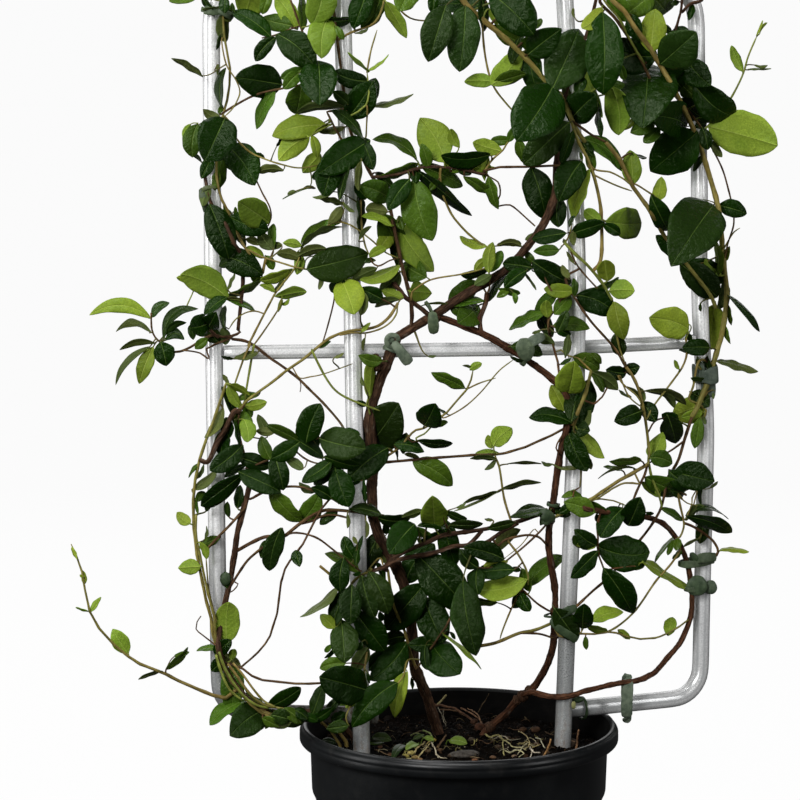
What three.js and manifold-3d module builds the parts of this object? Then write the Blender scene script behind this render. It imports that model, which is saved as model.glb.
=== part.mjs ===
// Star jasmine (Trachelospermum) trained on a bent-tube trellis in a round nursery pot.
// Millimetres, +Z up. Origin: centre of the pot's flat underside. +X runs along the middle of the trellis.
import * as THREE from "three";
import { mergeVertices } from "three/addons/utils/BufferGeometryUtils.js";
import Module from "manifold-3d";

// ---------------------------------------------------------------- driving dimensions
const POT_RIM_R = 135;        // outer radius of the rolled lip
const POT_H = 220;            // height of the pot
const POT_BASE_R = 98;        // outer radius at the floor
const POT_BAND_R = 126;       // outer radius of the near-upright band under the lip
const POT_WALL = 2.6;         // wall thickness
const POT_FLOOR = 4;          // floor thickness
const DRAIN_HOLE_R = 6;       // drain holes in the floor
const DRAIN_CIRCLE_R = 68;
const DRAIN_HOLES = 5;
const SOIL_TOP = 200;         // soil surface
const GAP = 0.35;             // clearance between touching pieces
const TUBE_R = 7.2;           // outer radius of the frame tube and of the two inner posts
const TUBE_BORE_R = 6.0;      // bore of those tubes
const BAR_R = 6.0;            // outer radius of the crossbar
const BAR_BORE_R = 4.9;
const FRAME_TOP = 850;        // centre height of the top rail
const BOTTOM_BEND_R = 26;     // centre-line radius of the frame's lower corners
const TOP_BEND_R = 42;        // centre-line radius of the frame's upper corners
const LEAF_THICK = 1.4;       // thickness given to the leaf blades
const STRAP_THICK = 1.9;      // thickness of the soft plant ties
const STRAP_CLEAR = 1.1;      // how loosely a tie sits round what it holds

const wasm = await Module();
wasm.setup();

// ---------------------------------------------------------------- helpers
// A path given by its stations, so a sweep has a ring exactly where it needs one.
class Stations extends THREE.Curve {
  constructor(points) {
    super();
    this.points = points.map((p) => (p.isVector3 ? p : new THREE.Vector3(...p)));
  }
  getPoint(t, target = new THREE.Vector3()) {
    const n = this.points.length - 1;
    const s = Math.min(Math.max(t, 0), 1) * n;
    const i = Math.min(Math.floor(s), n - 1);
    return target.copy(this.points[i]).lerp(this.points[i + 1], s - i);
  }
  getPointAt(u, target) {
    return this.getPoint(u, target);
  }
  getSpacedPoints(divisions) {
    const out = [];
    for (let i = 0; i <= divisions; i++) out.push(this.getPoint(i / divisions));
    return out;
  }
  getTangentAt(u, target = new THREE.Vector3()) {
    const n = this.points.length - 1;
    const i = Math.round(u * n);
    const a = this.points[Math.max(i - 1, 0)];
    const b = this.points[Math.min(i, n)];
    const c = this.points[Math.min(i + 1, n)];
    const before = new THREE.Vector3().subVectors(b, a);
    const after = new THREE.Vector3().subVectors(c, b);
    if (before.lengthSq() > 0) before.normalize();
    if (after.lengthSq() > 0) after.normalize();
    return target.addVectors(before, after).normalize();
  }
}

// Section frames with the least twist, so a swept tube keeps its faces straight.
function leastTwist(path, segments) {
  const tangents = [], normals = [], binormals = [];
  for (let i = 0; i <= segments; i++) tangents.push(path.getTangentAt(i / segments));
  const t0 = tangents[0];
  const seed = Math.abs(t0.z) > 0.8 ? new THREE.Vector3(1, 0, 0) : new THREE.Vector3(0, 0, 1);
  let n = new THREE.Vector3().crossVectors(t0, seed).normalize();
  for (let i = 0; i <= segments; i++) {
    n = n.clone().addScaledVector(tangents[i], -n.dot(tangents[i])).normalize();
    normals.push(n);
    binormals.push(new THREE.Vector3().crossVectors(tangents[i], n));
  }
  return { tangents, normals, binormals };
}

// A tube with a ring of `sides` points at each station; radii may taper; bore > 0 leaves it open-ended.
function tube(points, radius, sides = 10, bore = 0, endRadius = radius) {
  const path = new Stations(points);
  const steps = path.points.length - 1;
  path.computeFrenetFrames = (segments) => leastTwist(path, segments);
  const ring = (r, turn) => {
    const out = [];
    for (let i = 0; i < sides; i++) {
      const a = (turn * 2 * Math.PI * (i + 0.5)) / sides;
      out.push(new THREE.Vector2(r * Math.cos(a), r * Math.sin(a)));
    }
    return out;
  };
  const shape = new THREE.Shape(ring(radius, 1));
  if (bore > 0) shape.holes.push(new THREE.Path(ring(bore, -1)));
  const g = new THREE.ExtrudeGeometry(shape, { steps, extrudePath: path, bevelEnabled: false, curveSegments: 1 });
  if (endRadius !== radius) {
    // taper: move each ring's points towards the centre line
    const pos = g.getAttribute("position");
    const v = new THREE.Vector3();
    for (let i = 0; i < pos.count; i++) {
      v.fromBufferAttribute(pos, i);
      let best = 0, near = Infinity;
      for (let k = 0; k <= steps; k++) {
        const d = v.distanceTo(path.points[k]);
        if (d < near) { near = d; best = k; }
      }
      const f = 1 + (endRadius / radius - 1) * (best / steps);
      v.sub(path.points[best]).multiplyScalar(f).add(path.points[best]);
      pos.setXYZ(i, v.x, v.y, v.z);
    }
  }
  return g;
}

function solid(geometry) {
  let g = geometry.clone();
  for (const name of Object.keys(g.attributes)) if (name !== "position") g.deleteAttribute(name);
  g = mergeVertices(g, 1e-4);
  const made = new wasm.Manifold(
    new wasm.Mesh({ numProp: 3, vertProperties: new Float32Array(g.attributes.position.array), triVerts: new Uint32Array(g.index.array) }),
  );
  return made;
}

function geometryOf(manifold) {
  const m = manifold.getMesh();
  const g = new THREE.BufferGeometry();
  const p = new Float32Array(m.numVert * 3);
  for (let i = 0; i < m.numVert; i++) for (let k = 0; k < 3; k++) p[i * 3 + k] = m.vertProperties[i * m.numProp + k];
  g.setAttribute("position", new THREE.BufferAttribute(p, 3));
  g.setIndex(new THREE.BufferAttribute(new Uint32Array(m.triVerts), 1));
  g.computeVertexNormals();
  return g;
}

function joined(list) {
  let level = list;
  while (level.length > 1) {
    const next = [];
    for (let i = 0; i < level.length; i += 2) next.push(i + 1 < level.length ? level[i].add(level[i + 1]) : level[i]);
    level = next;
  }
  return level[0];
}

const part = new THREE.Group();
function add(name, geometry, colour, roughness, metalness) {
  const mesh = new THREE.Mesh(geometry, new THREE.MeshStandardMaterial({ color: colour, roughness, metalness }));
  mesh.name = name;
  part.add(mesh);
  return mesh;
}
const STEEL = [0xa9adad, 0.42, 0.85];
const POT_BLACK = [0x202327, 0.55, 0.0];
const SOIL_BROWN = [0x2c211a, 0.95, 0.0];
const TIE_GREEN = [0x5d7370, 0.6, 0.0];
const LEAF_GREEN = [0x2c5218, 0.4, 0.0];

// ---------------------------------------------------------------- pot
const lathe = (profile, segments) => {
  const g = new THREE.LatheGeometry(profile.map(([r, z]) => new THREE.Vector2(r, z)), segments);
  g.rotateX(Math.PI / 2); // the lathe axis becomes +Z
  return g;
};
const potProfile = [
  [0, 0], [POT_BASE_R - 3, 0], [POT_BASE_R, 3],
  [121.5, 156], [124.6, 163], [POT_BAND_R, 204.5],
  [POT_RIM_R - 1.5, 205.5], [POT_RIM_R, 208], [POT_RIM_R, 215], [POT_RIM_R - 2.2, POT_H - 1], [POT_RIM_R - 4.5, POT_H],
  [129.6, 218], [POT_BAND_R - POT_WALL, 203],
  [121.9, 163.5], [118.9, 156.5], [POT_BASE_R - POT_WALL, POT_FLOOR], [0, POT_FLOOR],
];
{
  let pot = solid(lathe(potProfile, 40));
  if (pot.volume() < 0) throw new Error("pot profile runs the wrong way");
  const drill = [];
  for (let i = 0; i < DRAIN_HOLES; i++) {
    const a = (2 * Math.PI * (i + 0.25)) / DRAIN_HOLES;
    const c = new THREE.CylinderGeometry(DRAIN_HOLE_R, DRAIN_HOLE_R, POT_FLOOR + 4, 8);
    c.rotateX(Math.PI / 2);
    c.translate(DRAIN_CIRCLE_R * Math.cos(a), DRAIN_CIRCLE_R * Math.sin(a), POT_FLOOR / 2);
    drill.push(solid(c));
  }
  for (const d of drill) pot = pot.subtract(d);
  add("pot", geometryOf(pot), ...POT_BLACK);
}

// ---------------------------------------------------------------- trellis
const smooth = (points, spacing) => {
  const c = new THREE.CatmullRomCurve3(points.map((p) => new THREE.Vector3(...p)), false, "centripetal");
  const n = Math.max(2, Math.round(c.getLength() / spacing));
  return c.getSpacedPoints(n);
};
// A rounded corner between two straight directions, as stations.
function bend(from, corner, to, radius, steps) {
  const a = new THREE.Vector3().subVectors(from, corner).normalize();
  const b = new THREE.Vector3().subVectors(to, corner).normalize();
  const half = a.angleTo(b) / 2;
  const reach = radius / Math.tan(half);
  const centre = new THREE.Vector3().addVectors(a, b).normalize().multiplyScalar(radius / Math.sin(half)).add(corner);
  const p = new THREE.Vector3().copy(a).multiplyScalar(reach).add(corner).sub(centre);
  const q = new THREE.Vector3().copy(b).multiplyScalar(reach).add(corner).sub(centre);
  const sweep = p.angleTo(q);
  const out = [];
  for (let i = 0; i <= steps; i++) {
    const s = i / steps;
    const v = p.clone().multiplyScalar(Math.sin((1 - s) * sweep)).addScaledVector(q, Math.sin(s * sweep)).divideScalar(Math.sin(sweep));
    out.push(v.add(centre));
  }
  return out;
}
// Left rail, left upright, top rail, right upright and right rail are one bent tube. Its right third is swept back.
{
  const V = (x, y, z) => new THREE.Vector3(x, y, z);
  const railLeft = [V(-70, -3.3, 232.9), V(-144.2, -3.3, 237.8)];
  const left = [V(-204.3, -3.3, 382.6), V(-205.1, -3.3, 499.4), V(-205.8, -3.3, 614.8), V(-205.5, -3.3, 777.2)];
  const top = [V(-80, -3.3, FRAME_TOP), V(78, -3.3, FRAME_TOP), V(90, -2.4, FRAME_TOP), V(150, 11.5, FRAME_TOP)];
  const right = [V(206.5, 25.6, 780), V(210.9, 26.7, 668), V(211.2, 26.8, 610), V(213.4, 27.4, 560), V(217.6, 28.3, 505), V(220.2, 29, 461.9), V(219.6, 28.8, 401), V(218.3, 28.5, 295.7)];
  const railRight = [V(160.9, 14.2, 228.3), V(123.5, 4.9, 228.2), V(98.6, -1.4, 228.4), V(79.9, -3.3, 228.6), V(74.5, -3.3, 228.7)];
  const stations = [
    ...railLeft,
    ...bend(railLeft[1], V(-203, -3.3, 242.1), left[0], BOTTOM_BEND_R, 4),
    ...left,
    ...bend(left[3], V(-205.4, -3.3, FRAME_TOP), top[0], TOP_BEND_R, 4),
    ...top,
    ...bend(top[3], V(205, 25.2, FRAME_TOP), right[0], TOP_BEND_R, 4),
    ...right,
    ...bend(right[7], V(218, 28.4, 228.2), railRight[0], BOTTOM_BEND_R, 4),
    ...railRight,
  ];
  add("outer_frame", tube(stations, TUBE_R, 8, TUBE_BORE_R), ...STEEL);
}
const leftPost = [[-82.4, -18, 15], [-85.5, -18, 195.1], [-88.7, -18, 398.9], [-91.5, -18, 499.1], [-93.7, -18, 639.3], [-99.1, -18, 777.2], [-101.4, -18, 862]];
const rightPost = [[82, -18, 15], [86, -18, 195.4], [89.1, -18, 292], [92.9, -17.5, 394.3], [95.7, -16.8, 495.6], [96.2, -16.7, 596], [92.1, -17.7, 703.6], [84.1, -18, 813.9], [81.3, -18, 862]];
add("left_post", tube(leftPost, TUBE_R, 8, TUBE_BORE_R), ...STEEL);
add("right_post", tube(rightPost, TUBE_R, 8, TUBE_BORE_R), ...STEEL);
add("crossbar", tube([[-197.7, -4.4, 538.8], [84, -4.4, 538], [96, -3.2, 538.2], [157, 12.1, 538.6], [207, 24.5, 539.1]], BAR_R, 8, BAR_BORE_R), ...STEEL);

// ---------------------------------------------------------------- soil
// Where each rooted stem enters the soil: x, y, radius.
const ROOTED = [[-11.7, 32, 4.74], [23.6, 24, 3.05], [-87.2, 32, 2.54], [-94.9, 12, 1.61], [-101.6, 0, 1.35]];
{
  const wall = GAP;
  let soil = solid(lathe([
    [0, POT_FLOOR + GAP], [POT_BASE_R - POT_WALL - wall - 0.2, POT_FLOOR + GAP],
    [118.5, 156.9], [121.4, 163.9], [122.8, 196.5], [120.5, SOIL_TOP - 0.6], [60, SOIL_TOP], [0, SOIL_TOP],
  ], 40));
  for (const post of [leftPost, rightPost])
    soil = soil.subtract(solid(tube([[post[0][0], post[0][1], 15 - GAP], [post[1][0], post[1][1], post[1][2]], [post[1][0], post[1][1], SOIL_TOP + 10]], (TUBE_R + GAP) / Math.cos(Math.PI / 12), 12)));
  for (const [x, y, r] of ROOTED)
    soil = soil.subtract(solid(tube([[x, y, SOIL_TOP - 24], [x, y, SOIL_TOP + 10]], (r + GAP) / Math.cos(Math.PI / 8), 8)));
  add("soil", geometryOf(soil), ...SOIL_BROWN);
}

// ---------------------------------------------------------------- soft ties that hold the stems to the tubes
// A band round the convex outline of the circles it holds: [name, centre, axis, first and second cross directions, width, circles].
function outline(circles, extra, count) {
  const out = [];
  for (let k = 0; k < count; k++) {
    const a = (2 * Math.PI * (k + 0.5)) / count;
    const nx = Math.cos(a), ny = Math.sin(a);
    let best = -Infinity, pick = null;
    for (const [x, y, r] of circles) {
      const s = x * nx + y * ny + r;
      if (s > best) { best = s; pick = [x + nx * (r + extra), y + ny * (r + extra)]; }
    }
    out.push(new THREE.Vector2(...pick));
  }
  return out;
}
const TIES = [
  ["tie_arc_rail", [147.12, 10.77, 228.26], [-0.9704, -0.2413, -0.0026], [-0.0027, 0.0, 1.0], [-0.2413, 0.9704, -0.0006], 11, [[0.0, 0.0, 7.2], [-0.0, -0.0, 7.2], [0.0, -0.0, 7.2], [25.11, -21.98, 2.4], [25.61, -20.62, 2.4]]],
  ["tie_rail_post", [106.9, 0.7, 228.33], [-0.9694, -0.2453, 0.0078], [0.008, -0.0, 1.0], [-0.2453, 0.9695, 0.002], 7, [[0.0, 0.0, 7.2], [-0.0, -0.0, 7.2], [0.0, -0.0, 7.2]]],
  ["tie_right_low", [89.92, -17.89, 314.06], [0.0371, 0.0049, 0.9993], [0.9993, 0.0, -0.0371], [-0.0002, 1.0, -0.0049], 9, [[0.0, 0.0, 7.2], [-0.0, -0.0, 7.2], [0.0, -0.0, 7.2], [-11.78, -1.27, 2.95], [-1.93, -13.2, 0.99], [-18.87, -8.76, 1.01], [1.03, -10.35, 1.1]]],
  ["tie_trunk", [-60.53, -21.0, 540.63], [0.3514, 0.0, 0.9362], [0.9362, 0.0, -0.3514], [-0.0, 1.0, 0.0], 8, [[0.0, 0.0, 4.74], [0.0, 0.0, 4.74], [-0.0, 0.0, 4.74]]],
  ["tie_main_branch", [-25.95, -22.07, 569.1], [0.8543, -0.0296, 0.5189], [0.5191, 0.0, -0.8547], [0.0253, 0.9996, 0.0154], 9, [[0.0, 0.0, 3.85], [-0.0, -0.0, 3.86], [-1.14, -3.02, 2.03], [-8.73, -3.66, 2.0]]],
  ["tie_right_post_a", [218.95, 28.65, 348.35], [-0.0123, -0.0028, -0.9999], [-0.9999, 0.0, 0.0123], [-0.0, 1.0, -0.0028], 9.5, [[0.0, 0.0, 7.2], [-0.0, 0.0, 7.2], [0.0, 0.0, 7.2], [16.49, -14.78, 2.33], [21.34, -16.02, 2.33]]],
  ["tie_right_post_b", [218.68, 28.59, 326.07], [-0.0123, -0.0028, -0.9999], [-0.9999, 0.0, 0.0123], [-0.0, 1.0, -0.0028], 11, [[0.0, 0.0, 7.2], [0.0, 0.0, 7.2], [0.0, -0.0, 7.2], [0.0, -0.0, 7.2], [12.81, -13.97, 2.34], [15.02, -14.46, 2.34]]],
  ["tie_branch_bar", [50.82, -25.36, 531.19], [-0.8212, 0.1085, 0.5602], [0.5635, -0.0, 0.8261], [0.0896, 0.9941, -0.0612], 12, [[0.0, 0.0, 3.09], [-0.0, 0.0, 3.11]]],
  ["tie_right_post_c", [217.13, 28.2, 511.11], [0.0761, 0.0163, -0.997], [-0.9971, 0.0, -0.0761], [-0.0012, 0.9999, 0.0163], 16, [[0.0, 0.0, 7.2], [-0.0, 0.0, 7.2], [0.07, -0.0, 7.2], [-4.77, -13.53, 1.81], [2.23, -15.25, 1.83]]],
  ["tie_right_cross", [74.95, -26.18, 409.16], [0.1243, -0.0759, 0.9893], [0.9922, 0.0, -0.1247], [0.0095, 0.9971, 0.0753], 9, [[0.0, 0.0, 2.92], [-0.0, -0.0, 2.93]]],
  ["tie_left_top", [-203.85, -3.3, 816.09], [0.1963, 0.0, 0.9806], [0.9806, 0.0, -0.1963], [-0.0, 1.0, 0.0], 9, [[0.0, 0.0, 7.2], [-0.0, 0.0, 7.2], [9.06, -13.7, 1.01], [6.75, -13.8, 0.99]]],
  ["tie_left_mid", [-205.71, -3.3, 664.92], [0.0018, 0.0, 1.0], [1.0, 0.0, -0.0018], [-0.0, 1.0, 0.0], 12, [[0.0, 0.0, 7.2], [-0.0, 0.0, 7.2], [0.0, 0.0, 7.2], [-4.9, -14.7, 1.52], [10.42, -14.32, 1.21]]],
  ["tie_left_low", [-203.89, -3.3, 338.39], [-0.0093, 0.0, 1.0], [1.0, -0.0, 0.0093], [0.0, 1.0, 0.0], 11, [[0.0, 0.0, 7.2], [5.28, -12.28, 2.54], [12.7, -13.7, 0.95]]],
];
for (const [name, c, axis, e1, e2, width, circles] of TIES) {
  const corners = circles.length > 3 ? 16 : 12;
  const shape = new THREE.Shape(outline(circles, STRAP_CLEAR + STRAP_THICK, corners));
  shape.holes.push(new THREE.Path(outline(circles, STRAP_CLEAR, corners).reverse()));
  const g = new THREE.ExtrudeGeometry(shape, { depth: width, bevelEnabled: false, steps: 1 });
  g.translate(0, 0, -width / 2);
  g.applyMatrix4(new THREE.Matrix4().makeBasis(new THREE.Vector3(...e1), new THREE.Vector3(...e2), new THREE.Vector3(...axis)).setPosition(...c));
  add(name, g, ...TIE_GREEN);
}

// ---------------------------------------------------------------- the three plants
// Stems: [sides, first radius, last radius, x, y, z, x, y, z, ...].
const STEMS = {
  middle_plant: [
    [6,4.74,4.74,-11.7,32,177,-11.7,32,203,-22.6,23.8,234.5,-35.6,13.1,265.2,-41.8,-3,313.5,-48.1,-10.6,339.3,-57.9,-16.2,362.4,-71.4,-19.5,387.1,-76.9,-22.7,407.7,-76.2,-21,445.1,-78.7,-21.6,486.9,-73.6,-21,505.8,-56.9,-21,550.3],
    [6,3.89,2.71,-56.9,-21,550.3,32.5,-24.1,604.6,49.4,-25,621.9,64.4,-25.9,641.8,70.9,-26,655.5,75.4,-26.2,671.2,77.8,-28.1,720.2,83.3,-29.4,752.9,91.4,-29.8,777.3,103.4,-26.9,809.7,116.3,-23.7,864.9],
    [4,2.03,1.86,-29.3,-25,568.4,-50.3,-26.8,584.5,-60.3,-27,596.1],
    [4,1.86,1.69,-45.4,-27,581.2,-44.8,-23,558.5],
    [3,1.69,1.1,-45.5,-28,582.1,-63.2,-30,658.4,-89.4,-30.4,704.8,-97.5,-31,726.7,-111.2,-31,833.1,-106.9,-30,861.6],
    [3,1.1,0.9,-105.6,-31,793.1,-79.6,-33.6,804.8,-73.2,-34.5,811.2,-61.5,-36,858.5],
    [3,1.02,0.9,-114.9,-32,735.5,-104.9,-32.2,715.8,-94.4,-31,708],
    [3,1,0.9,-99.4,-32,730.6,-83.5,-35.4,741.1,-83,-38,767.5],
    [3,1,0.9,-82.8,-36,740.3,-83.4,-34.4,716.2,-88.2,-33,703.2],
    [3,1.44,1.18,-78.1,-31,682.9,-31.2,-35.6,691.1,13.8,-34,684.9],
    [3,1.1,0.93,-22.8,-35,681.9,-12.5,-33.3,651.7,16.8,-32,624.4],
    [3,1,0.9,-87.3,-32,664.4,-85.8,-33,636,-80.1,-33,618.8],
    [3,1,0.9,-78.5,-33,613.9,-73.5,-33,610.6,-56.8,-31,616.8],
    [3,1,0.9,-136.3,-30.8,624.1,-120.9,-32,640.3,-104.6,-32.7,646.7,-91.2,-33,641.2,-56.9,-32,616.9],
    [3,1.35,1.18,-56.6,-30,579.9,-73.1,-29.7,561.2,-112.6,-29.1,551.9,-148.6,-27.8,525.3,-182.5,-17.2,497.5,-200.4,-15.4,474.4],
    [3,1.1,0.9,-127.6,-30,542.3,-109,-31.9,509.4,-71.7,-31,491.3],
    [3,1,0.9,-137.6,-30.9,519.6,-94.8,-31,530.4],
    [3,1,0.9,-104.6,-31,554.4,-68.5,-32,560.5,-59.7,-31.6,568.4,-53.3,-30,584],
    [3,1,0.9,-82.9,-37,767.5,-74.4,-35,801.1],
    [4,1.86,1.35,-10.7,-34,857.3,-2.6,-37.5,822.4,32.3,-41.9,791.9,71.4,-42.3,753,97.2,-36.4,710.7],
    [3,1.02,0.9,11.6,-39,807.7,13.4,-39,781.1,20.1,-38.2,757.1,42.8,-37,730.4],
    [3,1,0.9,13.9,-33,686.5,38.5,-34,714.1],
    [3,1.1,1.02,13.7,-34,687.4,30.9,-34.1,690.8,95.6,-36.8,691.9],
    [3,1,0.9,-65.6,-36,848.9,-41.1,-35.7,839.5,-29.6,-35.1,841.2,-18.1,-34.5,836.5,-8.2,-34,839.7],
    [3,1,0.9,-57.5,-36,818.7,-43.8,-35.9,809.5,-23,-35,807.7],
    [3,1,0.9,-65.6,-36,847.3,-57.5,-36,818.7],
    [3,1.52,1.18,112,-30.7,611.8,112.1,-33.3,651,105.9,-36.1,679.6,88.6,-41.3,715.7,74.9,-42,751.4],
    [3,1.1,1.02,85,-42,727.9,114.6,-37.1,710.6],
    [3,1.52,1.18,112.7,-32.6,850,109,-35.1,824.1,130.9,-32,799.8,151,-24.4,768.4,158.7,-20.5,748.6,162.9,-18.3,724.8],
    [3,1.1,0.93,108.4,-37.6,832.1,148.4,-30,774.1],
    [3,1,0.9,99.3,-38.9,695.2,104.6,-37.9,688.6,122.2,-34.4,684.6,139.3,-30.2,673.4],
    [3,1,0.9,99.6,-37.8,691.9,106.5,-36,683.1,138.9,-28.5,670],
    [3,1,0.9,76.3,-38,666.8,81.7,-40.2,686.8,92.2,-40.7,694.5],
    [3,1.52,1.86,112.2,-42.7,835.2,117.1,-43.3,825.6,139.4,-40,800.4,174.3,-18.6,756.9,190.5,-8.7,730.7,204.8,-0.2,703.6,223.5,9.5,651.8,233.4,16.7,583.5,231.7,17.2,557.5,215.6,13.1,501.9,202.5,9.9,475.9],
    [3,1.52,1.27,202.5,9.9,475.9,189.8,4.6,440.3,179.6,-0.3,426.3],
    [3,1.18,1.02,216.3,13.3,496.7,209.3,13,486.5,215.9,14.2,481.1,214.4,14.8,474.2],
    [3,1.18,0.93,209.3,11.6,524.4,199.2,8,491.6],
    [3,1.35,1.18,189.1,4.5,860,185.7,-0.7,818.7,171.3,-11.7,780.2,168.3,-15.1,761],
    [3,1.52,1.27,211.3,10.1,852.1,205.8,7.8,827.2,187.1,1,817.1],
    [3,1.02,0.9,210.3,-0.2,722.7,229.7,0.7,745.3,252.1,2.3,797.5],
    [3,1,0.9,211.7,4.2,710.9,226.4,7.8,684,236.6,11.2,649.6,236.5,11.5,636.4,229.7,10.6,611.1],
    [3,1.1,0.93,168.3,-15.1,759.3,208.6,-0.6,716],
    [3,1,0.9,169.2,-14.6,770.8,191.9,-8.8,774.1,198.2,-8,767.5,199.2,-8,757.6],
    [4,1.86,1.61,114.6,-37.1,710.6,139.6,-29.2,673.3,185.6,-1.2,616.5,214.4,9.4,583.7,223.1,13,568.5],
    [3,1,0.9,140.5,-28.8,675.8,165.9,-15.9,661.8],
    [3,1,0.9,197.7,4.7,603.4,223.2,9.6,612.9,243.3,14.1,636.2],
    [3,1.52,1.27,79.9,-34,630.5,99.7,-35.6,610.2,122.8,-29,580],
    [3,1,0.9,86.3,-36,620.7,91.5,-36.2,609.7,109.2,-32.4,590.4],
    [3,1.1,1.1,83.1,-32,599,92.5,-33.3,579.4,137.6,-19.3,522.9],
    [3,1,0.9,79.1,-34,625.5,87,-36,643.6],
    [3,1,0.9,61.4,-31,612.3,68.4,-33.2,592.4,77.8,-34,581,67.5,-35.4,563.1,67.5,-36.4,555.6,68.6,-31.4,550.8],
    [3,1,0.9,55.5,-31,609.1,30.2,-33,589.8],
    [3,1,0.9,123,-28,581.6,130.3,-23.2,541.7,136.3,-20.6,527.3],
    [3,1,0.9,-45.8,-30,582.2,-45.1,-30.6,588.8,-30.4,-32,598.6,17.4,-34,608.9,20.7,-34,616.2,16.5,-34,624.5],
    [3,1,0.9,23.7,-30,659.4,27.3,-31.1,675,17.4,-32,683.2],
    [3,1,0.9,23.7,-30,657.8,36.4,-29.4,659.3,57.4,-29,641.9],
    [3,1,0.9,18,-26.8,586.9,18.8,-31,604.6],
    [3,1.44,1.27,137.6,-19.3,522.9,148.9,-15.9,504.7,159,-11.5,459.9,159.9,-11.6,444.8,157.4,-20,442.4],
    [3,1,0.9,129.9,-23.3,515.9,151.5,-16.4,491.2],
    [3,1,0.9,132.4,-19.6,515.5,139.7,-18.6,499.2,153.7,-14.3,487.5],
    [3,1.02,0.9,194.3,1.8,544.4,194.8,0.5,530.9,190.3,-1.2,519.3,157.6,-13.1,478],
    [3,1,0.9,159,-11.5,466.7,165.8,-8.1,475.5,177.4,-3.1,477.2],
    [3,1.18,1.02,160,-8.6,439,139.5,-23.8,399.3],
    [3,1,0.9,194.8,5.9,456,160.8,-8.9,439.9],
    [3,1.27,1.02,160.9,-8.6,439,163.2,-10.2,427.3,173.1,-6.5,400.8],
    [3,1.27,1.1,179.3,-1.4,426.4,172.9,-4,400.4,168,-6.6,392.4,131.3,-7.8,347.2,92.8,-28.6,321.4],
    [3,1,0.9,179.3,-1.4,426.4,195.9,1.2,410.2],
    [3,1.52,1.35,14,-22,290.1,73.3,-24,307.4],
    [3,1.1,0.93,47.5,-25,300.7,76.2,-23,295.1],
    [4,2.03,1.86,-68.1,-28,358.9,-53.7,-32.5,372.8,-22.7,-37.8,387.1,19.2,-37.4,392.6,68.8,-30.3,402.9],
    [4,2.03,1.86,-78.4,-30,357.9,-51.6,-34.4,368.8,-30.9,-37.1,372.3,-10.2,-38,378.5,0.7,-38,379,12.5,-38,390.5],
    [3,1.69,1.52,5.6,-39,378.2,43.5,-34,395.7],
    [3,1.18,1.02,25.7,-35,377,33.9,-34.3,382.2,50,-32.6,385.1,59,-30.9,383.9,68.5,-28.6,376.4],
    [3,1.02,0.9,69.7,-30.4,396.2,28.3,-35,360.1],
    [3,1.02,0.9,35.2,-34,380.8,49.5,-35,358.7,52.1,-35,344.2],
    [3,1,0.9,58.6,-31,389.8,33.5,-30,365.8],
    [3,1.27,1.18,-122.4,-36,364.4,-112.3,-35,354.8,-105.4,-32.6,341.5,-101.2,-32.1,341.3,-92.7,-31.1,351,-78.4,-30,358.7],
    [3,1.02,0.9,-10.4,-40,326.7,-22.2,-35.8,303.5,-38.3,-10,269.5],
    [3,1.44,1.18,-37.4,-4,269,-59.5,-22,327.9,-64.7,-28,358],
    [3,1.1,0.93,37.2,-32,399.8,25.1,-29,450.9,29,-29,453.2],
    [3,1.27,1.1,-72.7,-26,447.4,33.6,-28.1,453.7,73.1,-29.5,468.3,84.5,-26.2,473.5],
    [3,1,0.9,-72,-32,369,-82.7,-31,358.2],
    [3,1.1,0.9,-72.8,-27,448.4,-56.8,-31,459.4,-42.3,-34.1,475.3,-17.1,-34.9,489.2,0.2,-33.9,508.5,5.4,-33,524.1],
    [3,1,0.9,0.2,-34,508.5,24.8,-32,517],
    [3,1,0.9,-19.9,-35,485,1,-33.2,495.6,39.6,-29,531.4],
    [3,1,0.9,-42.4,-35,468.8,-20.8,-35,485.8],
    [3,1,0.9,-49.1,-35,469,-45.7,-35,465.6,-39.1,-35,466.3],
    [3,1,0.9,-79.4,-27,488.4,-81.4,-29,501.1],
    [3,1,0.9,-81.5,-28,293.6,-86.3,-37.7,266.9,-81.9,-40.6,259,-58.6,-37.3,263.5,-47.3,-24,280.6],
    [3,1,0.9,-84.9,-40,260,-99.3,-42.3,245.2,-102.1,-43.2,237.7,-99.7,-44,231],
    [3,1.1,1.1,233.2,9.9,624.3,233.1,13,624.3],
    [3,1.1,1.1,41.2,-34.8,371.4,41.3,-33.2,371.4],
    [3,1.1,1.1,160.8,-10.1,439.9,160.9,-7.4,439],
    [3,1.1,1.1,15,-34.2,687.7,15,-32.8,687.6],
    [3,1.1,1.1,-57,-32.2,616.7,-56.9,-30.8,616.9],
    [3,1.1,1.1,-83,-38,767.4,-82.9,-37,767.5],
    [3,1.1,1.1,29,-29,453.2,29,-28,453.4],
    [3,1.1,1.1,169.8,-13.4,770.8,170.1,-14.4,770.9],
    [3,1.1,1.1,179.6,-0.3,426.3,179.6,-1.4,426.1],
    [3,1.1,1.1,195.3,6.9,455.7,194.8,5.9,456],
    [3,1.1,1.1,53.6,-31.9,384.6,53.4,-30.8,384.9],
    [3,1.1,1.1,-19.9,-35,485,-20.8,-35,485.8],
    [3,1.1,1.1,-21.4,-34.8,486.8,-20.8,-35,485.8],
    [3,1.1,1.1,-83.5,-35.4,741.1,-82.8,-36,740.3],
    [3,1.1,1.1,-98.1,-31,731.3,-98.3,-32.2,731.3],
    [3,1.1,1.1,122.8,-29,580,123.3,-27.8,580.2],
    [3,1.1,1.1,130.6,-32,800.1,130.6,-33.4,799.9],
    [3,1.1,1.1,-72.7,-26,447.4,-72.8,-27,448.4],
    [3,1.1,1.1,-127,-28.6,541.3,-127,-30.1,541.3],
    [3,1.1,1.1,-56.6,-30,579.9,-55.2,-30.5,579.4],
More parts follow.
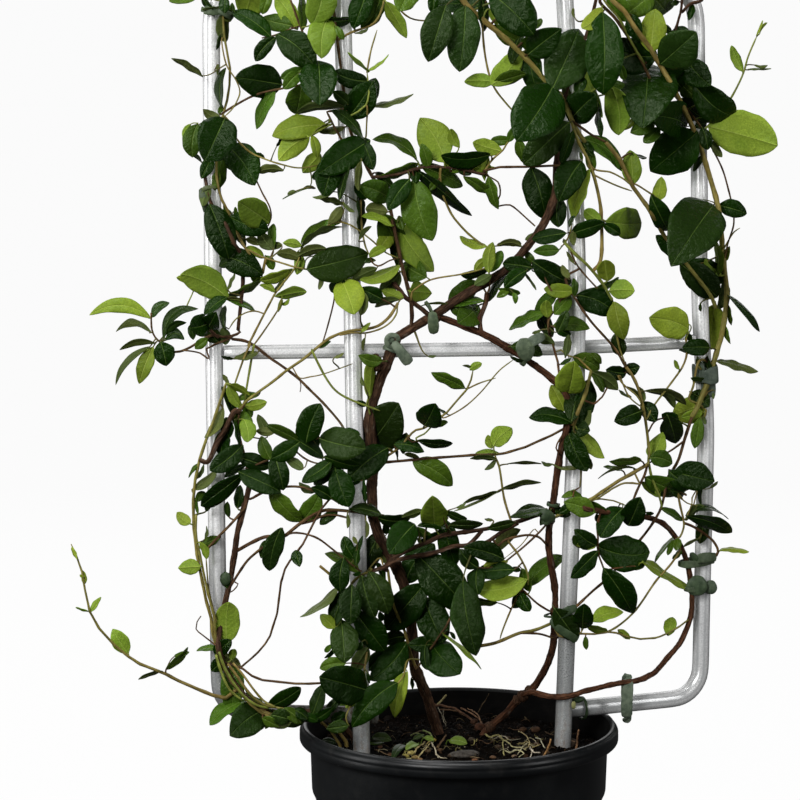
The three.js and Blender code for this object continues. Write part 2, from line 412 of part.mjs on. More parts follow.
    [3,1.1,1.1,23.7,-30,659.4,23.9,-30,657.8],
    [3,1.1,1.1,197.6,3.2,602.8,197.7,4.7,603.4],
    [3,1.1,1.1,157.6,-12.1,466.3,159,-11.5,466.7],
    [3,1.1,1.1,49.9,-23.2,300.6,49.9,-24.8,300.2],
    [3,1.1,1.1,168.3,-15.1,761,168.3,-15.1,759.3],
    [3,1.1,1.1,-82,-30.3,356.8,-82.7,-31,358.2],
    [3,1.1,1.1,12.7,-39.4,809,11.6,-39,807.7],
    [3,1.1,1.1,134.9,-20.1,526.3,136.3,-20.6,527.3],
    [3,1.1,1.1,151.5,-16.4,491.2,150.4,-15.3,490.3],
    [3,1.1,1.1,13.7,-34,684.9,13.9,-33,686.5],
    [3,1.1,1.1,16.5,-32,624.6,16.5,-34,624.5],
    [3,1.1,1.1,-45.5,-28,582.3,-45.8,-30,582.2],
    [3,1.1,1.1,-83,-39.9,261,-84.9,-40,260],
    [3,1.1,1.1,228.2,12.9,619.5,228.8,10.9,619.4],
    [3,1.1,1.1,208.2,11.3,487.3,209.3,13,486.5],
    [3,1.1,1.1,-48.3,-32.8,468.7,-48.6,-35,468.5],
    [3,1.1,1.1,138.8,-29.5,674.5,140.5,-28.8,675.8],
    [3,1.1,1.1,-6.7,-35.7,840.2,-8.2,-34,839.7],
    [3,1.1,1.1,155.1,-13.2,477.4,157.6,-13.1,478],
    [3,1.1,1.1,88,-34.7,622.2,86.3,-36,620.7],
    [3,1.14,1.14,185.5,-0.8,818.2,187.1,1,817.1],
    [3,1.1,1.1,-80.8,-31.2,495.7,-80.6,-28.2,496.2],
    [3,1.1,1.1,-66.9,-28.4,360.1,-64.7,-28,358],
    [3,1.1,1.1,185.2,-11.9,739.3,185.6,-8.9,740.7],
    [3,1.1,1.1,-91,-30.5,709.3,-94.4,-31,708],
    [3,1.1,1.1,-53.7,-28.9,617.6,-56.8,-31,616.8],
    [3,1.1,1.1,88.6,-36.5,691.8,88.4,-40.5,691.7],
    [3,1.1,1.1,-51.4,-26.8,585.7,-53.3,-30,584],
    [3,1.1,1.1,38.3,-34.7,396.6,37.2,-32,399.8],
    [3,1.1,1.1,13.8,-34,684.9,17.4,-32,683.2],
    [3,1.1,1.1,17.8,-23.6,595.7,18.3,-28.6,594.4],
    [3,1.1,1.1,-38.3,-10,269.5,-38.2,-4.7,271.2],
    [3,1.1,1.1,159.9,-11.6,444.8,161,-8.8,440],
    [3,1.1,1.1,210.3,-0.2,722.7,206.3,-1.4,718.5],
    [3,1.14,1.14,-76.3,-21,447.3,-72.7,-26,447.4],
    [3,1.1,1.1,61.7,-31.1,611.3,55.5,-31,609.1],
    [3,1.1,1.1,68.3,-30.4,402.8,69.7,-30.4,396.2],
    [3,1.1,1.1,108.4,-37.6,832.1,112.5,-42.7,834.5],
    [3,1.1,1.1,208,11.2,486.8,199.2,8,491.6],
    [3,1.1,1.1,89.2,-32.8,586.4,77.8,-34,581],
    [3,1.1,1.1,-33.7,-17.4,279.2,-47.3,-24,280.6],
    [3,1.1,1.1,92.8,-28.6,321.4,73.3,-24,307.4],
    [3,1,1,-71.4,-19.5,387.1,-75.6,-34.2,384.7],
    [3,1,1,-45.4,-7.3,328,-29.6,-14.3,323.6],
    [3,1,1,-23,-35,807.7,-23,-42.6,812.3],
    [3,1,1,-98.3,-31.4,710.9,-110.1,-37,692.7],
    [3,1,1,-67.5,-35.2,834.1,-85,-39.9,830.4],
    [3,1,1,-45.8,-7.8,329.9,-38.8,-16.9,336.1],
    [3,1,1,-37.3,-35.3,380.4,-46.5,-45.8,395.8],
    [3,1,1,-101.2,-32.1,341.3,-88.1,-37.5,318.8],
    [3,1,1,2.4,-38.1,818,20.3,-57.3,825.2],
    [3,1,1,-109.5,-32.1,724.8,-133.6,-40.3,711.2],
    [3,1,1,-101.2,-32.1,341.3,-106.4,-48.8,316.2],
    [3,1,1,187,1.2,834.1,156.7,-9.6,829.6],
    [3,1,1,5.6,-39,378.2,-0.6,-51.1,339.7],
    [3,1,1,186.6,0.7,830,160.5,-8,827.6],
    [3,1,1,186.3,0.2,826.2,141.1,-31.4,843.7],
    [3,1,1,186.6,0.7,830,158.9,-13.7,845.1],
    [3,1,1,93.1,-40.7,723.2,118.5,-38.6,748.3],
    [3,1,1,3.8,-38.3,816.8,35.5,-61.3,838.4],
    [3,1,1,15.9,-39.8,806.3,48,-67.2,838.2],
    [3,1,1,68.7,-42.3,755.7,84.6,12,771.3],
    [3,1,1,192.6,1.4,608.5,210.8,56.7,592.7],
  ],
  right_plant: [
    [5,3.05,2.88,23.6,24,177,23.6,24,203,43.5,16.5,222.2,52.3,10.9,234.8,65.4,3.2,247.6,73.6,-4.6,265.2,78.2,-12.1,284.3,79.5,-12.4,294.6,77.9,-18.9,306.4,78.1,-21.2,322.9,71.7,-24.2,383.3,81.2,-30,458.9,83.9,-32.9,472.7,86.1,-30,491.5,81.7,-30,506.6],
    [5,3.21,2.88,81.7,-30,506.6,64,-27.1,522.2,36,-23.4,541.3,17.1,-22.9,551.9,-15.1,-20.1,565.3],
    [4,2.2,2.03,13.7,-23,553.6,13,-22.1,565.9,19,-21.2,586.5],
    [5,2.45,2.28,52.9,-8,243.6,60.1,-14.8,247.5,73.7,-24.3,245.2,89.7,-29.2,246.2,128.2,-18.9,252.5,158.2,-7.7,253.9,173,1.4,259.5,189.8,10.1,274.2,197.5,12.6,283.6,204.7,14.4,301.7,205.8,14.6,320.8,201.7,13.7,346.4,192.9,11.4,367.1,181.4,6.6,381.8,166.9,-0.7,390.5,146.9,-14.5,396.7,100.9,-31.5,405.7],
    [3,1.1,1.02,68.4,-31.2,566,69.2,-33,555.3,70.8,-28.4,551.6,72.4,-32.7,543.7,81.3,-32,506],
    [3,1.69,1.52,158.3,-15.4,440.1,156,-13.7,438.2,132.7,-22.3,428.1,101,-28.7,410.5,75.7,-30,399.3],
    [3,1,0.9,150.5,-19.7,423.9,133.5,-23.4,424.7,105.6,-29.3,411.2],
    [3,1.1,0.93,188.1,-1.9,411.7,194.8,2.5,385,191.4,2.5,373.9,185.9,1.3,370.7],
    [3,1.27,1.18,194.9,3,385.8,224.4,15.7,367,228.8,18,360.2,227.9,19.2,353.5],
    [3,1,0.9,207.3,8.1,413.2,195.8,3.2,389.2],
    [3,1,0.9,192.5,1.4,406.8,208.1,7.3,399.5],
    [3,1.02,0.93,191.7,3.2,366.8,186.1,1.3,354.3,147.2,-17.1,314,119.4,-25.9,298.7],
    [3,1,0.9,198.8,4.9,394.9,203.6,6.1,389.4],
    [3,1.02,0.9,114.5,-28.1,402.3,112.2,-30.6,372.8,119,-29,351.4],
    [3,1,0.9,96.8,-30.5,410.7,118.8,-27.6,413.1,138.5,-24.1,406.1],
    [3,1,0.9,119,-29,353.1,150.1,-17.5,353.5],
    [3,1.02,0.9,80.3,-28,297.8,95.9,-30.8,299.6,122.5,-27,299.6,149.2,-18,291.3,175.2,-1.9,289.4,201.8,11.7,299.7],
    [3,1.02,0.93,79.3,-28,316.6,93.6,-32.9,323.1,101.1,-29.7,328.2],
    [3,1,0.9,97,-33.5,300.1,106,-31.2,308.7],
    [3,1,0.9,34.9,-32,340.7,40.9,-32,337.2,48.5,-32,338.7],
    [3,1.02,0.9,74.5,-26,318,48.7,-31,338.5],
    [3,1,0.9,45.3,-31,335.2,29.9,-28,296.8],
    [3,1.69,1.44,90.6,-33,477.6,104.3,-34.7,521.8],
    [3,1,0.9,107.5,-32.9,494,118.8,-31,506.9],
    [3,1,0.9,78.9,-33,451.9,75.4,-33.5,457.9,81.3,-33,469.4],
    [3,1,0.9,93.5,-33.4,532.6,79.1,-33,539.5],
    [3,1,0.9,92.5,-30.6,406.6,90.5,-31.7,417.6,96.7,-30.6,424.2],
    [3,1.1,1.1,202,4.7,402.2,202.3,6.3,402.2],
    [3,1.1,1.1,48.5,-32,338.7,48.7,-31,338.5],
    [3,1.1,1.1,102.1,-28.5,411.1,102.2,-29.8,411.3],
    [3,1.1,1.1,92.4,-29.1,406.7,92.5,-30.6,406.6],
    [3,1.1,1.1,120.1,-25.7,299.1,120.3,-27.3,299.6],
    [3,1.1,1.1,193.9,1.9,388.5,195.8,3.2,389.2],
    [3,1.1,1.1,96.6,-30.7,299.6,97,-33.5,300.1],
    [3,1.1,1.1,44.8,-32,338,45.3,-31,335.2],
    [3,1.1,1.1,203.5,14.1,298.8,201.8,11.7,299.7],
    [3,1.37,1.37,73.8,-25.5,399.9,75.7,-30,399.3],
    [3,1.4,1.4,100.9,-31.5,405.7,99,-28.8,409.6],
    [3,1.1,1.1,79.3,-28,316.6,74.5,-26,318],
    [3,1.1,1.1,73.7,-32.6,538.2,79.1,-33,539.5],
    [3,1.52,1.52,84.5,-32.1,478.2,90.6,-33,477.6],
    [3,1.1,1.1,188.7,1.9,372.4,191.7,3.2,366.8],
    [3,1.1,1.1,78,-20.6,318.7,74.5,-26,318],
    [3,1.1,1.1,96.7,-33.8,497.3,107.5,-32.9,494],
    [3,1,1,143,-15.9,397.5,139.5,-32.5,395.6],
    [3,1,1,112.5,-30.3,376.8,138.9,25.5,362.9],
  ],
  left_plant: [
    [5,2.54,2.54,-87.2,32,177,-87.2,32,203,-98.5,23.8,218,-108.2,13.6,228.1,-113.2,9,231.6,-121.5,5.3,223.9,-126.6,-16.2,228.9,-150,-18.1,237.3,-169,-16.4,241.3,-182.3,-15.8,251.7,-193,-15.9,265,-199.5,-15.1,276.9,-204.4,-15,292.1,-204.8,-15,304.3,-194.1,-16,352.4,-188.1,-16,392,-176.9,-16.3,435.8],
    [3,1.61,1.27,-94.9,12,177,-94.9,12,203,-115.2,1.9,224.5,-119.5,-14.2,230,-134,-14.6,237.2,-152.1,-21.9,236.1,-166.3,-22.3,239.3,-187.7,-20.9,257.5,-205.3,-20,290.3,-222.2,-19.9,373.4,-225,-19,414.9,-220.4,-18.6,448.1,-197,-17,514.1],
    [3,1.35,1.1,-101.6,0,177,-101.6,0,203,-112.5,-6.1,220.6,-122,-13.8,230,-145.3,-28.2,237.3,-167.2,-30.2,239.1,-191.8,-26.5,263.4,-206.7,-24,294.2,-208.9,-23,323.4,-222.6,-22,386.8,-222.8,-21,406.9],
    [3,1.18,1.02,-177.8,-16.2,418.3,-157.5,-25.8,427.9,-138.6,-36.1,430.5,-118.4,-39.6,424.1,-103.7,-40,415.3],
    [3,1.27,1.1,-181.4,-18,412.9,-213,-19,378.8],
    [3,1.61,1.44,-189.7,-16,375.2,-170.6,-24.1,386.3,-148.6,-35.4,392.1,-138.1,-37.2,400.8,-120.5,-35.5,410.1,-68.9,-34,404.4],
    [3,1.1,0.93,-138.7,-35.8,399.8,-117.2,-37,406.7,-99.2,-37,404],
    [3,1.18,1.1,-194.9,-16,345.1,-180.5,-22.8,368.6,-168.6,-28.6,380.2],
    [3,1,0.9,-152.6,-34.3,389.9,-139.7,-37.3,392.5,-126.6,-37.6,388.9,-89.7,-40,360.1],
    [3,1.02,0.93,-114.4,-40,420.6,-150.8,-31,361.7,-162.6,-21.9,304.1,-172.2,-18.6,290.1,-187.2,-17,276.9],
    [3,1.1,1.02,-197.1,-17,281.4,-169.8,-26.1,268.2,-140.2,-43.9,267.8,-107.6,-48,267.6],
    [3,1,0.9,-201.9,-16,292.3,-223.6,-19.8,311.5,-219.4,-20,322.3],
    [3,1,0.9,-207,-20,316.9,-214.7,-18,371.2],
    [3,1,0.9,-188.4,-18,347.9,-194.1,-16,340.9],
    [3,1.69,0.9,-199.4,-22,253.1,-219.9,-22.6,260.2,-267.6,-33,284.9,-293.5,-39.7,306.2,-311.1,-43.8,333.2,-317,-42.6,366,-325.4,-40,388.8],
    [3,1.27,1.02,-184.9,-14,556.4,-195.6,-15.1,552.6,-207.3,-16.8,554.5,-234.7,-23.4,542.1,-245.5,-26.9,543.8,-251.3,-30,551.6],
    [3,1,0.9,-251.3,-30,550.7,-257.7,-31,560.7,-258.4,-32,574.6],
    [3,1,0.9,-210.9,-20,535.2,-218.4,-21.8,540.4,-233.3,-26,543.2],
    [3,1.02,0.9,-191.6,-15,551.7,-213.3,-20,543.5],
    [3,1.52,1.27,-203.2,-17,552.8,-212.3,-20,562.3],
    [3,1.27,0.93,-166.8,-16.3,603.1,-199.1,-17.8,664.5,-203.4,-18,684.5,-192.2,-17,757.3,-197,-17,815.5,-189.6,-18,856.8],
    [3,1.69,1.44,-186.5,-14,558.1,-182.4,-15.8,597.1,-183.8,-16.8,618.6,-208.9,-18,664.3,-212.7,-18,683.6,-211,-18,700.9],
    [3,1.02,0.9,-198.5,-17,733.8,-172.2,-21.1,749,-140.9,-32.7,756.5,-120.7,-34,757.9],
    [3,1,0.9,-198.2,-19,794.7,-195,-19.9,773.7,-184.1,-19.9,751.5,-190.1,-19.5,738.2,-197.9,-19,730.7],
    [3,1,0.9,-197,-18,732.2,-187.5,-19.6,714.4,-173.3,-20.9,701.4,-140.9,-30.5,690.8,-122.2,-31,692.8],
    [3,1,0.9,-174.8,-20.5,691.9,-160.6,-23.2,658,-162.2,-21.9,643.3],
    [3,1.02,0.9,-118.9,-32,756.3,-152.4,-25.2,858.3],
    [3,1,0.9,-136.3,-30.8,804.2,-166.5,-25.3,794.7],
    [3,1,0.9,-178.2,-17.1,623.7,-141.9,-29.3,610.3,-112.7,-31,606],
    [3,1.02,0.9,-178.5,-15.1,544.9,-156.3,-24.8,589.7,-137.2,-30.8,619.3],
    [3,1,0.9,-174.4,-14.6,544.8,-154.6,-24,575.1,-151.5,-26.1,585.7],
    [3,1,0.9,-164.9,-20.1,571.4,-181,-17.1,572.2,-194.1,-16,559.2],
    [3,1,0.9,-109.4,-31,606,-109.3,-29.9,583,-118,-25.4,548.3],
    [3,1.35,1.02,-191.5,-14,550.7,-173.8,-15.8,545.5,-137.2,-27.2,517.5,-102.3,-30.4,478.5,-98.3,-31,467.8],
    [3,1,0.9,-137.3,-27.9,517.6,-137.4,-28.8,507.9],
    [3,1.02,0.9,-177,-16.2,546.6,-190.4,-17,512.4],
    [3,1.1,0.93,-173.8,-16.7,545.8,-180.5,-16.2,507.2,-181.1,-12.8,496],
    [5,2.54,2.2,-190.1,-21,492.2,-213.3,-20,450.4],
    [3,1.18,0.9,-176.9,-16.3,434.2,-187.3,-18.9,477.4,-181.9,-21.4,497.9],
    [3,1,0.9,-181.2,-19,444.6,-140.1,-36.4,467.7,-122.2,-38,470.9],
    [3,1,0.9,-145.1,-36.6,464.5,-129,-38.8,451.3,-104.2,-38,445.7],
    [3,1,0.9,-177.8,-17.2,436,-186.2,-19,439.8],
    [3,1.1,1.1,-124.5,-37.8,404.4,-124.5,-36.3,404.2],
    [3,1.1,1.1,-113.9,-40.9,421.4,-114.4,-38.8,420.6],
    [3,1.1,1.1,-196.8,-19.1,731.7,-196.7,-18,731.7],
    [3,1.1,1.1,-139.1,-37,400,-138.7,-35.8,399.8],
    [3,1.1,1.1,-150,-34.7,391.7,-149.9,-34.9,390.5],
    [3,1.1,1.1,-191.6,-15,551.7,-191.5,-14,550.7],
    [3,1.14,1.14,-185.8,-14.1,556.1,-186.5,-14,558.1],
    [3,1.1,1.1,-192.4,-14.8,553.8,-191.6,-15,551.7],
    [3,1.1,1.1,-144.6,-34.5,465.2,-145.1,-36.6,464.5],
    [3,1.1,1.1,-120.7,-34,757.9,-119.5,-31.9,758.2],
    [3,1.1,1.1,-196.5,-15.8,341.4,-194.1,-16,340.9],
    [3,1.1,1.1,-179.6,-17,445.4,-180.4,-19.3,445],
    [3,1.1,1.1,-134.8,-28.8,804.6,-136.3,-30.8,804.2],
    [3,1.1,1.1,-232.5,-22.9,543.1,-231.8,-25.6,542.9],
    [3,1.1,1.1,-187.2,-17,276.9,-188.1,-20,277.1],
    [3,1.1,1.1,-112.7,-31,606,-109.4,-31,606],
    [3,1.1,1.1,-208.9,-23,323.4,-207.9,-19.8,323.4],
    [3,1.17,1.17,-218.9,-18.5,452.3,-213.3,-20,450.4],
    [3,1.1,1.1,-197,-17,514.1,-190.4,-17,512.4],
    [3,1.1,1.1,-172.1,-21.3,701,-174.8,-20.5,691.9],
    [3,1.27,1.27,-188.5,-20.9,258.9,-199.4,-22,253.1],
    [3,1,1,-187.6,-17,625.6,-193.5,-22.3,616],
    [3,1,1,-145.7,-26.6,837.8,-167.6,-15.5,836.6],
  ],
};
// Leaf blades: [where it leaves its stem x, y, z, tip x, y, z, where it is widest (0 to 1), half width, width direction x, y, z].
const LEAVES = {
  middle_plant: [
    [85,-42,727.9,96.9,-73.7,746.8,0.53,11.5,-0.69,0.162,0.705],
    [112.9,-24.5,850.3,125.7,-47.1,870.3,0.46,11.8,-0.75,0.146,0.645],
    [187.6,2.2,841.9,162.4,-33.8,858.3,0.5,10.6,-0.724,0.206,-0.659],
    [-58.6,-37.3,263.5,-97.9,-49.3,229.7,0.49,12.1,0.674,-0.261,-0.691],
    [116.3,-23.7,864.9,95.4,-49.1,884.4,0.53,9,-0.79,0.207,-0.577],
    [116.3,-23.7,864.9,134,-18.4,887.9,0.44,9.1,-0.8,0.157,0.58],
    [-84.9,-40,260,-124.5,-71.3,278.5,0.51,13.6,-0.297,-0.179,-0.938],
    [210.3,-0.2,722.7,270.3,-0.1,706.6,0.48,17.9,0.259,-0.05,0.965],
    [183.3,1.5,431.3,219.1,-2.7,424.9,0.47,12.5,0.188,0.102,0.977],
    [189.1,4.5,860,171.8,-15.6,880.2,0.5,8.4,-0.842,0.238,-0.484],
    [220.8,12,572.5,219.3,16.8,534.8,0.47,10.4,0.961,-0.269,-0.072],
    [68.7,-42.3,755.7,91,-34.4,805.5,0.46,17,-0.907,0.19,0.377],
    [68.7,-42.3,755.7,30.5,-83.7,715.3,0.51,18.3,0.798,-0.172,-0.577],
    [-42.1,-26.6,449.2,-12.8,-32.8,425.4,0.46,10.4,0.631,0.014,0.775],
    [177.4,-3.1,477.2,190.4,15.9,453,0.4,9.3,0.92,-0.195,0.34],
    [-36.5,-34.3,478.5,-30.1,-65.9,498.9,0.5,10.5,-0.825,0.178,0.537],
    [169.2,-14.6,770.8,192.6,9.2,752.6,0.43,9.9,0.706,-0.166,0.688],
    [199.2,-8,757.6,237.6,5.1,732.5,0.46,14.4,0.576,-0.144,0.805],
    [188.5,3.6,852.7,201.5,-19,868.9,0.51,10.2,-0.678,0.128,0.724],
    [51.5,-35,347.5,5.6,-40,341.4,0.49,10.3,0.15,-0.218,-0.964],
    [151.1,-32.8,785.8,158.3,-28.7,819.6,0.46,9.6,-0.956,0.237,0.174],
    [-82.5,-30.3,356.5,-67.6,-41.9,324.6,0.49,9.2,0.886,0.368,0.281],
    [20.1,-38.2,757.1,43.1,-29.9,785.3,0.47,9.5,-0.788,0.139,0.599],
    [92.2,-40.7,694.5,77.2,-41.7,666.1,0.47,10.4,0.868,-0.205,-0.451],
    [-81.4,-29,501.1,-78.8,-34.4,536.3,0.5,8,-0.66,-0.749,-0.064],
    [-96.4,-32.6,732.6,-79.7,-42.9,759.6,0.47,10.3,-0.824,0.117,0.555],
    [159.1,-19.3,665.5,174.5,-10.2,636.5,0.44,8.9,0.891,-0.195,0.41],
    [197.6,-4.5,717.2,165.6,18.5,683.8,0.47,18.5,0.638,-0.192,-0.745],
    [-73.2,-35.1,391.3,-85.1,-30.6,358.2,0.48,8.4,0.674,-0.659,-0.333],
    [110.2,-25.2,838.6,83.6,-58.9,858.4,0.51,11.5,-0.742,0.211,-0.636],
    [233.1,16.8,579.1,268.2,19.3,548.5,0.49,8.5,0.28,0.877,0.391],
    [34.1,-34.4,365.1,-3.4,-47,378.2,0.51,8.4,-0.09,-0.575,-0.813],
    [-41.1,-35.7,839.5,-58.2,-62.3,814.9,0.49,11,0.867,-0.106,-0.488],
    [191.9,-8.8,774.1,204.9,-31,758.5,0.55,9.6,0.645,-0.146,0.75],
    [-39.2,-36,370.9,3.6,-51.2,324.4,0.47,16.7,0.731,0.428,0.532],
    [-99.6,-31,742.8,-139.2,-24.6,734.6,0.49,9.7,0.22,0.906,-0.362],
    [-53.6,-31.4,271.1,-60.6,-22.7,231.3,0.47,9.2,0.555,-0.787,-0.27],
    [90.9,-33.1,582.7,122.3,-42.7,566.3,0.5,11.2,0.457,-0.023,0.889],
    [161.3,-26.6,773.1,181.9,-58.6,796.5,0.54,14,-0.646,0.133,0.751],
    [52.1,-35,344.2,81.9,-34.1,368.6,0.5,8.9,-0.379,0.817,0.434],
    [95.4,-36.8,713.7,135.4,-21.4,685.4,0.5,10.1,0.257,0.648,0.717],
    [51.6,-35,691.2,60.9,-44.4,649.2,0.52,12,0.951,-0.18,0.252],
    [192.6,1.4,608.5,227.9,15.8,588.6,0.47,10.2,0.518,-0.094,0.85],
    [101.5,-37.4,688.7,86.1,-36.1,646.9,0.5,10.4,0.477,-0.855,-0.204],
    [-86.5,-30.6,354.3,-77.5,-41.4,321.5,0.51,8.6,0.907,0.405,0.115],
    [148.4,-30,774.1,133,-88.2,731,0.49,20,0.974,-0.221,-0.049],
    [-69.7,-34.9,825.3,-47.8,-31.3,797.2,0.52,7.9,0.643,-0.641,0.419],
    [-133.9,-31,626.6,-100.7,-34.2,646.7,0.45,10.1,-0.283,-0.904,0.32],
    [209.3,13,486.5,195.1,32.2,474.9,0.43,10.2,0.396,-0.243,-0.886],
    [-84.8,-34,712.3,-121.6,-52.7,688,0.5,12.7,0.577,-0.076,-0.813],
    [55.5,-31,609.1,87.7,-26.7,594.4,0.46,8.3,0.421,-0.044,0.906],
    [153.7,-13.2,426.9,198.6,11.8,411.1,0.51,10.3,0.497,-0.409,0.765],
    [-82.8,-36,740.3,-44,-33.7,746.6,0.51,7.3,-0.098,0.963,0.252],
    [-67.8,-35.2,832.8,-87.5,-41.7,804.2,0.47,8.3,0.612,0.57,-0.549],
    [-52.1,-28.7,610.3,-86.6,-32.5,596.8,0.54,7.7,0.26,-0.866,-0.426],
    [222,8.7,655.9,171.8,-54.9,617.8,0.51,21.2,0.773,-0.263,-0.578],
    [-24.7,-31.8,298.2,-9.3,-58.5,276.7,0.49,12.6,0.792,-0.033,0.61],
    [-46.1,-11.1,292.2,-78.2,-27.7,265.4,0.53,10.2,0.694,-0.253,-0.674],
    [-106.7,-33.1,344,-137.2,-40.6,319,0.45,10.2,0.251,-0.968,-0.012],
    [-60.7,-30,456.7,-97.1,-46.8,439.4,0.53,11.3,0.502,-0.23,-0.834],
    [-23.1,-35.3,690,-30.9,-3,729.2,0.5,15.1,-0.926,0.18,-0.333],
    [-38.7,-34.9,689.8,-74,-36.9,682.3,0.5,7.6,0.057,0.861,-0.505],
    [-108.2,-31,809.5,-119,-53.4,779.4,0.5,10.9,0.961,-0.18,-0.211],
    [-42.3,-34.5,689.2,1.5,-43.2,648.8,0.51,14,0.208,-0.885,0.416],
    [0,-37.8,820.1,-10.5,-53.2,766.7,0.51,13.3,0.972,-0.188,-0.137],
    [114.1,-34.4,818.5,107.2,-56.8,753.9,0.52,15.1,0.761,-0.634,0.139],
    [-59.8,-29.6,643.8,-22.8,-26,605.5,0.48,12.1,0.721,-0.086,0.688],
    [112.1,-33,646.8,154.6,3.6,641.7,0.49,12.8,0.06,0.069,0.996],
    [85.4,-41.9,727.7,45.2,-42.7,691.6,0.53,12,0.621,0.355,-0.699],
    [192.6,1.4,608.5,220.6,4.6,578.6,0.45,10.9,0.732,-0.105,0.673],
    [-77.2,-21.2,461.8,-60.1,-53.3,500.4,0.49,15.3,-0.812,0.22,0.541],
    [24.4,-33.4,698.2,-21.8,-39,698.3,0.55,9.3,-0.091,0.744,-0.662],
    [-111.6,-32.1,729,-160.5,-33.8,719.6,0.54,11,0.167,-0.638,-0.752],
    [194.3,1.8,544.4,156.4,-31.2,564.8,0.49,12.8,-0.436,-0.056,-0.898],
    [194,-6.6,724,151,-55.4,730.4,0.54,13,-0.26,0.104,-0.96],
    [149.7,-15.6,501.2,197.5,18.1,487.9,0.54,6.5,0.603,-0.726,0.332],
    [44.5,-42,779.7,71.9,-62.2,801.1,0.57,10.4,-0.561,0.109,0.821],
    [-38.7,-34.9,689.8,-78.9,-31.3,714.4,0.54,10.3,-0.317,-0.863,-0.392],
    [88.7,-29.7,769.1,112.9,-33.1,730.1,0.54,10.2,0.625,0.71,0.325],
    [-49.2,-33.8,688,-32.2,-52.8,630.2,0.57,15.9,0.941,-0.121,0.316],
    [-22.7,-37.8,387.1,-36,-67.6,426.3,0.58,11.1,-0.964,0.204,-0.171],
    [-32.4,-15.2,331,-18.1,-10.6,293.8,0.48,11.8,0.933,-0.079,0.351],
    [-19.8,-40.1,821.1,-35.6,-52.6,777.1,0.48,11,0.943,-0.151,-0.296],
    [-108.1,-35.7,698.6,-118,-42.3,669.1,0.48,9.5,0.949,-0.129,-0.288],
    [-82.3,-39.4,836.8,-95.7,-42,804.9,0.48,8.6,0.919,-0.116,-0.376],
    [-32.9,-17.8,343.4,-62.6,-13.2,306.8,0.48,12.3,0.738,-0.24,-0.63],
    [-41.9,-42.7,400.1,-65,-58.1,378.5,0.48,10.5,0.743,-0.224,-0.631],
    [-92.9,-38.4,325.5,-69,-34.1,291.9,0.48,10,0.814,0.009,0.581],
    [14.5,-53.5,831.3,43.6,-72.5,800.8,0.48,14.3,0.669,-0.145,0.729],
    [-128.6,-37.5,714.8,-153.7,-51.7,696.9,0.48,10.3,0.612,-0.091,-0.786],
    [-106.3,-45.7,322.4,-106.8,-61.2,291.4,0.48,11.1,0.992,-0.118,0.045],
    [161.5,-8.4,833.2,137.4,-14.4,815,0.48,9.6,0.618,-0.13,-0.775],
    [-3,-50,352,8.8,-55.5,290.6,0.48,15.5,0.819,0.564,0.106],
    [155.8,-14.3,830.6,179.2,17,815.8,0.48,9.5,0.695,-0.191,0.693],
    [144.6,-25.2,839.1,127,-55.9,862,0.48,10.7,-0.895,0.229,-0.382],
    [155.7,-14.5,839.5,171.6,-10.6,867.4,0.48,10.5,-0.864,0.197,0.463],
    [116.7,-40.9,756.2,125.6,-29.4,716.9,0.48,11.2,0.963,-0.221,0.154],
    [38.4,-56.8,834.4,24.2,-79.1,854.1,0.48,9.4,-0.885,0.187,-0.426],
    [45.3,-62.9,834.3,58.7,-84.4,854.1,0.48,10.2,-0.751,0.13,0.647],
    [79.9,7.8,764.9,103.5,28.7,797,0.48,10.2,0.848,-0.356,-0.392],
    [203.5,50.6,596.5,240,81.3,577.3,0.48,7.7,-0.687,0.464,-0.559],
  ],
  right_plant: [
    [113.4,-30.3,369.1,87.1,-45.9,349.5,0.52,7.8,0.544,0.129,-0.829],
    [90.6,-33,477.6,107.6,-23.9,513,0.47,9.6,-0.82,-0.319,0.475],
    [201.4,5.6,391.9,237.5,7,371,0.45,10.4,0.394,-0.661,0.638],
    [119,-29,353.1,140.2,-31.9,312.1,0.46,12.5,0.88,-0.105,0.463],
    [82.8,-30,502.8,82.5,-64.6,532,0.53,11.4,-0.955,0.196,0.221],
    [112.5,-30.3,376.8,160.5,-20.5,366.6,0.49,14.4,0.174,0.152,0.973],
    [90.6,-33,477.6,54.4,-27.9,486,0.52,8.7,-0.249,-0.741,-0.623],
    [134.4,-24.8,407.6,109,-56.5,386.1,0.56,10.4,0.791,-0.257,-0.555],
    [68.4,-31.2,566,36.8,-21,554.7,0.49,8.4,-0.035,-0.789,-0.614],
    [15.2,-21.8,573.3,-7.4,-43.4,564.8,0.5,8.9,0.566,-0.289,-0.772],
    [90.6,-33,477.6,116.4,-32.6,447.7,0.57,8.3,0.617,0.574,0.539],
    [138.3,-29.1,390.8,144.3,-46,414.6,0.48,9.2,-0.865,0.279,0.416],
    [130.6,20.8,364.8,172,44.2,355.4,0.48,10.3,-0.258,0.067,-0.964],
  ],
  left_plant: [
    [-136.8,-33,756.8,-139.3,-10.7,732.8,0.48,9.4,0.973,-0.11,-0.203],
    [-163.6,-22.9,425,-137.6,-26.2,399.8,0.48,8.9,0.698,0.04,0.715],
    [-156.4,-27,752.8,-171.4,-20.9,721,0.47,8.6,0.536,-0.747,-0.394],
    [-132,-37.1,469.2,-125.4,-65.6,502.2,0.54,11.2,-0.938,0.149,0.313],
    [-195.5,-18.3,729.4,-213,-52.6,698,0.51,13.8,0.908,-0.086,-0.41],
    [-169.7,-29.8,241.6,-136.8,-33.8,231.6,0.47,8.5,0.163,-0.606,0.779],
    [-155.7,-27.3,798.1,-127.5,-43.8,770.7,0.51,11.8,0.666,-0.092,0.741],
    [-186.2,-19,439.8,-153.6,-37.9,428.6,0.51,8.8,0.548,0.596,0.587],
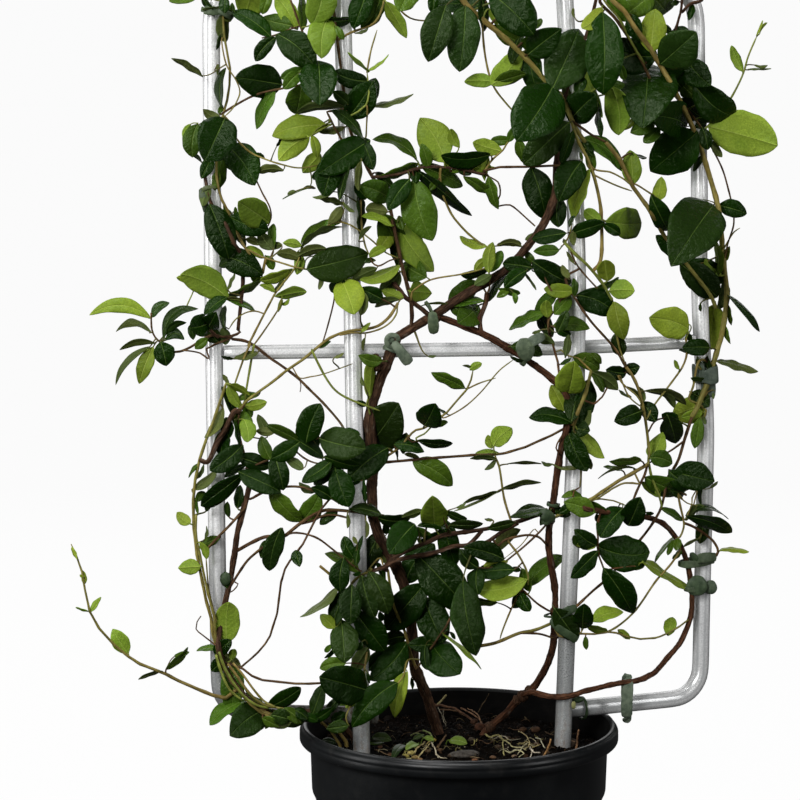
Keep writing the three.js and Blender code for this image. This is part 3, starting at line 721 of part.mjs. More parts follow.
    [-169.7,-29.8,241.6,-198,-60,230.2,0.54,12.2,0.578,-0.248,-0.777],
    [-161.8,-22.2,646.7,-188.6,-45,665.7,0.48,11.9,-0.591,0.02,-0.807],
    [-139.5,-30.2,803.2,-155.7,-24.1,829,0.45,7.9,-0.828,-0.356,-0.434],
    [-122.2,-38,470.9,-90.8,-55.4,466,0.48,11.3,0.21,0.105,0.972],
    [-110.7,-38.2,447.2,-99.4,-51.5,417.1,0.53,9.8,0.925,-0.06,0.374],
    [-128.9,-30.1,608.4,-83.1,-31.1,623.6,0.47,12.4,-0.312,0.103,0.944],
    [-186.2,-19,439.8,-218.7,-32.1,414.4,0.51,10,0.344,0.579,-0.739],
    [-180.9,-28.1,252.7,-216.3,-34.2,233.8,0.52,8.8,0.271,-0.941,-0.204],
    [-159.2,-26.6,797,-191,-21.9,816.2,0.49,8.8,-0.505,-0.478,-0.718],
    [-206.9,-17.9,660.7,-195.9,-33,620,0.5,10.3,0.955,-0.078,0.287],
    [-258.4,-32,574.6,-307.8,-23.6,574.5,0.49,11.6,0.134,0.786,-0.604],
    [-125.2,-30.7,775.5,-125.7,-75.3,746.4,0.55,13.7,0.994,-0.068,0.085],
    [-165.6,-16.7,240.6,-138.2,-40.7,262,0.57,7.5,-0.435,0.27,0.859],
    [-199.7,-17.7,708.7,-177.9,-44,677.6,0.5,13.4,0.808,-0.029,0.588],
    [-152.4,-28.4,753.8,-188.9,-47.8,763.6,0.54,11.9,-0.244,-0.032,-0.969],
    [-148.6,-35.4,392.1,-160.2,-34,360.1,0.44,8.6,0.929,-0.139,-0.342],
    [-109.4,-30.8,601.5,-98.2,-57.3,574.7,0.53,11.2,0.916,-0.02,0.401],
    [-251.3,-30,551.6,-222,-41.6,579.8,0.56,8.8,-0.526,-0.825,0.207],
    [-204.7,-15,300.7,-196.3,-31.6,334,0.52,9.9,-0.969,0.007,0.246],
    [-136,-30.3,804.3,-119,-35.5,844.7,0.54,10.9,-0.914,0.09,0.396],
    [-183.4,-15.4,588,-236.4,-21.6,605.1,0.57,12,-0.304,-0.02,-0.952],
    [-199.8,-21,619.2,-168.7,-27.1,603.1,0.48,10.3,0.465,0.021,0.885],
    [-165.9,-22.3,842.5,-174.2,11.6,812.9,0.48,13.3,0.932,-0.081,-0.354],
  ],
};

function blade([ax, ay, az, tx, ty, tz, at, half, sx, sy, sz]) {
  const a = new THREE.Vector3(ax, ay, az);
  const along = new THREE.Vector3(tx, ty, tz).sub(a);
  const length = along.length();
  along.normalize();
  const side = new THREE.Vector3(sx, sy, sz);
  side.addScaledVector(along, -side.dot(along)).normalize();
  const normal = new THREE.Vector3().crossVectors(along, side);
  const shape = new THREE.Shape([
    new THREE.Vector2(0, 0), new THREE.Vector2(length * at, -half), new THREE.Vector2(length, 0), new THREE.Vector2(length * at, half),
  ]);
  const g = new THREE.ExtrudeGeometry(shape, { depth: LEAF_THICK, bevelEnabled: false, steps: 1 });
  g.translate(0, 0, -LEAF_THICK / 2);
  g.applyMatrix4(new THREE.Matrix4().makeBasis(along, side, normal).setPosition(a));
  return g;
}
const pointsOf = (row) => {
  const out = [];
  for (let i = 3; i < row.length; i += 3) out.push([row[i], row[i + 1], row[i + 2]]);
  return out;
};
for (const plant of ["middle_plant", "right_plant", "left_plant"]) {
  const pieces = [];
  for (const row of STEMS[plant]) pieces.push(solid(tube(pointsOf(row), row[1], row[0], 0, row[2])));
  for (const row of LEAVES[plant]) pieces.push(solid(blade(row)));
  add(plant, geometryOf(joined(pieces)), ...LEAF_GREEN);
}

export default part;
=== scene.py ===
import json
import math
import random

import bpy
import numpy as np
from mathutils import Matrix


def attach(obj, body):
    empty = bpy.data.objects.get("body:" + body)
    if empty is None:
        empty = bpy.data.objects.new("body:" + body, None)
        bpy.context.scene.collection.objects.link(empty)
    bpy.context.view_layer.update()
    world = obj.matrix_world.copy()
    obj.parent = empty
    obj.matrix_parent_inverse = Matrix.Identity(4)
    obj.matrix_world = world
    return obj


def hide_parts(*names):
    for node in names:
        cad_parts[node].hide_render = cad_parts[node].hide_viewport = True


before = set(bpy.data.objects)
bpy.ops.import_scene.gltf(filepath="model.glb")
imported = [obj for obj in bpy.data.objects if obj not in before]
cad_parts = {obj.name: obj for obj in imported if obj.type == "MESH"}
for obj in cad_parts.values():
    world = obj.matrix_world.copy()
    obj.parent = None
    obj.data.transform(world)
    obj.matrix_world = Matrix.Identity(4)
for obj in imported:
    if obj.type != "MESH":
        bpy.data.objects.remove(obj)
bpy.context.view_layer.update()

# ---------------------------------------------------------------- tables
# Stems: name, kind (w old wood, b thin brown, o olive, g green), plant (M, R, L), first and last radius, points.
STEMS = """
T1 w M 4.74 4.74 -11.4,34,184 -11.7,32,199.7 -18.9,26.9,223 -24.1,22.6,238.4 -35.6,13.1,265.2 -37.2,10.3,273.3 -41.2,-1.8,309.7 -44,-6.4,324.7 -46.9,-9.6,335.7 -51.9,-13.3,349.6 -56.3,-15.5,359.2 -66.7,-18.5,377.4 -71.4,-19.5,387.1 -75.3,-20.4,398.9 -76.9,-22.7,407.7 -77.2,-23.4,411.9 -77.4,-23.1,420.3 -77.1,-21.5,432.7 -76.2,-21,445.1 -77.8,-21.1,466 -78.8,-21.9,479.3 -78.7,-21.6,486.9 -76.9,-21,495.1 -73.6,-21,505.8 -56.9,-21,550.3
T2 w M 3.89 2.71 -56.9,-21,550.3 -20.5,-22.5,572.2 -4.7,-22.4,582.4 25.6,-23.7,600 32.5,-24.1,604.6 41.2,-24.5,612.5 49.4,-25,621.9 60,-25.6,635 64.4,-25.9,641.8 70.9,-26,655.5 73.5,-26.1,662.8 75.4,-26.2,671.2 76.4,-27.3,699.7 77.8,-28.1,720.2 80,-28.8,736.7 83.3,-29.4,752.9 87.1,-29.8,765.1 91.4,-29.8,777.3 99.7,-27.9,798.1 103.4,-26.9,809.7 107.8,-25.8,826 116.3,-23.7,864.9
T3 w M 2.03 1.86 -28.6,-22,567.3 -29.3,-25,568.4 -41.9,-26.2,578.6 -50.3,-26.8,584.5 -54.5,-27,590.3 -60.3,-27,596.1
T4 w M 1.86 1.69 -45.4,-27,581.2 -44.2,-24.9,569.4 -44.8,-23,558.5
R1 w R 3.05 2.88 23.1,26,184 23.6,24,198.6 27.6,22.4,205.9 40.5,17.8,219.1 46.2,15.1,225.3 52.3,10.9,234.8 60.6,6.3,241.9 65.4,3.2,247.6 68.9,0.1,254.4 73.6,-4.6,265.2 76.1,-7.7,273 78.2,-12.1,284.3 78.7,-12.8,288 79.5,-12.4,294.6 79,-13.9,298.1 78.2,-17,302.4 77.9,-18.9,306.4 78.1,-21.2,322.9 77.8,-21.9,335.9 72.7,-23.4,366.1 71.9,-23.5,374.6 71.7,-24.2,383.3 72.2,-24.7,391.4 75.5,-26.2,415.6 77.3,-28.1,434 78.9,-29.3,445.5 81.2,-30,458.9 82.2,-30.5,463.4 83,-32.2,468.1 83.9,-32.9,472.7 85.9,-30.2,483.7 86.1,-30,491.5 85.2,-30,499.1 81.7,-30,506.6
R2 w R 3.21 2.88 81.7,-30,506.6 76,-29,512.5 64,-27.1,522.2 48.4,-24.7,533.4 36,-23.4,541.3 17.1,-22.9,551.9 -7,-21.5,562 -15.1,-20.1,565.3 -22.5,-20.5,567.5
R3 w R 2.2 2.03 13.7,-23,553.6 12.9,-22.3,561.9 13,-22.1,565.9 17.2,-22.1,576.7 19,-21.2,586.5
Q1 w R 2.45 2.28 52.9,-8,243.6 57.8,-12.4,246.5 59,-13.6,247 60.1,-14.8,247.5 65.9,-19.1,246.4 66.9,-19.8,246.2 73.6,-23.6,245.2 73.9,-23.8,245.2 81.7,-27.1,245.2 81.9,-27.2,245.2 85.7,-28.4,245.6 89.9,-28.7,246.2 90.6,-28.6,246.4 96.6,-27.7,247.7 99.2,-27,248.4 103.4,-25.9,249.4 107.7,-24.7,249.9 116.3,-22.2,251 124.9,-19.8,252.1 128.2,-18.9,252.5 133.6,-17.3,252.9 135.8,-16.7,253.1 142.1,-14.5,253 147.5,-12.6,253 150.5,-11.2,253.2 158.2,-7.7,253.9 158.6,-7.5,254 166,-2.9,256.1 167.3,-2.1,256.4 173,1.4,259.5 173.1,1.4,259.6 179.3,5.1,265 183.5,7.6,268.7 185.5,8.4,270.5 189.8,10.1,274.2 192,10.8,276.3 192.9,11.1,277.1 197.3,12.5,283.3 197.5,12.6,283.6 201,13.6,290.8 201.2,13.6,291.3 204.1,14.3,299.8 204.7,14.4,301.7 205.7,14.6,308.7 205.8,14.6,309.2 205.8,14.6,317.7 205.8,14.6,320.8 205.1,14.4,326.6 203.9,14.2,335.5 203.6,14.1,337.9 202.2,13.8,344.3 201.7,13.7,346.4 199.4,13.1,352.9 198,12.8,356.9 196,12.3,361.2 194.8,12,363.9 191.6,10.9,368.8 188.7,9.8,373.4 186.6,8.9,376 184,7.8,379.2 180.8,6.2,382.3 178.9,5.2,384.1 175.9,3.6,386.2 174.1,2.7,387.1 166.9,-0.7,390.5 166.6,-0.9,390.6 163.8,-2.5,391.8 159.7,-5.9,393.3 156.9,-8.3,394.3 152.6,-11,395.3 146.9,-14.5,396.7 144.9,-15.3,397 136.6,-19,398.3 131.3,-22.1,399.2 127.8,-24.4,400.1 118.6,-31.4,402.6 109.6,-37.2,404.9 100.7,-42.9,407.2 98.4,-42.9,407.6 96.6,-39.1,411.2
L1 w L 2.54 2.54 -85.4,34,184 -86.3,33,192.9 -87.1,32.1,201.8 -87.2,32,202.5 -91.6,28.9,208.8 -96.1,25.8,215.1 -96.5,25.5,215.5 -100.8,21.6,220.6 -101.5,20.8,221.3 -106.6,15.4,226.4 -108.2,13.6,228.1 -112.2,9.9,230.9 -113.2,9,231.6 -115.8,7.7,232.6 -120.1,7.3,232.8 -120.9,7.2,232.8 -122.8,-0.6,234.6 -124.8,-9.2,236.6 -126,-14.3,237.8 -129.6,-14.5,237.5 -134.6,-14.7,237.1 -138.4,-15.8,237 -141.5,-16.7,237 -147.2,-17.7,237.2 -150,-18.2,237.3 -156.2,-18.7,237.9 -158.4,-19.2,238.2 -162.5,-20.3,239.5 -165.2,-21.2,240.7 -169.6,-22.8,242.8 -173.5,-24.2,245.6 -178.2,-24.8,248.8 -180.7,-25.2,251.4 -183.2,-25.4,254 -186.6,-25.4,258.2 -192,-23.8,264.8 -193.6,-22.7,266.6 -196.4,-19.4,271.5 -199.8,-18.3,277.6 -200.5,-18.9,279.4 -203,-21.8,285.7 -203.8,-23.3,288.9 -205.2,-24.7,294.2 -205.5,-24.6,297.9 -205.7,-23,302.4 -205.3,-21,305.6 -205.1,-20.6,306 -202.9,-16,313.9 -201,-15,322.5 -200,-15,327 -199,-15.2,331.2 -197,-15.5,340 -194.9,-15.9,348.8 -194.1,-16,352.4 -193.3,-16,357.6 -192,-16,366.5 -190.6,-16,375.4 -189.3,-16,384.3 -188.1,-16,392 -187.8,-16,393.2 -185.4,-16,401.8 -183.1,-16.1,410.5 -180.7,-16.1,419.2 -180.2,-16.1,421.1 -178.7,-16.2,428 -176.9,-16.3,435.8
L2 o L 1.61 1.27 -93,14,184 -93.9,13.1,192.9 -94.7,12.2,201.8 -94.9,12,203.4 -98.9,9.8,209.3 -103.6,7.3,216.2 -103.7,7.2,216.4 -109.2,3.8,222.6 -110.5,3,224.1 -112.7,2.5,226.2 -115,3,227.9 -115.2,2.2,228.2 -117.4,-6.1,231 -119.3,-13.1,233.4 -120.6,-13.2,233.9 -127.6,-13.5,236.4 -129.1,-13.9,236.6 -134.1,-15.6,237.4 -137.9,-18.7,237.9 -141.4,-22.2,238.5 -146.7,-27.6,238.5 -149.4,-29.9,238.4 -155.4,-31.3,238.6 -156.6,-31.2,238.6 -163.4,-27.9,239.3 -163.7,-27.7,239.4 -170.7,-25.4,242.2 -171.6,-25.2,242.8 -178.6,-24.8,248.5 -180.8,-24.8,250.3 -184.8,-24.7,255 -190.4,-24.1,261.5 -190.6,-24.1,261.8 -195.2,-22.9,269.3 -198.8,-21.7,275.2 -199.5,-21.4,276.8 -203,-20.4,284.8 -205.3,-20.1,290.3 -206.1,-20,293.2 -208.4,-20,301.9 -209.6,-20,306.1 -210.1,-20,310.7 -211,-20,319.6 -211.1,-20,320.4 -213.2,-20,328.3 -215.1,-20,335.6 -215.4,-20,337.1 -217,-20,345.9 -218.7,-19.9,354.8 -220.4,-19.9,363.6 -222,-19.9,372.5 -222.2,-19.9,373.4 -223,-19.6,381.4 -223.9,-19.3,390.3 -224.7,-19,398.4 -224.7,-19,399.3 -224.7,-19,408.3 -224.8,-19,417.3 -224.8,-19,419.1 -224,-19,426.3 -223.1,-19,435.2 -223,-19,435.8 -221.1,-18.7,444 -219.3,-18.5,452.1 -219.1,-18.5,452.8 -216.2,-18.8,461.4 -213.9,-19.5,468.5 -213.3,-19.6,470 -209.9,-18.9,478.3 -207.5,-17.8,484.1 -206.6,-17.6,486.5 -203.6,-17.1,495 -200.7,-17,503.5 -197.7,-17,512 -197,-17,514.1 -190.5,-17,512.4 -190.4,-17,512.4
L3 o L 1.35 1.1 -99.6,2,184 -100.5,1.1,192.9 -101.4,0.2,201.8 -101.6,-0,204 -105,-1.8,209.6 -107.9,-3.3,214.3 -109.7,-4.4,216.8 -112.5,-6.1,220.6 -114.9,-8,223.1 -119.5,-11.7,227.8 -120.5,-12.5,228.6 -124.6,-16,231.8 -126.7,-17.5,232.7 -133.8,-22.7,235.7 -134.2,-23,235.9 -141.9,-28.5,237.3 -145.6,-31.3,238.1 -150.5,-32.6,238.1 -157,-33,237.8 -159.2,-32.5,237.8 -163.9,-31.5,238 -167.6,-30.5,239.7 -170.4,-30,241 -174.8,-29.2,244.6 -179.3,-28.6,248.3 -181.4,-28.3,250.7 -187.3,-27.5,257.5 -187.3,-27.5,257.5 -192.6,-26.4,264.7 -193.9,-26.1,266.5 -197.2,-25.6,272.3 -201.1,-25,279.1 -201.5,-24.9,280.2 -204.6,-24.4,288.6 -206.7,-24,294.2 -207,-23.8,297.2 -208,-23.2,305.4 -208,-23.2,306.1 -208.5,-23.1,315.1 -208.9,-23,323.4 -209.1,-23,324.1 -211.4,-23,332.8 -213.7,-23,341.5 -213.7,-23,341.5 -215.4,-22.8,350.3 -217.2,-22.6,359.1 -218.9,-22.4,368 -220.6,-22.2,376.8 -222.4,-22,385.6 -222.6,-22,386.8 -223.2,-21.8,394.6 -223.2,-21.8,394.6 -222.9,-21.2,403.5 -222.8,-21,406.9
L4 b L 1.18 1.02 -180.7,-16,419.1 -177.8,-16.2,418.3 -169.5,-19.3,423.1 -157.5,-25.8,427.9 -148,-31.6,430.3 -138.6,-36.1,430.5 -130.6,-38.1,428.6 -118.4,-39.6,424.1 -103.7,-40,415.3
L5 b L 1.27 1.1 -182.4,-16,413.2 -181.4,-18,412.9 -194.8,-19.7,397.7 -204.4,-19.8,388.3 -213,-19,378.8
L6 b L 1.61 1.44 -190.6,-16,375.3 -189.7,-16,375.2 -178.5,-20.1,381.9 -166.6,-26.3,388.1 -151.8,-34.1,389.8 -145.4,-36.4,395 -138.1,-37.2,400.8 -120.5,-35.5,410.1 -108.7,-35,410.4 -79,-34.6,406.4 -68.9,-34,404.4
L7 b L 1.1 0.93 -139,-37.1,400.1 -138.7,-35.8,399.8 -128.9,-36.7,402.1 -120.7,-37,406.1 -117.2,-37,406.7 -109.9,-37,406.7 -99.2,-37,404
L8 b L 1.18 1.1 -194.9,-16,345.1 -186.9,-20.2,359.1 -180.5,-22.8,368.6 -168.6,-28.6,380.2
L9 b L 0.93 0.85 -152.6,-34.3,389.9 -144.6,-36.5,392.6 -139.7,-37.3,392.5 -134.8,-37.7,391.7 -126.6,-37.6,388.9 -120.8,-37.3,385.4 -113.4,-37.4,379.4 -89.7,-40,360.1
L10 b L 1.02 0.93 -113.7,-39.9,421.8 -119.5,-39.7,414.9 -121,-39.6,413.2 -124.3,-39.3,407.4 -126.7,-39,403.3 -128.5,-38.5,399.5 -132.4,-37.4,391.4 -136.3,-36.2,383.4 -136.4,-36.2,383.2 -141.5,-34.6,376.2 -146.6,-32.9,369.2 -146.7,-32.9,369.1 -150.8,-31,361.7 -150.9,-31,361.4 -153.2,-29.4,352.8 -153.8,-29,350.7 -154.6,-28.2,344 -155.6,-27.1,335.2 -156.6,-26,326.3 -156.9,-25.7,323.9 -158.7,-24.6,317.7 -161.2,-23.1,309.2 -162.6,-22.3,304.2 -164.4,-21.7,301.1 -166.8,-20.9,297.1 -169.4,-20.2,293.9 -172.3,-19.5,290.3 -175.4,-19.1,287.4 -179,-18.8,284.1 -182.2,-18.9,281.6 -187.4,-19.3,277.4 -187.5,-21.3,278.1
L11 b L 1.1 1.02 -201.2,-19.7,280.8 -197.4,-20.8,282.3 -193.3,-20.9,280.4 -185.1,-21.5,277 -185,-21.5,276.9 -178.1,-23.2,271.4 -177.8,-23.3,271.2 -170.5,-26.7,268.6 -169.9,-27,268.4 -163.1,-31.5,268.3 -155.9,-36.3,268.3 -155.7,-36.5,268.3 -147.8,-40.7,268.1 -144.3,-42.6,268 -139.5,-43.9,268.1 -133.1,-45.6,268.2 -130.7,-45.8,268.3 -122.3,-46.6,268.6 -121.8,-46.6,268.6 -112.8,-47.5,268 -107.6,-48,267.6
L12 b L 0.76 0.51 -205.2,-24.7,293.9 -202.7,-25.3,294.3 -207.3,-24.6,298 -213.7,-21.7,302.8 -220.3,-20.2,308 -221.8,-20.2,309.2 -223.6,-20.2,311.6 -223,-20.2,315.5 -222.7,-20.2,317.5 -219.4,-20.2,322.3
L13 o L 0.68 0.68 -208.4,-23,316.8 -207,-20,316.9 -212.5,-18.5,343.6 -214.7,-18,371.2
L14 b L 0.68 0.59 -191.9,-17.6,350.1 -188.4,-18,347.9 -194.1,-16,340.9 -196.4,-15.6,341.5
F1 o L 1.69 0.76 -190.1,-24.3,261 -197.2,-24,255.4 -199.6,-24,253.6 -205.4,-23.5,254.8 -209.5,-23.2,255.7 -213.8,-23.3,257.6 -221.9,-23.7,261.3 -223,-23.7,261.8 -229.7,-25,265.3 -237.6,-26.6,269.4 -238.9,-26.9,270.1 -245.1,-28.2,273.9 -249.2,-29.1,276.5 -252.8,-29.8,278.2 -260.7,-31.6,282 -268.7,-33.3,285.8 -270.7,-33.8,286.7 -276,-35,290.7 -280,-35.9,293.6 -282.9,-36.7,296.2 -289.4,-38.5,302.2 -291,-38.9,303.6 -295.3,-40.1,308.8 -300.9,-41.7,315.6 -303.6,-42.4,318.9 -305.8,-42.8,323 -309.9,-43.6,331 -311.1,-43.8,333.2 -312.4,-43.8,339.5 -314.2,-43.9,348.4 -314.8,-43.9,351.4 -315.7,-43.4,357.2 -317,-42.6,366 -317,-42.6,366.1 -319.8,-41.6,374.6 -321.2,-41.1,379.1 -322.9,-40.7,383 -325.4,-40,388.8
G1 b L 1.27 1.02 -186.5,-14,558.1 -184.9,-14,556.4 -191.6,-14.7,553.3 -199.8,-15.6,552.7 -207.3,-16.8,554.5 -227.6,-21.2,544.5 -234.7,-23.4,542.1 -238.9,-24.6,541.9 -245.5,-26.9,543.8 -249.6,-28.9,548.2 -251.3,-30,551.6
G2 b L 0.85 0.76 -251.3,-30,550.7 -255.3,-30.4,554.9 -257.7,-31,560.7 -258.4,-32,574.6
G3 b L 0.76 0.68 -213.3,-20,543.5 -210.9,-20,535.2 -218.4,-21.8,540.4 -233.3,-26,543.2 -233.9,-23.2,542.3
G4 b L 1.02 0.85 -191.5,-14,550.7 -191.6,-15,551.7 -198.3,-17,549.5 -203.3,-18.1,548 -213.3,-20,543.5
G5 w L 1.52 1.27 -203.1,-16.1,553.6 -203.2,-17,552.8 -208.2,-18.2,557.1 -212.3,-20,562.3
a1 o L 1.27 0.93 -164.4,-24.8,617.2 -165.9,-20.7,608.7 -167,-18.5,603.3 -168.3,-18.7,606.1 -172.1,-21.6,614.1 -172.5,-21.8,614.5 -178.3,-24.7,621.7 -178.9,-24.7,622.5 -182.8,-21.9,629.1 -184.6,-19.8,632.4 -186.4,-18,636.9 -189.7,-17.2,645.1 -192.7,-17.4,652.3 -193.3,-17.5,653.4 -197.4,-17.8,661.3 -199.1,-17.9,664.5 -200.7,-18,669.7 -201.5,-18.1,672.4 -202.5,-18,678.5 -203.4,-18,684.5 -203.4,-18,687.4 -203.4,-17.8,696.4 -203.4,-17.8,696.7 -201.8,-17.4,705.2 -200.3,-17.1,712.9 -200.2,-17.1,714.1 -199.3,-17,723 -198.5,-17,730.6 -198.1,-17,731.9 -195.5,-17,740.6 -194.2,-17,744.9 -193.5,-17,749.3 -192.2,-17,757.3 -192.2,-17,758.2 -191.8,-17,767.2 -191.7,-17,770.7 -192.7,-17,776.1 -194.2,-17,785 -195.8,-17,793.8 -196.4,-17,797.1 -196.6,-17,802.8 -196.9,-17,811.8 -197,-17,815.5 -196.4,-17,820.7 -195.4,-17.1,829.7 -194.5,-17.2,837 -194.1,-17.3,838.6 -192,-17.6,847.3 -189.8,-18,856 -189.6,-18,856.8
a2 w L 1.69 1.44 -186.5,-14,558.1 -185.6,-14.4,567 -184.6,-14.8,576 -183.7,-15.2,584.9 -182.7,-15.7,593.9 -182.4,-15.8,597.1 -182.5,-16.1,602.8 -182.7,-16.8,609.9 -183,-17.2,611.9 -184.1,-20.3,618.8 -184.8,-22,621 -185.3,-23.4,622.5 -190,-29.7,629.2 -190.8,-30.5,630.3 -193.9,-32.3,637.4 -197.1,-28.9,645.4 -197.3,-28.4,646 -201.7,-23,652.4 -206.7,-19.5,659.5 -207.4,-19.2,660.6 -209,-18.6,664.3 -209.9,-18.4,667.8 -211.2,-18.2,672.7 -211.7,-18.1,676.6 -212.7,-18,683.6 -212.6,-18,685.5 -212.4,-18,691.8 -212,-18,694.4 -211,-18,700.9
a3 b L 1.02 0.85 -197.7,-17,733.6 -198.5,-17,733.8 -180,-19.2,745.3 -172.2,-21.1,749 -164.2,-23.9,751.5 -148.8,-30.3,754.8 -140.9,-32.7,756.5 -132.9,-33.9,757.5 -120.7,-34,757.9 -119.5,-32,758.4
a4 o L 0.68 0.59 -196,-17,795 -198.2,-19,794.7 -196,-19.7,777.1 -193.6,-19.9,770.7 -187,-20,760.7 -184.1,-19.9,751.5 -186.5,-19.7,744.3 -190.1,-19.5,738.2 -197.9,-19,730.7
a5 o L 0.85 0.68 -196.6,-19.1,731.7 -197,-18,732.2 -192.2,-18.6,727.4 -189.9,-19.3,718.6 -187.5,-19.6,714.4 -179.2,-20.2,705.4 -173.3,-20.9,701.4 -160,-24.9,695.9 -148.9,-28.6,692.6 -140.9,-30.5,690.8 -133.2,-31.4,690.7 -122.2,-31,692.8
a6 b L 0.76 0.68 -170.9,-21.4,700.2 -174.8,-20.5,691.9 -167.8,-21.9,672.5 -160.6,-23.2,658 -159.8,-23,649.9 -162.2,-21.9,643.3
b1 b L 1.02 0.85 -119.5,-32,758.4 -118.9,-32,756.3 -128,-31.7,782.7 -140.2,-29.2,815.4 -148.6,-26.6,840.9 -152.4,-25.2,858.3
b2 b L 0.76 0.68 -135.8,-30.4,804.4 -145.9,-29.8,801 -155.4,-27.8,797.1 -166.5,-25.3,794.7
c1 b M 1.69 1.1 -45.8,-30,582.2 -45.5,-28,582.1 -47.3,-28.3,588.8 -49.7,-28.7,597.5 -52.1,-29,606.2 -53.2,-29.2,610.1 -54.2,-29.3,614.9 -56,-29.4,623.7 -57.8,-29.6,632.5 -59.7,-29.7,641.3 -61.5,-29.9,650.2 -63.2,-30,658.4 -63.5,-30,658.9 -67.4,-30,666.8 -67.5,-30,667 -72.3,-30,674.6 -77.1,-30,682.2 -78.5,-30,684.4 -81.5,-30.1,690 -85.7,-30.3,698 -89.4,-30.7,704.8 -89.9,-30.9,706 -93.9,-34.7,714.3 -96.2,-38.8,718.7 -97.8,-42.2,723 -100,-42.9,731.2 -100,-42.7,731.6 -100.2,-35.5,740.4 -100.8,-31.5,749.3 -101.8,-31,758.2 -102.9,-31,767.2 -104.1,-31,776.1 -105.2,-31,785 -106.3,-31,794 -107.4,-31,802.9 -108.5,-31,811.8 -109.7,-31,820.8 -110.8,-31,829.7 -111.2,-31,833.1 -110.9,-30.9,838.7 -110.6,-30.7,845.1 -110,-30.6,847.6 -108.1,-30.2,856.4 -106.9,-30,861.6
c2 o M 1.1 0.85 -105.6,-31,793.1 -96,-32,798.7 -79.6,-33.6,804.8 -75.9,-34.1,807.5 -73.2,-34.5,811.2 -69.8,-35.1,820 -61.5,-36,858.5
c3 b M 1.02 0.85 -100.5,-38,737.8 -109.1,-36.3,736.5 -115.3,-35.6,735.6 -114.2,-35.4,733.3 -110.1,-34.8,725.2 -108.8,-34.7,722.6 -105.6,-33.9,717.4 -102.9,-33.4,712.9 -99.7,-33,711 -94.6,-32.5,708 -91.8,-32.1,709.3 -91.8,-32.1,709.3
c4 g M 0.85 0.68 -99.9,-42.8,731 -100.9,-43.7,730.8 -94.4,-45.5,734.2 -91.6,-46.4,735.7 -87.4,-47.8,739.4 -85.3,-48.5,741.3 -84.1,-49.1,744.4 -83.7,-49.2,747 -82.9,-48.6,751.6 -83,-46.4,755.8 -83,-39.7,764.7 -83,-38,767.5
c5 o M 0.76 0.68 -85.4,-48.5,741.3 -84.6,-48.7,740.5 -83.9,-44.5,732.7 -83.9,-44.5,732.7 -83.5,-38,723.7 -83.5,-35.3,716.2 -83.8,-35,714.7 -84.3,-34.5,712.1 -86.8,-33.6,706.3 -88.2,-33.1,703.2
c6 w M 1.44 1.18 -77.8,-30,683.1 -78.1,-31,682.9 -59.4,-33,684.6 -38.8,-35.1,690.3 -31.2,-35.6,691.1 -14.7,-36,690.4 -6.4,-35.8,689.3 13.8,-34,684.9 13.9,-33,686.5 17.4,-32,683.2
c7 o M 1.1 0.93 -22.4,-36,690.9 -22.8,-35,681.9 -21,-34.5,672.1 -18.5,-34,664 -12.5,-33.3,651.7 -8.2,-33.1,646.1 1.5,-32.9,635.9 16.8,-32,624.4 16.6,-34,624.2
c8 o M 0.93 0.76 -87.3,-32,664.4 -87.4,-32.5,652.2 -85.8,-33,636 -83.4,-33,625.4 -80.1,-33,618.8
c9 b M 0.76 0.68 -80.1,-33,618.8 -78.5,-33,613.9 -73.5,-33,610.6 -63.7,-32.2,614.9 -56.8,-31,616.8 -54.8,-29.5,617.3
d1 o L 0.85 0.76 -179.7,-24.5,623.8 -178.9,-25.1,624.2 -172.2,-24.4,620.7 -167.5,-24.4,618.3 -164.1,-25.1,617.2 -156,-27.2,614.7 -154.7,-27.5,614.4 -147.7,-29.1,612.2 -142,-30.5,610.4 -139.3,-30.7,609.8 -130.4,-31.4,608.1 -129.2,-31.5,607.8 -121.5,-31.3,607.1 -112.5,-31.1,606.3 -109.4,-31,606
d2 o M 0.76 0.68 -136.3,-30.8,624.1 -134.7,-31.1,627.4 -130.4,-31.4,632.3 -120.9,-32,640.3 -112.7,-32.3,644.6 -104.6,-32.7,646.7 -98,-32.9,645 -91.2,-33,641.2 -78.6,-33,631.6 -67.7,-32.5,621.9 -56.9,-32,616.9
d3 o L 1.02 0.85 -178,-17,544.7 -178.6,-15.8,545 -175.2,-16.5,551.8 -171.3,-17.5,559.8 -171,-17.5,560.3 -167.4,-19.3,567.7 -163.5,-21.2,575.6 -159.6,-23.2,583.4 -158,-24,586.7 -155.2,-25.2,591 -153.8,-25.9,593 -149.9,-27.2,598 -144.5,-29.2,604.9 -143.4,-29.5,606.2 -139.8,-30.3,612.5 -139.7,-30.3,612.7 -137.2,-30.8,619.3
d4 o L 0.76 0.68 -174.1,-15.7,545.6 -174.4,-14.6,544.8 -167.2,-17.2,554.8 -154.6,-24,575.1 -153.1,-24.8,578.2 -151.5,-26.1,585.7
d5 o L 0.68 0.59 -164.9,-20.1,571.4 -172.9,-18.2,573.8 -181,-17.1,572.2 -189.2,-16.5,566.5 -194.1,-16,559.2
d6 b L 0.76 0.68 -109.4,-31,606 -108.6,-30.3,592.9 -109.3,-29.9,583 -114.7,-28.2,560.5 -118,-25.4,548.3
e1 b L 1.35 1.02 -191.5,-14,550.7 -180.9,-14.7,549 -173.8,-15.8,545.5 -161,-19.5,535.2 -155.1,-21.8,531.3 -146,-23.5,524.8 -143,-25.5,522.5 -137.2,-27.2,517.5 -130.8,-28.4,511 -117,-29.4,496.9 -102.3,-30.4,478.5 -98.3,-31,467.8
e2 b L 0.51 0.42 -137.3,-27.9,517.6 -136.6,-28.4,512.7 -137.4,-28.8,507.9
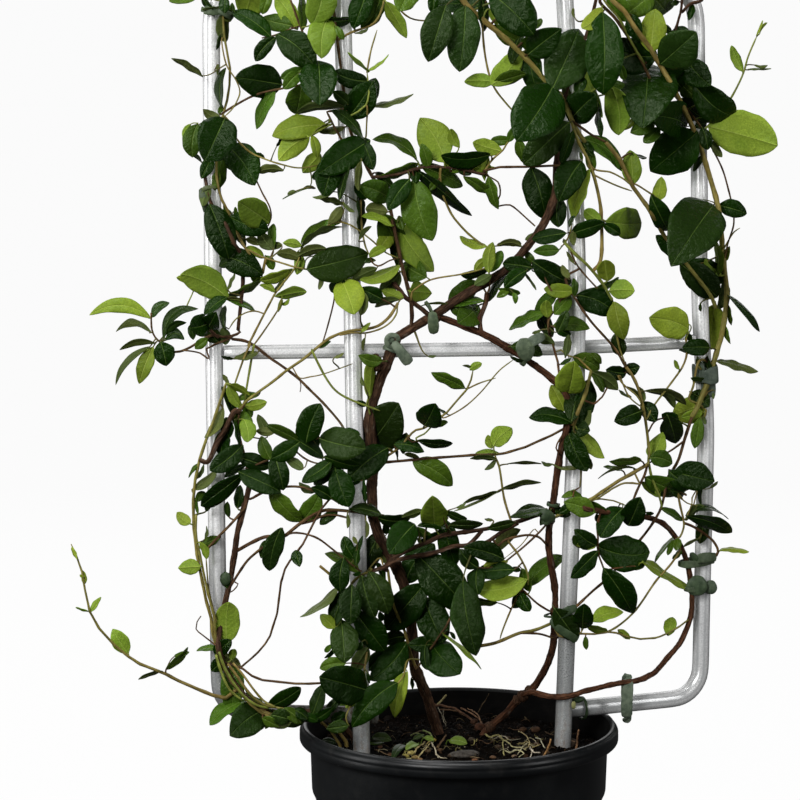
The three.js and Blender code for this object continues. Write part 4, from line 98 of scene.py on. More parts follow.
e3 o M 1.35 1.18 -56.6,-30,579.9 -63.2,-30,569.3 -69.4,-29.8,563.5 -73.1,-29.7,561.2 -80.3,-29.4,559.2 -100.3,-29,556.6 -112.6,-29.1,551.9 -116.2,-29.8,549.8 -126,-28.4,541.7 -133.2,-28.4,535.7 -148.6,-27.8,525.3 -154.3,-24.2,520 -160.3,-22.1,515 -169.4,-19.7,508.2 -179.2,-18.5,500.8 -182.5,-17.2,497.5 -189.9,-15.2,488.6 -200.4,-15.4,474.4
e4 o L 1.02 0.85 -176.6,-15.3,547 -177,-16.5,546.6 -180.5,-18.8,539.6 -183.1,-19.2,533.8 -183.9,-18.9,531.3 -186.8,-17.3,522.7 -189.8,-17,514.1 -190.4,-17,512.4
e5 g L 1.1 0.93 -173.8,-15.8,545.4 -173.8,-16.7,545.8 -180,-16.4,510.5 -180.5,-16.2,507.2 -181.1,-12.8,496
e6 g M 1.1 0.85 -126.5,-28.4,541.2 -127.6,-30,542.3 -116.3,-31.3,519.3 -109,-31.9,509.4 -100.8,-32,503.5 -71.7,-31,491.3
e7 o M 0.59 0.51 -143.8,-28,528.8 -137.6,-30.9,519.6 -129.4,-30.3,520.4 -121.2,-30.7,521.8 -94.8,-31,530.4
e8 o M 0.85 0.68 -104.9,-28.9,555.2 -104.6,-31,554.4 -96.5,-31.4,556 -84.2,-31.9,555.8 -75.7,-32,557.6 -68.5,-32,560.5 -62.7,-31.8,564.6 -59.7,-31.6,568.4 -57.6,-31.2,572.6 -56.7,-30.4,579.9 -53.3,-30,584 -51.2,-26.9,585.7
f1 w L 2.54 2.2 -185.9,-20,491.2 -190.1,-21,492.2 -198.1,-21.5,477.3 -204.8,-20,466.2 -213.3,-20,450.4 -219.2,-18.4,452.2
f2 b L 1.18 0.85 -176.9,-16.3,434.2 -179.4,-17.2,446 -185,-18.5,465.6 -187.3,-18.9,477.4 -186.8,-19.6,488.1 -185.9,-20,491.2 -181.9,-21.4,497.9
f3 b L 0.93 0.76 -179.2,-17.1,445.2 -181.3,-19.7,444.7 -175.8,-22.2,446.8 -175,-22.5,447.1 -168,-24.9,450.1 -164.2,-25.8,451.7 -160.6,-27.2,454 -153.7,-30.6,458.5 -150.4,-32.4,460.8 -146.7,-33.8,463.2 -140.1,-36.3,467.7 -139.5,-36.3,467.8 -130.6,-37.2,469.4 -122.2,-37.9,470.9
f4 b L 0.85 0.68 -144.8,-35,464.9 -145.1,-36.6,464.5 -142.1,-37.3,460.7 -138.7,-38,457.2 -132.6,-38.7,453 -125.5,-38.8,450.3 -114.1,-38.4,448.5 -104.2,-38,445.7
f5 b L 0.76 0.68 -177.3,-16.5,436.1 -177.8,-17.2,436 -186.2,-19,439.8
g1 o M 0.85 0.68 -83,-38,767.5 -82.9,-37,767.5 -79.5,-35.3,784.5 -74.4,-35,801.1
h1 o M 1.86 1.35 -10.7,-34,857.3 -7,-36.5,832.1 -4.6,-37.2,825.3 -2.6,-37.5,822.4 5,-38.6,814.9 32.3,-41.9,791.9 50.9,-42.9,773.7 62.2,-42.9,761.1 71.4,-42.3,753 78.4,-41.5,743.4 88.8,-39.3,722.1 97.2,-36.4,710.7
h2 o M 1.02 0.76 12.4,-39.5,808.9 11.6,-39,807.7 13.4,-39,781.1 20.1,-38.2,757.1 31.5,-37.6,741.9 42.8,-37,730.4
h3 o M 0.93 0.76 13.9,-33,686.5 20.4,-33.6,696.3 29.4,-34,704.4 33.5,-34,710.8 38.5,-34,714.1
h4 b M 1.1 1.02 14.3,-33,687.1 13.7,-34,687.4 21.3,-34,689.2 27,-34,690.5 30.1,-34.1,690.5 39.1,-34.4,690.6 47.5,-34.7,690.6 48.1,-34.7,690.6 57.1,-35.6,691 65.5,-38.8,691.4 73.3,-45.1,692 78.1,-47,692.2 82,-46.2,692.2 92.2,-40.5,692 95.1,-38.9,692 92.2,-40.7,694.5
h5 o M 0.85 0.76 -65.6,-36,847.3 -65.6,-36,848.9 -55.9,-36,844.2 -44.8,-35.8,840.2 -41.1,-35.7,839.5 -29.6,-35.1,841.2 -18.1,-34.5,836.5 -14.7,-34.3,837 -8.2,-34,839.7 -8.5,-35.7,839.8
h6 o M 0.76 0.68 -57.5,-36,818.7 -51.2,-36,813 -47.7,-36,810.8 -43.8,-35.9,809.5 -23,-35,807.7
h7 b M 0.85 0.76 -65.6,-36,847.3 -62.4,-36,831.4 -57.5,-36,818.7
i1 o M 1.52 1.18 105.1,-34.5,604.6 112,-30.7,611.8 112.3,-33,646.8 111,-34,659.3 105.9,-36.1,679.6 102.9,-37.2,687.8 99.4,-38.5,696 88.6,-41.3,715.7 81.3,-42,738.2 74.9,-42,751.4
i2 b M 1.1 1.02 85,-42,727.9 96,-41.3,720.5 101.9,-40.2,716.6 114.6,-37.1,710.6
i3 b M 1.52 1.18 112.7,-24.5,849.6 112.7,-32.6,850 110.8,-34.2,835.5 108.9,-34.9,827.6 109,-35.1,824.1 111.1,-34.9,821.3 120.6,-33.6,812.8 130.9,-32,799.8 140.1,-29.3,786.5 151,-24.4,768.4 154.6,-22.7,761 158.7,-20.5,748.6 161.4,-19.1,736.4 162.9,-18.3,724.8
i4 g M 1.1 0.93 112.5,-42.7,834.4 108.4,-37.6,832.1 114.4,-37.1,822.5 125.7,-35.8,809.7 135.2,-34.5,792.7 139.4,-33.4,786.2 148.4,-30,774.1
i5 o M 0.85 0.76 99.3,-38.9,695.2 104.6,-37.9,688.6 118.7,-35.1,686 122.2,-34.4,684.6 132.1,-32.1,679.3 139.3,-30.2,673.4
i6 o M 0.76 0.76 101,-37.8,692.6 99.6,-37.8,691.9 101.1,-37.3,688.5 103.2,-36.7,685.3 106.5,-36,683.1 124.9,-31.9,674.8 138.9,-28.5,670
i7 b M 0.85 0.76 74.7,-26.1,667.3 76.3,-38,666.8 78.4,-39.5,679.9 81.7,-40.2,686.8 84,-40.4,689.7 92.2,-40.7,694.5
j1 o M 1.52 1.86 112.5,-42.7,834.4 112.2,-42.7,835.2 115.9,-43.2,828 117.1,-43.3,825.6 121.9,-43.1,821.4 128.1,-42.9,816 128.5,-42.8,815.4 133.6,-41.9,808 134.7,-41.7,806.4 138.9,-40.2,801 139.4,-40,800.4 144.6,-37.3,794.7 150.3,-34.2,788.4 152.1,-33.3,786.4 155.5,-31,781.8 160.5,-28,775.1 164.8,-27.5,768.5 168.1,-31,761.8 171,-31.6,757 172.3,-30.7,755 178.3,-21.9,747.7 184.2,-13.5,740.4 189,-9.6,733.1 190.5,-8.7,730.7 193.4,-7,725.6 197.7,-4.6,718.1 200,-3.2,714 201.7,-2.2,710.4 204.8,-0.2,703.6 205.2,0,702.4 208.3,1.6,694.2 211.5,3.2,685.9 214.6,4.8,677.6 217.3,5,669.4 218.5,1.9,663.2 218.6,0.4,661.3 219.6,-4,653.1 219.8,-4,652.5 222.2,0.4,644.3 224.3,5.2,639.3 225.5,8.8,635 227.2,12.4,626 228.1,13.6,617.6 228.2,13.6,617.1 229.6,14.5,608.2 230.9,15.3,599.4 232.3,16.1,590.5 233.4,16.7,583.5 233.4,16.8,581.6 233.5,17.1,574.9 233.3,17.1,572.6 232.3,17.2,563.7 231.7,17.2,557.5 231.2,17.1,554.8 229.5,16.6,545.9 228.8,16.4,542.4 227.1,16,537.3 224.4,15.3,528.8 221.6,14.6,520.2 218.8,13.9,511.7 216,13.2,503.2 215.6,13.1,501.9 212.4,12.3,495 208.7,11.4,486.8 207.1,11,483.4 204.4,10.4,479 202.5,9.9,475.9
j2 b M 1.52 1.27 202.5,9.9,475.9 196.6,8.2,459.5 189.8,4.6,440.3 186,2.9,434.1 179.6,-0.3,426.3
j3 o M 1.18 1.02 214.1,12.7,497.9 216.3,13.3,496.7 210.4,12.8,489.6 209.3,13,486.5 215.9,14.2,481.1 214.4,14.8,474.2
j4 o M 1.18 0.93 221.8,14.7,520.2 209.3,11.6,524.4 203,9.6,501.6 199.2,8,491.6 208.7,11.4,487
k1 w M 1.35 1.18 189.1,4.5,860 187.2,1.1,830.4 185.7,-0.7,818.7 181.6,-4.1,806.3 171.3,-11.7,780.2 169.5,-13.3,772.5 168.3,-15.1,759.3
k2 w M 1.52 1.27 211.3,10.1,852.1 209.6,9.5,837.2 207.7,8.6,830 205.8,7.8,827.2 202.6,6.7,825.7 194.7,4.3,823.8 187.1,1,817.1 185.5,-0.9,818
k3 g M 1.02 0.76 206.3,-1.4,718.5 210.3,-0.2,722.7 219,0.3,731 229.7,0.7,745.3 240.4,1.6,765.9 244.5,1.7,780 252.1,2.3,797.5
k4 b M 0.85 0.76 208.6,-0.6,716 211.7,4.2,710.9 225,7.4,687.3 230,8.9,673.7 236.6,11.2,649.6 237.2,11.5,641 236.5,11.5,636.4 232.2,11,623.8 229.7,10.6,611.1
k5 b M 1.1 0.93 168.3,-15.1,759.3 179.1,-10.4,747.7 191.3,-6.7,736.1 208.6,-0.6,716
k6 b M 0.85 0.76 169.2,-13.6,770.6 169.2,-14.6,770.8 181.2,-10.9,772.5 188.6,-9.3,774.3 191.9,-8.8,774.1 195.6,-8.3,771.5 198.2,-8,767.5 199.2,-8,757.6
l1 o M 1.86 1.61 114.6,-37.1,710.6 120.4,-35.6,703.9 126.2,-34.2,697.1 127.3,-33.9,695.8 130.7,-32.6,689.6 135,-31,681.8 139.2,-29.4,674 139.6,-29.2,673.3 144.6,-26.3,667.6 149.8,-24,661.3 153.1,-23.7,657.1 154.3,-23.8,654.9 158.7,-22.3,648.2 164.1,-16.7,641.3 169.7,-10.5,634.3 172.6,-8.1,630.5 175.2,-6.6,627.7 181,-3.6,621.5 185.6,-1.2,616.5 186.7,-0.8,615.2 192.5,1.3,608.6 198.3,3.5,602.1 204.1,5.6,595.5 209.8,7.7,588.9 214.4,9.4,583.7 215.4,9.8,582.2 219,11.3,577.2 220.1,11.8,574.8 223.1,13,568.5
l2 o M 0.85 0.76 138.9,-29.5,674.5 140.5,-28.8,675.8 153.1,-22.9,669.5 165.9,-15.9,661.8
l3 o M 0.85 0.68 197.8,3.4,603 197.7,4.7,603.4 223.2,9.6,612.9 226.6,10.2,616.3 237.8,12.7,632.9 243.3,14.1,636.2
n1 g M 1.52 1.27 82.2,-34.5,629.1 79.9,-34,630.5 88.7,-36.2,620 99.7,-35.6,610.2 114.3,-32,593.6 122.8,-29,580
n2 b M 0.85 0.76 87.1,-36,621.5 86.3,-36,620.7 87.8,-36.2,616.6 91.5,-36.2,609.7 98.4,-35,601.5 109.2,-32.4,590.4
n3 b M 1.1 1.1 93.6,-35.9,607 83.1,-32,599 90.5,-33.7,582.5 104.2,-29.5,563.7 128.3,-21.8,537.6 137.6,-19.3,522.9 136.3,-20.6,527.3
n4 o M 0.85 0.68 81.9,-34.7,627.8 79.1,-34,625.5 81.6,-34.4,628 83.7,-34.8,631.8 85.5,-35.2,636.2 87,-36,643.6
n5 b M 0.93 0.76 55.5,-31,609.1 61.4,-31,612.3 62.1,-31.2,610.1 64.7,-32.2,601.6 65.4,-32.4,599.2 68,-33,593.3 68.4,-33.1,592.4 70.3,-33.4,589.3 73.5,-33.5,586.3 76.2,-33.6,583.8 77.8,-33.8,581 77.2,-33.8,579 76.9,-33.7,577.8 72.4,-34.3,571.5 69.4,-34.6,567.2 67.9,-34.8,563.8 67.6,-34.8,563 68,-35.3,555.9 68.2,-34.4,555.3 69.6,-29.6,551.8
n6 b R 1.1 1.02 68.5,-30.6,565.9 69.3,-30.8,558.6 69.3,-31.4,557.1 69.4,-32.1,555.2 71.1,-27.2,551.5 71.1,-27.7,550.9 71.5,-30.5,547.5 72.8,-30.9,543.5 72.9,-30.9,543.3 75.3,-31.2,534.7 76.4,-33.7,529.7 76.3,-35.9,526.5 76.6,-39.5,518 77.5,-37.6,513.5 79.9,-34.2,508.8 81.3,-32,506
n7 b M 0.85 0.76 55.5,-31,609.1 37,-32.4,596.8 30.2,-33,589.8
n8 o M 0.85 0.76 122.3,-29.2,581 123,-28,581.6 125.3,-26.2,564.8 130.3,-23.2,541.7 133,-22,534.1 136.3,-20.6,527.3
m1 o M 0.85 0.68 -45.8,-30,582.2 -45.1,-30.6,588.8 -42.3,-31,591.5 -30.4,-32,598.6 -4.1,-33.3,603.3 13.7,-33.9,607.4 17.4,-34,608.9 19.8,-34,612.2 20.7,-34,616.2 16.5,-34,624.5
m2 b M 0.76 0.68 24,-30,657.8 23.7,-30,659.4 27.8,-30.6,667.6 27.3,-31.1,675 25.9,-31.4,678.2 17.4,-32,683.2
m3 b M 0.76 0.68 23.7,-30,657.8 32.4,-29.6,659.4 36.4,-29.4,659.3 39.3,-29.2,657.7 57.4,-29,641.9
m4 b M 0.85 0.76 14.2,-23.2,593.7 18,-26.8,586.9 20.3,-27.6,594.4 18.8,-31,604.6
o1 o M 1.44 1.27 137.6,-19.3,522.9 143.1,-17.8,515.9 148.9,-15.9,504.7 154.8,-13.7,484 159,-11.5,459.9 160.2,-10.8,447 159.8,-11.1,443.1 157.3,-19.5,440.7
o2 o M 0.85 0.76 132.4,-19.6,515.5 129.9,-23.3,515.9 134.3,-23,509.1 140.6,-21.8,503.8 147.3,-19.1,498.3 151.5,-16.4,491.2 150.2,-15.7,489.7
o3 o M 0.76 0.68 132.4,-19.6,515.5 139.7,-18.6,499.2 145.2,-17.3,493.5 153.7,-14.3,487.5
o4 o M 1.02 0.85 194.3,1.8,544.4 194.8,0.5,530.9 192.4,-0.6,523.2 190.3,-1.2,519.3 176.4,-5.6,502.5 165.1,-10.2,490.2 160.4,-11.9,483.7 157.6,-13.1,478 156,-13.1,477.7
o5 b M 0.85 0.76 158,-12,466.5 159,-11.5,466.7 163.1,-9.5,472.9 165.8,-8.1,475.5 170.5,-6.4,476.9 177.4,-3.1,477.2
o6 o R 1.69 1.52 158.3,-15.4,440.1 156,-13.7,438.2 151.3,-15.7,436.1 143.6,-19,432.7 143.2,-19.2,432.5 135.6,-21.4,429.3 132.7,-22.3,428.1 127.8,-23.3,425.3 120,-25.7,421 111.1,-32.4,417.3 106.3,-37.3,415.7 101.7,-40.8,414.4 94.7,-37.6,410.1 92.5,-35.9,408.5 87.9,-31.9,405.4 80.1,-30,401.3 75.7,-30,399.3 74.2,-26.2,399.8 73.7,-25.1,400
o7 o R 0.93 0.85 146,-18.1,433.6 149.6,-20,425.6 150.3,-20.4,424 147.2,-20.3,424.4 143.8,-21.2,425.1 143.2,-21.4,425.1 136.5,-24.3,425.7 134.5,-25.1,425.4 132.9,-25.8,425.1 126,-28.5,422.5 125.8,-28.6,422.5 117.9,-32.1,418.5 112.8,-34.7,416 109.4,-36.5,414.9 103.1,-40.2,413
o8 b M 1.18 1.02 160.9,-8.6,439 160,-8.6,439 156.3,-13.3,431.3 151.7,-15.1,423.1 147.4,-18.8,416.1 139.5,-23.8,399.3
o9 b M 0.93 0.85 195.1,7.5,455.6 194.8,5.9,456 182.9,1.4,449 166.4,-7.2,443 160.8,-8.9,439.9 159.8,-11.1,443.1
p1 g M 1.27 1.02 160.9,-8.6,439 162.1,-10.2,431.2 163.2,-10.2,427.3 171,-7.3,409.3 173.1,-6.5,400.8
p2 b M 1.27 1.1 179.3,-1.4,426.4 172.9,-4,400.4 168,-6.6,392.4 165.7,-7.4,389.2 163.6,-6.8,385.7 158.8,-7,379.4 133.8,-7.4,349.8 128.8,-8.5,344.7 123.4,-10.9,340.5 112.1,-18.3,334.2 100.3,-25.6,326.6 92.8,-28.6,321.4 73.3,-24,307.4
p3 b M 0.93 0.85 179.3,-1.4,426.4 185.8,-0.2,420.1 190.7,1.6,412.8 195.9,1.2,410.2
v1 o R 1.1 0.93 192.5,1.4,406.8 188.1,-1.9,411.7 189.5,0,406.7 190.7,0.9,401.8 194.8,2.5,385 194.1,2.7,379.8 191.4,2.5,373.9 185.9,1.3,370.7 191.7,3.2,366.8
v2 b R 1.27 1.18 194.9,3,385.8 202.8,6.2,382.5 209.6,9.1,378.4 218.4,13.1,372.3 224.4,15.7,367 228.8,18,360.2 229.5,18.7,357 227.9,19.2,353.5
v3 o R 0.68 0.59 203.9,5.6,401.1 207.3,8.1,413.2 202.6,6.5,406.6 202.4,5.8,402.4 195.8,3.2,389.2 194.1,2.3,388.8
v4 o R 0.68 0.59 192.5,1.4,406.8 197.5,3.6,402.9 208.1,7.3,399.5
v5 o R 1.02 0.93 191.7,3.2,366.8 191.7,3,362.5 186.1,1.3,354.3 181,-0.8,348.9 169.4,-6.2,338.9 147.2,-17.1,314 129.6,-22.8,302 119.4,-25.9,298.7 119.7,-27.6,299.4
v6 b R 0.76 0.68 198.8,4.9,394.9 200.8,5.5,391.3 203.6,6.1,389.4
q1 b R 1.02 0.85 112.3,-35.3,404.4 112.7,-36,403.6 111.4,-34.9,396 110.6,-34.5,391.6 111.1,-33.9,386.9 111.8,-33.4,381.2 111.8,-32.9,377.7 111.8,-32.4,373.1 112.6,-31.8,368.6 113.2,-31.4,365.4 115.5,-30.5,360 118.9,-29.2,351.5 119,-29.1,351.4
q2 o R 0.85 0.68 95.5,-37.9,410.4 95,-38.7,412 100.9,-41,414.2 103.1,-40.4,414.7 110.9,-34.3,414.2 113.3,-32.5,414.1 120.8,-28.2,412.4 126.6,-26.4,411.2 129.5,-25.8,410 137.7,-24.3,406.5 138.5,-24.2,406.1
q3 b R 0.76 0.68 119,-29,353.1 140.8,-21.9,354.2 150.1,-17.5,353.5
x1 o R 1.02 0.85 78.2,-17.2,302.7 79.7,-25.8,299.1 80.1,-29.1,298 85.5,-31.6,297.5 85.5,-31.7,297.6 88.3,-33.1,298.4 93.9,-34.2,300 95.1,-34.4,300.4 98.6,-34.2,300.4 102.9,-33.1,299.9 110.6,-30.3,299 112.2,-29.7,299.1 121.2,-27.3,299.5 122.5,-27,299.6 129.9,-25.4,298.3 130.3,-25.3,298.2 138,-23.1,295 138.2,-23,294.9 145.8,-19.4,292.6 152.9,-16.1,290.4 153.7,-15.6,290.3 161.2,-10.8,289.5 168.4,-6.1,288.7 168.7,-5.9,288.7 175.2,-1.9,289.4 176.3,-1.2,289.7 184,3.2,291.5 185,3.8,291.8 191.5,7.2,294.3 194,8.5,295.3 198.9,10.5,298.1 201.8,11.7,299.7 203.9,14.2,298.9
x2 b R 1.02 0.93 74.5,-26,318 79.3,-28,316.6 85.3,-31.7,319.7 89.4,-32.7,321.3 93.6,-32.9,323.1 101.1,-29.7,328.2
x3 o R 0.68 0.68 96.2,-34.4,300.4 96.3,-36.6,300.8 99.8,-34.9,305.8 100.1,-34.8,306.2 105.6,-32.9,309.1
x4 b R 0.85 0.76 45.3,-31,335.1 34.9,-32,340.7 40.9,-32,337.2 48.5,-32,338.7 45.3,-31,335.2
x5 b R 1.02 0.85 78.1,-20.7,318.5 74.5,-26,318 71.5,-26.6,319.4 61.1,-28.7,326.4 48.7,-31,338.5
x6 o R 0.85 0.76 45.3,-31,335.2 38.9,-30.3,322.3 31.5,-28.6,302.8 29.9,-28,296.8
x7 o M 1.52 1.35 14,-22,290.1 26.6,-23.2,292.5 47.6,-24.6,300.7 60.4,-24.6,302.8 73.3,-24,307.4
x8 b M 1.1 0.93 47.5,-25,300.7 64.7,-24.5,299.2 76.2,-23,295.1
s1 w M 2.03 1.86 -64.7,-28,358 -68.1,-28,358.9 -61.7,-30.2,366.7 -56.5,-31.7,370.9 -50.3,-33.3,374.6 -43.2,-35,378 -30.9,-37,383 -22.7,-37.8,387.1 -14.4,-38,388.6 6.5,-38,390.8 19.2,-37.4,392.6 27.9,-36.4,394 45.4,-33.1,397.2 58.5,-31.2,400.8 68.8,-30.3,402.9 69.7,-30.4,396.2
s2 w M 2.03 1.86 -78.4,-30,357.9 -67.8,-31.8,361.3 -59.6,-33.1,366.3 -51.6,-34.4,368.8 -30.9,-37.1,372.3 -22.7,-37.8,374.6 -10.2,-38,378.5 -2.5,-38,378.5 0.7,-38,379 3.9,-38,381.6 12.5,-38,390.5
s3 w M 1.69 1.52 3.3,-38,381.1 5.6,-39,378.2 12.4,-38.5,379.6 19.3,-37.9,382.7 27.9,-36.4,388.1 43.5,-34,395.7
s4 b M 1.18 1.02 21.7,-37.5,384.2 25.7,-35,377 30.8,-34.6,381 33.9,-34.3,382.2 50,-32.6,385.1 59,-30.9,383.9 63.1,-30,381.9 68.5,-28.6,376.4
s5 b M 1.02 0.85 69.7,-30.4,396.2 67.1,-30.6,392 50.8,-33,377.1 28.3,-35,360.1
s6 o M 1.02 0.85 34.7,-34.2,382.5 35.2,-34,380.8 42.8,-34.8,370.7 49.5,-35,358.7 52.1,-35,351 52.1,-35,344.2
s7 o M 0.51 0.42 61.3,-31.4,386.7 58.6,-31,389.8 47,-30.2,376.5 33.5,-30,365.8
s8 o M 1.27 1.18 -122.4,-36,364.4 -112.3,-35,354.8 -107.2,-33.2,343.8 -105.4,-32.6,341.5 -101.2,-32.1,341.3 -92.7,-31.1,351 -86.8,-30.6,354.9 -78.4,-30,358.7 -80.4,-31.4,360.5
s9 b M 1.02 0.85 -10.4,-40,326.7 -15.4,-39.9,315.8 -18.7,-38.5,309.3 -22.2,-35.8,303.5 -26.4,-30.8,294.9 -32.4,-21.8,282.7 -38.3,-10,269.5 -38.2,-4.6,271
s10 o M 1.44 1.18 -38.2,-4.6,271 -37.4,-4,269 -42.2,-7.2,281 -47.8,-12.9,300.8 -59.5,-22,327.9 -62.1,-25.1,340.4 -64.7,-28,358
s11 o M 1.1 0.93 38.3,-34.5,395.8 37.2,-32,399.8 32.6,-30,415.7 28.2,-29,443.2 25.1,-29,450.9 24.8,-29,453.3 29,-29,453.2
s12 b M 1.27 1.1 -76.2,-21,447.3 -73.1,-28.9,447.8 -70.3,-29.4,448.1 -60.9,-26.8,448.4 -51.4,-23.6,448.5 -42.5,-24.2,449.3 -33.6,-25.5,450.1 -29.3,-26,450.5 -24.8,-26.4,450.8 -15.8,-26.9,451.3 -6.9,-27.3,451.8 2.1,-27.6,452.3 8.3,-27.7,452.7 11,-27.7,452.7 20,-27.8,452.7 25.2,-27.9,452.7 29,-27.9,453.1 33.6,-28,453.7 37.8,-28.2,454.9 46.4,-28.4,457.3 50.3,-28.6,458.4 54.9,-28.7,460.4 63.1,-29.1,464 71.4,-29.4,467.5 73.1,-29.5,468.3 79.3,-27.7,471.1 84.5,-26.2,473.5
s13 o M 0.76 0.68 -68.8,-31.6,360.9 -72,-32,369 -82.7,-31,358.2
u1 o M 1.1 0.85 -73.1,-28.9,447.8 -73.2,-29.7,448.8 -67,-30.5,452.9 -59.6,-31.6,457.8 -57,-32.1,459.6 -53.3,-32.7,463.9 -47.5,-33.8,470.7 -45.7,-34.2,472.9 -42.4,-34.5,475.4 -40.5,-34.6,475.8 -35.7,-34.8,476.9 -32.1,-34.9,478.8 -29.6,-35,480.1 -24.6,-35,483.8 -17.3,-35,489.1 -17.1,-35,489.2 -11.3,-34.6,495.7 -5.3,-34.3,502.4 0.2,-33.9,508.5 0.5,-33.9,509.3 3.6,-33.4,515.9 4,-33.3,517.5 5.4,-33,524.1
u2 o M 0.76 0.59 0.2,-34,508.5 11.2,-33.1,513.2 24.8,-32,517
u3 o M 0.68 0.59 -20.8,-35,485.8 -19.9,-35,485 -9,-34.1,489.4 1,-33.2,495.6 12.5,-31.9,505.8 28.5,-30.1,523.4 39.6,-29,531.4
u4 g M 0.85 0.68 -41.8,-35,465.8 -42.4,-35,468.8 -35.8,-35.5,472.1 -29.2,-35.7,478.6 -20.8,-35,485.8
u5 b M 0.85 0.76 -49.1,-33.7,469.4 -49.2,-35.5,469.1 -45.7,-35.3,465.6 -43.5,-35.2,465.9 -39.1,-35.1,466.3
u6 g M 0.85 0.76 -78.5,-21.5,487.7 -79.4,-27,488.4 -81.3,-28.3,496.1 -81.4,-29,501.1 -83.5,-31.6,496.1
w1 o M 0.93 0.76 -81.5,-28,293.6 -85.5,-34.5,275.1 -86.3,-37.7,266.9 -86.2,-38.9,262.8 -84.9,-39.9,260 -81.9,-40.6,259 -69.6,-40.5,260.3 -61.8,-38.6,262.1 -58.6,-37.3,263.5 -55.9,-35.9,265.6 -51.9,-32.1,270.6 -47.3,-24,280.6 -34.1,-18.7,279
w2 o M 0.76 0.68 -84.9,-40,260 -94.3,-41.4,251.9 -99.3,-42.3,245.2 -102.1,-43.2,237.7 -99.7,-44,231
y1 o R 1.69 1.44 85,-31.6,478.3 90.1,-35.4,477.9 90.7,-37.3,481.1 92.3,-40.3,488.5 92.8,-40.4,489.9 96.6,-38.6,498 100.3,-36.1,505.5 100.4,-36,506 102.7,-34.7,514.7 104.4,-34.4,521.8
y2 b R 0.93 0.76 96.8,-38.7,498.3 105.3,-35.7,494.9 107,-35.2,494.3 112.7,-33.9,498.7 114.1,-33.6,499.8 117.9,-32.3,505.9 118.6,-32,507
y3 b R 0.76 0.68 79.9,-29.7,451.9 78.9,-33,451.9 75.4,-33.5,457.9 76.2,-33.6,461.2 81.3,-33,469.4
y4 o R 0.85 0.68 104.4,-34.4,521.8 98.1,-33.5,528.1 93.6,-32.8,532.5 91.1,-32.8,533.2 85.5,-32.8,534.6 82.7,-32.4,536.1 82.7,-32.4,536.1 79.4,-31.7,539.4 75.4,-31.1,538 74.7,-31,537.7
z1 b R 0.68 0.59 91.3,-36.2,407.5 89.7,-35.5,414.2 89.8,-35.3,415.9 89.8,-35,418.1 90.8,-34.4,421.6 93.5,-33.6,423 96.2,-32.7,424.5
jj1j3 b M 0.9 0.8 208.3,11.3,487.3 209.3,13,486.5
jj1l3 b M 0.9 0.8 228.2,12.9,619.5 228.8,10.8,619.4
jj1k5 b M 0.9 0.8 185,-12.4,739.4 185.6,-8.9,740.8
jn3n5 b M 0.9 0.8 89.2,-32.8,586.4 77.8,-34,581
ja2d5 b L 0.9 0.8 -185.5,-14.4,567.7 -185.6,-16.7,567.6
jL2L3 b L 0.9 0.8 -223.7,-19.4,395.5 -222.7,-21.6,395.6
x1 g L 1.25 1.15 -205.4,-28.3,293.4 -201.4,-28.5,281.6 -194.2,-29.8,268.1 -184.5,-31.6,255.6 -175.6,-32.5,248.8 -165.5,-30.7,245.4
x2 o L 1.2 1.1 -198.2,-29.3,283.3 -190.9,-30.2,273.2 -182.9,-32,261.5 -173.6,-29.4,251.3 -164.6,-30.9,247.2 -152.6,-35,245.2
x3 o L 1.05 1 -193.8,-26.7,283.4 -185.8,-29,273.6 -177,-30.8,261.1 -168.7,-30.6,251.4 -160.1,-34.9,247.1
x4 g L 1.35 1 -207.8,-26.9,290.7 -203.1,-28,274.8 -196.7,-29.3,261.4 -186.9,-30.6,252.9
"""
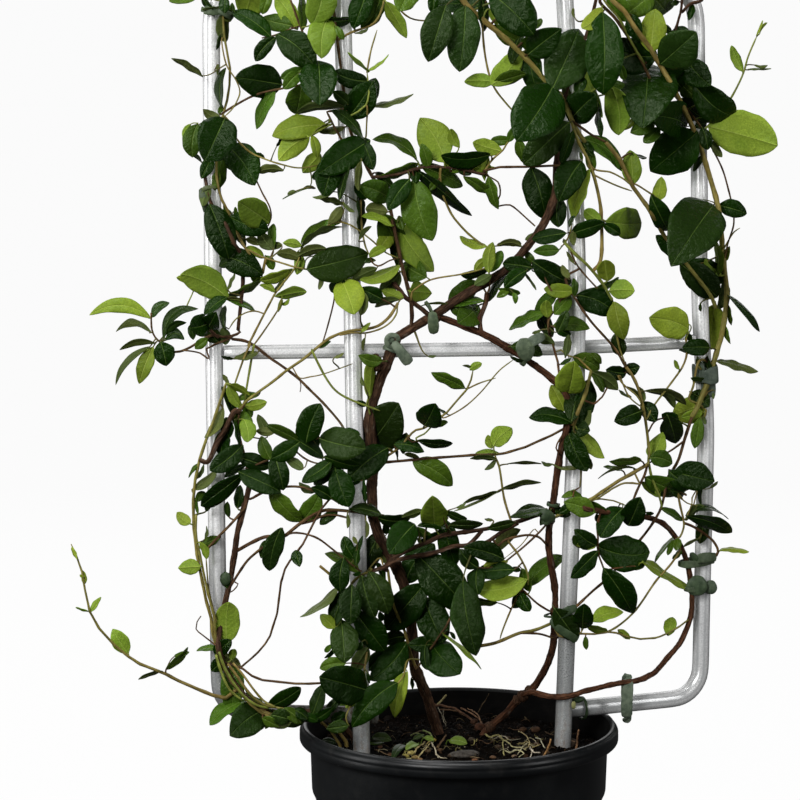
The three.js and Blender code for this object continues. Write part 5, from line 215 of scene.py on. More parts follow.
# Leaves: number, plant, kind (d dark, g dark with a painted grey sheen, m mid green, l light green, u dull), 1 if the
# upper face looks forward, 1 if it hangs on the far side, base, tip, width direction, normal, width, sideways bow, stem
# point, stem radius.
LEAVES = """
431 L d 1 0 -149,-30.6,840.7 -168.1,-45.4,851.1 -0.53,0.09,-0.85 0.44,-0.82,-0.36 18 0 -148.6,-26.6,840.9 0.87
433 L l 0 0 -152.4,-25.1,858.3 -164.3,-8.5,874.9 -0.75,0.11,-0.65 0.48,0.77,-0.43 14.6 0 -152.4,-25.2,858.3 0.85
434 L d 1 0 -153,-31.1,858.1 -141.4,-49.8,874.6 -0.78,0.06,0.62 -0.45,-0.73,-0.51 16 0 -152.4,-25.2,858.3 0.85
452 M m 1 0 113.2,-22.8,850.4 125.7,-47.1,870.3 -0.75,0.15,0.65 -0.55,-0.68,-0.48 24 0 112.9,-24.5,850.3 2.76
457 M d 1 0 186.5,-3.2,841.7 161.7,-36.6,858.2 -0.72,0.21,-0.66 0.42,-0.63,-0.65 21.7 0 188,2.4,841.8 1.32
441 M l 0 0 -61.7,-37.2,858.4 -73,-42.3,877.1 -0.86,0.15,-0.48 0.01,0.96,0.27 12.7 0 -61.5,-36,858.5 0.85
442 M m 1 0 -61.3,-34.3,858.5 -45,-28.8,879.5 -0.8,0.09,0.59 0.05,-0.97,0.22 12.8 0 -61.5,-36,858.5 0.85
429 L d 1 0 -190,-23,856.6 -204.2,-21.3,874 -0.77,0.09,-0.63 -0.12,-0.99,-0 14.2 0 -189.6,-18,856.8 0.93
430 L l 0 0 -189.5,-17.2,856.8 -175.9,-11.2,877.8 -0.85,0.05,0.53 -0.08,0.97,-0.23 12.8 0 -189.6,-18,856.8 0.93
453 M l 0 0 115.9,-25.4,864.8 96.1,-45.8,884.5 -0.79,0.21,-0.58 -0.22,0.78,0.58 18.4 0 116.3,-23.7,864.9 2.71
454 M d 1 0 115.7,-26.2,864.8 134.8,-15.2,888.1 -0.8,0.16,0.58 0.09,-0.93,0.37 18.7 0 116.3,-23.7,864.9 2.71
448 M m 1 0 -7.9,-32.5,839.8 -25.6,-49.9,853.4 -0.69,0.14,-0.71 0.37,-0.78,-0.51 16.1 0 -8.2,-34,839.7 0.77
427 L d 1 0 -194.9,-21.7,836.8 -216,-27.1,848.4 -0.49,0.07,-0.87 0.16,-0.97,-0.17 14.3 0 -194.5,-17.2,837 0.96
444 M m 1 0 -18.6,-37.5,836.4 -5,-25.1,857.6 -0.87,0.13,0.48 0.11,-0.89,0.45 16 0 -18.1,-34.5,836.5 0.78
436 M m 1 0 -112.5,-41.6,840.5 -93.3,-25.2,853.9 -0.6,0.05,0.8 0.44,-0.82,0.38 16.2 0 -111.1,-30.8,840.9 1.14
439 M m 1 0 -64.7,-35.3,845 -76.7,-22.7,860.5 -0.73,0.13,-0.67 -0.45,-0.83,0.33 14.4 0 -64.8,-36,844.9 0.88
443 M d 1 0 -30.6,-40.9,841 -42.9,-56.6,859.3 -0.88,0.16,-0.45 0.16,-0.8,-0.58 15.9 0 -29.6,-35.1,841.2 0.79
437 M d 1 0 -107.9,-37.7,861.3 -123.6,-48.2,876.4 -0.73,0.12,-0.67 0.22,-0.89,-0.4 14.3 0 -106.9,-30,861.6 1.1
438 M l 0 0 -107.2,-32.5,861.5 -91.8,-26,880.9 -0.79,0.07,0.61 -0.1,0.96,-0.24 12.8 0 -106.9,-30,861.6 1.1
445 M d 1 0 -11.4,-38.4,857.1 -28.5,-47.8,872.4 -0.7,0.15,-0.69 0.17,-0.91,-0.37 14.4 0 -10.7,-34,857.3 1.86
446 M l 0 0 -11.5,-38.9,857.1 1.6,-52,874 -0.75,0.1,0.66 0.41,0.85,0.34 16.1 0 -10.7,-34,857.3 1.86
459 M l 1 0 189.3,5.3,860 172.4,-13.2,880.3 -0.84,0.24,-0.48 0.13,-0.78,-0.61 17.1 0 189.1,4.5,860 1.35
460 M m 1 0 188.3,1.2,859.9 204.2,10.8,883.4 -0.85,0.2,0.49 0,-0.93,0.38 17.1 0 189.1,4.5,860 1.35
425 L l 1 0 -316.2,-43.7,361.9 -318.8,-44.1,364.2 -0.64,-0.12,-0.76 0.17,-0.98,0.01 1.8 -0.2 -316.1,-43,361.9 0.9
423 L l 1 0 -310.9,-43.7,333.2 -322.6,-40.7,336.5 0.07,0.85,-0.52 -0.35,-0.46,-0.81 5 -0.5 -311.1,-43.8,333.2 1.03
422 L l 1 0 -311.1,-43.5,332.9 -302.1,-42,345.1 -0.45,0.86,0.22 -0.67,-0.49,0.55 7.7 -0.6 -311.1,-43.8,333.2 1.03
105 M l 0 0 209.9,-1.1,722.4 268.8,-1.7,706.4 0.26,-0.05,0.96 0.02,1,0.05 37.8 0.7 210.3,-0.2,722.7 1
354 M g 1 0 -88,-38.5,356.1 -77.9,-45,321.5 0.95,-0.07,0.29 -0.12,-0.98,0.15 18 -1.6 -86.8,-30.6,354.9 1.2
405 L u 0 0 -165.8,-19.5,238.8 -146,-36,233 0.41,0.18,0.9 0.52,0.76,-0.39 15.2 -1.3 -167.2,-26.5,240.8 1.52
384 R l 1 0 122,-27.6,300.1 102.3,-37.8,307.1 -0.51,0.49,-0.71 0.17,-0.75,-0.64 8.5 0 123,-24.8,299.4 0.94
262 L d 1 0 -197.9,-15.7,476.3 -201.4,-17.7,455.4 0.98,-0.1,-0.16 -0.09,-0.99,0.11 13.5 -1.2 -198.1,-21.5,477.3 2.41
109 M l 0 0 251.3,0.8,797.4 257.5,4.3,810.4 -0.19,0.97,-0.17 0.89,0.1,-0.45 5.2 -0.3 252.1,2.3,797.5 0.76
285 R u 0 0 104.1,-34,521.5 129.9,-24.2,504.7 0.59,-0.56,0.58 0.11,0.77,0.62 14.4 1.6 104.4,-34.4,521.8 1.44
8 L d 1 0 -159.2,-29.4,796.6 -190.1,-18,817.5 -0.6,-0.56,-0.57 0.13,-0.77,0.62 18.7 0.2 -159,-27,796.1 0.69
461 M d 1 0 210.7,7.6,847.9 223.9,-5.8,863.1 -0.67,0.15,0.72 -0.5,-0.82,-0.29 17.4 0 210.9,10,848.3 1.5
168 M m 1 0 19.4,-30.2,604.5 30.3,-26.4,621.7 -0.85,0.19,0.49 -0.07,-0.96,0.26 9.5 0.3 18.8,-31,604.6 0.76
98 M g 1 0 159.3,-35,773.2 179.1,-68.7,798 -0.65,0.16,0.74 -0.62,-0.67,-0.41 33.4 0.3 161.4,-27.9,773.7 1.6
138 L l 1 0 -156.9,-26.2,590 -169.3,-20.1,596 -0.57,-0.54,-0.62 -0.03,-0.74,0.67 7.2 1 -156.3,-24.8,589.7 0.91
243 L m 1 0 -139.6,-36.4,467.9 -166.2,-34.6,481.2 -0.26,0.74,-0.62 -0.37,-0.67,-0.64 14.9 3 -140.1,-36.4,467.7 0.8
92 M l 1 0 100.1,-40.1,689 85.1,-34.1,648 0.34,-0.91,-0.26 -0.88,-0.4,0.26 21.8 0.4 101.1,-37.3,688.5 0.76
416 M u 0 0 -81.2,-29.7,293.9 -95.4,-27.8,270.3 0.83,-0.23,-0.51 0.23,0.97,-0.06 13.3 -0.3 -81.5,-28,293.6 0.93
169 M l 0 0 16.4,-32.7,624.9 -5.6,-26.8,631.9 -0.37,-0.77,-0.52 -0.1,0.59,-0.8 12 0.3 16.5,-34,624.5 0.68
391 M m 1 0 171.7,-7.2,400.4 194.3,4,388 -0,0.74,0.67 0.6,-0.54,0.6 10.1 0.7 172.9,-4,400.4 1.24
418 M g 1 0 -101,-51.2,233.4 -119.9,-55.5,232.2 0.12,-0.25,-0.96 0.19,-0.94,0.27 11.1 0.2 -99.7,-44,231 0.68
264 M l 0 0 -81.3,-29.5,501.8 -78.2,-32.3,538.3 -0.65,-0.76,-0 -0.76,0.64,0.12 17.5 2.6 -81.4,-29,501.1 0.78
58 M m 1 0 33.9,-35.4,711 38.5,-37,723.4 -0.91,0.18,0.36 -0.22,-0.98,-0.05 7.1 -0.1 33.5,-34,710.8 0.78
112 L l 1 0 -161,-24.7,646 -188.6,-46.8,664.5 -0.56,0.01,-0.83 0.45,-0.83,-0.32 24.4 0.3 -160.8,-22.5,646.5 0.68
2 L d 1 0 -196.3,-24.3,827.5 -197.3,-31.8,814.1 1,-0.08,-0.03 -0.06,-0.87,0.49 9.1 0.2 -195.8,-17,828.4 0.97
402 L m 1 0 -183.2,-23.6,251.8 -214.4,-30.6,233.9 0.35,-0.9,-0.27 -0.39,-0.4,0.83 17.9 -1.2 -182.9,-24.7,252.7 1.51
10 L m 1 0 -134,-30.5,800.3 -133.9,-23.8,833.1 -0.63,-0.76,0.16 0.78,-0.62,0.12 15.4 -0.5 -134.3,-30.8,799.7 0.94
341 M u 0 0 -69.7,-21.1,384.7 -62.8,-17.2,359.8 0.96,-0.09,0.25 0.05,0.98,0.17 11.6 -0.5 -70,-19.2,383.9 4.74
314 M l 0 0 162.7,-8.5,441.9 174.8,1.7,463.4 -0.89,0.28,0.37 0.08,0.88,-0.46 16.1 0.3 163.4,-8.4,441.5 0.86
335 L m 1 0 -90.1,-40.5,359.5 -117.3,-33.3,375.6 -0.46,-0.78,-0.43 0.29,-0.59,0.76 16.5 1.3 -89.7,-40,360.1 0.85
178 M m 1 0 16.4,-34.5,682.8 23.4,-39.8,656.1 0.57,-0.76,0.3 -0.78,-0.62,-0.08 14 1.4 17.4,-32,683.2 1.18
228 M d 1 0 222.4,6,656 248.8,10.3,648.3 0.28,-0.03,0.96 0.14,-0.99,-0.07 15.6 0.6 219.2,-2.4,656.1 1.71
257 L d 1 0 -110.8,-43.2,447.7 -100.1,-49.2,415 0.94,-0.07,0.32 -0.12,-0.98,0.14 21.5 -1.2 -110.7,-38.3,447.6 0.7
87 M m 1 0 95.8,-35.3,714 136.2,-20.6,687.1 0.23,0.67,0.71 0.56,-0.69,0.46 20.9 3.7 95,-37.3,713.4 1.36
389 R d 1 0 195.1,-2.7,392.4 237.7,4.9,374.1 0.37,-0.76,0.53 -0.21,-0.63,-0.75 20.7 6.8 197.2,3.8,392 0.61
378 R d 1 0 115.7,-36.4,355.4 142.1,-32,313.4 0.76,-0.49,0.43 -0.38,-0.87,-0.33 25.2 3.6 117.4,-29.8,355.3 0.86
406 L m 1 0 -169.5,-16.3,238.4 -133.9,-16.4,226.9 0.27,-0.5,0.82 -0.16,-0.86,-0.48 18.2 -0 -170.4,-29.8,241 1.27
332 L d 1 0 -104,-45.5,372.3 -107,-47.2,344.6 0.98,-0.14,-0.1 -0.14,-0.99,0.08 17.6 -1.7 -102.5,-38.3,370.4 0.86
20 M d 1 0 -82.6,-41.4,760.4 -110.5,-43.6,767.8 -0.26,0.03,-0.97 0.06,-1,-0.05 14.5 -2.2 -83,-42.8,760.6 0.7
196 M l 0 0 111.2,-36.5,646.2 96,-38.7,655.4 -0.52,0.07,-0.85 -0.07,0.99,0.12 11.1 -0.9 112.3,-33,646.8 1.43
51 M m 1 0 19.8,-39.8,758 46.9,-41.5,766.1 -0.27,-0.56,0.78 0.11,-0.83,-0.55 14.2 -0.9 20.1,-38.2,757.1 0.85
324 L l 0 0 -219.4,-24.9,364.5 -236.5,-11.3,361.4 0.03,-0.18,-0.98 0.63,0.77,-0.12 13.5 -0.2 -218.4,-22.4,364.3 1.14
376 R d 1 0 111.5,-35.5,370.7 86.2,-45.8,350.2 0.55,0.24,-0.8 0.39,-0.92,-0.01 16 -0.3 112.5,-31.9,369.1 0.9
281 M u 0 0 29.8,-30.4,424 64,-27,429.3 0,-0.84,0.54 -0.18,0.53,0.83 14.1 -1.2 30.9,-29.4,423.6 1.03
215 R l 0 0 67.2,-35.9,567.4 63.8,-45.6,582.2 -0.98,0.19,-0.1 0.1,0.82,0.56 10.3 -0.7 68.5,-30.6,565.9 1.1
407 L g 1 0 -128.5,-24,235.7 -119.3,-26,262.9 -0.72,0.62,0.29 -0.61,-0.78,0.15 14 0.9 -127.4,-18.1,233.4 1.31
440 M d 1 0 -64.1,-42,848.7 -51.2,-58.6,862.3 -0.68,0.07,0.73 -0.52,-0.74,-0.41 16.1 0 -63.7,-36,849.6 0.87
398 L m 1 0 -203.6,-16.4,292.6 -223,-13.9,292.9 -0.12,-0.93,-0.35 -0.03,-0.35,0.94 9.8 2.3 -205.2,-24.7,294 2.54
21 L m 1 0 -136.2,-35.7,757.4 -138.2,-7.7,731.9 0.97,-0.11,-0.2 -0.22,-0.66,-0.71 22.4 1.1 -136.9,-33.4,757.2 0.88
426 L l 0 0 -320.7,-44.4,377 -324.9,-41.3,386.4 -0.42,0.79,-0.45 0.81,0.55,0.19 5.3 -0.4 -320,-41.5,375.8 0.83
328 L m 1 0 -163.4,-26.3,427 -137.8,-30.8,399.2 0.55,-0.59,0.6 -0.5,-0.8,-0.33 18.9 1 -163.5,-22.1,425.6 1.14
458 M d 1 0 187.1,-3.6,851.5 200.6,-22.5,868.7 -0.69,0.15,0.71 -0.55,-0.74,-0.38 20.8 0 188.7,3.7,852.7 1.34
41 M m 1 0 -41.9,-35.4,839 -59.2,-55.6,815.8 0.84,-0.11,-0.53 0.23,-0.81,0.54 20.2 -1.2 -41.1,-35.7,839.5 0.81
93 M d 1 0 56.5,-15.4,689.8 67.7,-21.1,647 0.95,-0.18,0.27 -0.21,-0.98,0.08 25.6 1.6 51.6,-35,690.7 1.06
286 R m 1 0 105.7,-32.4,521.9 116.1,-32.6,503.8 0.7,0.6,0.4 0.51,-0.8,0.3 10.6 1.3 104.4,-34.4,521.8 1.44
222 M d 1 0 192.2,8.4,611.8 166.9,-7.7,630.2 -0.63,0.11,-0.77 0.3,-0.88,-0.37 15 1.1 190.4,0.7,611.3 1.68
139 L l 0 0 -157.2,-24.2,586.2 -131.4,-23.5,591 -0.12,-0.69,0.72 -0.15,0.73,0.67 13.1 0.7 -158,-23.9,586.7 0.92
159 L m 1 0 -211.7,-22.6,552.5 -222.5,-21.3,543.8 0.61,-0.12,-0.78 -0.15,-0.99,0.04 8.2 -0.1 -212.2,-17.5,552.2 1.17
305 R m 1 0 93.1,-29.7,422.2 80.6,-31.4,416.5 0.35,-0.78,-0.51 -0.26,-0.61,0.75 6.7 1.9 94.3,-33.3,423.4 0.61
182 M l 1 0 -61.4,-33.6,643.7 -87,-39,652.6 -0.05,-0.78,-0.62 0.37,-0.59,0.72 12 0.9 -59.9,-30,643.7 1.55
412 M d 1 0 -46.6,-13.1,293.4 -78.9,-23.7,264.4 0.69,-0.25,-0.68 -0,-0.94,0.35 24.5 2.8 -45.1,-10.3,292.8 1.36
392 R m 1 0 187.6,9.9,373.3 168.7,3.2,353.1 0.17,-0.97,0.16 -0.73,-0.01,0.69 11.7 -0.6 188.7,9.8,373.4 2.33
119 L d 1 0 -190.2,-14.3,643.5 -179.2,-13,625.4 0.69,0.55,0.46 0.5,-0.83,0.24 10.4 0 -189.3,-17.3,644.1 1.2
424 L l 0 0 -315.1,-41.6,355.4 -316.3,-40.9,367.3 -0.76,0.64,-0.11 0.64,0.77,0.02 6 0.3 -315.2,-43.7,354.7 0.93
22 L m 1 0 -156.1,-25.8,754.2 -171,-17.9,721.6 0.44,-0.8,-0.4 -0.8,-0.55,0.23 17.7 -3.2 -156.6,-27.2,753.2 0.92
382 R d 1 0 98.3,-37.8,305 94.6,-59,329.6 -0.97,0.23,0.05 -0.2,-0.73,-0.66 17.2 -0.5 97.9,-35.8,303.1 0.68
331 M g 1 0 -98.7,-38,346 -113.8,-44.4,315.2 0.71,-0.67,-0.21 -0.55,-0.72,0.42 17.6 -0.9 -98.4,-31.7,343.8 1.22
106 M d 1 0 202.8,-9.5,721.7 207.5,-11.3,703 0.93,-0.24,0.26 -0.26,-0.97,0.03 11.7 0.8 203.5,-2.4,721.5 0.95
176 M u 0 0 -12.1,-23.3,577.5 -37.5,-29,578.3 -0.21,0.9,-0.38 -0.06,0.38,0.92 6.2 0.4 -11.1,-22.2,578.2 3.73
124 M l 0 0 -135.9,-31.7,627.4 -151.5,-32.1,630.1 -0.17,-0.04,-0.98 -0.03,1,-0.04 7.8 1.1 -134.7,-31.1,627.4 0.76
140 L l 0 0 -151.6,-24.8,584.4 -154.4,-20.7,573.3 0.78,0.62,0.04 -0.58,0.7,0.41 5.2 0.7 -151.5,-26.1,585.7 0.68
34 L u 0 0 -199.5,-15.2,730.4 -213.2,-11.4,737.4 -0.45,0.02,-0.89 0.22,0.97,-0.09 8.6 -1.5 -198.5,-17,730.6 1.09
357 M d 1 0 31.9,-37.3,366 -3.6,-47.1,378.5 -0.3,-0.12,-0.95 0.28,-0.96,0.03 16.9 1.7 33.5,-30,365.8 0.42
284 R m 1 0 89.4,-34,533.8 115.3,-23.5,521.3 0.43,0,0.9 0.31,-0.94,-0.15 14.3 1.7 87.5,-32.8,534.1 0.79
245 L d 1 0 -139.3,-39.5,468.3 -161.8,-37.5,454.8 0.5,-0.17,-0.85 -0.15,-0.98,0.11 16.2 1 -140.1,-36.4,467.7 0.8
100 M d 1 0 164.3,-27.2,771.4 191.2,3.8,751.1 0.72,-0.18,0.67 0.38,-0.71,-0.59 22.2 0.2 163.6,-27.6,770.4 1.6
377 R d 1 0 113.2,-25.3,373 162.3,-12.2,363.9 0.14,0.14,0.98 0.27,-0.96,0.1 30.7 -4.5 111.8,-32.4,373.3 0.91
231 M m 1 0 232.5,18,552.5 236.3,16.6,537 0.33,-0.93,0.16 -0.92,-0.35,-0.19 8.2 -0.2 231.2,17,553.3 1.79
14 L d 1 0 -155.6,-32.9,798.1 -125.8,-45.4,770.6 0.66,-0.08,0.75 -0.27,-0.95,0.14 25.1 3.3 -155.4,-27.8,797.1 0.7
209 M d 1 0 49.4,-36.8,606.2 29.9,-42.3,593.1 0.58,-0.17,-0.79 0.09,-0.96,0.27 11.8 -1.3 51.3,-31.3,606.7 0.84
167 M l 0 0 16.5,-39,604.3 20.9,-33,629.2 -0.91,-0.34,0.24 -0.38,0.91,-0.15 12.7 -1.1 18.8,-31,604.6 0.76
403 L g 1 0 -166.3,-19.9,241.9 -198.1,-45.2,227 0.56,-0.25,-0.79 0.38,-0.77,0.51 28 -2.4 -166.3,-21.6,241.2 2.54
197 M d 1 0 85.5,-39.7,635.8 113.5,-42.4,644.4 -0.31,-0.35,0.88 0.02,-0.93,-0.36 15.8 -0.8 85.5,-35.2,636.2 0.73
380 R d 1 0 45.2,-35.2,337 53.2,-38.9,321.7 0.88,-0.08,0.48 -0.17,-0.98,0.15 11.5 -0.9 45.3,-31,335.2 0.76
232 M l 0 0 228.1,33.8,570 227,40.7,530.1 0.96,-0.27,-0.07 0.28,0.95,0.16 24.2 -1.4 221.2,12.1,572.8 1.61
236 L l 0 0 -181.4,-17.5,495.4 -163.6,-18,498.8 -0.19,0.14,0.97 0.05,0.99,-0.13 9.7 0.7 -181.1,-12.8,496 0.93
276 M l 1 0 30,-24.6,453.8 7.9,-22.1,452.3 -0.07,-0.91,-0.41 -0.1,-0.4,0.91 11.2 -0.3 29.2,-28,453.1 1.16
329 L m 1 0 -137,-25.4,400.1 -122.8,-37.3,425.2 -0.81,0.18,0.55 -0.36,-0.91,-0.23 18.1 2 -138.1,-37.2,400.8 1.53
88 M l 1 0 139.3,-28.7,675.2 137.8,-24.4,704 -0.97,0.23,-0.09 -0.24,-0.96,0.13 16.7 0.7 140.5,-28.8,675.8 0.84
175 R m 1 0 16.3,-24.2,580.6 -12.5,-19.7,577.2 -0.09,-0.9,-0.43 -0.17,-0.41,0.9 14.9 0.3 17.9,-22.1,580 2.07
56 M l 0 0 29.1,-33.3,703.1 4.5,-31.3,710.7 -0.29,0.03,-0.96 0.08,1,0 14.2 -0.4 29.4,-34,704.4 0.82
317 M d 1 0 183,-5.5,431.6 216.1,-16.1,424.2 0.24,0.09,0.97 -0.27,-0.95,0.15 25.6 -0.3 183.5,1.8,431 1.31
394 R m 1 0 189.2,-0.6,373.6 185.8,-7.1,364.1 0.95,-0.27,-0.15 -0.13,-0.79,0.6 7.3 -0.1 188.9,2,372.1 0.96
49 M l 0 0 18,-42.4,756.8 44.3,-32,785.4 -0.75,0.14,0.64 -0.07,0.95,-0.29 19.4 2.6 20.1,-38.2,757.1 0.85
374 R d 1 0 110.3,-37.9,375.4 88.9,-52.3,391.1 -0.58,-0.01,-0.81 0.39,-0.88,-0.27 15.7 -1.4 111.8,-32.4,373.3 0.91
4 L u 0 0 -195.6,-15.4,815.2 -195.6,-11.9,791.5 0.95,0.32,0.05 -0.32,0.94,0.14 11.8 -1.2 -197,-17,815.5 0.98
368 M m 1 0 56,-11.6,338.5 87.5,-7.7,363.1 -0.42,0.82,0.4 -0.46,-0.57,0.68 19.6 -1.8 52.1,-35,344.2 0.85
408 M d 1 0 -83.4,-43.3,260.3 -125.8,-79.1,280.5 -0.3,-0.18,-0.94 0.63,-0.77,-0.05 32.2 0.3 -81.9,-40.6,259 0.86
367 M g 1 0 39.6,-40.6,396.9 16.3,-43.9,392.9 0.07,0.54,-0.84 0.21,-0.83,-0.52 11.1 -0.9 42.1,-33.8,396.5 1.9
361 M l 0 0 51.2,-34.4,346.7 3.6,-38,340.3 0.15,-0.65,-0.74 0.03,0.75,-0.66 23.5 2.1 52.2,-35,347.6 0.86
230 M m 1 0 234.9,19.2,571.2 239,23.6,552.2 0.39,-0.91,-0.13 -0.9,-0.35,-0.28 8.5 0.2 233.1,17.2,570.5 1.78
258 L m 1 0 -220,-17.9,449.3 -228.6,-16.7,437.4 0.22,-0.94,-0.25 -0.78,-0.33,0.53 7 -0.3 -220.4,-18.6,448.1 1.33
259 L g 1 0 -124.1,-42,471.4 -89.9,-65.5,465.5 0.24,0.1,0.97 -0.53,-0.82,0.22 27.1 -1.1 -122.2,-38,470.9 0.76
202 M l 0 0 119.9,-31.3,587.8 138.9,-45.7,588.8 0.01,0.08,1 0.6,0.79,-0.07 17.2 1.1 119,-30.5,586.8 1.3
359 M l 0 0 34.5,-33.9,363.3 12.9,-39.5,362.2 -0.08,0.49,-0.87 -0.24,0.84,0.49 9.7 -0.1 34.3,-34.6,364.9 0.87
208 M d 1 0 54.7,-33,607.9 30,-31.6,611.6 -0.15,-0.04,-0.99 -0.05,-1,0.05 14.2 0.5 55.5,-31,609.1 0.93
256 L d 1 0 -112.5,-42.9,420.9 -130.4,-46.5,431.6 -0.5,-0.08,-0.86 0.18,-0.98,-0.02 11.1 1.1 -110.7,-40,420.1 1.03
83 M m 1 0 161.2,-17.9,728.1 138.7,-27.3,718.5 0.43,-0.12,-0.89 0.28,-0.92,0.26 14.6 0 162.4,-18.5,728.7 1.19
24 M d 1 0 -99.7,-36.2,729.3 -80.3,-51.7,760 -0.81,0.12,0.57 -0.32,-0.91,-0.26 24.3 1 -100.2,-43.9,731.1 0.83
188 M l 0 0 -51.8,-29.2,583.6 -69.2,-25.6,590 -0.35,-0.03,-0.94 0.17,0.98,-0.09 9 -0.1 -53.3,-30,584 0.69
370 R m 1 0 101.8,-33.1,412.4 119,-33.1,402.6 0.38,-0.63,0.68 -0.31,-0.78,-0.55 10.5 -0.1 99.1,-40.3,413.5 0.82
396 R m 1 0 195.7,10.6,362.3 186.7,8.6,353.7 0.58,0.4,-0.71 0.38,-0.9,-0.19 6.3 0.4 196.4,12.5,360.4 2.34
229 M d 1 0 234,14.1,580.3 264.8,18.1,548.4 0.28,0.88,0.38 0.67,-0.46,0.59 16.5 -2.2 233.6,16.9,579.1 1.77
62 M l 0 0 -82,-38.5,768.4 -65,-40.1,780.6 -0.07,0.97,0.23 0.58,0.23,-0.78 9.6 0.3 -83,-38,767.5 0.68
320 M d 1 0 197.1,8.5,410.4 180.8,-7.3,415.4 -0.19,-0.11,-0.98 0.69,-0.72,-0.06 10.7 -0 195.9,1.2,410.2 0.85
393 R m 1 0 185.1,0.8,372.2 179.1,-3.7,359.6 0.53,-0.85,0.05 -0.74,-0.44,0.51 6.9 0.2 185.9,1.3,370.7 0.94
120 L l 1 0 -164.6,-14.4,617.1 -179.9,-14.8,625.9 -0.39,-0.58,-0.71 0.3,-0.81,0.5 8.7 0.2 -164.4,-24.8,617.2 1.27
447 M d 1 0 -7.4,-43.6,833 10.4,-58,848.5 -0.62,0.08,0.78 -0.46,-0.85,-0.27 17.8 0 -7,-36.5,832.1 1.8
113 L d 1 0 -193.4,-25.3,651.2 -162.8,-31.2,640.6 0.33,0.02,0.94 -0.16,-0.98,0.08 18.9 -1.6 -192.7,-17.3,652.3 1.19
53 M m 1 0 -32.6,-36.4,690.4 -38.8,-40.9,709.7 -0.95,0.14,-0.27 -0.07,-0.97,-0.25 10.8 0.6 -31.2,-35.6,691.1 1.31
210 M u 0 0 47.4,-30.4,605.1 59.2,-29.1,589.4 0.2,-0.98,0.07 0.77,0.2,0.6 6.3 -0.3 48.7,-31.5,605 0.83
44 M g 1 0 -3.5,-41.1,820.9 -10.1,-53.4,768.2 0.98,-0.17,-0.08 -0.15,-0.96,0.24 28.3 1.1 -2.6,-37.5,822.4 1.76
248 L d 1 0 -140.7,-39,469.5 -118.2,-34.7,453.6 0.45,0.46,0.76 0.38,-0.87,0.3 13.2 0.3 -140.1,-36.4,467.7 0.8
410 M d 1 0 -58.9,-41.4,266 -97.7,-47.6,230.8 0.67,-0.26,-0.69 -0.09,-0.96,0.27 24.6 -4.1 -58.6,-37.3,263.5 0.81
299 M d 1 0 154.5,-7.7,492.2 164.8,-15,475.8 0.81,-0.13,0.57 -0.3,-0.93,0.23 14.8 0.2 151.8,-14.8,494.4 1.38
369 R d 1 0 89.5,-38.5,413.2 75.9,-41.5,404.1 0.57,-0.25,-0.78 0,-0.95,0.31 8.1 1.2 89.7,-35.5,414.2 0.65
451 M d 1 0 108.7,-28.5,837.2 83.7,-58.3,858.4 -0.76,0.19,-0.62 0.33,-0.71,-0.62 23.5 0 110.5,-25.1,838.5 2.79
186 M u 0 0 -74.2,-32.1,609.3 -94.4,-29.6,599.9 0.41,0.51,-0.75 -0.13,0.85,0.51 11.2 0.3 -73.5,-33,610.6 0.74
239 L m 1 0 -182.4,-14.8,499.1 -175.6,-14.2,485.9 0.89,-0.02,0.46 -0.01,-1,-0.04 8.5 0.1 -180.9,-13.5,499.6 0.94
265 M m 1 0 -1.6,-35.1,508.8 -30.1,-33.4,521 -0.23,0.74,-0.63 -0.33,-0.67,-0.67 15.4 3.2 0.2,-33.9,508.5 0.88
379 R d 1 0 49.6,-25.5,339 40.7,-29.5,323 0.87,-0.26,-0.42 -0.13,-0.94,0.31 11.5 0.9 48.5,-32,338.7 0.78
198 M d 1 0 112.6,-38,643.5 128.1,-36.5,634.4 0.51,-0.07,0.86 0.04,-0.99,-0.1 9.4 0.7 112.4,-32.8,642.5 1.44
185 M l 0 0 -54.7,-28.3,610 -87.8,-32.2,596.8 0.27,-0.87,-0.42 0.27,0.49,-0.83 17 1.1 -53.2,-29.2,610.1 1.63
23 M u 0 0 -99.1,-30.2,740.4 -139.8,-22.5,735.9 0.21,0.89,-0.4 -0.02,0.42,0.91 20.6 -1 -100.2,-36.7,738.9 1.35
270 M d 1 0 -42.4,-42.9,467.4 -14,-48.2,465.2 -0.1,-0.78,0.62 -0.17,-0.6,-0.78 14.7 1.2 -42.6,-35,465.6 0.78
355 M g 1 0 -82.1,-38.2,359 -67.2,-46.3,324.5 0.91,-0.05,0.4 -0.13,-0.98,0.17 19.7 1.9 -82.7,-31,358.2 0.68
462 M m 1 0 209.7,10,838.9 234.5,18.9,844.3 -0.22,0.03,0.97 0.32,-0.94,0.1 15.1 0 209.6,9.5,837.2 1.45
432 L m 1 0 -148.6,-26.8,842.4 -130.9,-13.1,855.8 -0.62,0.04,0.78 0.39,-0.85,0.35 16 0 -148.6,-26.6,840.9 0.87
32 L d 1 0 -196.3,-21,731 -216.1,-58.6,697.6 0.9,-0.08,-0.44 0.25,-0.71,0.65 32.3 0.1 -197,-18,732.2 0.84
268 M d 1 0 -36.8,-41.2,479.5 -33.7,-73.8,499.9 -0.87,0.2,0.45 -0.48,-0.5,-0.72 22.5 0.6 -36.2,-34.8,476.8 0.99
15 L d 1 0 -156.1,-33,795.4 -172.6,-29.5,776.1 0.75,-0.07,-0.65 -0.14,-0.99,-0.06 11.9 -2 -155.4,-27.8,797.1 0.7
349 M u 0 0 29.6,-30.1,422.5 -8.8,-27.9,405 -0.01,-0.99,-0.11 0.42,0.1,-0.9 6.9 2.7 30.9,-29.4,423.6 1.03
278 M u 0 0 26.3,-27,448.3 17.1,-26.1,439.3 0.27,-0.89,-0.36 0.64,0.45,-0.62 6.5 0.1 26.8,-29,447.1 0.96
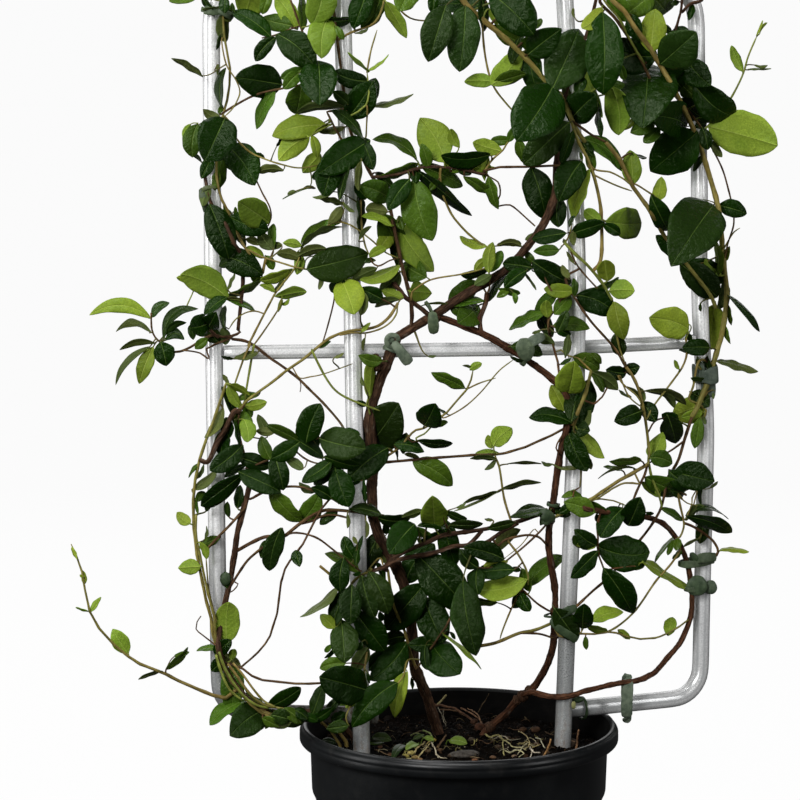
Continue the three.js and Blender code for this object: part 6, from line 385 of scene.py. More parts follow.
269 M m 1 0 -32.3,-34,479.8 -15.1,-30.3,480.9 0.07,-0.57,0.82 0.21,-0.8,-0.57 7.9 -0.8 -32.5,-34.9,478.6 0.98
252 L d 1 0 -184.5,-25.2,464.4 -211.9,-32.9,445.2 0.6,-0.16,-0.78 0.09,-0.96,0.27 17.6 1.3 -183.8,-18.3,461.7 1.05
145 L d 1 0 -212.6,-27,560.7 -207.9,-48.8,574.6 -0.88,0.11,0.47 -0.45,-0.55,-0.71 15.4 0.2 -210.3,-19,559.6 1.32
166 M l 0 0 -47.6,-31.5,589.2 -26.8,-7.1,585.9 0.08,0.07,0.99 -0.76,0.65,0.01 17.8 0.4 -48.1,-28.3,590.3 1.67
191 M l 0 0 -87.4,-35.6,557 -80.2,-37.1,564.7 -0.37,0.78,0.5 0.64,0.61,-0.47 5.3 -0.7 -88.3,-31.7,555.7 0.8
435 M d 1 0 -111.2,-37.9,834.3 -126.1,-27.5,844.1 -0.5,0.09,-0.86 -0.47,-0.86,0.19 12.8 0 -111.2,-31,833.1 1.16
246 L d 1 0 -159.4,-34.9,457.3 -152.7,-40.2,428.6 0.97,-0.07,0.24 -0.11,-0.98,0.16 16.9 0.5 -157.2,-28.9,456.2 0.85
298 M d 1 0 152.3,-18.1,485.8 126.8,-34.4,480.2 0.33,-0.2,-0.92 0.45,-0.83,0.34 16.5 -0.1 154.8,-13.7,484 1.35
235 L l 0 0 -195.8,-19.1,513.2 -184.3,-13.4,493.4 0.68,0.5,0.54 -0.55,0.83,-0.08 10.7 -1 -197,-17,514.1 1.27
194 M l 1 0 -22.9,-35.9,675.5 -16,-34.1,668.8 0.7,-0.09,0.71 0.07,-0.98,-0.19 5.8 0 -22,-34.7,677 1.08
307 M u 0 0 223.6,13.4,522.5 265.8,31.7,510.7 -0.21,0.82,0.54 -0.41,0.43,-0.81 14.2 -3.1 222.9,15,523.8 1.82
118 L m 1 0 -197.8,-15.8,658.8 -190.1,-14.5,648.2 0.7,0.44,0.56 0.41,-0.89,0.19 6.4 -0.5 -197.2,-17.7,660.4 1.18
428 L m 1 0 -193.1,-20,842.4 -173.9,-6.2,857.4 -0.63,0.03,0.78 0.37,-0.87,0.33 16.1 0 -193.6,-17.3,841 0.95
390 R l 0 0 230.8,18.5,358.3 258.2,23.2,354.9 -0.14,0.96,0.26 -0.16,0.24,-0.96 10 -4.6 229.5,18.7,357 1.19
94 M d 1 0 80.3,-15,664.1 76.6,-30,641.2 0.98,-0.21,-0.02 -0.16,-0.81,0.56 16.7 -1.7 76.3,-38,666.8 0.84
266 M u 0 0 4.1,-34.7,525.9 -4.2,-37,528.9 -0.4,0.71,-0.57 0.09,0.65,0.75 3.7 0.3 5.4,-33,524.1 0.85
63 M u 0 0 -81.2,-34.7,739.1 -43.9,-31,748.7 -0.16,0.96,0.25 0.21,0.28,-0.94 15.7 -0.6 -84.5,-48.2,739.6 0.75
127 L u 0 0 -139.1,-32.1,619.6 -116.4,-36.6,626.2 -0.33,-0.61,0.72 -0.03,0.77,0.63 12 -1.8 -137.2,-30.8,619.3 0.85
375 R l 0 0 109.6,-36.2,375.2 90.3,-42.1,377.4 0.17,-0.79,-0.59 -0.26,0.54,-0.8 8.8 0.3 111.8,-32.4,373.3 0.91
385 R m 1 0 101.6,-34.5,298.4 102.4,-35.3,286.8 0.92,0.39,0.03 0.38,-0.92,0.09 5.9 -0.2 102.3,-33.2,300 0.98
61 M l 1 0 -81.3,-38.2,767.1 -99.8,-42.3,782.5 -0.27,0.96,-0.07 -0.59,-0.22,-0.77 8.9 3.6 -82.9,-37,767.5 0.83
322 L m 1 0 -202.1,-13.7,386.6 -220.4,-16.6,378.8 0.39,-0.63,-0.67 -0.15,-0.76,0.63 9.9 -0.7 -204.4,-19.8,388.3 1.14
64 M d 1 0 -83.8,-33.4,739.1 -75.7,-36.1,762.7 -0.93,0.13,0.34 -0.16,-0.99,-0.06 14.1 -0.5 -84.5,-48.2,739.6 0.75
325 L d 1 0 -197.6,-19,344.9 -198.8,-15.2,358.4 -0.99,0.06,-0.1 -0.09,-0.96,0.26 8.6 -0.9 -195.6,-15.8,345 2.54
227 M l 1 0 231.3,14.8,608.1 233.8,12.9,620.9 -0.7,0.67,0.24 -0.69,-0.73,0.03 6.5 -0.3 229.4,14.5,609 1.75
318 M l 0 0 156,-5,423.8 172.1,-1.8,409.5 0.54,-0.72,0.44 0.4,0.68,0.61 11.8 0.8 154,-14.4,427.2 1.13
132 L g 1 0 -132.6,-39,609.2 -80.2,-29.9,621 -0.24,0.1,0.97 0.14,-0.98,0.13 29.3 0.7 -134,-31.1,608.8 0.79
89 M d 1 0 94.8,-35.7,711.6 102.7,-39.8,699.7 0.79,-0.16,0.59 -0.29,-0.95,0.13 9.9 -0.5 95,-37.3,713.4 1.36
75 M l 1 0 152,-35,783.8 157.5,-26.7,819.7 -0.97,0.24,0.09 -0.21,-0.95,0.25 22.7 -0.2 154.5,-31.8,783.1 1.59
411 M l 1 0 -49.9,-32.6,272.6 -60.4,-23.4,231.6 0.55,-0.77,-0.31 -0.8,-0.6,0.07 19.3 -0.3 -50.2,-29.7,273.8 0.78
244 L m 1 0 -161.7,-29.7,452.3 -169.1,-24.6,471.8 -0.93,0.04,-0.36 -0.12,-0.97,0.21 11.5 -1.1 -160.6,-27.2,453.6 0.86
107 M l 0 0 239.6,1.9,767.6 230.4,4.5,789.5 -0.81,-0.51,-0.28 -0.44,0.85,-0.29 12.2 0.4 240.4,1.6,765.9 0.86
295 R u 0 0 73.8,-32.7,545.1 54.3,-31.2,551.1 -0.21,0.53,-0.82 0.22,0.84,0.49 10.3 0.5 73,-30.9,542.8 1.07
163 M d 1 0 -41.7,-33.2,687.6 3.1,-37,650.8 0.18,-0.93,0.31 -0.61,-0.35,-0.71 28.6 3.4 -42.3,-34.9,689.5 1.33
73 M l 0 0 110,-38.9,819.3 91.4,-46.6,802.2 0.7,-0.14,-0.7 -0.11,0.95,-0.31 13.5 2 111.1,-34.9,821.3 1.44
204 M l 1 0 124.4,-30.8,578.8 132.4,-33.4,547.1 0.95,-0.2,0.25 -0.21,-0.98,0.03 18.8 -0.9 123.6,-27.5,577.4 0.83
300 M u 0 0 151.6,-12.8,504.7 154.8,-12.7,492.8 0.95,-0.2,0.26 0.19,0.98,0.06 6 -0.1 148.9,-15.9,504.7 1.4
125 L u 0 0 -136.1,-27.9,617.3 -155.4,-24.3,621.5 -0.13,0.37,-0.92 0.24,0.91,0.33 10.1 1.4 -137.2,-30.8,619.3 0.85
313 M g 1 0 176.1,-10.9,480 189.8,14.7,452.5 0.94,-0.2,0.28 0.04,-0.74,-0.67 19.9 0.8 177.4,-3.1,477.2 0.76
86 M d 1 0 199.1,-8,717.8 165.5,17.2,684.3 0.62,-0.18,-0.76 -0.47,-0.86,-0.18 38.7 0.4 198.1,-4.3,717.5 1.65
220 M d 1 0 155.5,-28.1,665.4 174.9,-13.9,634.1 0.87,-0.19,0.45 0.01,-0.91,-0.41 17.7 -0.5 159.4,-19.6,665.9 0.78
173 M u 0 0 20.8,-31.7,602.2 5.6,-34.2,593.9 0.49,-0.16,-0.86 -0.05,0.98,-0.21 8.4 -0.1 19.4,-29.9,601.1 0.78
289 R d 1 0 89.4,-36,476.1 106.3,-24.6,514 -0.86,-0.23,0.45 0.32,-0.94,0.14 20.8 1.5 90,-35.4,477.9 1.67
288 R d 1 0 88.2,-37.4,479.6 53.7,-28.3,485.2 -0.29,-0.72,-0.63 -0.05,-0.65,0.76 18.5 2.7 90,-35.4,477.9 1.67
277 M u 0 0 26,-30.7,449.3 3.9,-28.4,450.3 0.06,0.85,-0.53 0.09,0.52,0.85 11.1 -0.4 26.8,-29,447.1 0.96
308 M l 0 0 186.9,-5.4,518.4 181.1,-8.9,527.1 -0.66,-0.42,-0.62 -0.53,0.85,-0.01 4.8 0.2 187.6,-1.9,516 0.96
337 L g 1 0 -71.1,-38.3,406.8 -97.8,-43.4,414 -0.04,-0.73,-0.68 0.31,-0.66,0.69 12.8 0.2 -72.2,-34.2,405.1 1.44
108 M u 0 0 244.8,5.7,768.9 268.1,14,768.9 -0.32,0.9,0.31 -0.1,0.29,-0.95 4.7 -5.3 241.5,1.7,769.3 0.85
387 R l 0 0 143,-21,291.7 132.7,-20.2,300.8 -0.53,0.54,-0.66 0.4,0.84,0.37 7.6 -0 141.8,-21.5,293.7 0.94
420 L u 0 0 -252.8,-31,280.3 -271.9,-25.6,272.5 0.41,0.79,-0.45 -0.17,0.55,0.81 8.4 1.5 -252.1,-29.6,278 1.4
401 L u 0 0 -201.5,-15.8,288.5 -186.1,-11.7,275.8 0.61,0.12,0.78 -0.23,0.97,0.03 9.1 0.3 -204.2,-23.7,290.3 2.54
137 L l 1 0 -142.9,-29.5,608.2 -169,-24.8,598.2 0.36,0.72,-0.59 0.16,-0.67,-0.72 14.4 0 -143.4,-29.5,606.2 0.88
336 L g 1 0 -107.3,-33.8,408.5 -122.3,-36.7,399.3 0.54,-0.2,-0.82 0.03,-0.97,0.26 8.7 -1.4 -108.7,-35,410.4 1.49
216 M m 1 0 72.3,-38.4,569.8 88.3,-28.2,584.4 -0.73,0.21,0.65 0.15,-0.88,0.45 13.8 -0.2 72.7,-34.3,571.9 0.81
386 R l 1 0 182.3,4.5,288.1 189.3,15.9,301.9 -0.93,0.29,0.23 -0.07,-0.75,0.66 11.2 0 181.8,2,290.9 0.88
69 M g 1 0 65.8,-53.6,753.7 94.9,-25.3,805.1 -0.9,0.19,0.4 0.03,-0.88,0.47 37.3 0.5 68.6,-42.5,755.6 1.5
110 M l 0 0 253.1,0.2,799 260.5,4,808.9 -0.33,-0.77,0.55 -0.75,0.57,0.34 4.1 -0.3 252.1,2.3,797.5 0.76
274 M m 1 0 -43.4,-24.6,448 -10,-27.7,427 0.54,0.04,0.84 -0.04,-1,0.08 18.6 3.2 -41.7,-24.3,449.4 1.23
315 M m 1 0 160.5,-14.2,445.3 182,-6.4,438.8 0.26,0.08,0.96 0.34,-0.94,-0.02 14.9 1.8 159.8,-11.1,443.1 1.28
40 M l 0 0 -67.3,-38.3,823.9 -49.6,-34.2,795.2 0.59,-0.77,0.26 0.62,0.63,0.47 16.5 -0.1 -68.8,-35.4,825.1 0.95
71 M g 1 0 81.5,-48,727.2 44.6,-44.2,692.9 0.66,-0.16,-0.73 -0.16,-0.98,0.06 24.2 -0.1 85,-41.9,727.1 1.25
221 M g 1 0 217.1,-1.4,658.4 167.3,-66,615.9 0.79,-0.24,-0.56 0.28,-0.67,0.69 47.2 -0.8 218.8,-0.5,659.6 1.71
255 L d 1 0 -184.8,-26.2,439.9 -219.5,-32.1,416 0.4,0.58,-0.71 0.42,-0.8,-0.42 21 -1.2 -186.2,-19,439.8 0.68
171 M d 1 0 21,-25.6,606 -4.6,-31,601.8 -0.05,0.74,-0.67 0.26,-0.64,-0.72 11.1 -1.2 18.8,-31,604.6 0.76
404 L d 1 0 -164.9,-20.6,242.8 -138.7,-36.3,262.4 -0.67,-0.24,0.7 -0.18,-0.87,-0.46 16 0.3 -166.3,-21.6,241.2 2.54
283 R l 1 0 85.5,-30.5,501.9 83.7,-63.1,532.5 -0.96,0.23,0.19 -0.29,-0.65,-0.7 25.6 0.9 83.6,-30,503 2.88
91 M d 1 0 93.3,-44.2,696 71.2,-61.6,665 0.85,-0.2,-0.49 0.05,-0.89,0.46 24.3 -1.8 92.2,-40.7,694.5 1.02
362 M l 1 0 -18.7,-37.7,305.1 16,-27.1,272.7 0.03,0.94,0.34 0.7,-0.26,0.66 11.9 -1.6 -20.5,-37.3,306.5 0.96
9 L l 1 0 -138.1,-29,801.4 -154.9,-20.7,829.3 -0.84,0.1,-0.54 -0.22,-0.96,0.16 15.8 1.1 -139.5,-30.5,803.2 0.74
350 M d 1 0 -41.7,-32.3,371.8 4.6,-44,320.6 0.74,0.01,0.67 -0.11,-0.99,0.13 35.7 0.9 -43.3,-35.6,370.3 1.97
237 L m 1 0 -191.5,-10.8,489.4 -176.3,-26.1,478.4 0.62,0.05,0.79 -0.48,-0.77,0.42 15.4 -0.1 -192,-21.2,488.4 2.49
219 M l 0 0 163.2,-17.2,661.4 168.9,-7.3,679.4 -0.95,0.25,0.17 0.13,0.85,-0.51 12.1 0.4 165.9,-15.9,661.8 0.76
366 R d 1 0 71.7,-32.7,406.4 62.1,-35.4,393.6 0.8,-0.26,-0.54 -0.11,-0.95,0.29 8.4 0.1 74.1,-25.3,402.8 2.93
57 M m 1 0 35.3,-34.1,712.4 19.7,-30.2,712.1 0.01,-0.03,-1 -0.25,-0.97,0.02 8.5 0.1 33.5,-34,710.8 0.78
59 M l 1 0 20.7,-31.2,690.5 0.9,-30,693.6 -0.16,-0.01,-0.99 -0.06,-1,0.02 10.1 -1.5 22.5,-34,689.7 1.09
114 L d 1 0 -209.9,-23.5,661.7 -195.2,-31.6,617.8 0.94,-0.06,0.33 -0.11,-0.98,0.14 23.9 1 -207.7,-19.1,661.2 1.51
223 M d 1 0 195.4,2.8,609.4 232.5,22.8,588.2 0.53,-0.08,0.85 0.33,-0.9,-0.28 22.5 0.3 192.7,1.6,608.7 1.68
190 M u 0 0 -55.3,-28.5,582.8 -75.4,-25.3,577.6 0.28,0.69,-0.67 -0.07,0.71,0.7 10.5 -1.1 -53.3,-30,584 0.69
316 M d 1 0 178.5,-7.5,432.4 199,-3.9,415.7 0.64,-0.04,0.77 0.08,-0.99,-0.12 16.4 -0 183.5,1.8,431 1.31
206 M l 1 0 89.5,-35.4,588.8 64.7,-32.2,590.1 -0.06,-0.07,-1 -0.12,-0.99,0.08 12.4 -1.1 87.4,-33.4,588.6 1.1
399 L d 1 0 -200.1,-13,284.9 -211.5,-26.2,277.6 0.69,-0.21,-0.7 0.41,-0.68,0.61 11.8 0.6 -202.7,-21.4,284.9 2.54
7 L m 1 0 -143.1,-31.3,804.5 -166.8,-16.2,810.3 -0.21,0.04,-0.98 -0.52,-0.85,0.08 14.7 -0.2 -142.8,-30.2,802.2 0.74
287 R l 1 0 83.7,-29.1,487.7 72.6,-25.3,509.6 -0.88,0.13,-0.47 -0.18,-0.98,0.08 15.5 0.4 86.1,-30,487.3 2.89
78 M d 1 0 84.5,-32.6,727.3 99.1,-64.4,749 -0.69,0.16,0.7 -0.63,-0.61,-0.48 27.2 -0.9 85,-41.9,727.1 1.25
409 M l 0 0 -90.2,-40.6,258.7 -101.6,-39.5,245.3 0.73,-0.25,-0.64 0.23,0.97,-0.12 10 -0.2 -88,-40.5,257.3 0.75
327 L d 1 0 -142.9,-36.6,378.6 -140.2,-45.1,366.1 0.97,-0.06,0.25 -0.19,-0.83,0.52 9.9 0.1 -141.2,-34.8,376.2 0.99
126 M u 0 0 -137.2,-31.6,626.5 -103.2,-36.1,644.3 -0.28,-0.91,0.31 -0.38,0.41,0.83 17.3 -8.1 -136.3,-30.8,624.1 0.76
421 L l 1 0 -279.9,-34.7,295.9 -292.4,-36.2,316.6 -0.85,-0.07,-0.52 0.09,-1,-0.02 14.6 -0.7 -280,-35.9,293.6 1.25
187 M u 0 0 -54.6,-27.9,605.2 -70.4,-22.9,589.1 0.68,-0.16,-0.72 0.26,0.96,0.04 13.8 1.3 -52.4,-29,606.3 1.64
70 M d 1 0 68.5,-48.9,757.9 29.6,-95.8,714.5 0.82,-0.17,-0.55 0.24,-0.76,0.6 42.7 1.4 68.6,-42.5,755.6 1.5
388 R g 1 0 204.9,0.1,398.3 238.1,14.6,387.6 -0.23,0.86,0.46 0.42,-0.34,0.84 10.4 -5.7 208.1,7.3,399.5 0.59
282 M u 0 0 29.1,-27.3,421.7 -2.1,-29.3,413.4 0.08,0.87,-0.49 -0.25,0.49,0.83 12.4 -0.2 30.9,-29.4,423.6 1.03
50 M l 0 0 20.6,-40.3,759.5 -3.5,-37.2,759.7 -0.01,-0,-1 0.13,0.99,-0 11.9 1.2 20.1,-38.2,757.1 0.85
338 L d 1 0 -74.3,-39.6,403.7 -44.4,-32.4,402 0.16,-0.48,0.86 0.17,-0.84,-0.51 13.8 -2.5 -72.2,-34.2,405.1 1.44
254 L d 1 0 -188.3,-25.7,443 -154.5,-39.3,428.4 0.51,0.5,0.7 -0.06,-0.8,0.6 19.2 -0.5 -186.2,-19,439.8 0.68
383 R l 1 0 107.7,-30.4,310.8 136.1,-25.7,316.7 -0.25,0.71,0.66 -0.04,-0.68,0.73 14.9 -1.2 105.6,-32.9,309.1 0.68
240 L d 1 0 -190.5,-24.6,485.4 -187,-29.1,463.4 0.53,0.84,-0.09 0.83,-0.5,0.24 11.4 1.1 -187.3,-19.2,484.7 0.93
310 M l 1 0 212.8,13.5,479.5 194.8,14.4,474.7 0.26,0.27,-0.93 0.02,-0.96,-0.27 10.2 -0.4 215.6,14.7,477.8 1.04
297 M d 1 0 137.5,-10.3,520.3 148.9,-20.7,523.1 -0.12,0.14,0.98 -0.68,-0.73,0.02 11.2 0.8 137.6,-19.3,522.9 1.1
304 R m 1 0 88,-34.3,421.5 102.5,-28.8,409.1 0.21,0.78,0.59 0.65,-0.56,0.51 7.4 1.6 90.6,-34.5,421 0.62
65 M d 1 0 -87.6,-39,712.7 -79.2,-45.5,689.3 0.92,-0.12,0.37 -0.2,-0.96,0.2 12.4 1 -84.1,-34.7,713 0.69
195 M m 1 0 -25,-36.4,680 -31.9,-37.6,672.1 0.76,-0.15,-0.64 -0.04,-0.98,0.19 6.1 0 -22.8,-35,681.9 1.09
183 M l 1 0 -60.1,-18.7,638.5 -72.6,-32,623.8 0.82,-0.15,-0.55 0.22,-0.81,0.55 13.7 0.2 -59,-30,639.6 1.56
101 M d 1 0 194,-16.7,757.7 233.4,-0.6,729.9 0.61,-0.16,0.78 0.16,-0.94,-0.32 27.8 -4 199.2,-8,757.6 0.76
296 M d 1 0 139.5,-13.3,517.1 119.6,-28.2,521.8 -0.18,-0.07,-0.98 0.59,-0.8,-0.05 12.5 -0.9 140.4,-18.6,519.6 1.43
267 M l 0 0 2,-35.7,524.7 12.1,-36.4,530 -0.44,0.18,0.88 0.14,0.98,-0.13 6.5 -0.8 5.4,-33,524.1 0.85
321 L l 0 0 -227.6,-21,399.4 -237.8,-13.5,408.2 -0.68,-0.07,-0.73 0.31,0.87,-0.38 9.9 -1.2 -224.7,-19,398.4 1.38
72 M m 1 0 41.2,-35.1,713.8 47.7,-30,692.8 0.79,-0.6,0.1 -0.54,-0.77,-0.35 10.6 1.1 38.5,-34,714.1 0.76
346 M d 1 0 -21.3,-35.8,389.5 -37.9,-33.6,381.7 0.44,0.32,-0.84 0.04,-0.94,-0.34 9.2 0.4 -22.7,-37.8,387.1 1.97
340 M g 1 0 -69.2,-15.7,389.1 -83.3,-10.7,352.3 0.74,-0.57,-0.36 -0.57,-0.81,0.11 19.2 -0.2 -72.7,-19.7,390.4 4.74
319 M m 1 0 157.2,-13.7,427.4 199.1,11.4,410.3 0.55,-0.41,0.73 0.22,-0.77,-0.6 21.3 -0.2 154,-14.4,427.2 1.13
217 R m 1 0 71.8,-32.5,559.6 102,-38.5,558.8 0.16,0.71,0.68 -0.12,-0.67,0.73 16.3 1.7 69.2,-30.8,559.6 1.09
181 M u 0 0 -65.2,-31.6,654.4 -84.5,-34.2,657.4 -0.15,-0.03,-0.99 -0.13,0.99,-0.01 11.7 0.7 -62.1,-30,654.8 1.53
323 L l 0 0 -219.8,-26.3,385.3 -214.3,-22.2,370.2 0.85,-0.51,0.17 0.42,0.83,0.38 7.4 1.3 -222.1,-22,383.2 1.12
247 L d 1 0 -134.5,-45.1,467.9 -123.7,-52.9,500.8 -0.93,0.15,0.34 -0.22,-0.96,-0.16 21.7 -1.9 -132,-37.5,469.3 0.78
203 M d 1 0 93.6,-26.6,584.4 127.6,-28,567.6 0.44,-0.02,0.9 -0.04,-1,-0 22.8 3.5 90.5,-33.7,582.5 1.1
311 M m 1 0 210.6,12.5,475.1 205.2,8.9,448.9 0.94,0.25,-0.23 0.27,-0.96,0.08 13.5 -0.4 214.4,14.8,474.2 1.02
290 R g 1 0 86.5,-42.3,481.5 94.5,-27.5,504.1 -0.96,0.23,0.18 -0.09,-0.82,0.57 17.1 -0.2 90.8,-37.4,481.4 1.65
67 M d 1 0 46,-49.8,781.2 67.8,-72.8,801 -0.6,0.11,0.79 -0.55,-0.78,-0.3 24.4 -0.4 44.6,-42.8,779.8 1.59
39 M m 1 0 -68.2,-26.6,835 -85,-34.1,801.9 0.74,0.47,-0.48 0.51,-0.86,-0.06 17.8 1.5 -67.2,-35.7,832.7 0.92
371 R d 1 0 134.3,-27.6,405.4 112,-39.7,382.7 0.75,-0.28,-0.59 0.03,-0.89,0.45 20.1 -1.4 134.6,-24.8,408.1 0.69
200 M d 1 0 81.3,-39.9,637 54,-32,631.6 0,-0.55,-0.83 -0.33,-0.79,0.52 14.6 0.8 85.5,-35.2,636.2 0.73
292 R d 1 0 85.2,-35.4,470.3 100.9,-38.2,438.4 0.89,-0.13,0.45 -0.15,-0.99,0.01 18.7 -1.5 83.9,-32.9,472.7 2.89
16 L d 1 0 -148.3,-10.4,757.4 -188.2,-28.9,763.4 -0.15,0.01,-0.99 0.41,-0.91,-0.08 28.1 0.1 -148.8,-30.3,754.8 0.91
303 R u 0 0 147.7,-14.2,437 114.1,-18.7,430.7 -0.02,0.86,-0.5 -0.23,0.49,0.84 7.1 7.3 149.8,-16.5,435.3 1.67
85 M d 1 0 196.6,11.7,721.6 153.2,-40.8,731.4 -0.28,0.05,-0.96 0.73,-0.64,-0.25 31.2 3.1 194.3,-6.5,724.2 1.65
234 L l 0 0 -194.1,-21.4,515 -177.3,-16.5,505 0.52,-0.63,0.57 0.18,0.73,0.66 8.8 -0.7 -197,-17,514.1 1.27
263 L m 1 0 -221.6,-17.9,417.6 -214.4,-13.4,424.8 -0.75,0.16,0.65 0.16,-0.9,0.41 6.9 -0.9 -224.8,-19,419.1 1.36
95 M d 1 0 134.7,-37.4,814.6 142.5,-36.1,792.3 0.92,-0.23,0.31 -0.2,-0.97,-0.13 14 -1.6 130.5,-42.6,813 1.55
184 M l 1 0 -67.2,-35.4,625.3 -81.4,-38,618.6 0.44,-0.12,-0.89 0.09,-0.98,0.18 7.7 -1.1 -67.7,-32.5,621.9 0.69
60 M m 1 0 -39.2,-28,693 -74.4,-31.9,681 0.1,0.82,-0.57 0.32,-0.57,-0.76 17 1 -38.8,-35.1,690.3 1.33
330 M u 0 0 -105.2,-34.5,346.6 -138.5,-39.8,321.4 0.17,-0.98,-0.02 0.59,0.12,-0.8 20.2 0.4 -107.2,-33.2,343.8 1.24
36 L u 0 0 -149.8,-30.2,689.4 -170.3,-19.6,687.7 0.38,0.64,-0.67 0.25,0.62,0.74 10.2 -1.2 -148.9,-28.6,692.6 0.72
180 M m 1 0 -62,-29.3,664.3 -89,-46.3,676.7 -0.43,0.02,-0.9 0.44,-0.87,-0.23 19.3 1.6 -65.1,-30,662.7 1.51
111 M u 0 0 215.3,3.3,710 223.2,3.7,696.2 0.8,0.39,0.46 -0.35,0.92,-0.18 8.1 -0.3 213.9,4.7,707 0.84
251 L d 1 0 -105.8,-42.5,449.9 -127.9,-36.6,432.5 0.41,-0.57,-0.71 -0.49,-0.8,0.35 14 -0.5 -107.4,-38.1,446.6 0.69
52 M l 0 0 -19.4,-37.9,694.2 -34.2,-8.3,728.6 -0.87,0.13,-0.48 0.39,0.77,-0.5 29.9 3.1 -18.8,-36,690.7 1.28
144 L d 1 0 -210.9,-27.9,565.8 -228.7,-55.3,564.2 0.25,-0.11,-0.96 0.8,-0.54,0.27 19.1 1.1 -212.3,-20,562.3 1.27
117 L u 0 0 -208.7,-19,675.1 -215.3,-21.6,659.6 0.92,-0.09,-0.38 0.02,0.98,-0.18 8 -1.3 -211.9,-18,676.2 1.48
99 M d 1 0 188.7,-12.3,777.7 203.5,-31.8,756.6 0.71,-0.19,0.67 -0.53,-0.77,0.34 23.1 -1.5 188.6,-9.3,774.3 0.8
104 M d 1 0 200.6,-8.2,729.1 232.8,3.3,733.9 0.05,-0.5,0.86 0.36,-0.8,-0.48 15 0.9 198.6,-4.1,727.2 0.98
419 L m 1 0 -249.3,-30,280.4 -229.6,-25.3,296.6 -0.29,-0.76,0.58 0.58,-0.62,-0.52 12.8 -0.1 -249.2,-28.9,276.5 1.42
84 M m 1 0 164.9,-17.2,721.6 150.5,-21.6,710.1 0.65,-0.18,-0.74 0.07,-0.96,0.29 10.7 0.1 162.9,-18.3,724.8 1.18
37 L m 1 0 -199.5,-13.6,698.5 -200.5,-11.9,673.1 0.76,0.65,0.01 0.65,-0.76,-0.08 12.6 -0.3 -202.7,-17.6,700.8 1.13
164 M l 1 0 -55.7,-21.7,645.4 -24.1,-17.2,604.6 0.68,0.46,0.57 0.41,-0.88,0.22 25.1 -4.4 -59.9,-30,643.7 1.55
373 R d 1 0 157.4,-13.8,398.6 165.3,-9.9,396.2 0.47,-0.5,0.73 0.19,-0.75,-0.63 4.2 -0.1 156.9,-8.3,394.3 2.31
381 R l 0 0 151.8,-21.1,357.1 206.5,19.7,321.2 -0.16,0.77,0.62 -0.69,0.36,-0.63 17.7 -5.4 150.1,-17.5,353.5 0.68
172 M m 1 0 11.4,-19,595.6 -12.3,-13.8,578.6 0.55,-0.16,-0.82 -0.24,-0.97,0.03 16.7 1 11.5,-23.1,592.2 3.64
79 M u 0 0 80.3,-31.2,756.7 87.4,-28.9,745.3 0.85,-0.18,0.5 0.07,0.97,0.24 7.2 -0.7 84.5,-29.6,757 3.06
193 M m 1 0 -13.4,-34.1,686.7 -1.6,-32.5,693.7 -0.51,0.12,0.85 0.04,-0.99,0.16 7.3 0.5 -14.7,-36,690.4 1.27
226 M l 0 0 226.9,13.6,595.8 209.2,5.7,610 -0.5,-0.33,-0.8 -0.46,0.88,-0.08 10.7 0.6 231.6,15.7,596.2 1.76
211 M m 1 0 25.9,-34.7,590.6 44.8,-32.5,585.9 0.24,-0.75,0.62 -0.11,-0.66,-0.75 8.9 0.8 30.2,-33,589.8 0.76
400 L l 0 0 -194.4,-19.1,284.6 -192.5,-26.1,295.7 -0.96,0.14,0.25 0.25,0.84,0.49 7.3 -0 -197.5,-20.8,282.3 1.1
365 M g 1 0 68.5,-33.7,407.5 35.3,-42.2,403.4 0.27,-0.91,-0.32 -0.03,-0.34,0.94 13.4 2.8 68.8,-30.3,402.9 1.87
55 M d 1 0 18,-41.5,700.3 -23,-44.3,698.6 -0.01,0.66,-0.75 0.08,-0.74,-0.66 19.8 -1.7 20.4,-33.6,696.3 0.87
74 M d 1 0 109.5,-42.5,816.2 106.7,-58.5,751.4 0.97,-0.22,0.01 -0.22,-0.95,0.24 31.6 1.5 114.4,-34.5,818.8 1.43
207 M m 1 0 76.3,-37.8,622.3 53.9,-42.4,621.9 0.04,-0.07,-1 0.2,-0.98,0.08 10 -0.1 79.1,-34,625.5 0.82
309 M l 0 0 214.8,14.2,487.7 193.4,35.5,474.6 0.35,-0.21,-0.91 0.67,0.73,0.09 23.7 0.7 210.4,12.8,489.6 1.12
205 M d 1 0 54.5,-34.6,613.4 90.3,-26.7,593.4 0.49,-0.04,0.87 0.15,-0.98,-0.12 18.8 -1.4 55.5,-31,609.1 0.93
26 M u 0 0 -99.9,-27.2,723 -123.1,-25.9,720.2 0.01,-0.88,-0.47 0.13,0.47,-0.87 11.7 -0.4 -97.9,-42.2,723.2 1.38
18 L d 1 0 -122.6,-38.6,777.5 -126.6,-78.8,744 0.99,-0.12,0.02 -0.1,-0.63,0.77 31.6 0.6 -125.3,-32,775.5 0.98
224 M g 1 0 189.3,3.7,607 225.9,16.3,576.7 0.66,-0.12,0.74 0.12,-0.96,-0.26 24.6 0.9 192.7,1.6,608.7 1.68
81 M d 1 0 158.7,2.6,777.6 139.4,-63.9,728.6 0.97,-0.24,-0.06 -0.09,-0.57,0.82 46.8 0.9 148.4,-30,774.1 0.93
344 M d 1 0 -14.9,-42.5,393.7 -42.7,-46.5,398.2 0.06,-0.9,-0.43 0.2,-0.41,0.89 12.3 -1.3 -14.4,-38,388.6 1.96
250 L d 1 0 -113.3,-45.9,453.4 -138.8,-43.2,436.6 0.34,-0.7,-0.63 -0.44,-0.71,0.55 15.3 2.1 -114.1,-38.4,448.5 0.72
213 M m 1 0 34.7,-35.7,589.4 24.6,-33.7,583.8 0.45,-0.16,-0.88 -0.22,-0.97,0.06 6.4 -0.2 32.1,-32.8,592.2 0.77
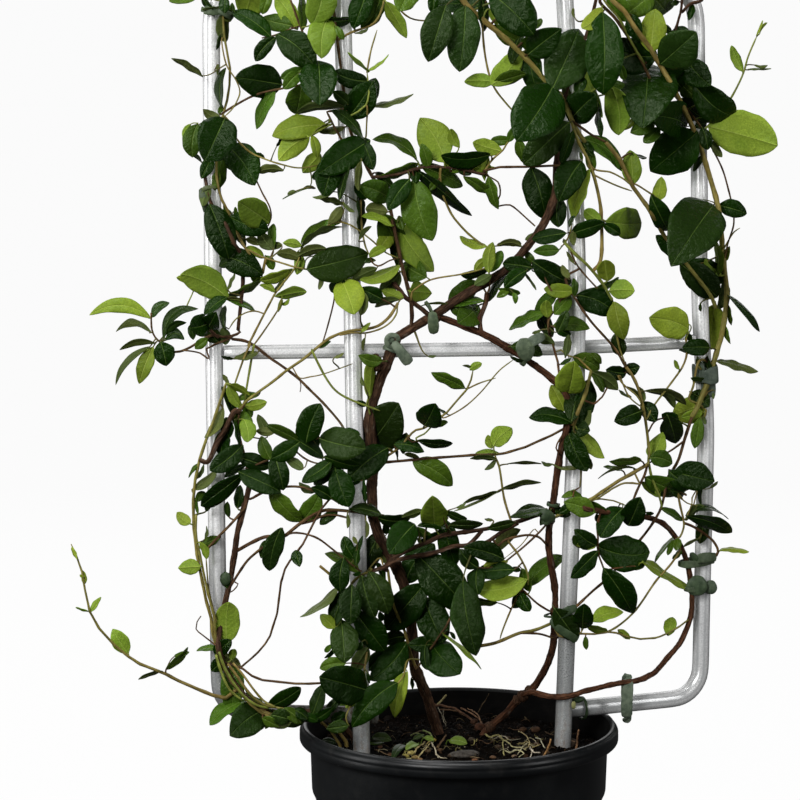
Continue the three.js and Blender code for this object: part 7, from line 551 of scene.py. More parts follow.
165 M m 1 0 -33.8,-31.5,601.2 -50.5,-8.9,612.1 -0.53,0.02,-0.85 -0.64,-0.66,0.39 19.6 -1.2 -30.4,-32,598.6 0.8
116 L d 1 0 -207.1,-20.7,699.4 -216.2,-25.2,682.4 0.89,-0.09,-0.45 0.03,-0.97,0.24 11 -0.2 -203.4,-17.8,696.7 1.14
238 L l 1 0 -183.4,-23.7,485.9 -181.3,-35.8,468.5 0.98,-0.07,0.16 -0.15,-0.82,0.55 13.6 1.7 -187.3,-19.2,484.7 0.93
364 M d 1 0 -28,-20.3,295.9 -8.4,-50.5,274 0.76,0.02,0.65 -0.46,-0.69,0.55 29.1 -2.5 -26.4,-30.8,294.9 0.93
261 M d 1 0 -197.5,-17.8,486.8 -195,-19,469.1 0.99,-0.06,0.15 -0.07,-1,0.06 11.3 -0.5 -194.1,-15.3,483.1 1.2
136 L m 1 0 -166.7,-14.7,598.4 -196.5,-14.2,584.9 0.22,0.86,-0.46 0.35,-0.51,-0.79 16.3 1.2 -167.3,-18.5,603.9 1.26
25 M l 1 0 -115.3,-35.6,725.8 -159.8,-33.1,718.9 0.11,-0.49,-0.87 -0.12,-0.87,0.47 22.6 -0.7 -112.5,-35.1,729.9 0.97
30 M d 1 0 -80.3,-38.5,713.2 -124.3,-52.1,686.8 0.53,-0.1,-0.84 0.17,-0.96,0.22 25.4 -0.2 -84.1,-34.7,713 0.69
12 M l 1 0 -113.4,-30.4,811.6 -121.7,-53.8,779.8 0.98,-0.12,-0.17 0.01,-0.81,0.59 23.8 -2.4 -109.2,-31,813.2 1.2
302 R m 1 0 152.1,-19.2,443.2 120.9,-37.2,444.8 -0.36,0.56,-0.74 0.35,-0.66,-0.67 11.8 1.9 156,-13.7,438.2 1.69
174 R m 1 0 14.9,-8.4,575.8 -7.1,-36.6,564.2 0.63,-0.18,-0.76 0.51,-0.63,0.58 21.5 1 17.2,-22.1,576.7 2.09
301 M u 0 0 155,-13.5,502.8 199,17.4,486.9 0.62,-0.69,0.37 -0.01,0.46,0.89 14.7 3.2 150,-15.5,501.2 1.39
199 M l 1 0 117.4,-31.3,645.4 158,10.3,641.8 0.04,0.05,1 0.72,-0.7,0 27.1 -1.9 112.3,-33,646.8 1.43
68 M m 1 0 46.3,-41,784.4 51.3,-55.1,797.2 -0.85,0.16,0.51 -0.47,-0.68,-0.56 12.4 -0.6 41.4,-42.6,782.8 1.6
201 M l 0 0 117.6,-35.4,596.5 110.3,-56.1,615.4 -0.97,0.21,-0.14 0.04,0.67,0.75 15.6 -0.3 114.3,-32,593.6 1.33
192 M l 1 0 -19.1,-37.7,695.5 -14,-32.5,688.2 0.86,-0.13,0.5 0.16,-0.85,-0.5 5.9 -0.2 -18.8,-36,690.7 1.28
133 L l 1 0 -104.2,-31.8,601.4 -97,-59.9,574.3 0.93,-0.09,0.34 -0.31,-0.7,0.64 25.3 0.8 -109.1,-30.8,601.5 0.76
179 M d 1 0 -83.2,-37.3,665.8 -93.2,-40.2,678.5 -0.79,0.08,-0.61 0.04,-0.98,-0.19 9.1 -0.5 -87.3,-32,664.4 0.93
225 M l 0 0 224.6,9.4,596.4 220,4.1,627.2 -0.33,0.94,0.11 0.93,0.3,0.19 14.2 -0.1 231.6,15.7,596.2 1.76
214 R m 1 0 66.4,-30.8,570.8 37.1,-21.4,556.5 -0.03,-0.86,-0.5 -0.5,-0.42,0.75 16.6 0.4 68.5,-30.6,565.9 1.1
260 L u 0 0 -198.5,-16.8,494.5 -213.1,-18.9,469.2 0.45,-0.88,-0.19 0.74,0.48,-0.47 14.7 1.1 -202.5,-17,497.9 1.29
35 L d 1 0 -195.1,-8,709.4 -173.7,-28,677.3 0.81,-0.05,0.58 -0.31,-0.89,0.35 26.7 2.9 -201,-17.3,708.9 1.12
395 R u 0 0 211.4,12.7,370.8 194.2,4.8,365.6 -0.09,0.67,-0.73 -0.47,0.62,0.62 5.9 -0.6 212.8,10.5,376.3 1.24
333 L d 1 0 -94.5,-41.7,370.8 -102.8,-38.3,389.1 -0.91,0.04,-0.42 -0.11,-0.99,0.13 11.2 -1.7 -97.1,-39,365.9 0.86
160 L u 0 0 -198.7,-11.2,560.3 -196.6,-13.5,545.8 0.99,-0.07,0.16 0.09,0.99,-0.14 9.3 0.7 -194.1,-16,559.2 0.59
271 M d 1 0 -60.4,-33.3,464.1 -35.6,-36.7,457.8 0.28,0.52,0.81 0.02,-0.84,0.54 13.1 1.7 -57.4,-32,459.3 1.05
218 R d 1 0 73.9,-34.8,558.3 86.5,-37.4,552.2 0.44,-0.01,0.9 -0.16,-0.98,0.07 7.8 -0.3 69.2,-30.8,559.6 1.09
90 M m 1 0 101.8,-32.9,705.1 104.2,-35.4,685.6 0.97,-0.21,0.15 -0.23,-0.97,0.1 9.2 -0.4 94.8,-39.8,704.2 1.3
273 M d 1 0 -64.9,-34,461.7 -99.3,-44.4,437.7 0.6,-0.2,-0.78 0.08,-0.95,0.3 23.7 -1.9 -60.7,-31.4,457.1 1.06
306 M d 1 0 217.8,7.1,535.3 190.4,-5.8,537.1 -0.02,-0.1,-0.99 0.43,-0.9,0.08 14.8 0.6 225.5,15.6,531.6 1.81
177 M m 1 0 -3.8,-35.3,682.9 18.8,-31.5,667.7 0.45,-0.74,0.5 -0.34,-0.66,-0.67 12.8 2.3 -2.2,-35.5,688.4 1.24
279 M u 0 0 34.4,-26.1,444.6 66.2,-19.4,442.9 0.21,-0.88,0.43 -0.04,0.43,0.9 7.5 2 28.2,-29,443.2 0.97
253 L d 1 0 -187.8,-21.9,454.5 -160.4,-20.6,445.3 0.31,0.11,0.94 0.08,-0.99,0.09 13.8 -0.3 -181.6,-17.8,453.9 1.08
103 M d 1 0 208.1,10.8,729.6 184.6,-8.3,745.3 -0.64,0.16,-0.76 0.35,-0.81,-0.47 17.3 -1.1 198.6,-4.1,727.2 0.98
272 M g 1 0 -80.6,-1.5,455 -58.4,-38.7,497 -0.79,0.19,0.59 -0.5,-0.76,-0.42 35.5 1.4 -77.1,-21,457.4 4.74
363 M d 1 0 -15.5,-23.7,296.1 -47.2,-26.7,293.8 0.09,-0.22,-0.97 0.07,-0.97,0.23 15.1 1.8 -22.2,-35.8,303.5 0.96
161 M d 1 0 -48.3,-40.6,681.6 -67.6,-49,656.9 0.8,-0.15,-0.58 0.04,-0.95,0.3 16.7 -1.4 -49,-34.2,687.4 1.35
275 M l 0 0 22.5,-31.3,460.1 41.4,-14.2,472.3 -0.66,0.22,0.71 -0.33,0.76,-0.55 16.4 -1.8 24.8,-29,453.3 0.94
293 R l 0 0 93.9,-32.4,471.3 116.4,-30.9,447.7 0.59,0.54,0.6 -0.42,0.84,-0.34 16.7 0.5 90,-35.4,477.9 1.67
162 M m 1 0 -44,-35.4,682.1 -30.6,-43.9,631.4 0.95,-0.14,0.27 -0.18,-0.98,0.12 29.9 -3.3 -45.8,-34.6,688.5 1.34
326 L g 1 0 -154.8,-42.5,398.1 -163,-33,359.9 0.93,0.35,-0.11 0.3,-0.91,-0.29 18.7 -3.3 -152.6,-34.3,389.9 0.93
343 M l 1 0 -27.1,-37.4,393 -33.8,-67,423.8 -0.99,0.15,-0.07 -0.06,-0.71,-0.7 23.7 0.1 -22.7,-37.8,387.1 1.97
397 L l 0 0 -198.2,-18.9,299.2 -196.4,-21.2,334.4 -0.99,0.1,0.06 0.1,0.99,0.06 21.7 -1.3 -205.5,-24.6,298 2.54
233 M l 1 0 197.3,0.6,551.3 160,-10.1,563 -0.29,-0.02,-0.96 0.26,-0.96,-0.06 27.6 2.7 194.3,1.8,544.4 1.02
48 M m 1 0 44.8,-35.7,791.2 20.6,-38.8,805.1 -0.5,0.11,-0.86 0.04,-0.99,-0.15 14.7 -1.9 38.4,-42.4,785.9 1.61
348 M g 1 0 -16.7,-47.9,398 10.1,-55.7,399.1 -0.22,-0.65,0.73 -0.18,-0.71,-0.69 13.9 0 -14.3,-38,388.6 1.96
3 L u 0 0 -189.5,-16,815.9 -214.2,-20.1,817.9 -0.18,0.86,-0.48 -0.01,0.49,0.87 11.4 -0.2 -197,-17,815.5 0.98
134 L d 1 0 -102.3,-37.9,600.8 -111.5,-25.5,589.1 0.7,-0.14,-0.7 -0.54,-0.75,-0.38 11.8 0.2 -109,-30.7,601.1 0.76
212 M m 1 0 37.6,-39.6,588.3 38.8,-41.9,579 0.97,-0.17,0.17 -0.21,-0.96,0.2 4.8 0.7 31.6,-32.8,591.6 0.77
54 M m 1 0 -41.1,-34,697.9 -76.4,-30.9,715.5 -0.3,-0.84,-0.45 0.34,-0.53,0.77 19.8 6.4 -39.5,-35.1,690.2 1.33
249 L u 0 0 -136,-39.7,445.7 -150.2,-33.8,454.6 -0.55,-0.06,-0.84 0.25,0.94,-0.23 8.5 0.7 -132.6,-38.7,453 0.78
360 M d 1 0 39.5,-41.2,358.4 7.2,-33.3,354.5 -0.05,-0.6,-0.8 -0.26,-0.76,0.6 16.9 -0.4 47.5,-35,362.5 0.92
291 R u 0 0 92,-32.7,468.9 105.3,-33.7,488.4 -0.45,0.82,0.35 0.69,0.57,-0.44 12 -0.8 90,-35.4,477.9 1.67
76 M l 0 0 97.3,-29.7,768 112.1,-31.5,730.2 0.69,0.69,0.24 -0.63,0.73,-0.28 20.7 0.4 88.5,-29.9,769.2 3.02
42 M d 1 0 -29.2,-39,831.6 -30.7,-40.8,814.8 0.98,-0.16,-0.07 -0.15,-0.98,0.12 9.2 0.9 -25.7,-34.9,839.8 0.79
312 M d 1 0 189.8,4.3,472.7 172.3,-6.4,480.8 -0.41,-0.01,-0.91 0.45,-0.87,-0.19 11.9 -0.8 199.4,9.1,467.6 1.49
170 M u 0 0 26.1,-28.8,626.5 46.4,-30,626.4 -0.04,-0.79,0.61 0.04,0.61,0.79 10.1 -2.7 16.8,-32,624.4 0.94
121 L u 0 0 -157.1,-20.1,624 -169.7,-19.9,640.5 -0.79,0.04,-0.61 0.04,1,0.02 11.6 -1.8 -161.3,-25.8,616.3 0.82
11 L l 1 0 -126.9,-34.1,805 -118.4,-39.6,844.1 -0.97,0.11,0.22 -0.14,-0.98,-0.11 24.8 3 -135.3,-30.6,802.8 0.93
13 M d 1 0 -94.6,-36,809.1 -119.9,-29.2,809.6 0.2,0.79,-0.58 -0.16,-0.56,-0.81 12.9 0.2 -92,-32.4,800.2 1.05
372 R d 1 0 139,-26.1,389.2 144,-45.7,415.3 -0.88,0.28,0.38 -0.44,-0.76,-0.48 20.4 0.5 143.1,-16.3,397.4 2.31
29 L l 0 0 -119.8,-30.5,702.1 -133,-19.3,686.5 0.72,-0.11,-0.69 0.4,0.87,0.28 14.2 0.1 -122.2,-31,692.8 0.68
17 L m 1 0 -134.3,-35,770.3 -152.2,-27.4,762.6 0.38,-0.04,-0.92 -0.35,-0.93,-0.1 9.8 0.5 -123.9,-32,771.7 0.99
19 L m 1 0 -137.6,-38,767.3 -150.9,-42.3,754.4 0.71,-0.08,-0.7 0.1,-0.97,0.21 11.8 -0.6 -124.6,-32,773.7 0.98
135 L l 0 0 -194.6,-18.1,583.9 -234.5,-26,605.4 -0.47,-0.03,-0.88 -0.17,0.98,0.05 24.7 3.6 -183.6,-15.1,582.3 1.65
46 M l 0 0 16.8,-40,818.9 23.9,-37.6,805.2 0.66,-0.72,0.21 0.6,0.68,0.43 7.5 -0.3 11,-39.3,810 1.71
122 L m 1 0 -157.2,-19.5,626.6 -158.4,-15.9,645 -0.67,0.72,-0.18 -0.74,-0.67,0.08 9.3 -0.7 -161.3,-25.8,616.3 0.82
189 M d 1 0 -69.4,-33.8,583.1 -89.3,-44.5,593.3 -0.45,-0.01,-0.89 0.39,-0.9,-0.19 14 0.2 -58.7,-30,576.3 1.35
142 L d 1 0 -196,-22.9,586.6 -215.3,-24.5,572.5 0.49,-0.63,-0.6 -0.33,-0.77,0.54 11.9 0.2 -183.6,-15.2,582.9 1.65
141 L u 0 0 -195.6,-19.8,591 -187.9,-22.5,607.7 -0.17,0.96,0.23 0.89,0.25,-0.37 8.3 -1.3 -183.3,-15.3,585.6 1.64
102 M m 1 0 202.4,-4.6,743.9 187,1.1,757.8 -0.63,0.16,-0.76 -0.3,-0.95,0.05 15.1 -0.3 191.3,-6.7,736.1 1.01
143 L m 1 0 -196.7,-17.7,584.2 -171.6,-13.5,574.7 0.02,0.89,0.45 0.38,-0.42,0.82 11.7 0.4 -183.6,-15.2,582.9 1.65
128 M u 0 0 -103.3,-34.4,659.5 -114.9,-35.7,645.2 0.78,-0.13,-0.62 0.06,0.99,-0.13 8.8 1 -104.6,-32.7,646.7 0.73
129 M u 0 0 -101.1,-36.3,661.3 -124.1,-30,667.2 0.1,0.85,-0.51 0.33,0.46,0.83 11.9 0.7 -104.6,-32.7,646.7 0.73
352 M d 1 0 -32,-12.7,330.9 -19.3,-33.6,296.6 0.92,-0.07,0.38 -0.25,-0.87,0.43 28.2 -1 -44.8,-7.5,328.1 4.74
6 L m 1 0 -159.5,-22,832.9 -165.9,-22.5,813.8 0.95,-0.09,-0.31 -0.07,-1,0.05 9.4 -0.2 -147.4,-27.1,836.7 0.88
43 M g 1 0 -19.7,-45.6,821.9 -36,-58.3,777.2 0.94,-0.15,-0.3 -0.06,-0.95,0.29 25.9 0 -6,-36.8,828.6 1.79
242 L u 0 0 -172.7,-18,475 -157.3,-24.1,474.3 0.09,0.12,0.99 0.36,0.92,-0.15 7.6 -0.3 -186.7,-18.8,473.5 0.99
45 M d 1 0 10.2,-42,828.8 14.9,-34.5,800.2 0.77,0.57,0.28 0.62,-0.78,-0.1 13.9 -0.7 10.4,-39.3,810.5 1.71
123 L u 0 0 -150,-20.4,627.9 -163.2,-13.8,626.4 0.08,-0.07,-0.99 0.45,0.89,-0.03 6.7 -0.1 -161.3,-25.8,616.3 0.82
158 L g 1 0 -227.4,-25.8,563.4 -224.2,-28.6,552 0.96,-0.04,0.28 -0.1,-0.97,0.2 6.8 0.9 -212.3,-20,562.3 1.27
31 M d 1 0 -108,-36.4,698.5 -120.8,-55.2,669 0.94,-0.13,-0.32 0.06,-0.85,0.52 22.3 -0.5 -99.3,-33,710.8 0.88
38 M d 1 0 -81.7,-37.7,837 -94.5,-40.5,802.4 0.93,-0.12,-0.34 -0.09,-0.99,0.11 19.1 0.6 -66.9,-35.7,834.2 0.92
345 M m 1 0 -44.1,-36.7,394.8 -28.8,-35.5,385.6 0.48,-0.47,0.74 -0.19,-0.88,-0.44 8.6 -0.4 -39.1,-35.7,379.7 1.98
417 M d 1 0 -60.4,-11.3,286.1 -79.2,-8.2,268.8 0.63,-0.25,-0.73 -0.26,-0.96,0.11 13.3 -1.4 -44.2,-9.3,288.8 1.37
414 M m 1 0 -100.5,-32.5,281.6 -122.3,-26.9,276.4 0.17,-0.24,-0.96 -0.28,-0.94,0.18 11.5 -1.7 -84.6,-32.9,279.3 0.9
115 L d 1 0 -201.9,-19.9,619.4 -167.2,-26.8,603.9 0.41,0.03,0.91 -0.15,-0.98,0.1 22.3 2.9 -190.9,-30.6,630.6 1.57
82 M m 1 0 126.4,-34.3,774.9 131.4,-31.6,760.6 0.93,-0.22,0.29 -0.15,-0.96,-0.23 7 -0.1 142.5,-28.3,782.8 1.33
241 L u 0 0 -161.6,-17.5,470.4 -170.9,-10.6,487.4 -0.83,-0.49,-0.26 -0.32,0.81,-0.5 10.1 0.1 -186.5,-18.7,472.2 0.99
280 R u 0 0 97.6,-26.5,440.6 71,-34.6,442.9 0.26,-0.92,-0.29 -0.16,0.25,-0.95 8.5 0.9 96.2,-32.7,424.5 0.59
131 L m 1 0 -128.3,-31.2,675 -150.3,-20.7,665.2 -0.27,-0.89,-0.36 -0.48,-0.2,0.85 4.3 1.8 -129.5,-31.3,691.3 0.69
356 M d 1 0 -94.3,-35.5,326.4 -66.7,-30.6,288.6 0.81,0.01,0.59 0.07,-0.99,-0.08 23.9 0 -101.2,-32.1,341.3 1.23
353 M d 1 0 -32.2,-18.3,343.7 -64.7,-13.3,304.2 0.73,-0.24,-0.63 -0.25,-0.97,0.08 28.6 -0.2 -45,-7.7,328.9 4.74
358 M d 1 0 9.3,-40.2,360.1 -6.6,-41.3,375.7 -0.7,-0.01,-0.72 0.04,-1,-0.03 12.5 -1.7 28.3,-35,360.1 0.85
339 M d 1 0 -44.1,-43.2,399.3 -68.6,-66,379.1 0.73,-0.22,-0.64 0.26,-0.78,0.57 23.7 -1 -38.2,-35.9,380.1 1.98
5 L l 0 0 -167.1,-22.4,842.7 -176.3,15.9,811.1 0.93,-0.08,-0.37 0.33,0.65,0.69 30.1 -1.6 -147.5,-27,837.1 0.88
347 M g 1 0 -20.2,-55.2,410.5 -2,-50,401.7 0.49,-0.54,0.68 -0.06,-0.8,-0.6 8.9 -1.4 -15.3,-38,388.5 1.96
28 M l 1 0 -127.8,-39.9,717.5 -124,-42.8,699.3 0.89,0.45,0.11 0.42,-0.88,0.23 9.4 0.1 -111.5,-35,727.9 0.97
33 L m 1 0 -218,-17.3,726.4 -223.2,-24.7,699.9 0.98,-0.08,-0.17 -0.03,-0.96,0.27 15.4 -2.3 -199.1,-17,726.6 1.1
294 R u 0 0 102.7,-23.1,449.6 108,-25.2,438.4 0.62,-0.66,0.42 0.65,0.74,0.18 6.6 -0.1 96.2,-32.7,424.5 0.59
47 M d 1 0 14.9,-49.9,830.9 45.7,-73,798.1 0.67,-0.14,0.73 -0.43,-0.88,0.22 32 1.9 1,-38.1,818.5 1.75
27 M l 0 0 -130,-39.8,716.2 -154.4,-33.1,696.8 0.6,-0.09,-0.79 0.22,0.97,0.06 19.1 -2.5 -110.5,-34.9,726 0.95
1 L u 0 0 -214,-20.2,763.9 -239.1,-27,779.6 -0.39,0.89,-0.23 0.41,0.39,0.82 12.6 1.8 -195,-19.9,773.7 0.65
413 M g 1 0 -105.7,-42.3,320.7 -105.5,-60.4,288.7 0.99,-0.11,0.07 -0.13,-0.86,0.49 24.2 0.3 -101.2,-32.1,341.3 1.23
0 L m 1 0 -218.5,-15.3,826.2 -240.1,-10.2,824.6 -0.04,-0.45,-0.89 -0.23,-0.86,0.45 11 1.2 -196.4,-17,824 0.97
66 M m 1 0 53,-48.4,802.3 58.6,-45.9,810.8 -0.85,0.16,0.51 -0.01,-0.96,0.29 5.5 -0.2 38.1,-42.4,786.1 1.61
351 M g 1 0 -4.5,-48.5,351.1 7.2,-54.2,288.8 0.9,0.42,0.13 0.4,-0.9,0.16 32.3 -5.5 6,-39,378.3 1.68
130 M u 0 0 -110.3,-36,671.4 -126.7,-32.9,666.1 -0.07,-0.94,-0.33 0.35,0.29,-0.89 8.6 -0.2 -87.4,-32.2,660.9 0.92
96 M m 1 0 159.2,-13.5,833.4 133.3,-19.2,814.1 0.61,-0.13,-0.78 0.06,-0.98,0.21 21.8 0.8 187.4,1.5,834 1.31
342 M u 0 0 -37.5,-44.1,410.3 -55,-39.5,404.3 0.4,0.54,-0.74 0.01,0.81,0.59 9.4 1.2 -35.7,-36.2,381 1.98
77 M d 1 0 106,-41.1,745.1 107.7,-47,714.5 0.11,-0.97,0.19 -0.99,-0.12,-0.03 14.2 0.5 81.3,-42,738.2 1.22
455 M d 1 0 144.3,-26.6,839.1 126.7,-57.2,861.9 -0.9,0.23,-0.38 0.15,-0.65,-0.75 21.8 0 187,0.9,828.8 1.3
97 M m 1 0 156.6,-15.9,831.1 181.5,20.6,815 0.72,-0.2,0.67 0.45,-0.6,-0.66 21.9 0 187,0.9,828.8 1.3
456 M m 1 0 154.6,-18.9,839.4 170.4,-15,867.2 -0.86,0.2,0.46 -0.11,-0.97,0.2 21.5 0 187,0.9,828.8 1.3
334 M l 1 0 -111.6,-46.2,313.9 -123.1,-42.7,325.2 -0.71,-0.06,-0.7 -0.11,-0.98,0.19 10.4 0.2 -105.4,-32.6,341.5 1.23
415 M m 1 0 -115.2,-49.1,301 -120.2,-47.1,294.4 0.73,-0.23,-0.64 -0.33,-0.94,-0.03 4.8 0.1 -105.4,-32.6,341.5 1.23
80 M l 0 0 117.6,-40.6,756.6 127.1,-28.8,716.2 0.96,-0.22,0.16 0.16,0.94,0.31 22.2 3.4 82.7,-40.6,734.9 1.44
449 M m 1 0 39.1,-53.3,834.6 24.9,-75.6,854.2 -0.89,0.19,-0.43 0.18,-0.71,-0.68 19.1 0 3.3,-38.4,816.5 1.74
450 M d 1 0 46,-59.4,834.4 59.4,-80.9,854.2 -0.75,0.13,0.65 -0.51,-0.73,-0.45 20.9 0 17.1,-40.1,805.3 1.69
1357 M d 0 1 196.4,47.7,844.6 188.5,56.4,860.7 0.91,0.11,0.39 0.08,0.89,-0.45 12.4 0 188,2.4,841.8 1.32
1343 M d 0 1 -26.1,10.8,845 -25.5,27.7,860.5 0.8,-0.42,0.42 0.59,0.53,-0.6 9.8 0 -29.6,-35.1,841.2 0.79
1254 M d 0 1 -75,10,340.5 -74.7,24.1,313.7 -0.92,0.36,0.18 0.4,0.81,0.43 10.2 0 -86.8,-30.6,354.9 1.2
1361 M d 0 1 229,55.8,849.9 237.3,62.5,865.7 0.9,-0.17,-0.4 0,0.92,-0.39 11.6 0 210.9,10,848.3 1.5
1157 L d 0 1 -96.3,9.3,436 -98.6,22.6,407.2 -0.93,0.31,0.22 0.37,0.85,0.36 14.4 0 -110.7,-38.3,447.6 0.7
1232 L d 0 1 -98.1,9.1,359.1 -96.8,23.5,334 -1,0.1,0 0.09,0.86,0.5 12.2 0 -102.5,-38.3,370.4 0.86
1340 M d 0 1 -53.5,14.6,854.5 -39.2,33.9,862.6 0.49,0,-0.87 -0.66,0.65,-0.38 9 0 -63.7,-36,849.6 0.87
1312 M d 0 1 -53.3,12.2,287.6 -61,28.3,252.8 -0.96,0.08,0.25 0.18,0.91,0.38 16 0 -45.1,-10.3,292.8 1.36
1282 R d 0 1 109.8,19.7,295.6 117.2,37.2,307 0.62,0.23,-0.75 -0.71,0.57,-0.42 11.6 0 97.9,-35.8,303.1 0.68
1000 M d 0 1 184.8,47.9,766.1 208.3,75.2,755.9 -0.48,0.09,-0.87 -0.61,0.68,0.41 13.4 0 163.6,-27.6,770.4 1.6
1277 R d 0 1 128.5,20.3,364.1 171.4,43.9,354.3 -0.26,0.07,-0.96 -0.44,0.88,0.18 21.9 0 111.8,-32.4,373.3 0.91
914 L d 0 1 -146.5,15.3,792.9 -121.7,25,776.7 -0.55,0.01,-0.84 -0.25,0.95,0.18 15.2 0 -155.4,-27.8,797.1 0.7
1217 M d 0 1 202.3,55,415.8 238.3,79,416 -0.03,0.05,-1 -0.56,0.83,0.05 19.5 0 183.5,1.8,431 1.31
949 M m 0 1 32.5,7.5,761.1 49.1,18.4,781.4 0.8,-0.15,-0.57 -0.11,0.91,-0.4 11.3 0 20.1,-38.2,757.1 0.85
1261 M m 0 1 52.8,13.1,337.6 24.4,33.6,326.2 -0.57,-0.38,0.73 0.29,0.74,0.61 12.8 0 52.2,-35,347.6 0.86
1159 L d 0 1 -112.6,13.7,456.3 -81.7,31.3,459.5 0.03,0.13,-0.99 -0.5,0.86,0.1 18.1 0 -122.2,-38,470.9 0.76
924 M d 0 1 -89,9,733.8 -75.7,16.1,754.4 0.64,0.5,-0.59 -0.57,0.82,0.08 13.8 0 -100.2,-43.9,731.1 0.83
1347 M d 0 1 4.4,14.5,839.8 25.8,35.7,847 -0.15,0.45,-0.88 -0.71,0.58,0.41 11.2 0 -7,-36.5,832.1 1.8
1013 L d 0 1 -181.8,23.8,651.2 -163.7,32.4,634.2 -0.66,-0.09,-0.75 -0.3,0.94,0.16 12 0 -192.7,-17.3,652.3 1.19
944 M d 0 1 11.1,9.3,813.6 -2.6,22.9,776.8 -0.85,0.3,0.43 0.41,0.89,0.18 18.9 0 -2.6,-37.5,822.4 1.76
1351 M d 0 1 115.9,14.7,842.7 105.3,28.2,857.8 0.76,-0.13,0.64 0.46,0.8,-0.39 14.2 0 110.5,-25.1,838.5 2.79
1255 M d 0 1 -70.3,15.5,344.9 -60.7,28.8,313.2 -0.95,0.28,-0.17 0.18,0.89,0.43 13.2 0 -82.7,-31,358.2 0.68
932 L d 0 1 -196.3,21.2,725.9 -204.7,39.7,699.1 -0.93,-0.37,0.03 -0.28,0.75,0.6 20.7 0 -197,-18,732.2 0.84
1066 M m 0 1 -38.3,6.8,588.4 -26.7,14,581.8 -0.59,0.27,-0.76 -0.24,0.84,0.48 9.4 0 -48.1,-28.3,590.3 1.67
994 M d 0 1 84.9,7.4,658.8 86.3,15.8,642.9 -0.97,-0.16,-0.17 -0.22,0.87,0.44 9.6 0 76.3,-38,666.8 0.84
1032 L d 0 1 -120.8,11.9,616.9 -78.6,23.6,605.9 -0.32,0.31,-0.9 -0.16,0.92,0.37 20.4 0 -134,-31.1,608.8 0.79
1104 M m 0 1 135.4,22.3,570.1 149,30.7,544.7 -0.84,0.46,-0.3 0.3,0.84,0.44 13.5 0 123.6,-27.5,577.4 0.83
986 M d 0 1 212.4,55.6,703 179.6,60.7,695.8 -0.21,0.01,0.98 0.15,0.99,0.02 21 0 198.1,-4.3,717.5 1.65
1189 R d 0 1 110.6,19.2,473.8 110.5,35.3,502 0.91,0.37,-0.21 -0.42,0.79,-0.45 11.6 0 90,-35.4,477.9 1.67
969 M d 0 1 80.2,7.8,763.3 105.3,29.2,796.2 0.84,-0.35,-0.41 0.06,0.82,-0.58 22.4 0 68.6,-42.5,755.6 1.5
971 M d 0 1 88.1,10.5,721.4 62.8,17.9,695.4 -0.73,-0.13,0.67 0.04,0.97,0.23 15.5 0 85,-41.9,727.1 1.25
1183 R m 0 1 93.5,13.2,501.4 104.2,24.3,517.7 0.87,-0.37,-0.32 0.11,0.79,-0.61 13.9 0 83.6,-30,503 2.88
991 M d 0 1 104.6,17.4,689 90.4,18.3,666.3 -0.82,-0.26,0.5 -0.2,0.96,0.16 15.5 0 92.2,-40.7,694.5 1.02
1014 L d 0 1 -204.6,25.1,652.9 -191.5,29.5,620.1 -0.85,0.44,-0.28 0.37,0.89,0.27 15.6 0 -207.7,-19.1,661.2 1.51
1123 M d 0 1 213,52,604.3 241.9,73.6,585.6 -0.58,0.06,-0.82 -0.41,0.84,0.35 15.3 0 192.7,1.6,608.7 1.68
978 M d 0 1 95.5,10.8,729.1 117.1,23.6,745.5 0.33,0.48,-0.81 -0.61,0.76,0.2 18.6 0 85,-41.9,727.1 1.25
970 M d 0 1 69,8.8,752.3 63.3,15.6,717.5 -0.97,-0.24,0.11 -0.21,0.95,0.22 22.3 0 68.6,-42.5,755.6 1.5
1154 L d 0 1 -175.5,20.5,437.5 -155.4,35.3,415.3 -0.79,0.22,-0.57 -0.11,0.87,0.48 10.6 0 -186.2,-19,439.8 0.68
1001 M d 0 1 224.2,52.7,757.3 241,69,728.7 -0.86,0.43,-0.26 0.22,0.79,0.58 17.1 0 199.2,-8,757.6 0.76
1240 M d 0 1 -66.5,7.3,380.3 -77.5,27.7,349.9 -0.93,-0.34,0.11 -0.22,0.77,0.6 12.2 0 -72.7,-19.7,390.4 4.74
1147 L d 0 1 -126.7,12.9,466.3 -114.7,31.6,483.8 0.9,-0.35,-0.25 0.06,0.66,-0.74 12.4 0 -132,-37.5,469.3 0.78
1190 R d 0 1 98.7,17.5,477.1 109.1,35.5,493.1 0.4,0.47,-0.79 -0.83,0.55,-0.09 11.6 0 90.8,-37.4,481.4 1.65
1271 R d 0 1 139.3,19.3,394.4 136.2,38.8,372 -0.97,-0.22,-0.05 -0.2,0.73,0.66 11.5 0 134.6,-24.8,408.1 0.69
1192 R d 0 1 105.6,18.4,460.5 108.4,35.1,429.7 -0.97,-0.15,-0.17 -0.22,0.87,0.45 13 0 83.9,-32.9,472.7 2.89
952 M m 0 1 -9.1,14.4,700.7 -29.3,33.6,719.7 0.79,0.3,0.54 0.14,0.77,-0.63 19.7 0 -18.8,-36,690.7 1.28
1044 L d 0 1 -209.5,19.4,561.8 -219.7,36.4,555.1 -0.73,-0.18,0.66 0.48,0.55,0.68 12.9 0 -212.3,-20,562.3 1.27
999 M d 0 1 211.2,56.3,774.9 225.2,66.1,759.2 -0.76,0.03,-0.65 -0.26,0.9,0.34 13.4 0 188.6,-9.3,774.3 0.8
1064 M m 0 1 -38.5,15.1,641 -29.4,21.8,604 -0.96,0.19,-0.2 0.14,0.97,0.21 14 0 -59.9,-30,643.7 1.55
1209 M m 0 1 221.9,60.5,482.3 206.5,65.8,470.2 -0.65,-0.29,0.7 0.01,0.92,0.39 12.6 0 210.4,12.8,489.6 1.12
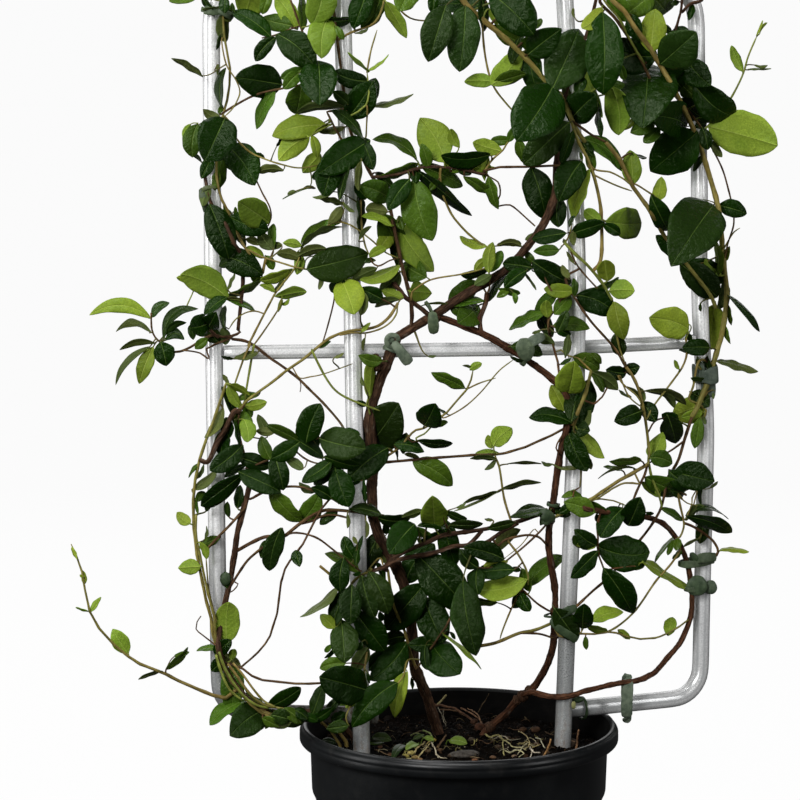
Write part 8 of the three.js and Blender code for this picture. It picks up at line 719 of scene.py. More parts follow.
1105 M d 0 1 66.6,14,600.6 98.5,21.2,598.9 -0.05,-0.01,-1 -0.22,0.98,-0 12.8 0 55.5,-31,609.1 0.93
918 L d 0 1 -119.8,14.9,772.2 -109.4,32.7,748.7 -0.86,-0.14,-0.49 -0.38,0.81,0.44 19.4 0 -125.3,-32,775.5 0.98
1124 M d 0 1 203.2,50.5,597.9 242.1,81.8,576.8 -0.68,0.47,-0.57 -0.15,0.67,0.73 17.4 0 192.7,1.6,608.7 1.68
925 M m 0 1 -118.3,9.7,724.2 -145.4,24,718.3 -0.11,0.19,0.97 0.48,0.87,-0.12 11.4 0 -112.5,-35.1,729.9 0.97
930 M d 0 1 -76.6,14.4,701.6 -111.1,25.5,694.3 -0.17,0.13,0.98 0.32,0.95,-0.07 16.3 0 -84.1,-34.7,713 0.69
912 M m 0 1 -105.6,12,806.3 -114,30.1,786.6 -0.85,0.16,0.51 0.44,0.75,0.5 14.6 0 -109.2,-31,813.2 1.2
1099 M m 0 1 135.3,22.2,640.8 162.1,48.9,641.2 -0.33,0.34,-0.88 -0.62,0.62,0.48 16 0 112.3,-33,646.8 1.43
1033 L m 0 1 -97.7,6.9,593.2 -87.4,25,572.1 -0.85,-0.12,-0.52 -0.41,0.78,0.47 14.9 0 -109.1,-30.8,601.5 0.76
935 L d 0 1 -194.3,26.1,698.9 -165.7,33.3,684.6 -0.49,0.41,-0.77 0.01,0.88,0.47 18.2 0 -201,-17.3,708.9 1.12
1173 M d 0 1 -67.4,6.9,453.2 -81.7,23.8,430.1 -0.79,0.14,0.59 0.41,0.84,0.36 13.2 0 -60.7,-31.4,457.1 1.06
1172 M d 0 1 -78.7,6.9,464.3 -50.9,18,479 0.4,0.19,-0.9 -0.38,0.92,0.03 20.7 0 -77.1,-21,457.4 4.74
1061 M d 0 1 -42.5,9.9,674.9 -55.2,21.7,658 -0.84,-0.13,0.53 0.17,0.86,0.47 10.3 0 -49,-34.2,687.4 1.35
1243 M m 0 1 -19.6,7.8,388.5 -20,18.3,406.5 0.99,0.14,-0.06 -0.16,0.85,-0.5 12.9 0 -22.7,-37.8,387.1 1.97
1133 M m 0 1 208,55.8,552.2 180.6,57.6,550.3 -0.09,-0.38,0.92 0.03,0.92,0.38 17 0 194.3,1.8,544.4 1.02
1272 R d 0 1 148.9,24.7,386.5 170.2,52.6,393 -0.27,0.41,-0.87 -0.76,0.47,0.46 13 0 143.1,-16.3,397.4 2.31
1035 L m 0 1 -198.6,18.1,584.5 -223.4,30.2,597.5 0.52,0.17,0.84 0.26,0.9,-0.34 14.3 0 -183.6,-15.1,582.3 1.65
943 M d 0 1 -7.5,6.8,811.1 -25.9,24.6,790 -0.71,0.09,0.7 0.43,0.84,0.33 14.5 0 -6,-36.8,828.6 1.79
1015 L d 0 1 -193.1,19.7,608.9 -166.1,40.1,606.8 -0.18,0.13,-0.97 -0.58,0.79,0.21 12.7 0 -190.9,-30.6,630.6 1.57
1253 M d 0 1 -31.8,10.3,333.6 -54.5,27.6,300.1 -0.86,-0.21,0.47 0.02,0.89,0.45 19.5 0 -45,-7.7,328.9 4.74
1239 M d 0 1 -36,15.6,381.2 -53.8,26.1,370.6 -0.53,-0.05,0.85 0.36,0.89,0.28 13.6 0 -38.2,-35.9,380.1 1.98
905 L m 0 1 -170.3,21,839.8 -167.8,28,815.4 -0.96,-0.24,-0.17 -0.28,0.93,0.24 15.8 0 -147.5,-27,837.1 0.88
927 M m 0 1 -129.5,10,713.9 -142.4,30.2,695.8 -0.71,0.16,0.68 0.56,0.72,0.41 12.2 0 -110.5,-34.9,726 0.95
1313 M d 0 1 -100.4,9.9,303.6 -93.6,21,277 -0.97,0.04,-0.23 -0.05,0.93,0.37 14.6 0 -101.2,-32.1,341.3 1.23
1355 M d 0 1 153.1,28.4,844.4 155.1,43.2,862.6 0.97,0.13,-0.21 -0.24,0.77,-0.6 12.9 0 187,0.9,828.8 1.3
980 M m 0 1 138.3,25.5,748.8 138.1,41.2,721.9 -0.97,0.21,0.13 0.24,0.84,0.49 12.8 0 82.7,-40.6,734.9 1.44
2000 M m 1 0 92.7,-47.1,696.3 90.9,-45.7,702.6 -0.62,0.72,-0.33 -0.74,-0.67,-0.06 3.4 0.6 93.3,-44.2,696 0.7
2001 L g 1 0 -189.3,-9.1,483.4 -198.3,-12.7,511.9 -0.58,-0.76,-0.28 0.76,-0.63,0.16 13.9 -0.1 -190.5,-24.6,485.4 0.7
2002 M m 1 0 -11.8,-20.2,577.1 1.5,-22.6,565.6 0.65,-0.04,0.76 -0.13,-0.99,0.05 10.1 1.1 -12.1,-23.3,577.5 0.7
2003 L u 0 0 -156.4,-17.5,589.4 -148.5,-16.9,599.3 -0.45,0.84,0.31 0.64,0.55,-0.54 6.4 -0.3 -156.9,-26.2,590 0.7
2004 M g 1 0 203.9,21.3,495.4 217.5,11.2,484.6 0.6,-0.06,0.8 -0.44,-0.86,0.26 14.4 1.5 201.1,8.8,496.6 1.05
2005 M g 1 0 -81.8,-27.6,495.8 -91.7,-29.9,499.3 -0.32,-0.07,-0.95 0.23,-0.97,-0 5.2 -0.1 -81.3,-28.3,496.1 0.8
2006 M d 1 0 -73.8,-24,364 -65.6,-22.1,347.1 0.54,0.76,0.35 0.72,-0.64,0.27 8.4 0.2 -75.6,-31.7,365.4 0.72
2007 M d 1 0 9.5,-35.2,359.3 7.6,-48.6,339.7 0.98,-0.17,0.02 -0.16,-0.81,0.57 15.6 -1.8 9.3,-40.2,360.1 0.7
2008 M g 1 0 -13.8,-26.8,486.5 -24,-28.4,492.3 -0.1,-0.9,-0.43 0.5,-0.42,0.76 4.8 -0.3 -14.4,-34.5,487.2 0.67
2009 L u 0 0 -194.5,-18,514.4 -199.3,-15.8,522.1 -0.54,0.66,-0.52 0.67,0.71,0.21 4.7 -0.9 -194.1,-21.4,515 0.7
2010 L d 1 0 -90,-48,361 -97,-49.4,358.9 0.32,-0.22,-0.92 0.11,-0.96,0.26 3.5 0.9 -89.7,-40,360.1 0.85
2011 M m 1 0 87.2,-47.9,584.9 86.7,-48.9,600 -0.88,-0.47,-0.06 0.47,-0.88,-0.04 7.5 0.1 90.9,-35.4,583.9 0.7
2012 R g 1 0 74,-26.5,405.1 89.9,-27.4,400.3 0.29,0.1,0.95 -0.03,-0.99,0.11 8.5 -0 71.7,-32.7,406.4 0.7
2013 L g 1 0 -201.9,-13.3,547.6 -212.5,-14.8,566.6 -0.87,0.02,-0.49 0.01,-1,-0.07 12.8 -1.7 -203.3,-18.1,548 0.89
2014 L u 0 0 -124.6,-30.6,425.1 -139.1,-28,432.2 -0.41,-0.7,-0.59 -0.21,0.7,-0.69 8.3 -1 -124.5,-38.9,426.4 1.06
2015 M g 1 0 196.8,8.1,548.1 200,6.8,539.8 0.91,-0.2,0.37 -0.24,-0.97,0.06 5.3 0.4 195.8,1.2,547.8 0.7
2016 R u 0 0 197.7,8.7,387.1 213,9,400.3 -0.53,-0.57,0.63 -0.38,0.82,0.43 10.4 -1.2 195.8,3.2,389.2 0.61
2017 M m 1 0 108.4,-31.3,589.8 132.1,-19.9,596.7 0.06,-0.61,0.79 0.49,-0.68,-0.55 9.8 -0.5 109.2,-32.4,590.4 0.76
2018 L d 1 0 -94.4,-48,366.1 -89.6,-46.6,391 -0.3,0.95,0 -0.93,-0.29,0.2 12.7 0.4 -93.7,-39.6,363.3 0.86
2019 M m 1 0 51.2,-20.4,620.7 59.1,-23.5,609.7 0.79,-0.12,0.6 -0.23,-0.97,0.11 7 -0.7 49.4,-25,621.9 3.55
2020 M u 0 0 212.8,12.7,475.9 214.7,11.4,468.9 0.91,0.37,0.16 -0.32,0.91,-0.26 3.8 0.8 212.5,13.7,474.6 0.7
2021 M g 1 0 72.1,-21.9,403.3 41.2,-28,401.8 0.18,-0.76,-0.63 0.08,-0.62,0.78 14.2 -0.9 68.7,-32,405.2 0.7
2022 R g 1 0 19.8,-19.3,579.7 35.5,-22.6,602.1 -0.22,0.93,0.29 -0.79,-0.35,0.5 13.7 -1.5 17.9,-22.1,580 0.7
2023 R g 1 0 71.9,-48,325.5 95.1,-35.7,294.5 0.81,-0.05,0.59 0.14,-0.95,-0.27 19.8 -0 78.1,-20.7,318.5 1.02
2024 M g 1 0 210.4,8.8,698.6 200.5,8,684.3 0.6,0.66,-0.45 0.56,-0.75,-0.35 8.7 -2 206.7,0.8,698.5 1.68
2025 M m 1 0 111.8,-34.6,750.3 131,-32.2,757.8 -0.37,0.09,0.92 0.07,-0.99,0.13 10.1 -1.7 111.8,-40.9,750.9 0.7
2026 M d 1 0 -45.6,-5.3,296.1 -67,-15.4,294.1 0.2,-0.23,-0.95 0.38,-0.87,0.29 13.7 -1.9 -46.4,-11.5,295.9 1.35
2027 M g 1 0 215.7,13.4,506.3 200.2,5.9,509.1 -0.41,0.61,-0.68 0.19,-0.67,-0.72 6.2 0.5 217.2,13.5,507 1.81
2029 L u 0 0 -221.2,-13.5,435.6 -214.7,-15.9,448.2 -0.32,0.89,0.33 0.84,0.43,-0.34 6.5 0.1 -223,-19,435.8 1.33
2030 M d 1 0 85.1,-48,720 76.8,-42.5,692.5 0.75,0.65,-0.1 0.59,-0.74,-0.33 14.2 -1.7 86.8,-41.5,721.3 1.26
2031 M d 1 0 -39.9,-28.8,690.7 -43.5,-37.9,678.2 0.97,-0.16,-0.17 -0.03,-0.8,0.6 9.5 -0.8 -39.5,-34.6,691.8 0.7
2032 M g 1 0 134.1,-19.1,532.2 128.1,-19.5,551.2 -0.94,0.19,-0.29 -0.18,-0.98,-0.08 12.9 -0.5 133,-22,534.1 0.78
2033 M m 1 0 196.6,9.4,604.4 177.1,-0.5,619.7 -0.35,-0.52,-0.78 0.59,-0.77,0.25 11 1.2 196.4,2.8,604.2 1.7
2035 L m 1 0 -220.9,-15.2,406.6 -222.7,-17.5,421.3 -0.45,0.89,0.08 -0.89,-0.43,-0.17 6.3 -1 -222.8,-21,406.9 1.1
2036 L d 1 0 -104,-48,479.3 -90.4,-49.8,474.9 0.25,0.88,0.41 0.22,-0.47,0.86 7.4 1.1 -102.3,-30.4,478.5 1.05
2037 M m 1 0 -37.9,-30.1,693 0.7,-20.2,676.6 0.17,0.61,0.77 0.41,-0.75,0.51 19 -2.3 -39.5,-34.6,691.8 0.7
2038 L m 1 0 -163.3,-25.3,234.7 -167.5,-26.4,226.7 0.88,-0.19,-0.43 -0.12,-0.97,0.2 5 0.3 -163.3,-31.6,238 1.24
2039 M g 1 0 -87,-27.7,636.1 -89,-33.6,670.5 -0.58,-0.8,-0.17 0.81,-0.58,-0.05 15.7 -0.1 -87,-33,638 0.7
2040 M m 1 0 -109.5,-48,803.9 -103.7,-51.2,793.3 0.86,-0.12,0.5 -0.23,-0.96,0.16 6 0 -107.4,-31,802.5 1.26
2041 L l 0 0 -150.9,-20.2,578.5 -144.9,-23.4,583.7 -0.28,0.65,0.71 0.66,0.67,-0.35 4 0.6 -153.1,-24.8,578.2 0.7
2042 M u 0 0 154.9,-9.3,494.5 139.1,-18.2,507.1 -0.57,0.81,-0.13 0.41,0.42,0.81 7.2 -0.3 151.9,-14.8,494.4 1.39
2043 M d 1 0 197.6,8.6,824.7 193.7,5.7,810.5 0.71,-0.7,-0.05 -0.65,-0.69,0.32 7.2 1.7 194.7,4.3,823.8 1.34
2044 M u 0 0 -104.1,-48,663 -95.2,-49.3,655 0.41,0.85,0.32 -0.53,0.51,-0.68 6.1 -0.8 -101.1,-36.3,661.3 0.7
2045 M g 1 0 5.7,-30.3,688.3 -7.2,-36,686.5 0.17,-0.07,-0.98 0.38,-0.92,0.13 8 -0.1 3.7,-34.9,687.1 1.27
2046 M d 1 0 -97.4,-48,350.2 -99.7,-55.8,318.8 0.99,-0.14,-0.04 -0.12,-0.96,0.25 18.6 -0.3 -97,-31.6,346.1 1.23
2047 L g 1 0 -197.5,-18,558.4 -197.3,-16.5,578.5 -0.4,0.92,-0.06 -0.92,-0.39,0.04 10.2 -1.6 -196.5,-14.5,559.8 0.7
2048 L m 1 0 -161,-23.2,237.8 -183.3,-11.8,256.8 -0.16,0.75,-0.64 -0.69,-0.55,-0.48 15.1 -0.3 -163.6,-27.7,239.4 1.47
2049 R g 1 0 211.6,12.3,398.6 210.9,9.8,416.4 -0.21,0.97,0.13 -0.98,-0.2,-0.06 7.5 -0.5 208.1,7.3,399.5 0.7
2050 R m 1 0 107.1,-43,404.1 81.1,-39.5,413.4 -0.35,-0.08,-0.93 -0.09,-0.99,0.12 17.3 1.2 109.2,-37.5,405 2.29
2051 M u 0 0 59.8,-17.3,635.2 51.4,-18.7,629.2 0.5,-0.67,-0.55 0.32,0.73,-0.61 5 -0.2 60,-25.6,635 3.5
2052 M g 1 0 186.1,5.6,825.8 177.2,0,823.4 0.28,-0.05,-0.96 0.48,-0.85,0.19 5.2 -0 186.4,0.2,824.5 1.32
2053 M g 1 0 178.2,-2.8,801.1 163.6,-12.3,806.2 -0.11,-0.34,-0.94 0.58,-0.78,0.21 7.6 -0.6 179.5,-5.6,801.1 1.27
2054 M m 1 0 -102.3,-26.6,647.6 -117.9,-25.2,639.4 0.3,-0.67,-0.68 -0.37,-0.74,0.56 8.9 -1.7 -104.6,-32.7,646.7 0.72
2055 M l 0 0 22.3,-27.2,457.6 19.2,-26.3,469.2 -0.95,0.14,-0.27 0.15,0.99,-0.04 7.2 -0.3 22.5,-31.3,460.1 0.7
2056 M g 1 0 -120.8,-30,543.7 -112.6,-31.5,549.9 -0.26,0.8,0.54 -0.55,-0.58,0.6 5.2 -0.7 -121.1,-29.1,545.8 1.28
2057 L g 1 0 -164.2,-19.6,698.3 -171.3,-18.8,702.6 -0.48,-0.55,-0.68 0.22,-0.83,0.52 4.2 0.1 -166.7,-22.9,698.6 0.76
2058 L m 1 0 -163.8,-18.4,619.2 -158.2,-22,607.9 0.89,-0.06,0.46 -0.18,-0.96,0.22 8 0.7 -165.1,-24.9,617.5 0.7
2059 M g 1 0 -86.6,-48,714.6 -111.8,-52.7,739.1 -0.34,-0.79,-0.51 0.61,-0.6,0.52 16.4 0.9 -84.1,-34.7,713 0.7
2060 M g 1 0 -107.3,-48,664.8 -99.5,-51.1,692.7 -0.3,0.93,0.19 -0.91,-0.34,0.22 14.3 -1.2 -105.7,-36.1,666.4 0.7
2061 L d 1 0 -180.5,-11,446.7 -199,-16.6,437.1 0.45,-0.8,-0.4 -0.25,-0.54,0.81 10.1 0.1 -179.4,-17.2,446 1.12
2062 M u 0 0 -91.4,-27.6,798 -79.9,-24.5,801.7 -0.35,0.86,0.37 0.16,0.44,-0.88 4.8 0.2 -92,-32.4,800.2 0.7
2063 M g 1 0 -55.5,-22.2,450.2 -58.3,-25.2,461.3 -0.52,-0.78,-0.35 0.82,-0.57,0.05 4.4 -0.8 -55.7,-25.1,448.5 1.25
2064 M l 0 0 6.6,-30.2,604.3 18.1,-31.5,616.2 -0.7,0.18,0.69 0.18,0.98,-0.07 7.7 -1.5 7.8,-33.7,606 0.77
2065 R u 0 0 79.2,-48,535.5 82,-44.8,553.4 -0.83,-0.51,0.22 -0.53,0.85,-0.06 9.2 1 83.6,-32.5,535.6 0.75
2066 M g 1 0 83.8,-26,475.7 102.6,-39.1,472.7 0.21,0.08,0.97 -0.54,-0.82,0.19 16.7 -0.3 84.5,-26.2,473.5 1.1
2067 M u 0 0 -37.6,-23.9,450.3 -50.6,-25.9,455.4 -0.35,0.74,-0.57 0.19,0.65,0.74 6.2 -0.5 -39.7,-24.6,449.6 1.25
2068 M g 1 0 -99.6,-48,742.1 -112.1,-55.1,751.9 -0.64,0.08,-0.76 0.26,-0.91,-0.31 10.1 0.4 -100.2,-35.5,740.5 0.7
2069 L m 1 0 -193,-18,280.4 -195.4,-23.3,240.8 0.99,-0.1,-0.05 -0.09,-0.99,0.14 20.4 1 -191.8,-21,279.8 1.09
2070 M g 1 0 -54.4,-20.2,606.9 -61.1,-15.4,633.4 -0.77,-0.64,-0.07 0.6,-0.75,0.29 13.9 1.2 -54.6,-27.9,605.2 0.7
2071 R d 1 0 112.9,-23.7,400.4 112.7,-22.5,393.2 0.97,-0.23,-0.06 -0.24,-0.96,-0.15 3.8 0.2 109.2,-37.5,405 2.29
2072 L m 1 0 -202,-13.6,688.3 -204.8,-15.4,671.9 0.81,-0.58,-0.07 -0.56,-0.81,0.19 8.3 0.2 -203.4,-17.9,690.6 1.12
2073 R m 1 0 54.7,-29.2,336.1 48.8,-26.2,355.9 -0.78,0.55,-0.31 -0.56,-0.83,-0.04 10.6 -0.8 52.8,-30.2,334.5 0.89
2074 L m 1 0 -201,-18,733.7 -197.5,-15.8,741.1 -0.91,0.08,0.41 0.03,-0.96,0.27 4.3 -0.4 -198.5,-17,733.8 1
2075 M l 0 0 -138.1,-25.3,623.2 -139.3,-27.2,603.7 0.99,-0.11,-0.05 0.11,0.99,-0.11 9.1 1.4 -136.3,-30.8,624.1 0.7
2076 R g 1 0 74,-22.7,549.3 62.7,-18.5,575.6 -0.67,0.63,-0.39 -0.63,-0.76,-0.15 14.6 -1.6 71,-27.5,551.8 1.07
2077 M d 1 0 199.1,-0.5,721.8 212,8.7,725.2 -0.32,0.1,0.94 0.51,-0.82,0.26 8.1 -0.6 196.8,-5,719.6 1.65
2078 M u 0 0 233.3,25.2,590.5 229.9,28.1,566 0.54,-0.82,-0.17 0.83,0.56,-0.05 12.2 2.3 232.5,16.2,589.2 1.75
2079 M d 1 0 161.5,-20.4,780.4 118.9,-31.9,788.2 -0.19,0.05,-0.98 0.24,-0.96,-0.1 29.9 -2.9 158.4,-29.1,778 1.62
2080 M m 1 0 112.9,-36.6,832.2 132,-29.5,808.2 0.8,-0.2,0.57 -0.02,-0.95,-0.3 14.8 3.1 112.5,-42.7,834.4 1.1
2081 M m 1 0 -135.8,-25.3,629.6 -109.9,-20.4,648.2 -0.38,0.88,0.3 -0.46,-0.46,0.76 15.1 -0.2 -135.9,-31.7,627.4 0.7
2082 R g 1 0 75,-48,529 84.4,-49.4,534.8 -0.14,0.88,0.45 -0.51,-0.45,0.73 5.7 0.8 76.4,-34.1,529.1 1.04
2083 M u 0 0 85.8,-48,638 86.6,-45.1,626.9 0.98,-0.21,0.01 0.2,0.95,0.26 6.1 -0.8 85.5,-39.7,635.8 0.7
2084 M d 1 0 13.6,-33.8,821.6 -25.8,-24.4,823 -0.19,-0.7,-0.68 -0.13,-0.67,0.73 20.4 -1 13.5,-41,823.8 0.7
2085 M u 0 0 144,-9.8,496.1 132.8,-11.7,502.3 -0.11,-0.87,-0.48 -0.48,0.47,-0.74 5.4 -0 139.7,-18.6,499.2 0.73
2086 L u 0 0 -119.6,-24.3,608.5 -120.9,-28.4,591.4 0.38,-0.9,0.19 0.92,0.36,-0.16 8.4 0.6 -121.7,-31.3,607.1 0.78
2087 R m 1 0 145.5,-18,350.6 157.8,-14,353.7 -0.16,-0.25,0.96 0.35,-0.92,-0.18 7.1 -1.3 145.4,-19.7,353.9 0.72
2088 R g 1 0 37.5,-30,542.9 63.6,-34.6,536.7 0.28,0.44,0.85 -0.04,-0.88,0.47 14 1.9 36,-23.4,541.3 3.02
2089 L u 0 0 -101,-48,409.6 -100.5,-45.7,397 0.47,-0.87,-0.14 0.88,0.45,0.12 5.5 0.5 -96.8,-34.8,408.8 1.47
2091 M m 1 0 -51.5,-13.3,623.9 -69,-32.7,652.6 -0.88,0.1,-0.47 0.16,-0.86,-0.49 22 -1.1 -56.5,-29.5,626.2 1.58
2092 L u 0 0 -225.7,-16.9,426.7 -204.7,-21,442 -0.15,0.89,0.44 0.58,0.43,-0.69 12.6 -0.5 -224.2,-19,424.7 1.34
2093 M m 1 0 28.7,-27,628.2 47.2,-24.7,626 0.17,-0.7,0.69 -0,-0.7,-0.71 8.6 1.6 26.1,-28.8,626.5 0.7
2094 L u 0 0 -170.5,-19.5,539.5 -189.6,-16.4,534.8 0.01,-0.83,-0.56 0.28,0.54,-0.79 9.9 -0.3 -169.5,-17,542.1 1.29
2095 L g 1 0 -199.2,-18,798.1 -201.7,-16.1,785 0.54,0.84,0.01 0.82,-0.52,-0.23 6.5 -0.5 -196.4,-17,797.1 0.99
2096 L g 1 0 -159.4,-23.7,385.4 -170.1,-25,370.1 0.81,-0.18,-0.56 -0.11,-0.98,0.16 10.8 -1 -161.7,-28.9,388.7 1.56
2097 M u 0 0 86.2,-48,611.7 79.8,-46.9,621.7 -0.54,-0.8,-0.26 -0.65,0.59,-0.48 6 1 91.5,-36.2,609.7 0.8
2098 M d 1 0 -84.7,-48,276.7 -82.9,-49.1,267.5 0.74,0.67,0.06 0.65,-0.73,0.21 4.8 -0.9 -85.5,-34.5,275.1 0.92
2099 M g 1 0 81.9,-48,642.6 85.8,-48.8,651.5 -0.44,0.86,0.27 -0.81,-0.51,0.3 4.9 -0.5 87,-36,643.6 0.68
2100 M u 0 0 82.7,-48,600.4 76.7,-45.5,610.8 -0.84,0.14,-0.52 0.22,0.97,-0.1 5.9 -1 83.1,-32,599 1.1
2101 M d 1 0 -46.4,-5.5,342.2 -21.1,0.6,374.1 -0.78,0.23,0.58 -0.1,-0.96,0.26 22.3 -4.5 -50.2,-12.1,345 4.74
2102 M l 0 0 16.4,-34.2,701.1 14.4,-29.5,679.3 0.77,0.64,0.07 -0.64,0.74,0.22 10.5 -0.1 18,-41.5,700.3 0.7
2103 L g 1 0 -199.5,-18,738.6 -198.3,-25.6,770.9 -0.37,0.9,0.22 -0.93,-0.37,-0.05 14.8 -1.7 -196.3,-17,737.8 1.06
2104 M u 0 0 170.7,-3.1,499.7 186.7,8.3,485.5 0.68,-0.7,0.2 0.32,0.53,0.78 8.6 2.1 172.6,-7.1,498.4 0.94
2105 M d 1 0 -18.6,-34.6,400.3 -7.4,-28.1,359.5 0.91,0.3,0.3 0.33,-0.94,-0.06 20 -2.3 -18.4,-51.5,404.3 0.7
2106 M u 0 0 -89.6,-48,696.9 -93.2,-53.1,672.9 0.56,0.79,-0.25 -0.82,0.58,0 11.7 0.1 -86.7,-30.3,699.7 1.42
2107 L d 1 0 -208.4,-18,288.7 -195.8,-28.7,302.7 -0.64,0.21,0.74 -0.5,-0.84,-0.19 12.5 -0.2 -205.3,-20,290.3 1.41
2108 M m 1 0 -169.9,-14.6,504.2 -190.9,-9.8,499.2 -0.06,-0.83,-0.55 -0.31,-0.51,0.8 10.7 2.1 -169.4,-19.7,508.2 1.22
2109 R g 1 0 49.1,-30,529.7 36.5,-31.8,534.3 -0.3,0.8,-0.52 -0.2,-0.59,-0.78 5.8 0.3 53.6,-25.5,529.7 3.12
2110 M g 1 0 -75.1,-30.7,615.5 -85.1,-31.7,613.7 0.2,-0.59,-0.78 -0.03,-0.8,0.6 5 -0.4 -78.5,-33,613.9 0.74
2111 M u 0 0 -86.3,-48,553.8 -88.5,-50.1,543.1 0.58,0.77,-0.27 -0.79,0.61,0.04 5.5 -0.7 -84.2,-31.9,555.8 0.8
2112 M u 0 0 210.6,12.3,515.7 207.3,14.9,527.1 -0.91,-0.37,-0.18 -0.31,0.9,-0.3 6.3 -0 207.7,11.1,518.7 1.12
2114 M m 1 0 -71.8,-48,534.2 -91.6,-50.6,539.6 -0.25,-0.07,-0.97 0.14,-0.99,0.03 10.7 -2.2 -64.3,-21,530.5 4.74
2115 M d 1 0 177.6,0.9,799.7 196.3,5.3,799.7 0,-0.02,1 0.23,-0.97,-0.02 10.9 0.6 179.5,-5.6,801.1 1.27
2116 M g 1 0 -74.8,-27.4,686.4 -60.8,-30.4,674.3 0.48,-0.54,0.69 -0.46,-0.83,-0.33 9.4 0.6 -78.5,-30,684.4 1.42
2117 M g 1 0 -49.6,-29.8,472.7 -51.9,-26.6,454.2 0.97,-0.17,-0.15 -0.19,-0.97,-0.15 10.4 -0.2 -49.1,-33.7,469.4 0.85
2118 L m 1 0 -188.8,-19.5,651.5 -188.5,-19,659 -0.89,-0.44,0.07 0.45,-0.89,0.04 3.8 0.4 -193,-21.3,651.7 0.7
2119 L u 0 0 -123.7,-27,674 -134.8,-24.9,673.4 0.18,0.82,-0.54 0.05,0.54,0.84 5.6 -1.2 -128.3,-31.2,675 0.7
2120 M u 0 0 24.9,-28.4,372.1 47.7,-21.6,388.4 -0.53,-0.21,0.82 -0.31,0.95,0.05 13.7 -1.7 25.7,-35,377 1.16
2121 R g 1 0 73.1,-48,555.8 80.2,-51.3,573.8 -0.89,0.23,0.39 -0.27,-0.96,-0.07 10 0.2 69.3,-31.2,557.6 0.7
2122 M g 1 0 47,-30.7,355.1 38.1,-28.8,355.8 -0.12,-0.16,-0.98 -0.19,-0.96,0.18 4.9 0.5 43.5,-38.1,360.4 0.7
2123 L u 0 0 -179.6,-11.2,632.3 -168.5,-15.1,627.2 0.42,0.02,0.91 0.27,0.95,-0.14 6.9 1.2 -184.9,-19.5,633.1 1.19
2124 M d 1 0 -111,-41.5,296 -119.7,-42.1,288.4 0.5,0.59,-0.63 0.42,-0.8,-0.42 5.8 1 -115.2,-49.1,301 0.7
2125 M d 1 0 -13,-30.1,304.8 -8,-28.4,297.8 0.61,0.55,0.57 0.55,-0.81,0.19 3.9 -0.1 -18.7,-37.7,305.1 0.7
2126 L d 1 0 -188.5,-11.7,409.8 -186.3,-13.1,429.7 -0.77,0.62,0.13 -0.62,-0.78,0.01 9.8 1.9 -184.8,-18.4,409.1 1.23
2127 M d 1 0 94,-45.9,763.4 87,-49.1,750 0.89,-0.2,-0.42 -0.09,-0.96,0.27 9.8 -0.7 97.3,-29.7,768 0.7
2128 L u 0 0 -215.1,-19.3,386.2 -213.9,-20.9,397.6 -0.41,0.9,0.17 0.91,0.42,-0.03 5 0.7 -219.8,-26.3,385.3 0.7
2129 L g 1 0 -214.6,-10.3,695.3 -223.9,-12.4,701.9 -0.27,-0.74,-0.61 0.54,-0.65,0.54 5.4 1.1 -212.4,-18,691.8 1.46
2130 L m 1 0 -173.1,-8.1,607.1 -168.1,-3.9,594.9 0.93,-0.06,0.36 0.05,-0.95,-0.31 8.2 -0.3 -169.8,-19.8,609.2 1.25
2131 L g 1 0 -195.8,-18,403.5 -197.3,-21.6,417.2 -0.82,0.57,0.05 -0.56,-0.78,-0.27 6.4 -0.4 -191.5,-19.3,401.5 1.23
2132 M g 1 0 214.9,9.7,527.8 224.5,19.1,501.9 0.56,-0.83,-0.09 -0.76,-0.46,-0.45 11.6 -1.8 215.6,13.1,522.3 1.18
2133 M u 0 0 -91.4,-48,633.2 -81,-45.6,644 -0.42,-0.72,0.56 -0.6,0.68,0.43 7.2 -1.1 -84.6,-33,630.7 0.84
2134 L g 1 0 -214,-18,827.6 -204.1,-14.9,810.9 0.51,-0.85,0.14 -0.7,-0.51,-0.51 9.4 0.9 -218.5,-15.3,826.2 0.7
2135 R g 1 0 212.4,16.7,364.7 214.7,12.9,386.5 -0.95,0.28,0.15 -0.3,-0.94,-0.14 11.7 0.5 211.4,12.7,370.8 0.7
2136 L d 1 0 -123.5,-26.7,687.8 -125.2,-27.9,680.5 0.69,-0.72,-0.04 -0.69,-0.67,0.28 3.8 -0.7 -122.2,-31,692.8 0.68
2137 M d 1 0 50.1,-33.3,789.2 56.1,-40.2,749.5 0.74,-0.64,0.22 -0.66,-0.75,0.03 20.1 -0.5 42.9,-45.4,791.1 0.7
2138 M g 1 0 201.5,8.7,533.1 188.5,2.8,534.3 0.27,-0.73,-0.63 0.32,-0.55,0.77 5.2 1.3 194.8,0.5,530.9 1
2139 M d 1 0 -33.8,-30.3,294.6 -32.9,-35.8,274.1 0.68,-0.7,0.22 -0.73,-0.67,0.15 10.9 -1.1 -30.6,-36.2,299.3 0.7
2140 M d 1 0 -63.8,-15.3,385.7 -66.9,-20.3,395.2 -0.96,0.09,-0.26 0.04,-0.89,-0.46 6.1 0.5 -69.7,-21.1,384.7 0.7
2141 R u 0 0 75.3,-20.4,442 66,-18.5,443.9 -0.28,-0.78,-0.55 -0.04,0.59,-0.81 5 -1 78.1,-28.7,439.8 2.93
2142 L m 1 0 -191.4,-15.1,807.6 -189.5,-14.1,823.1 -0.64,0.77,0.03 -0.76,-0.64,0.13 7.8 1 -196.8,-17,809.4 0.99
2143 M u 0 0 62.6,-33.1,556.3 54.3,-35,553.5 0.35,-0.79,-0.51 0.14,0.58,-0.8 4 -0.3 67.9,-35.2,556.9 0.78
2144 L u 0 0 -85.6,-48,403.7 -85.4,-46.2,388.5 0.38,-0.92,-0.1 0.92,0.38,0.06 6.8 0.9 -84.9,-34.7,407.2 1.47
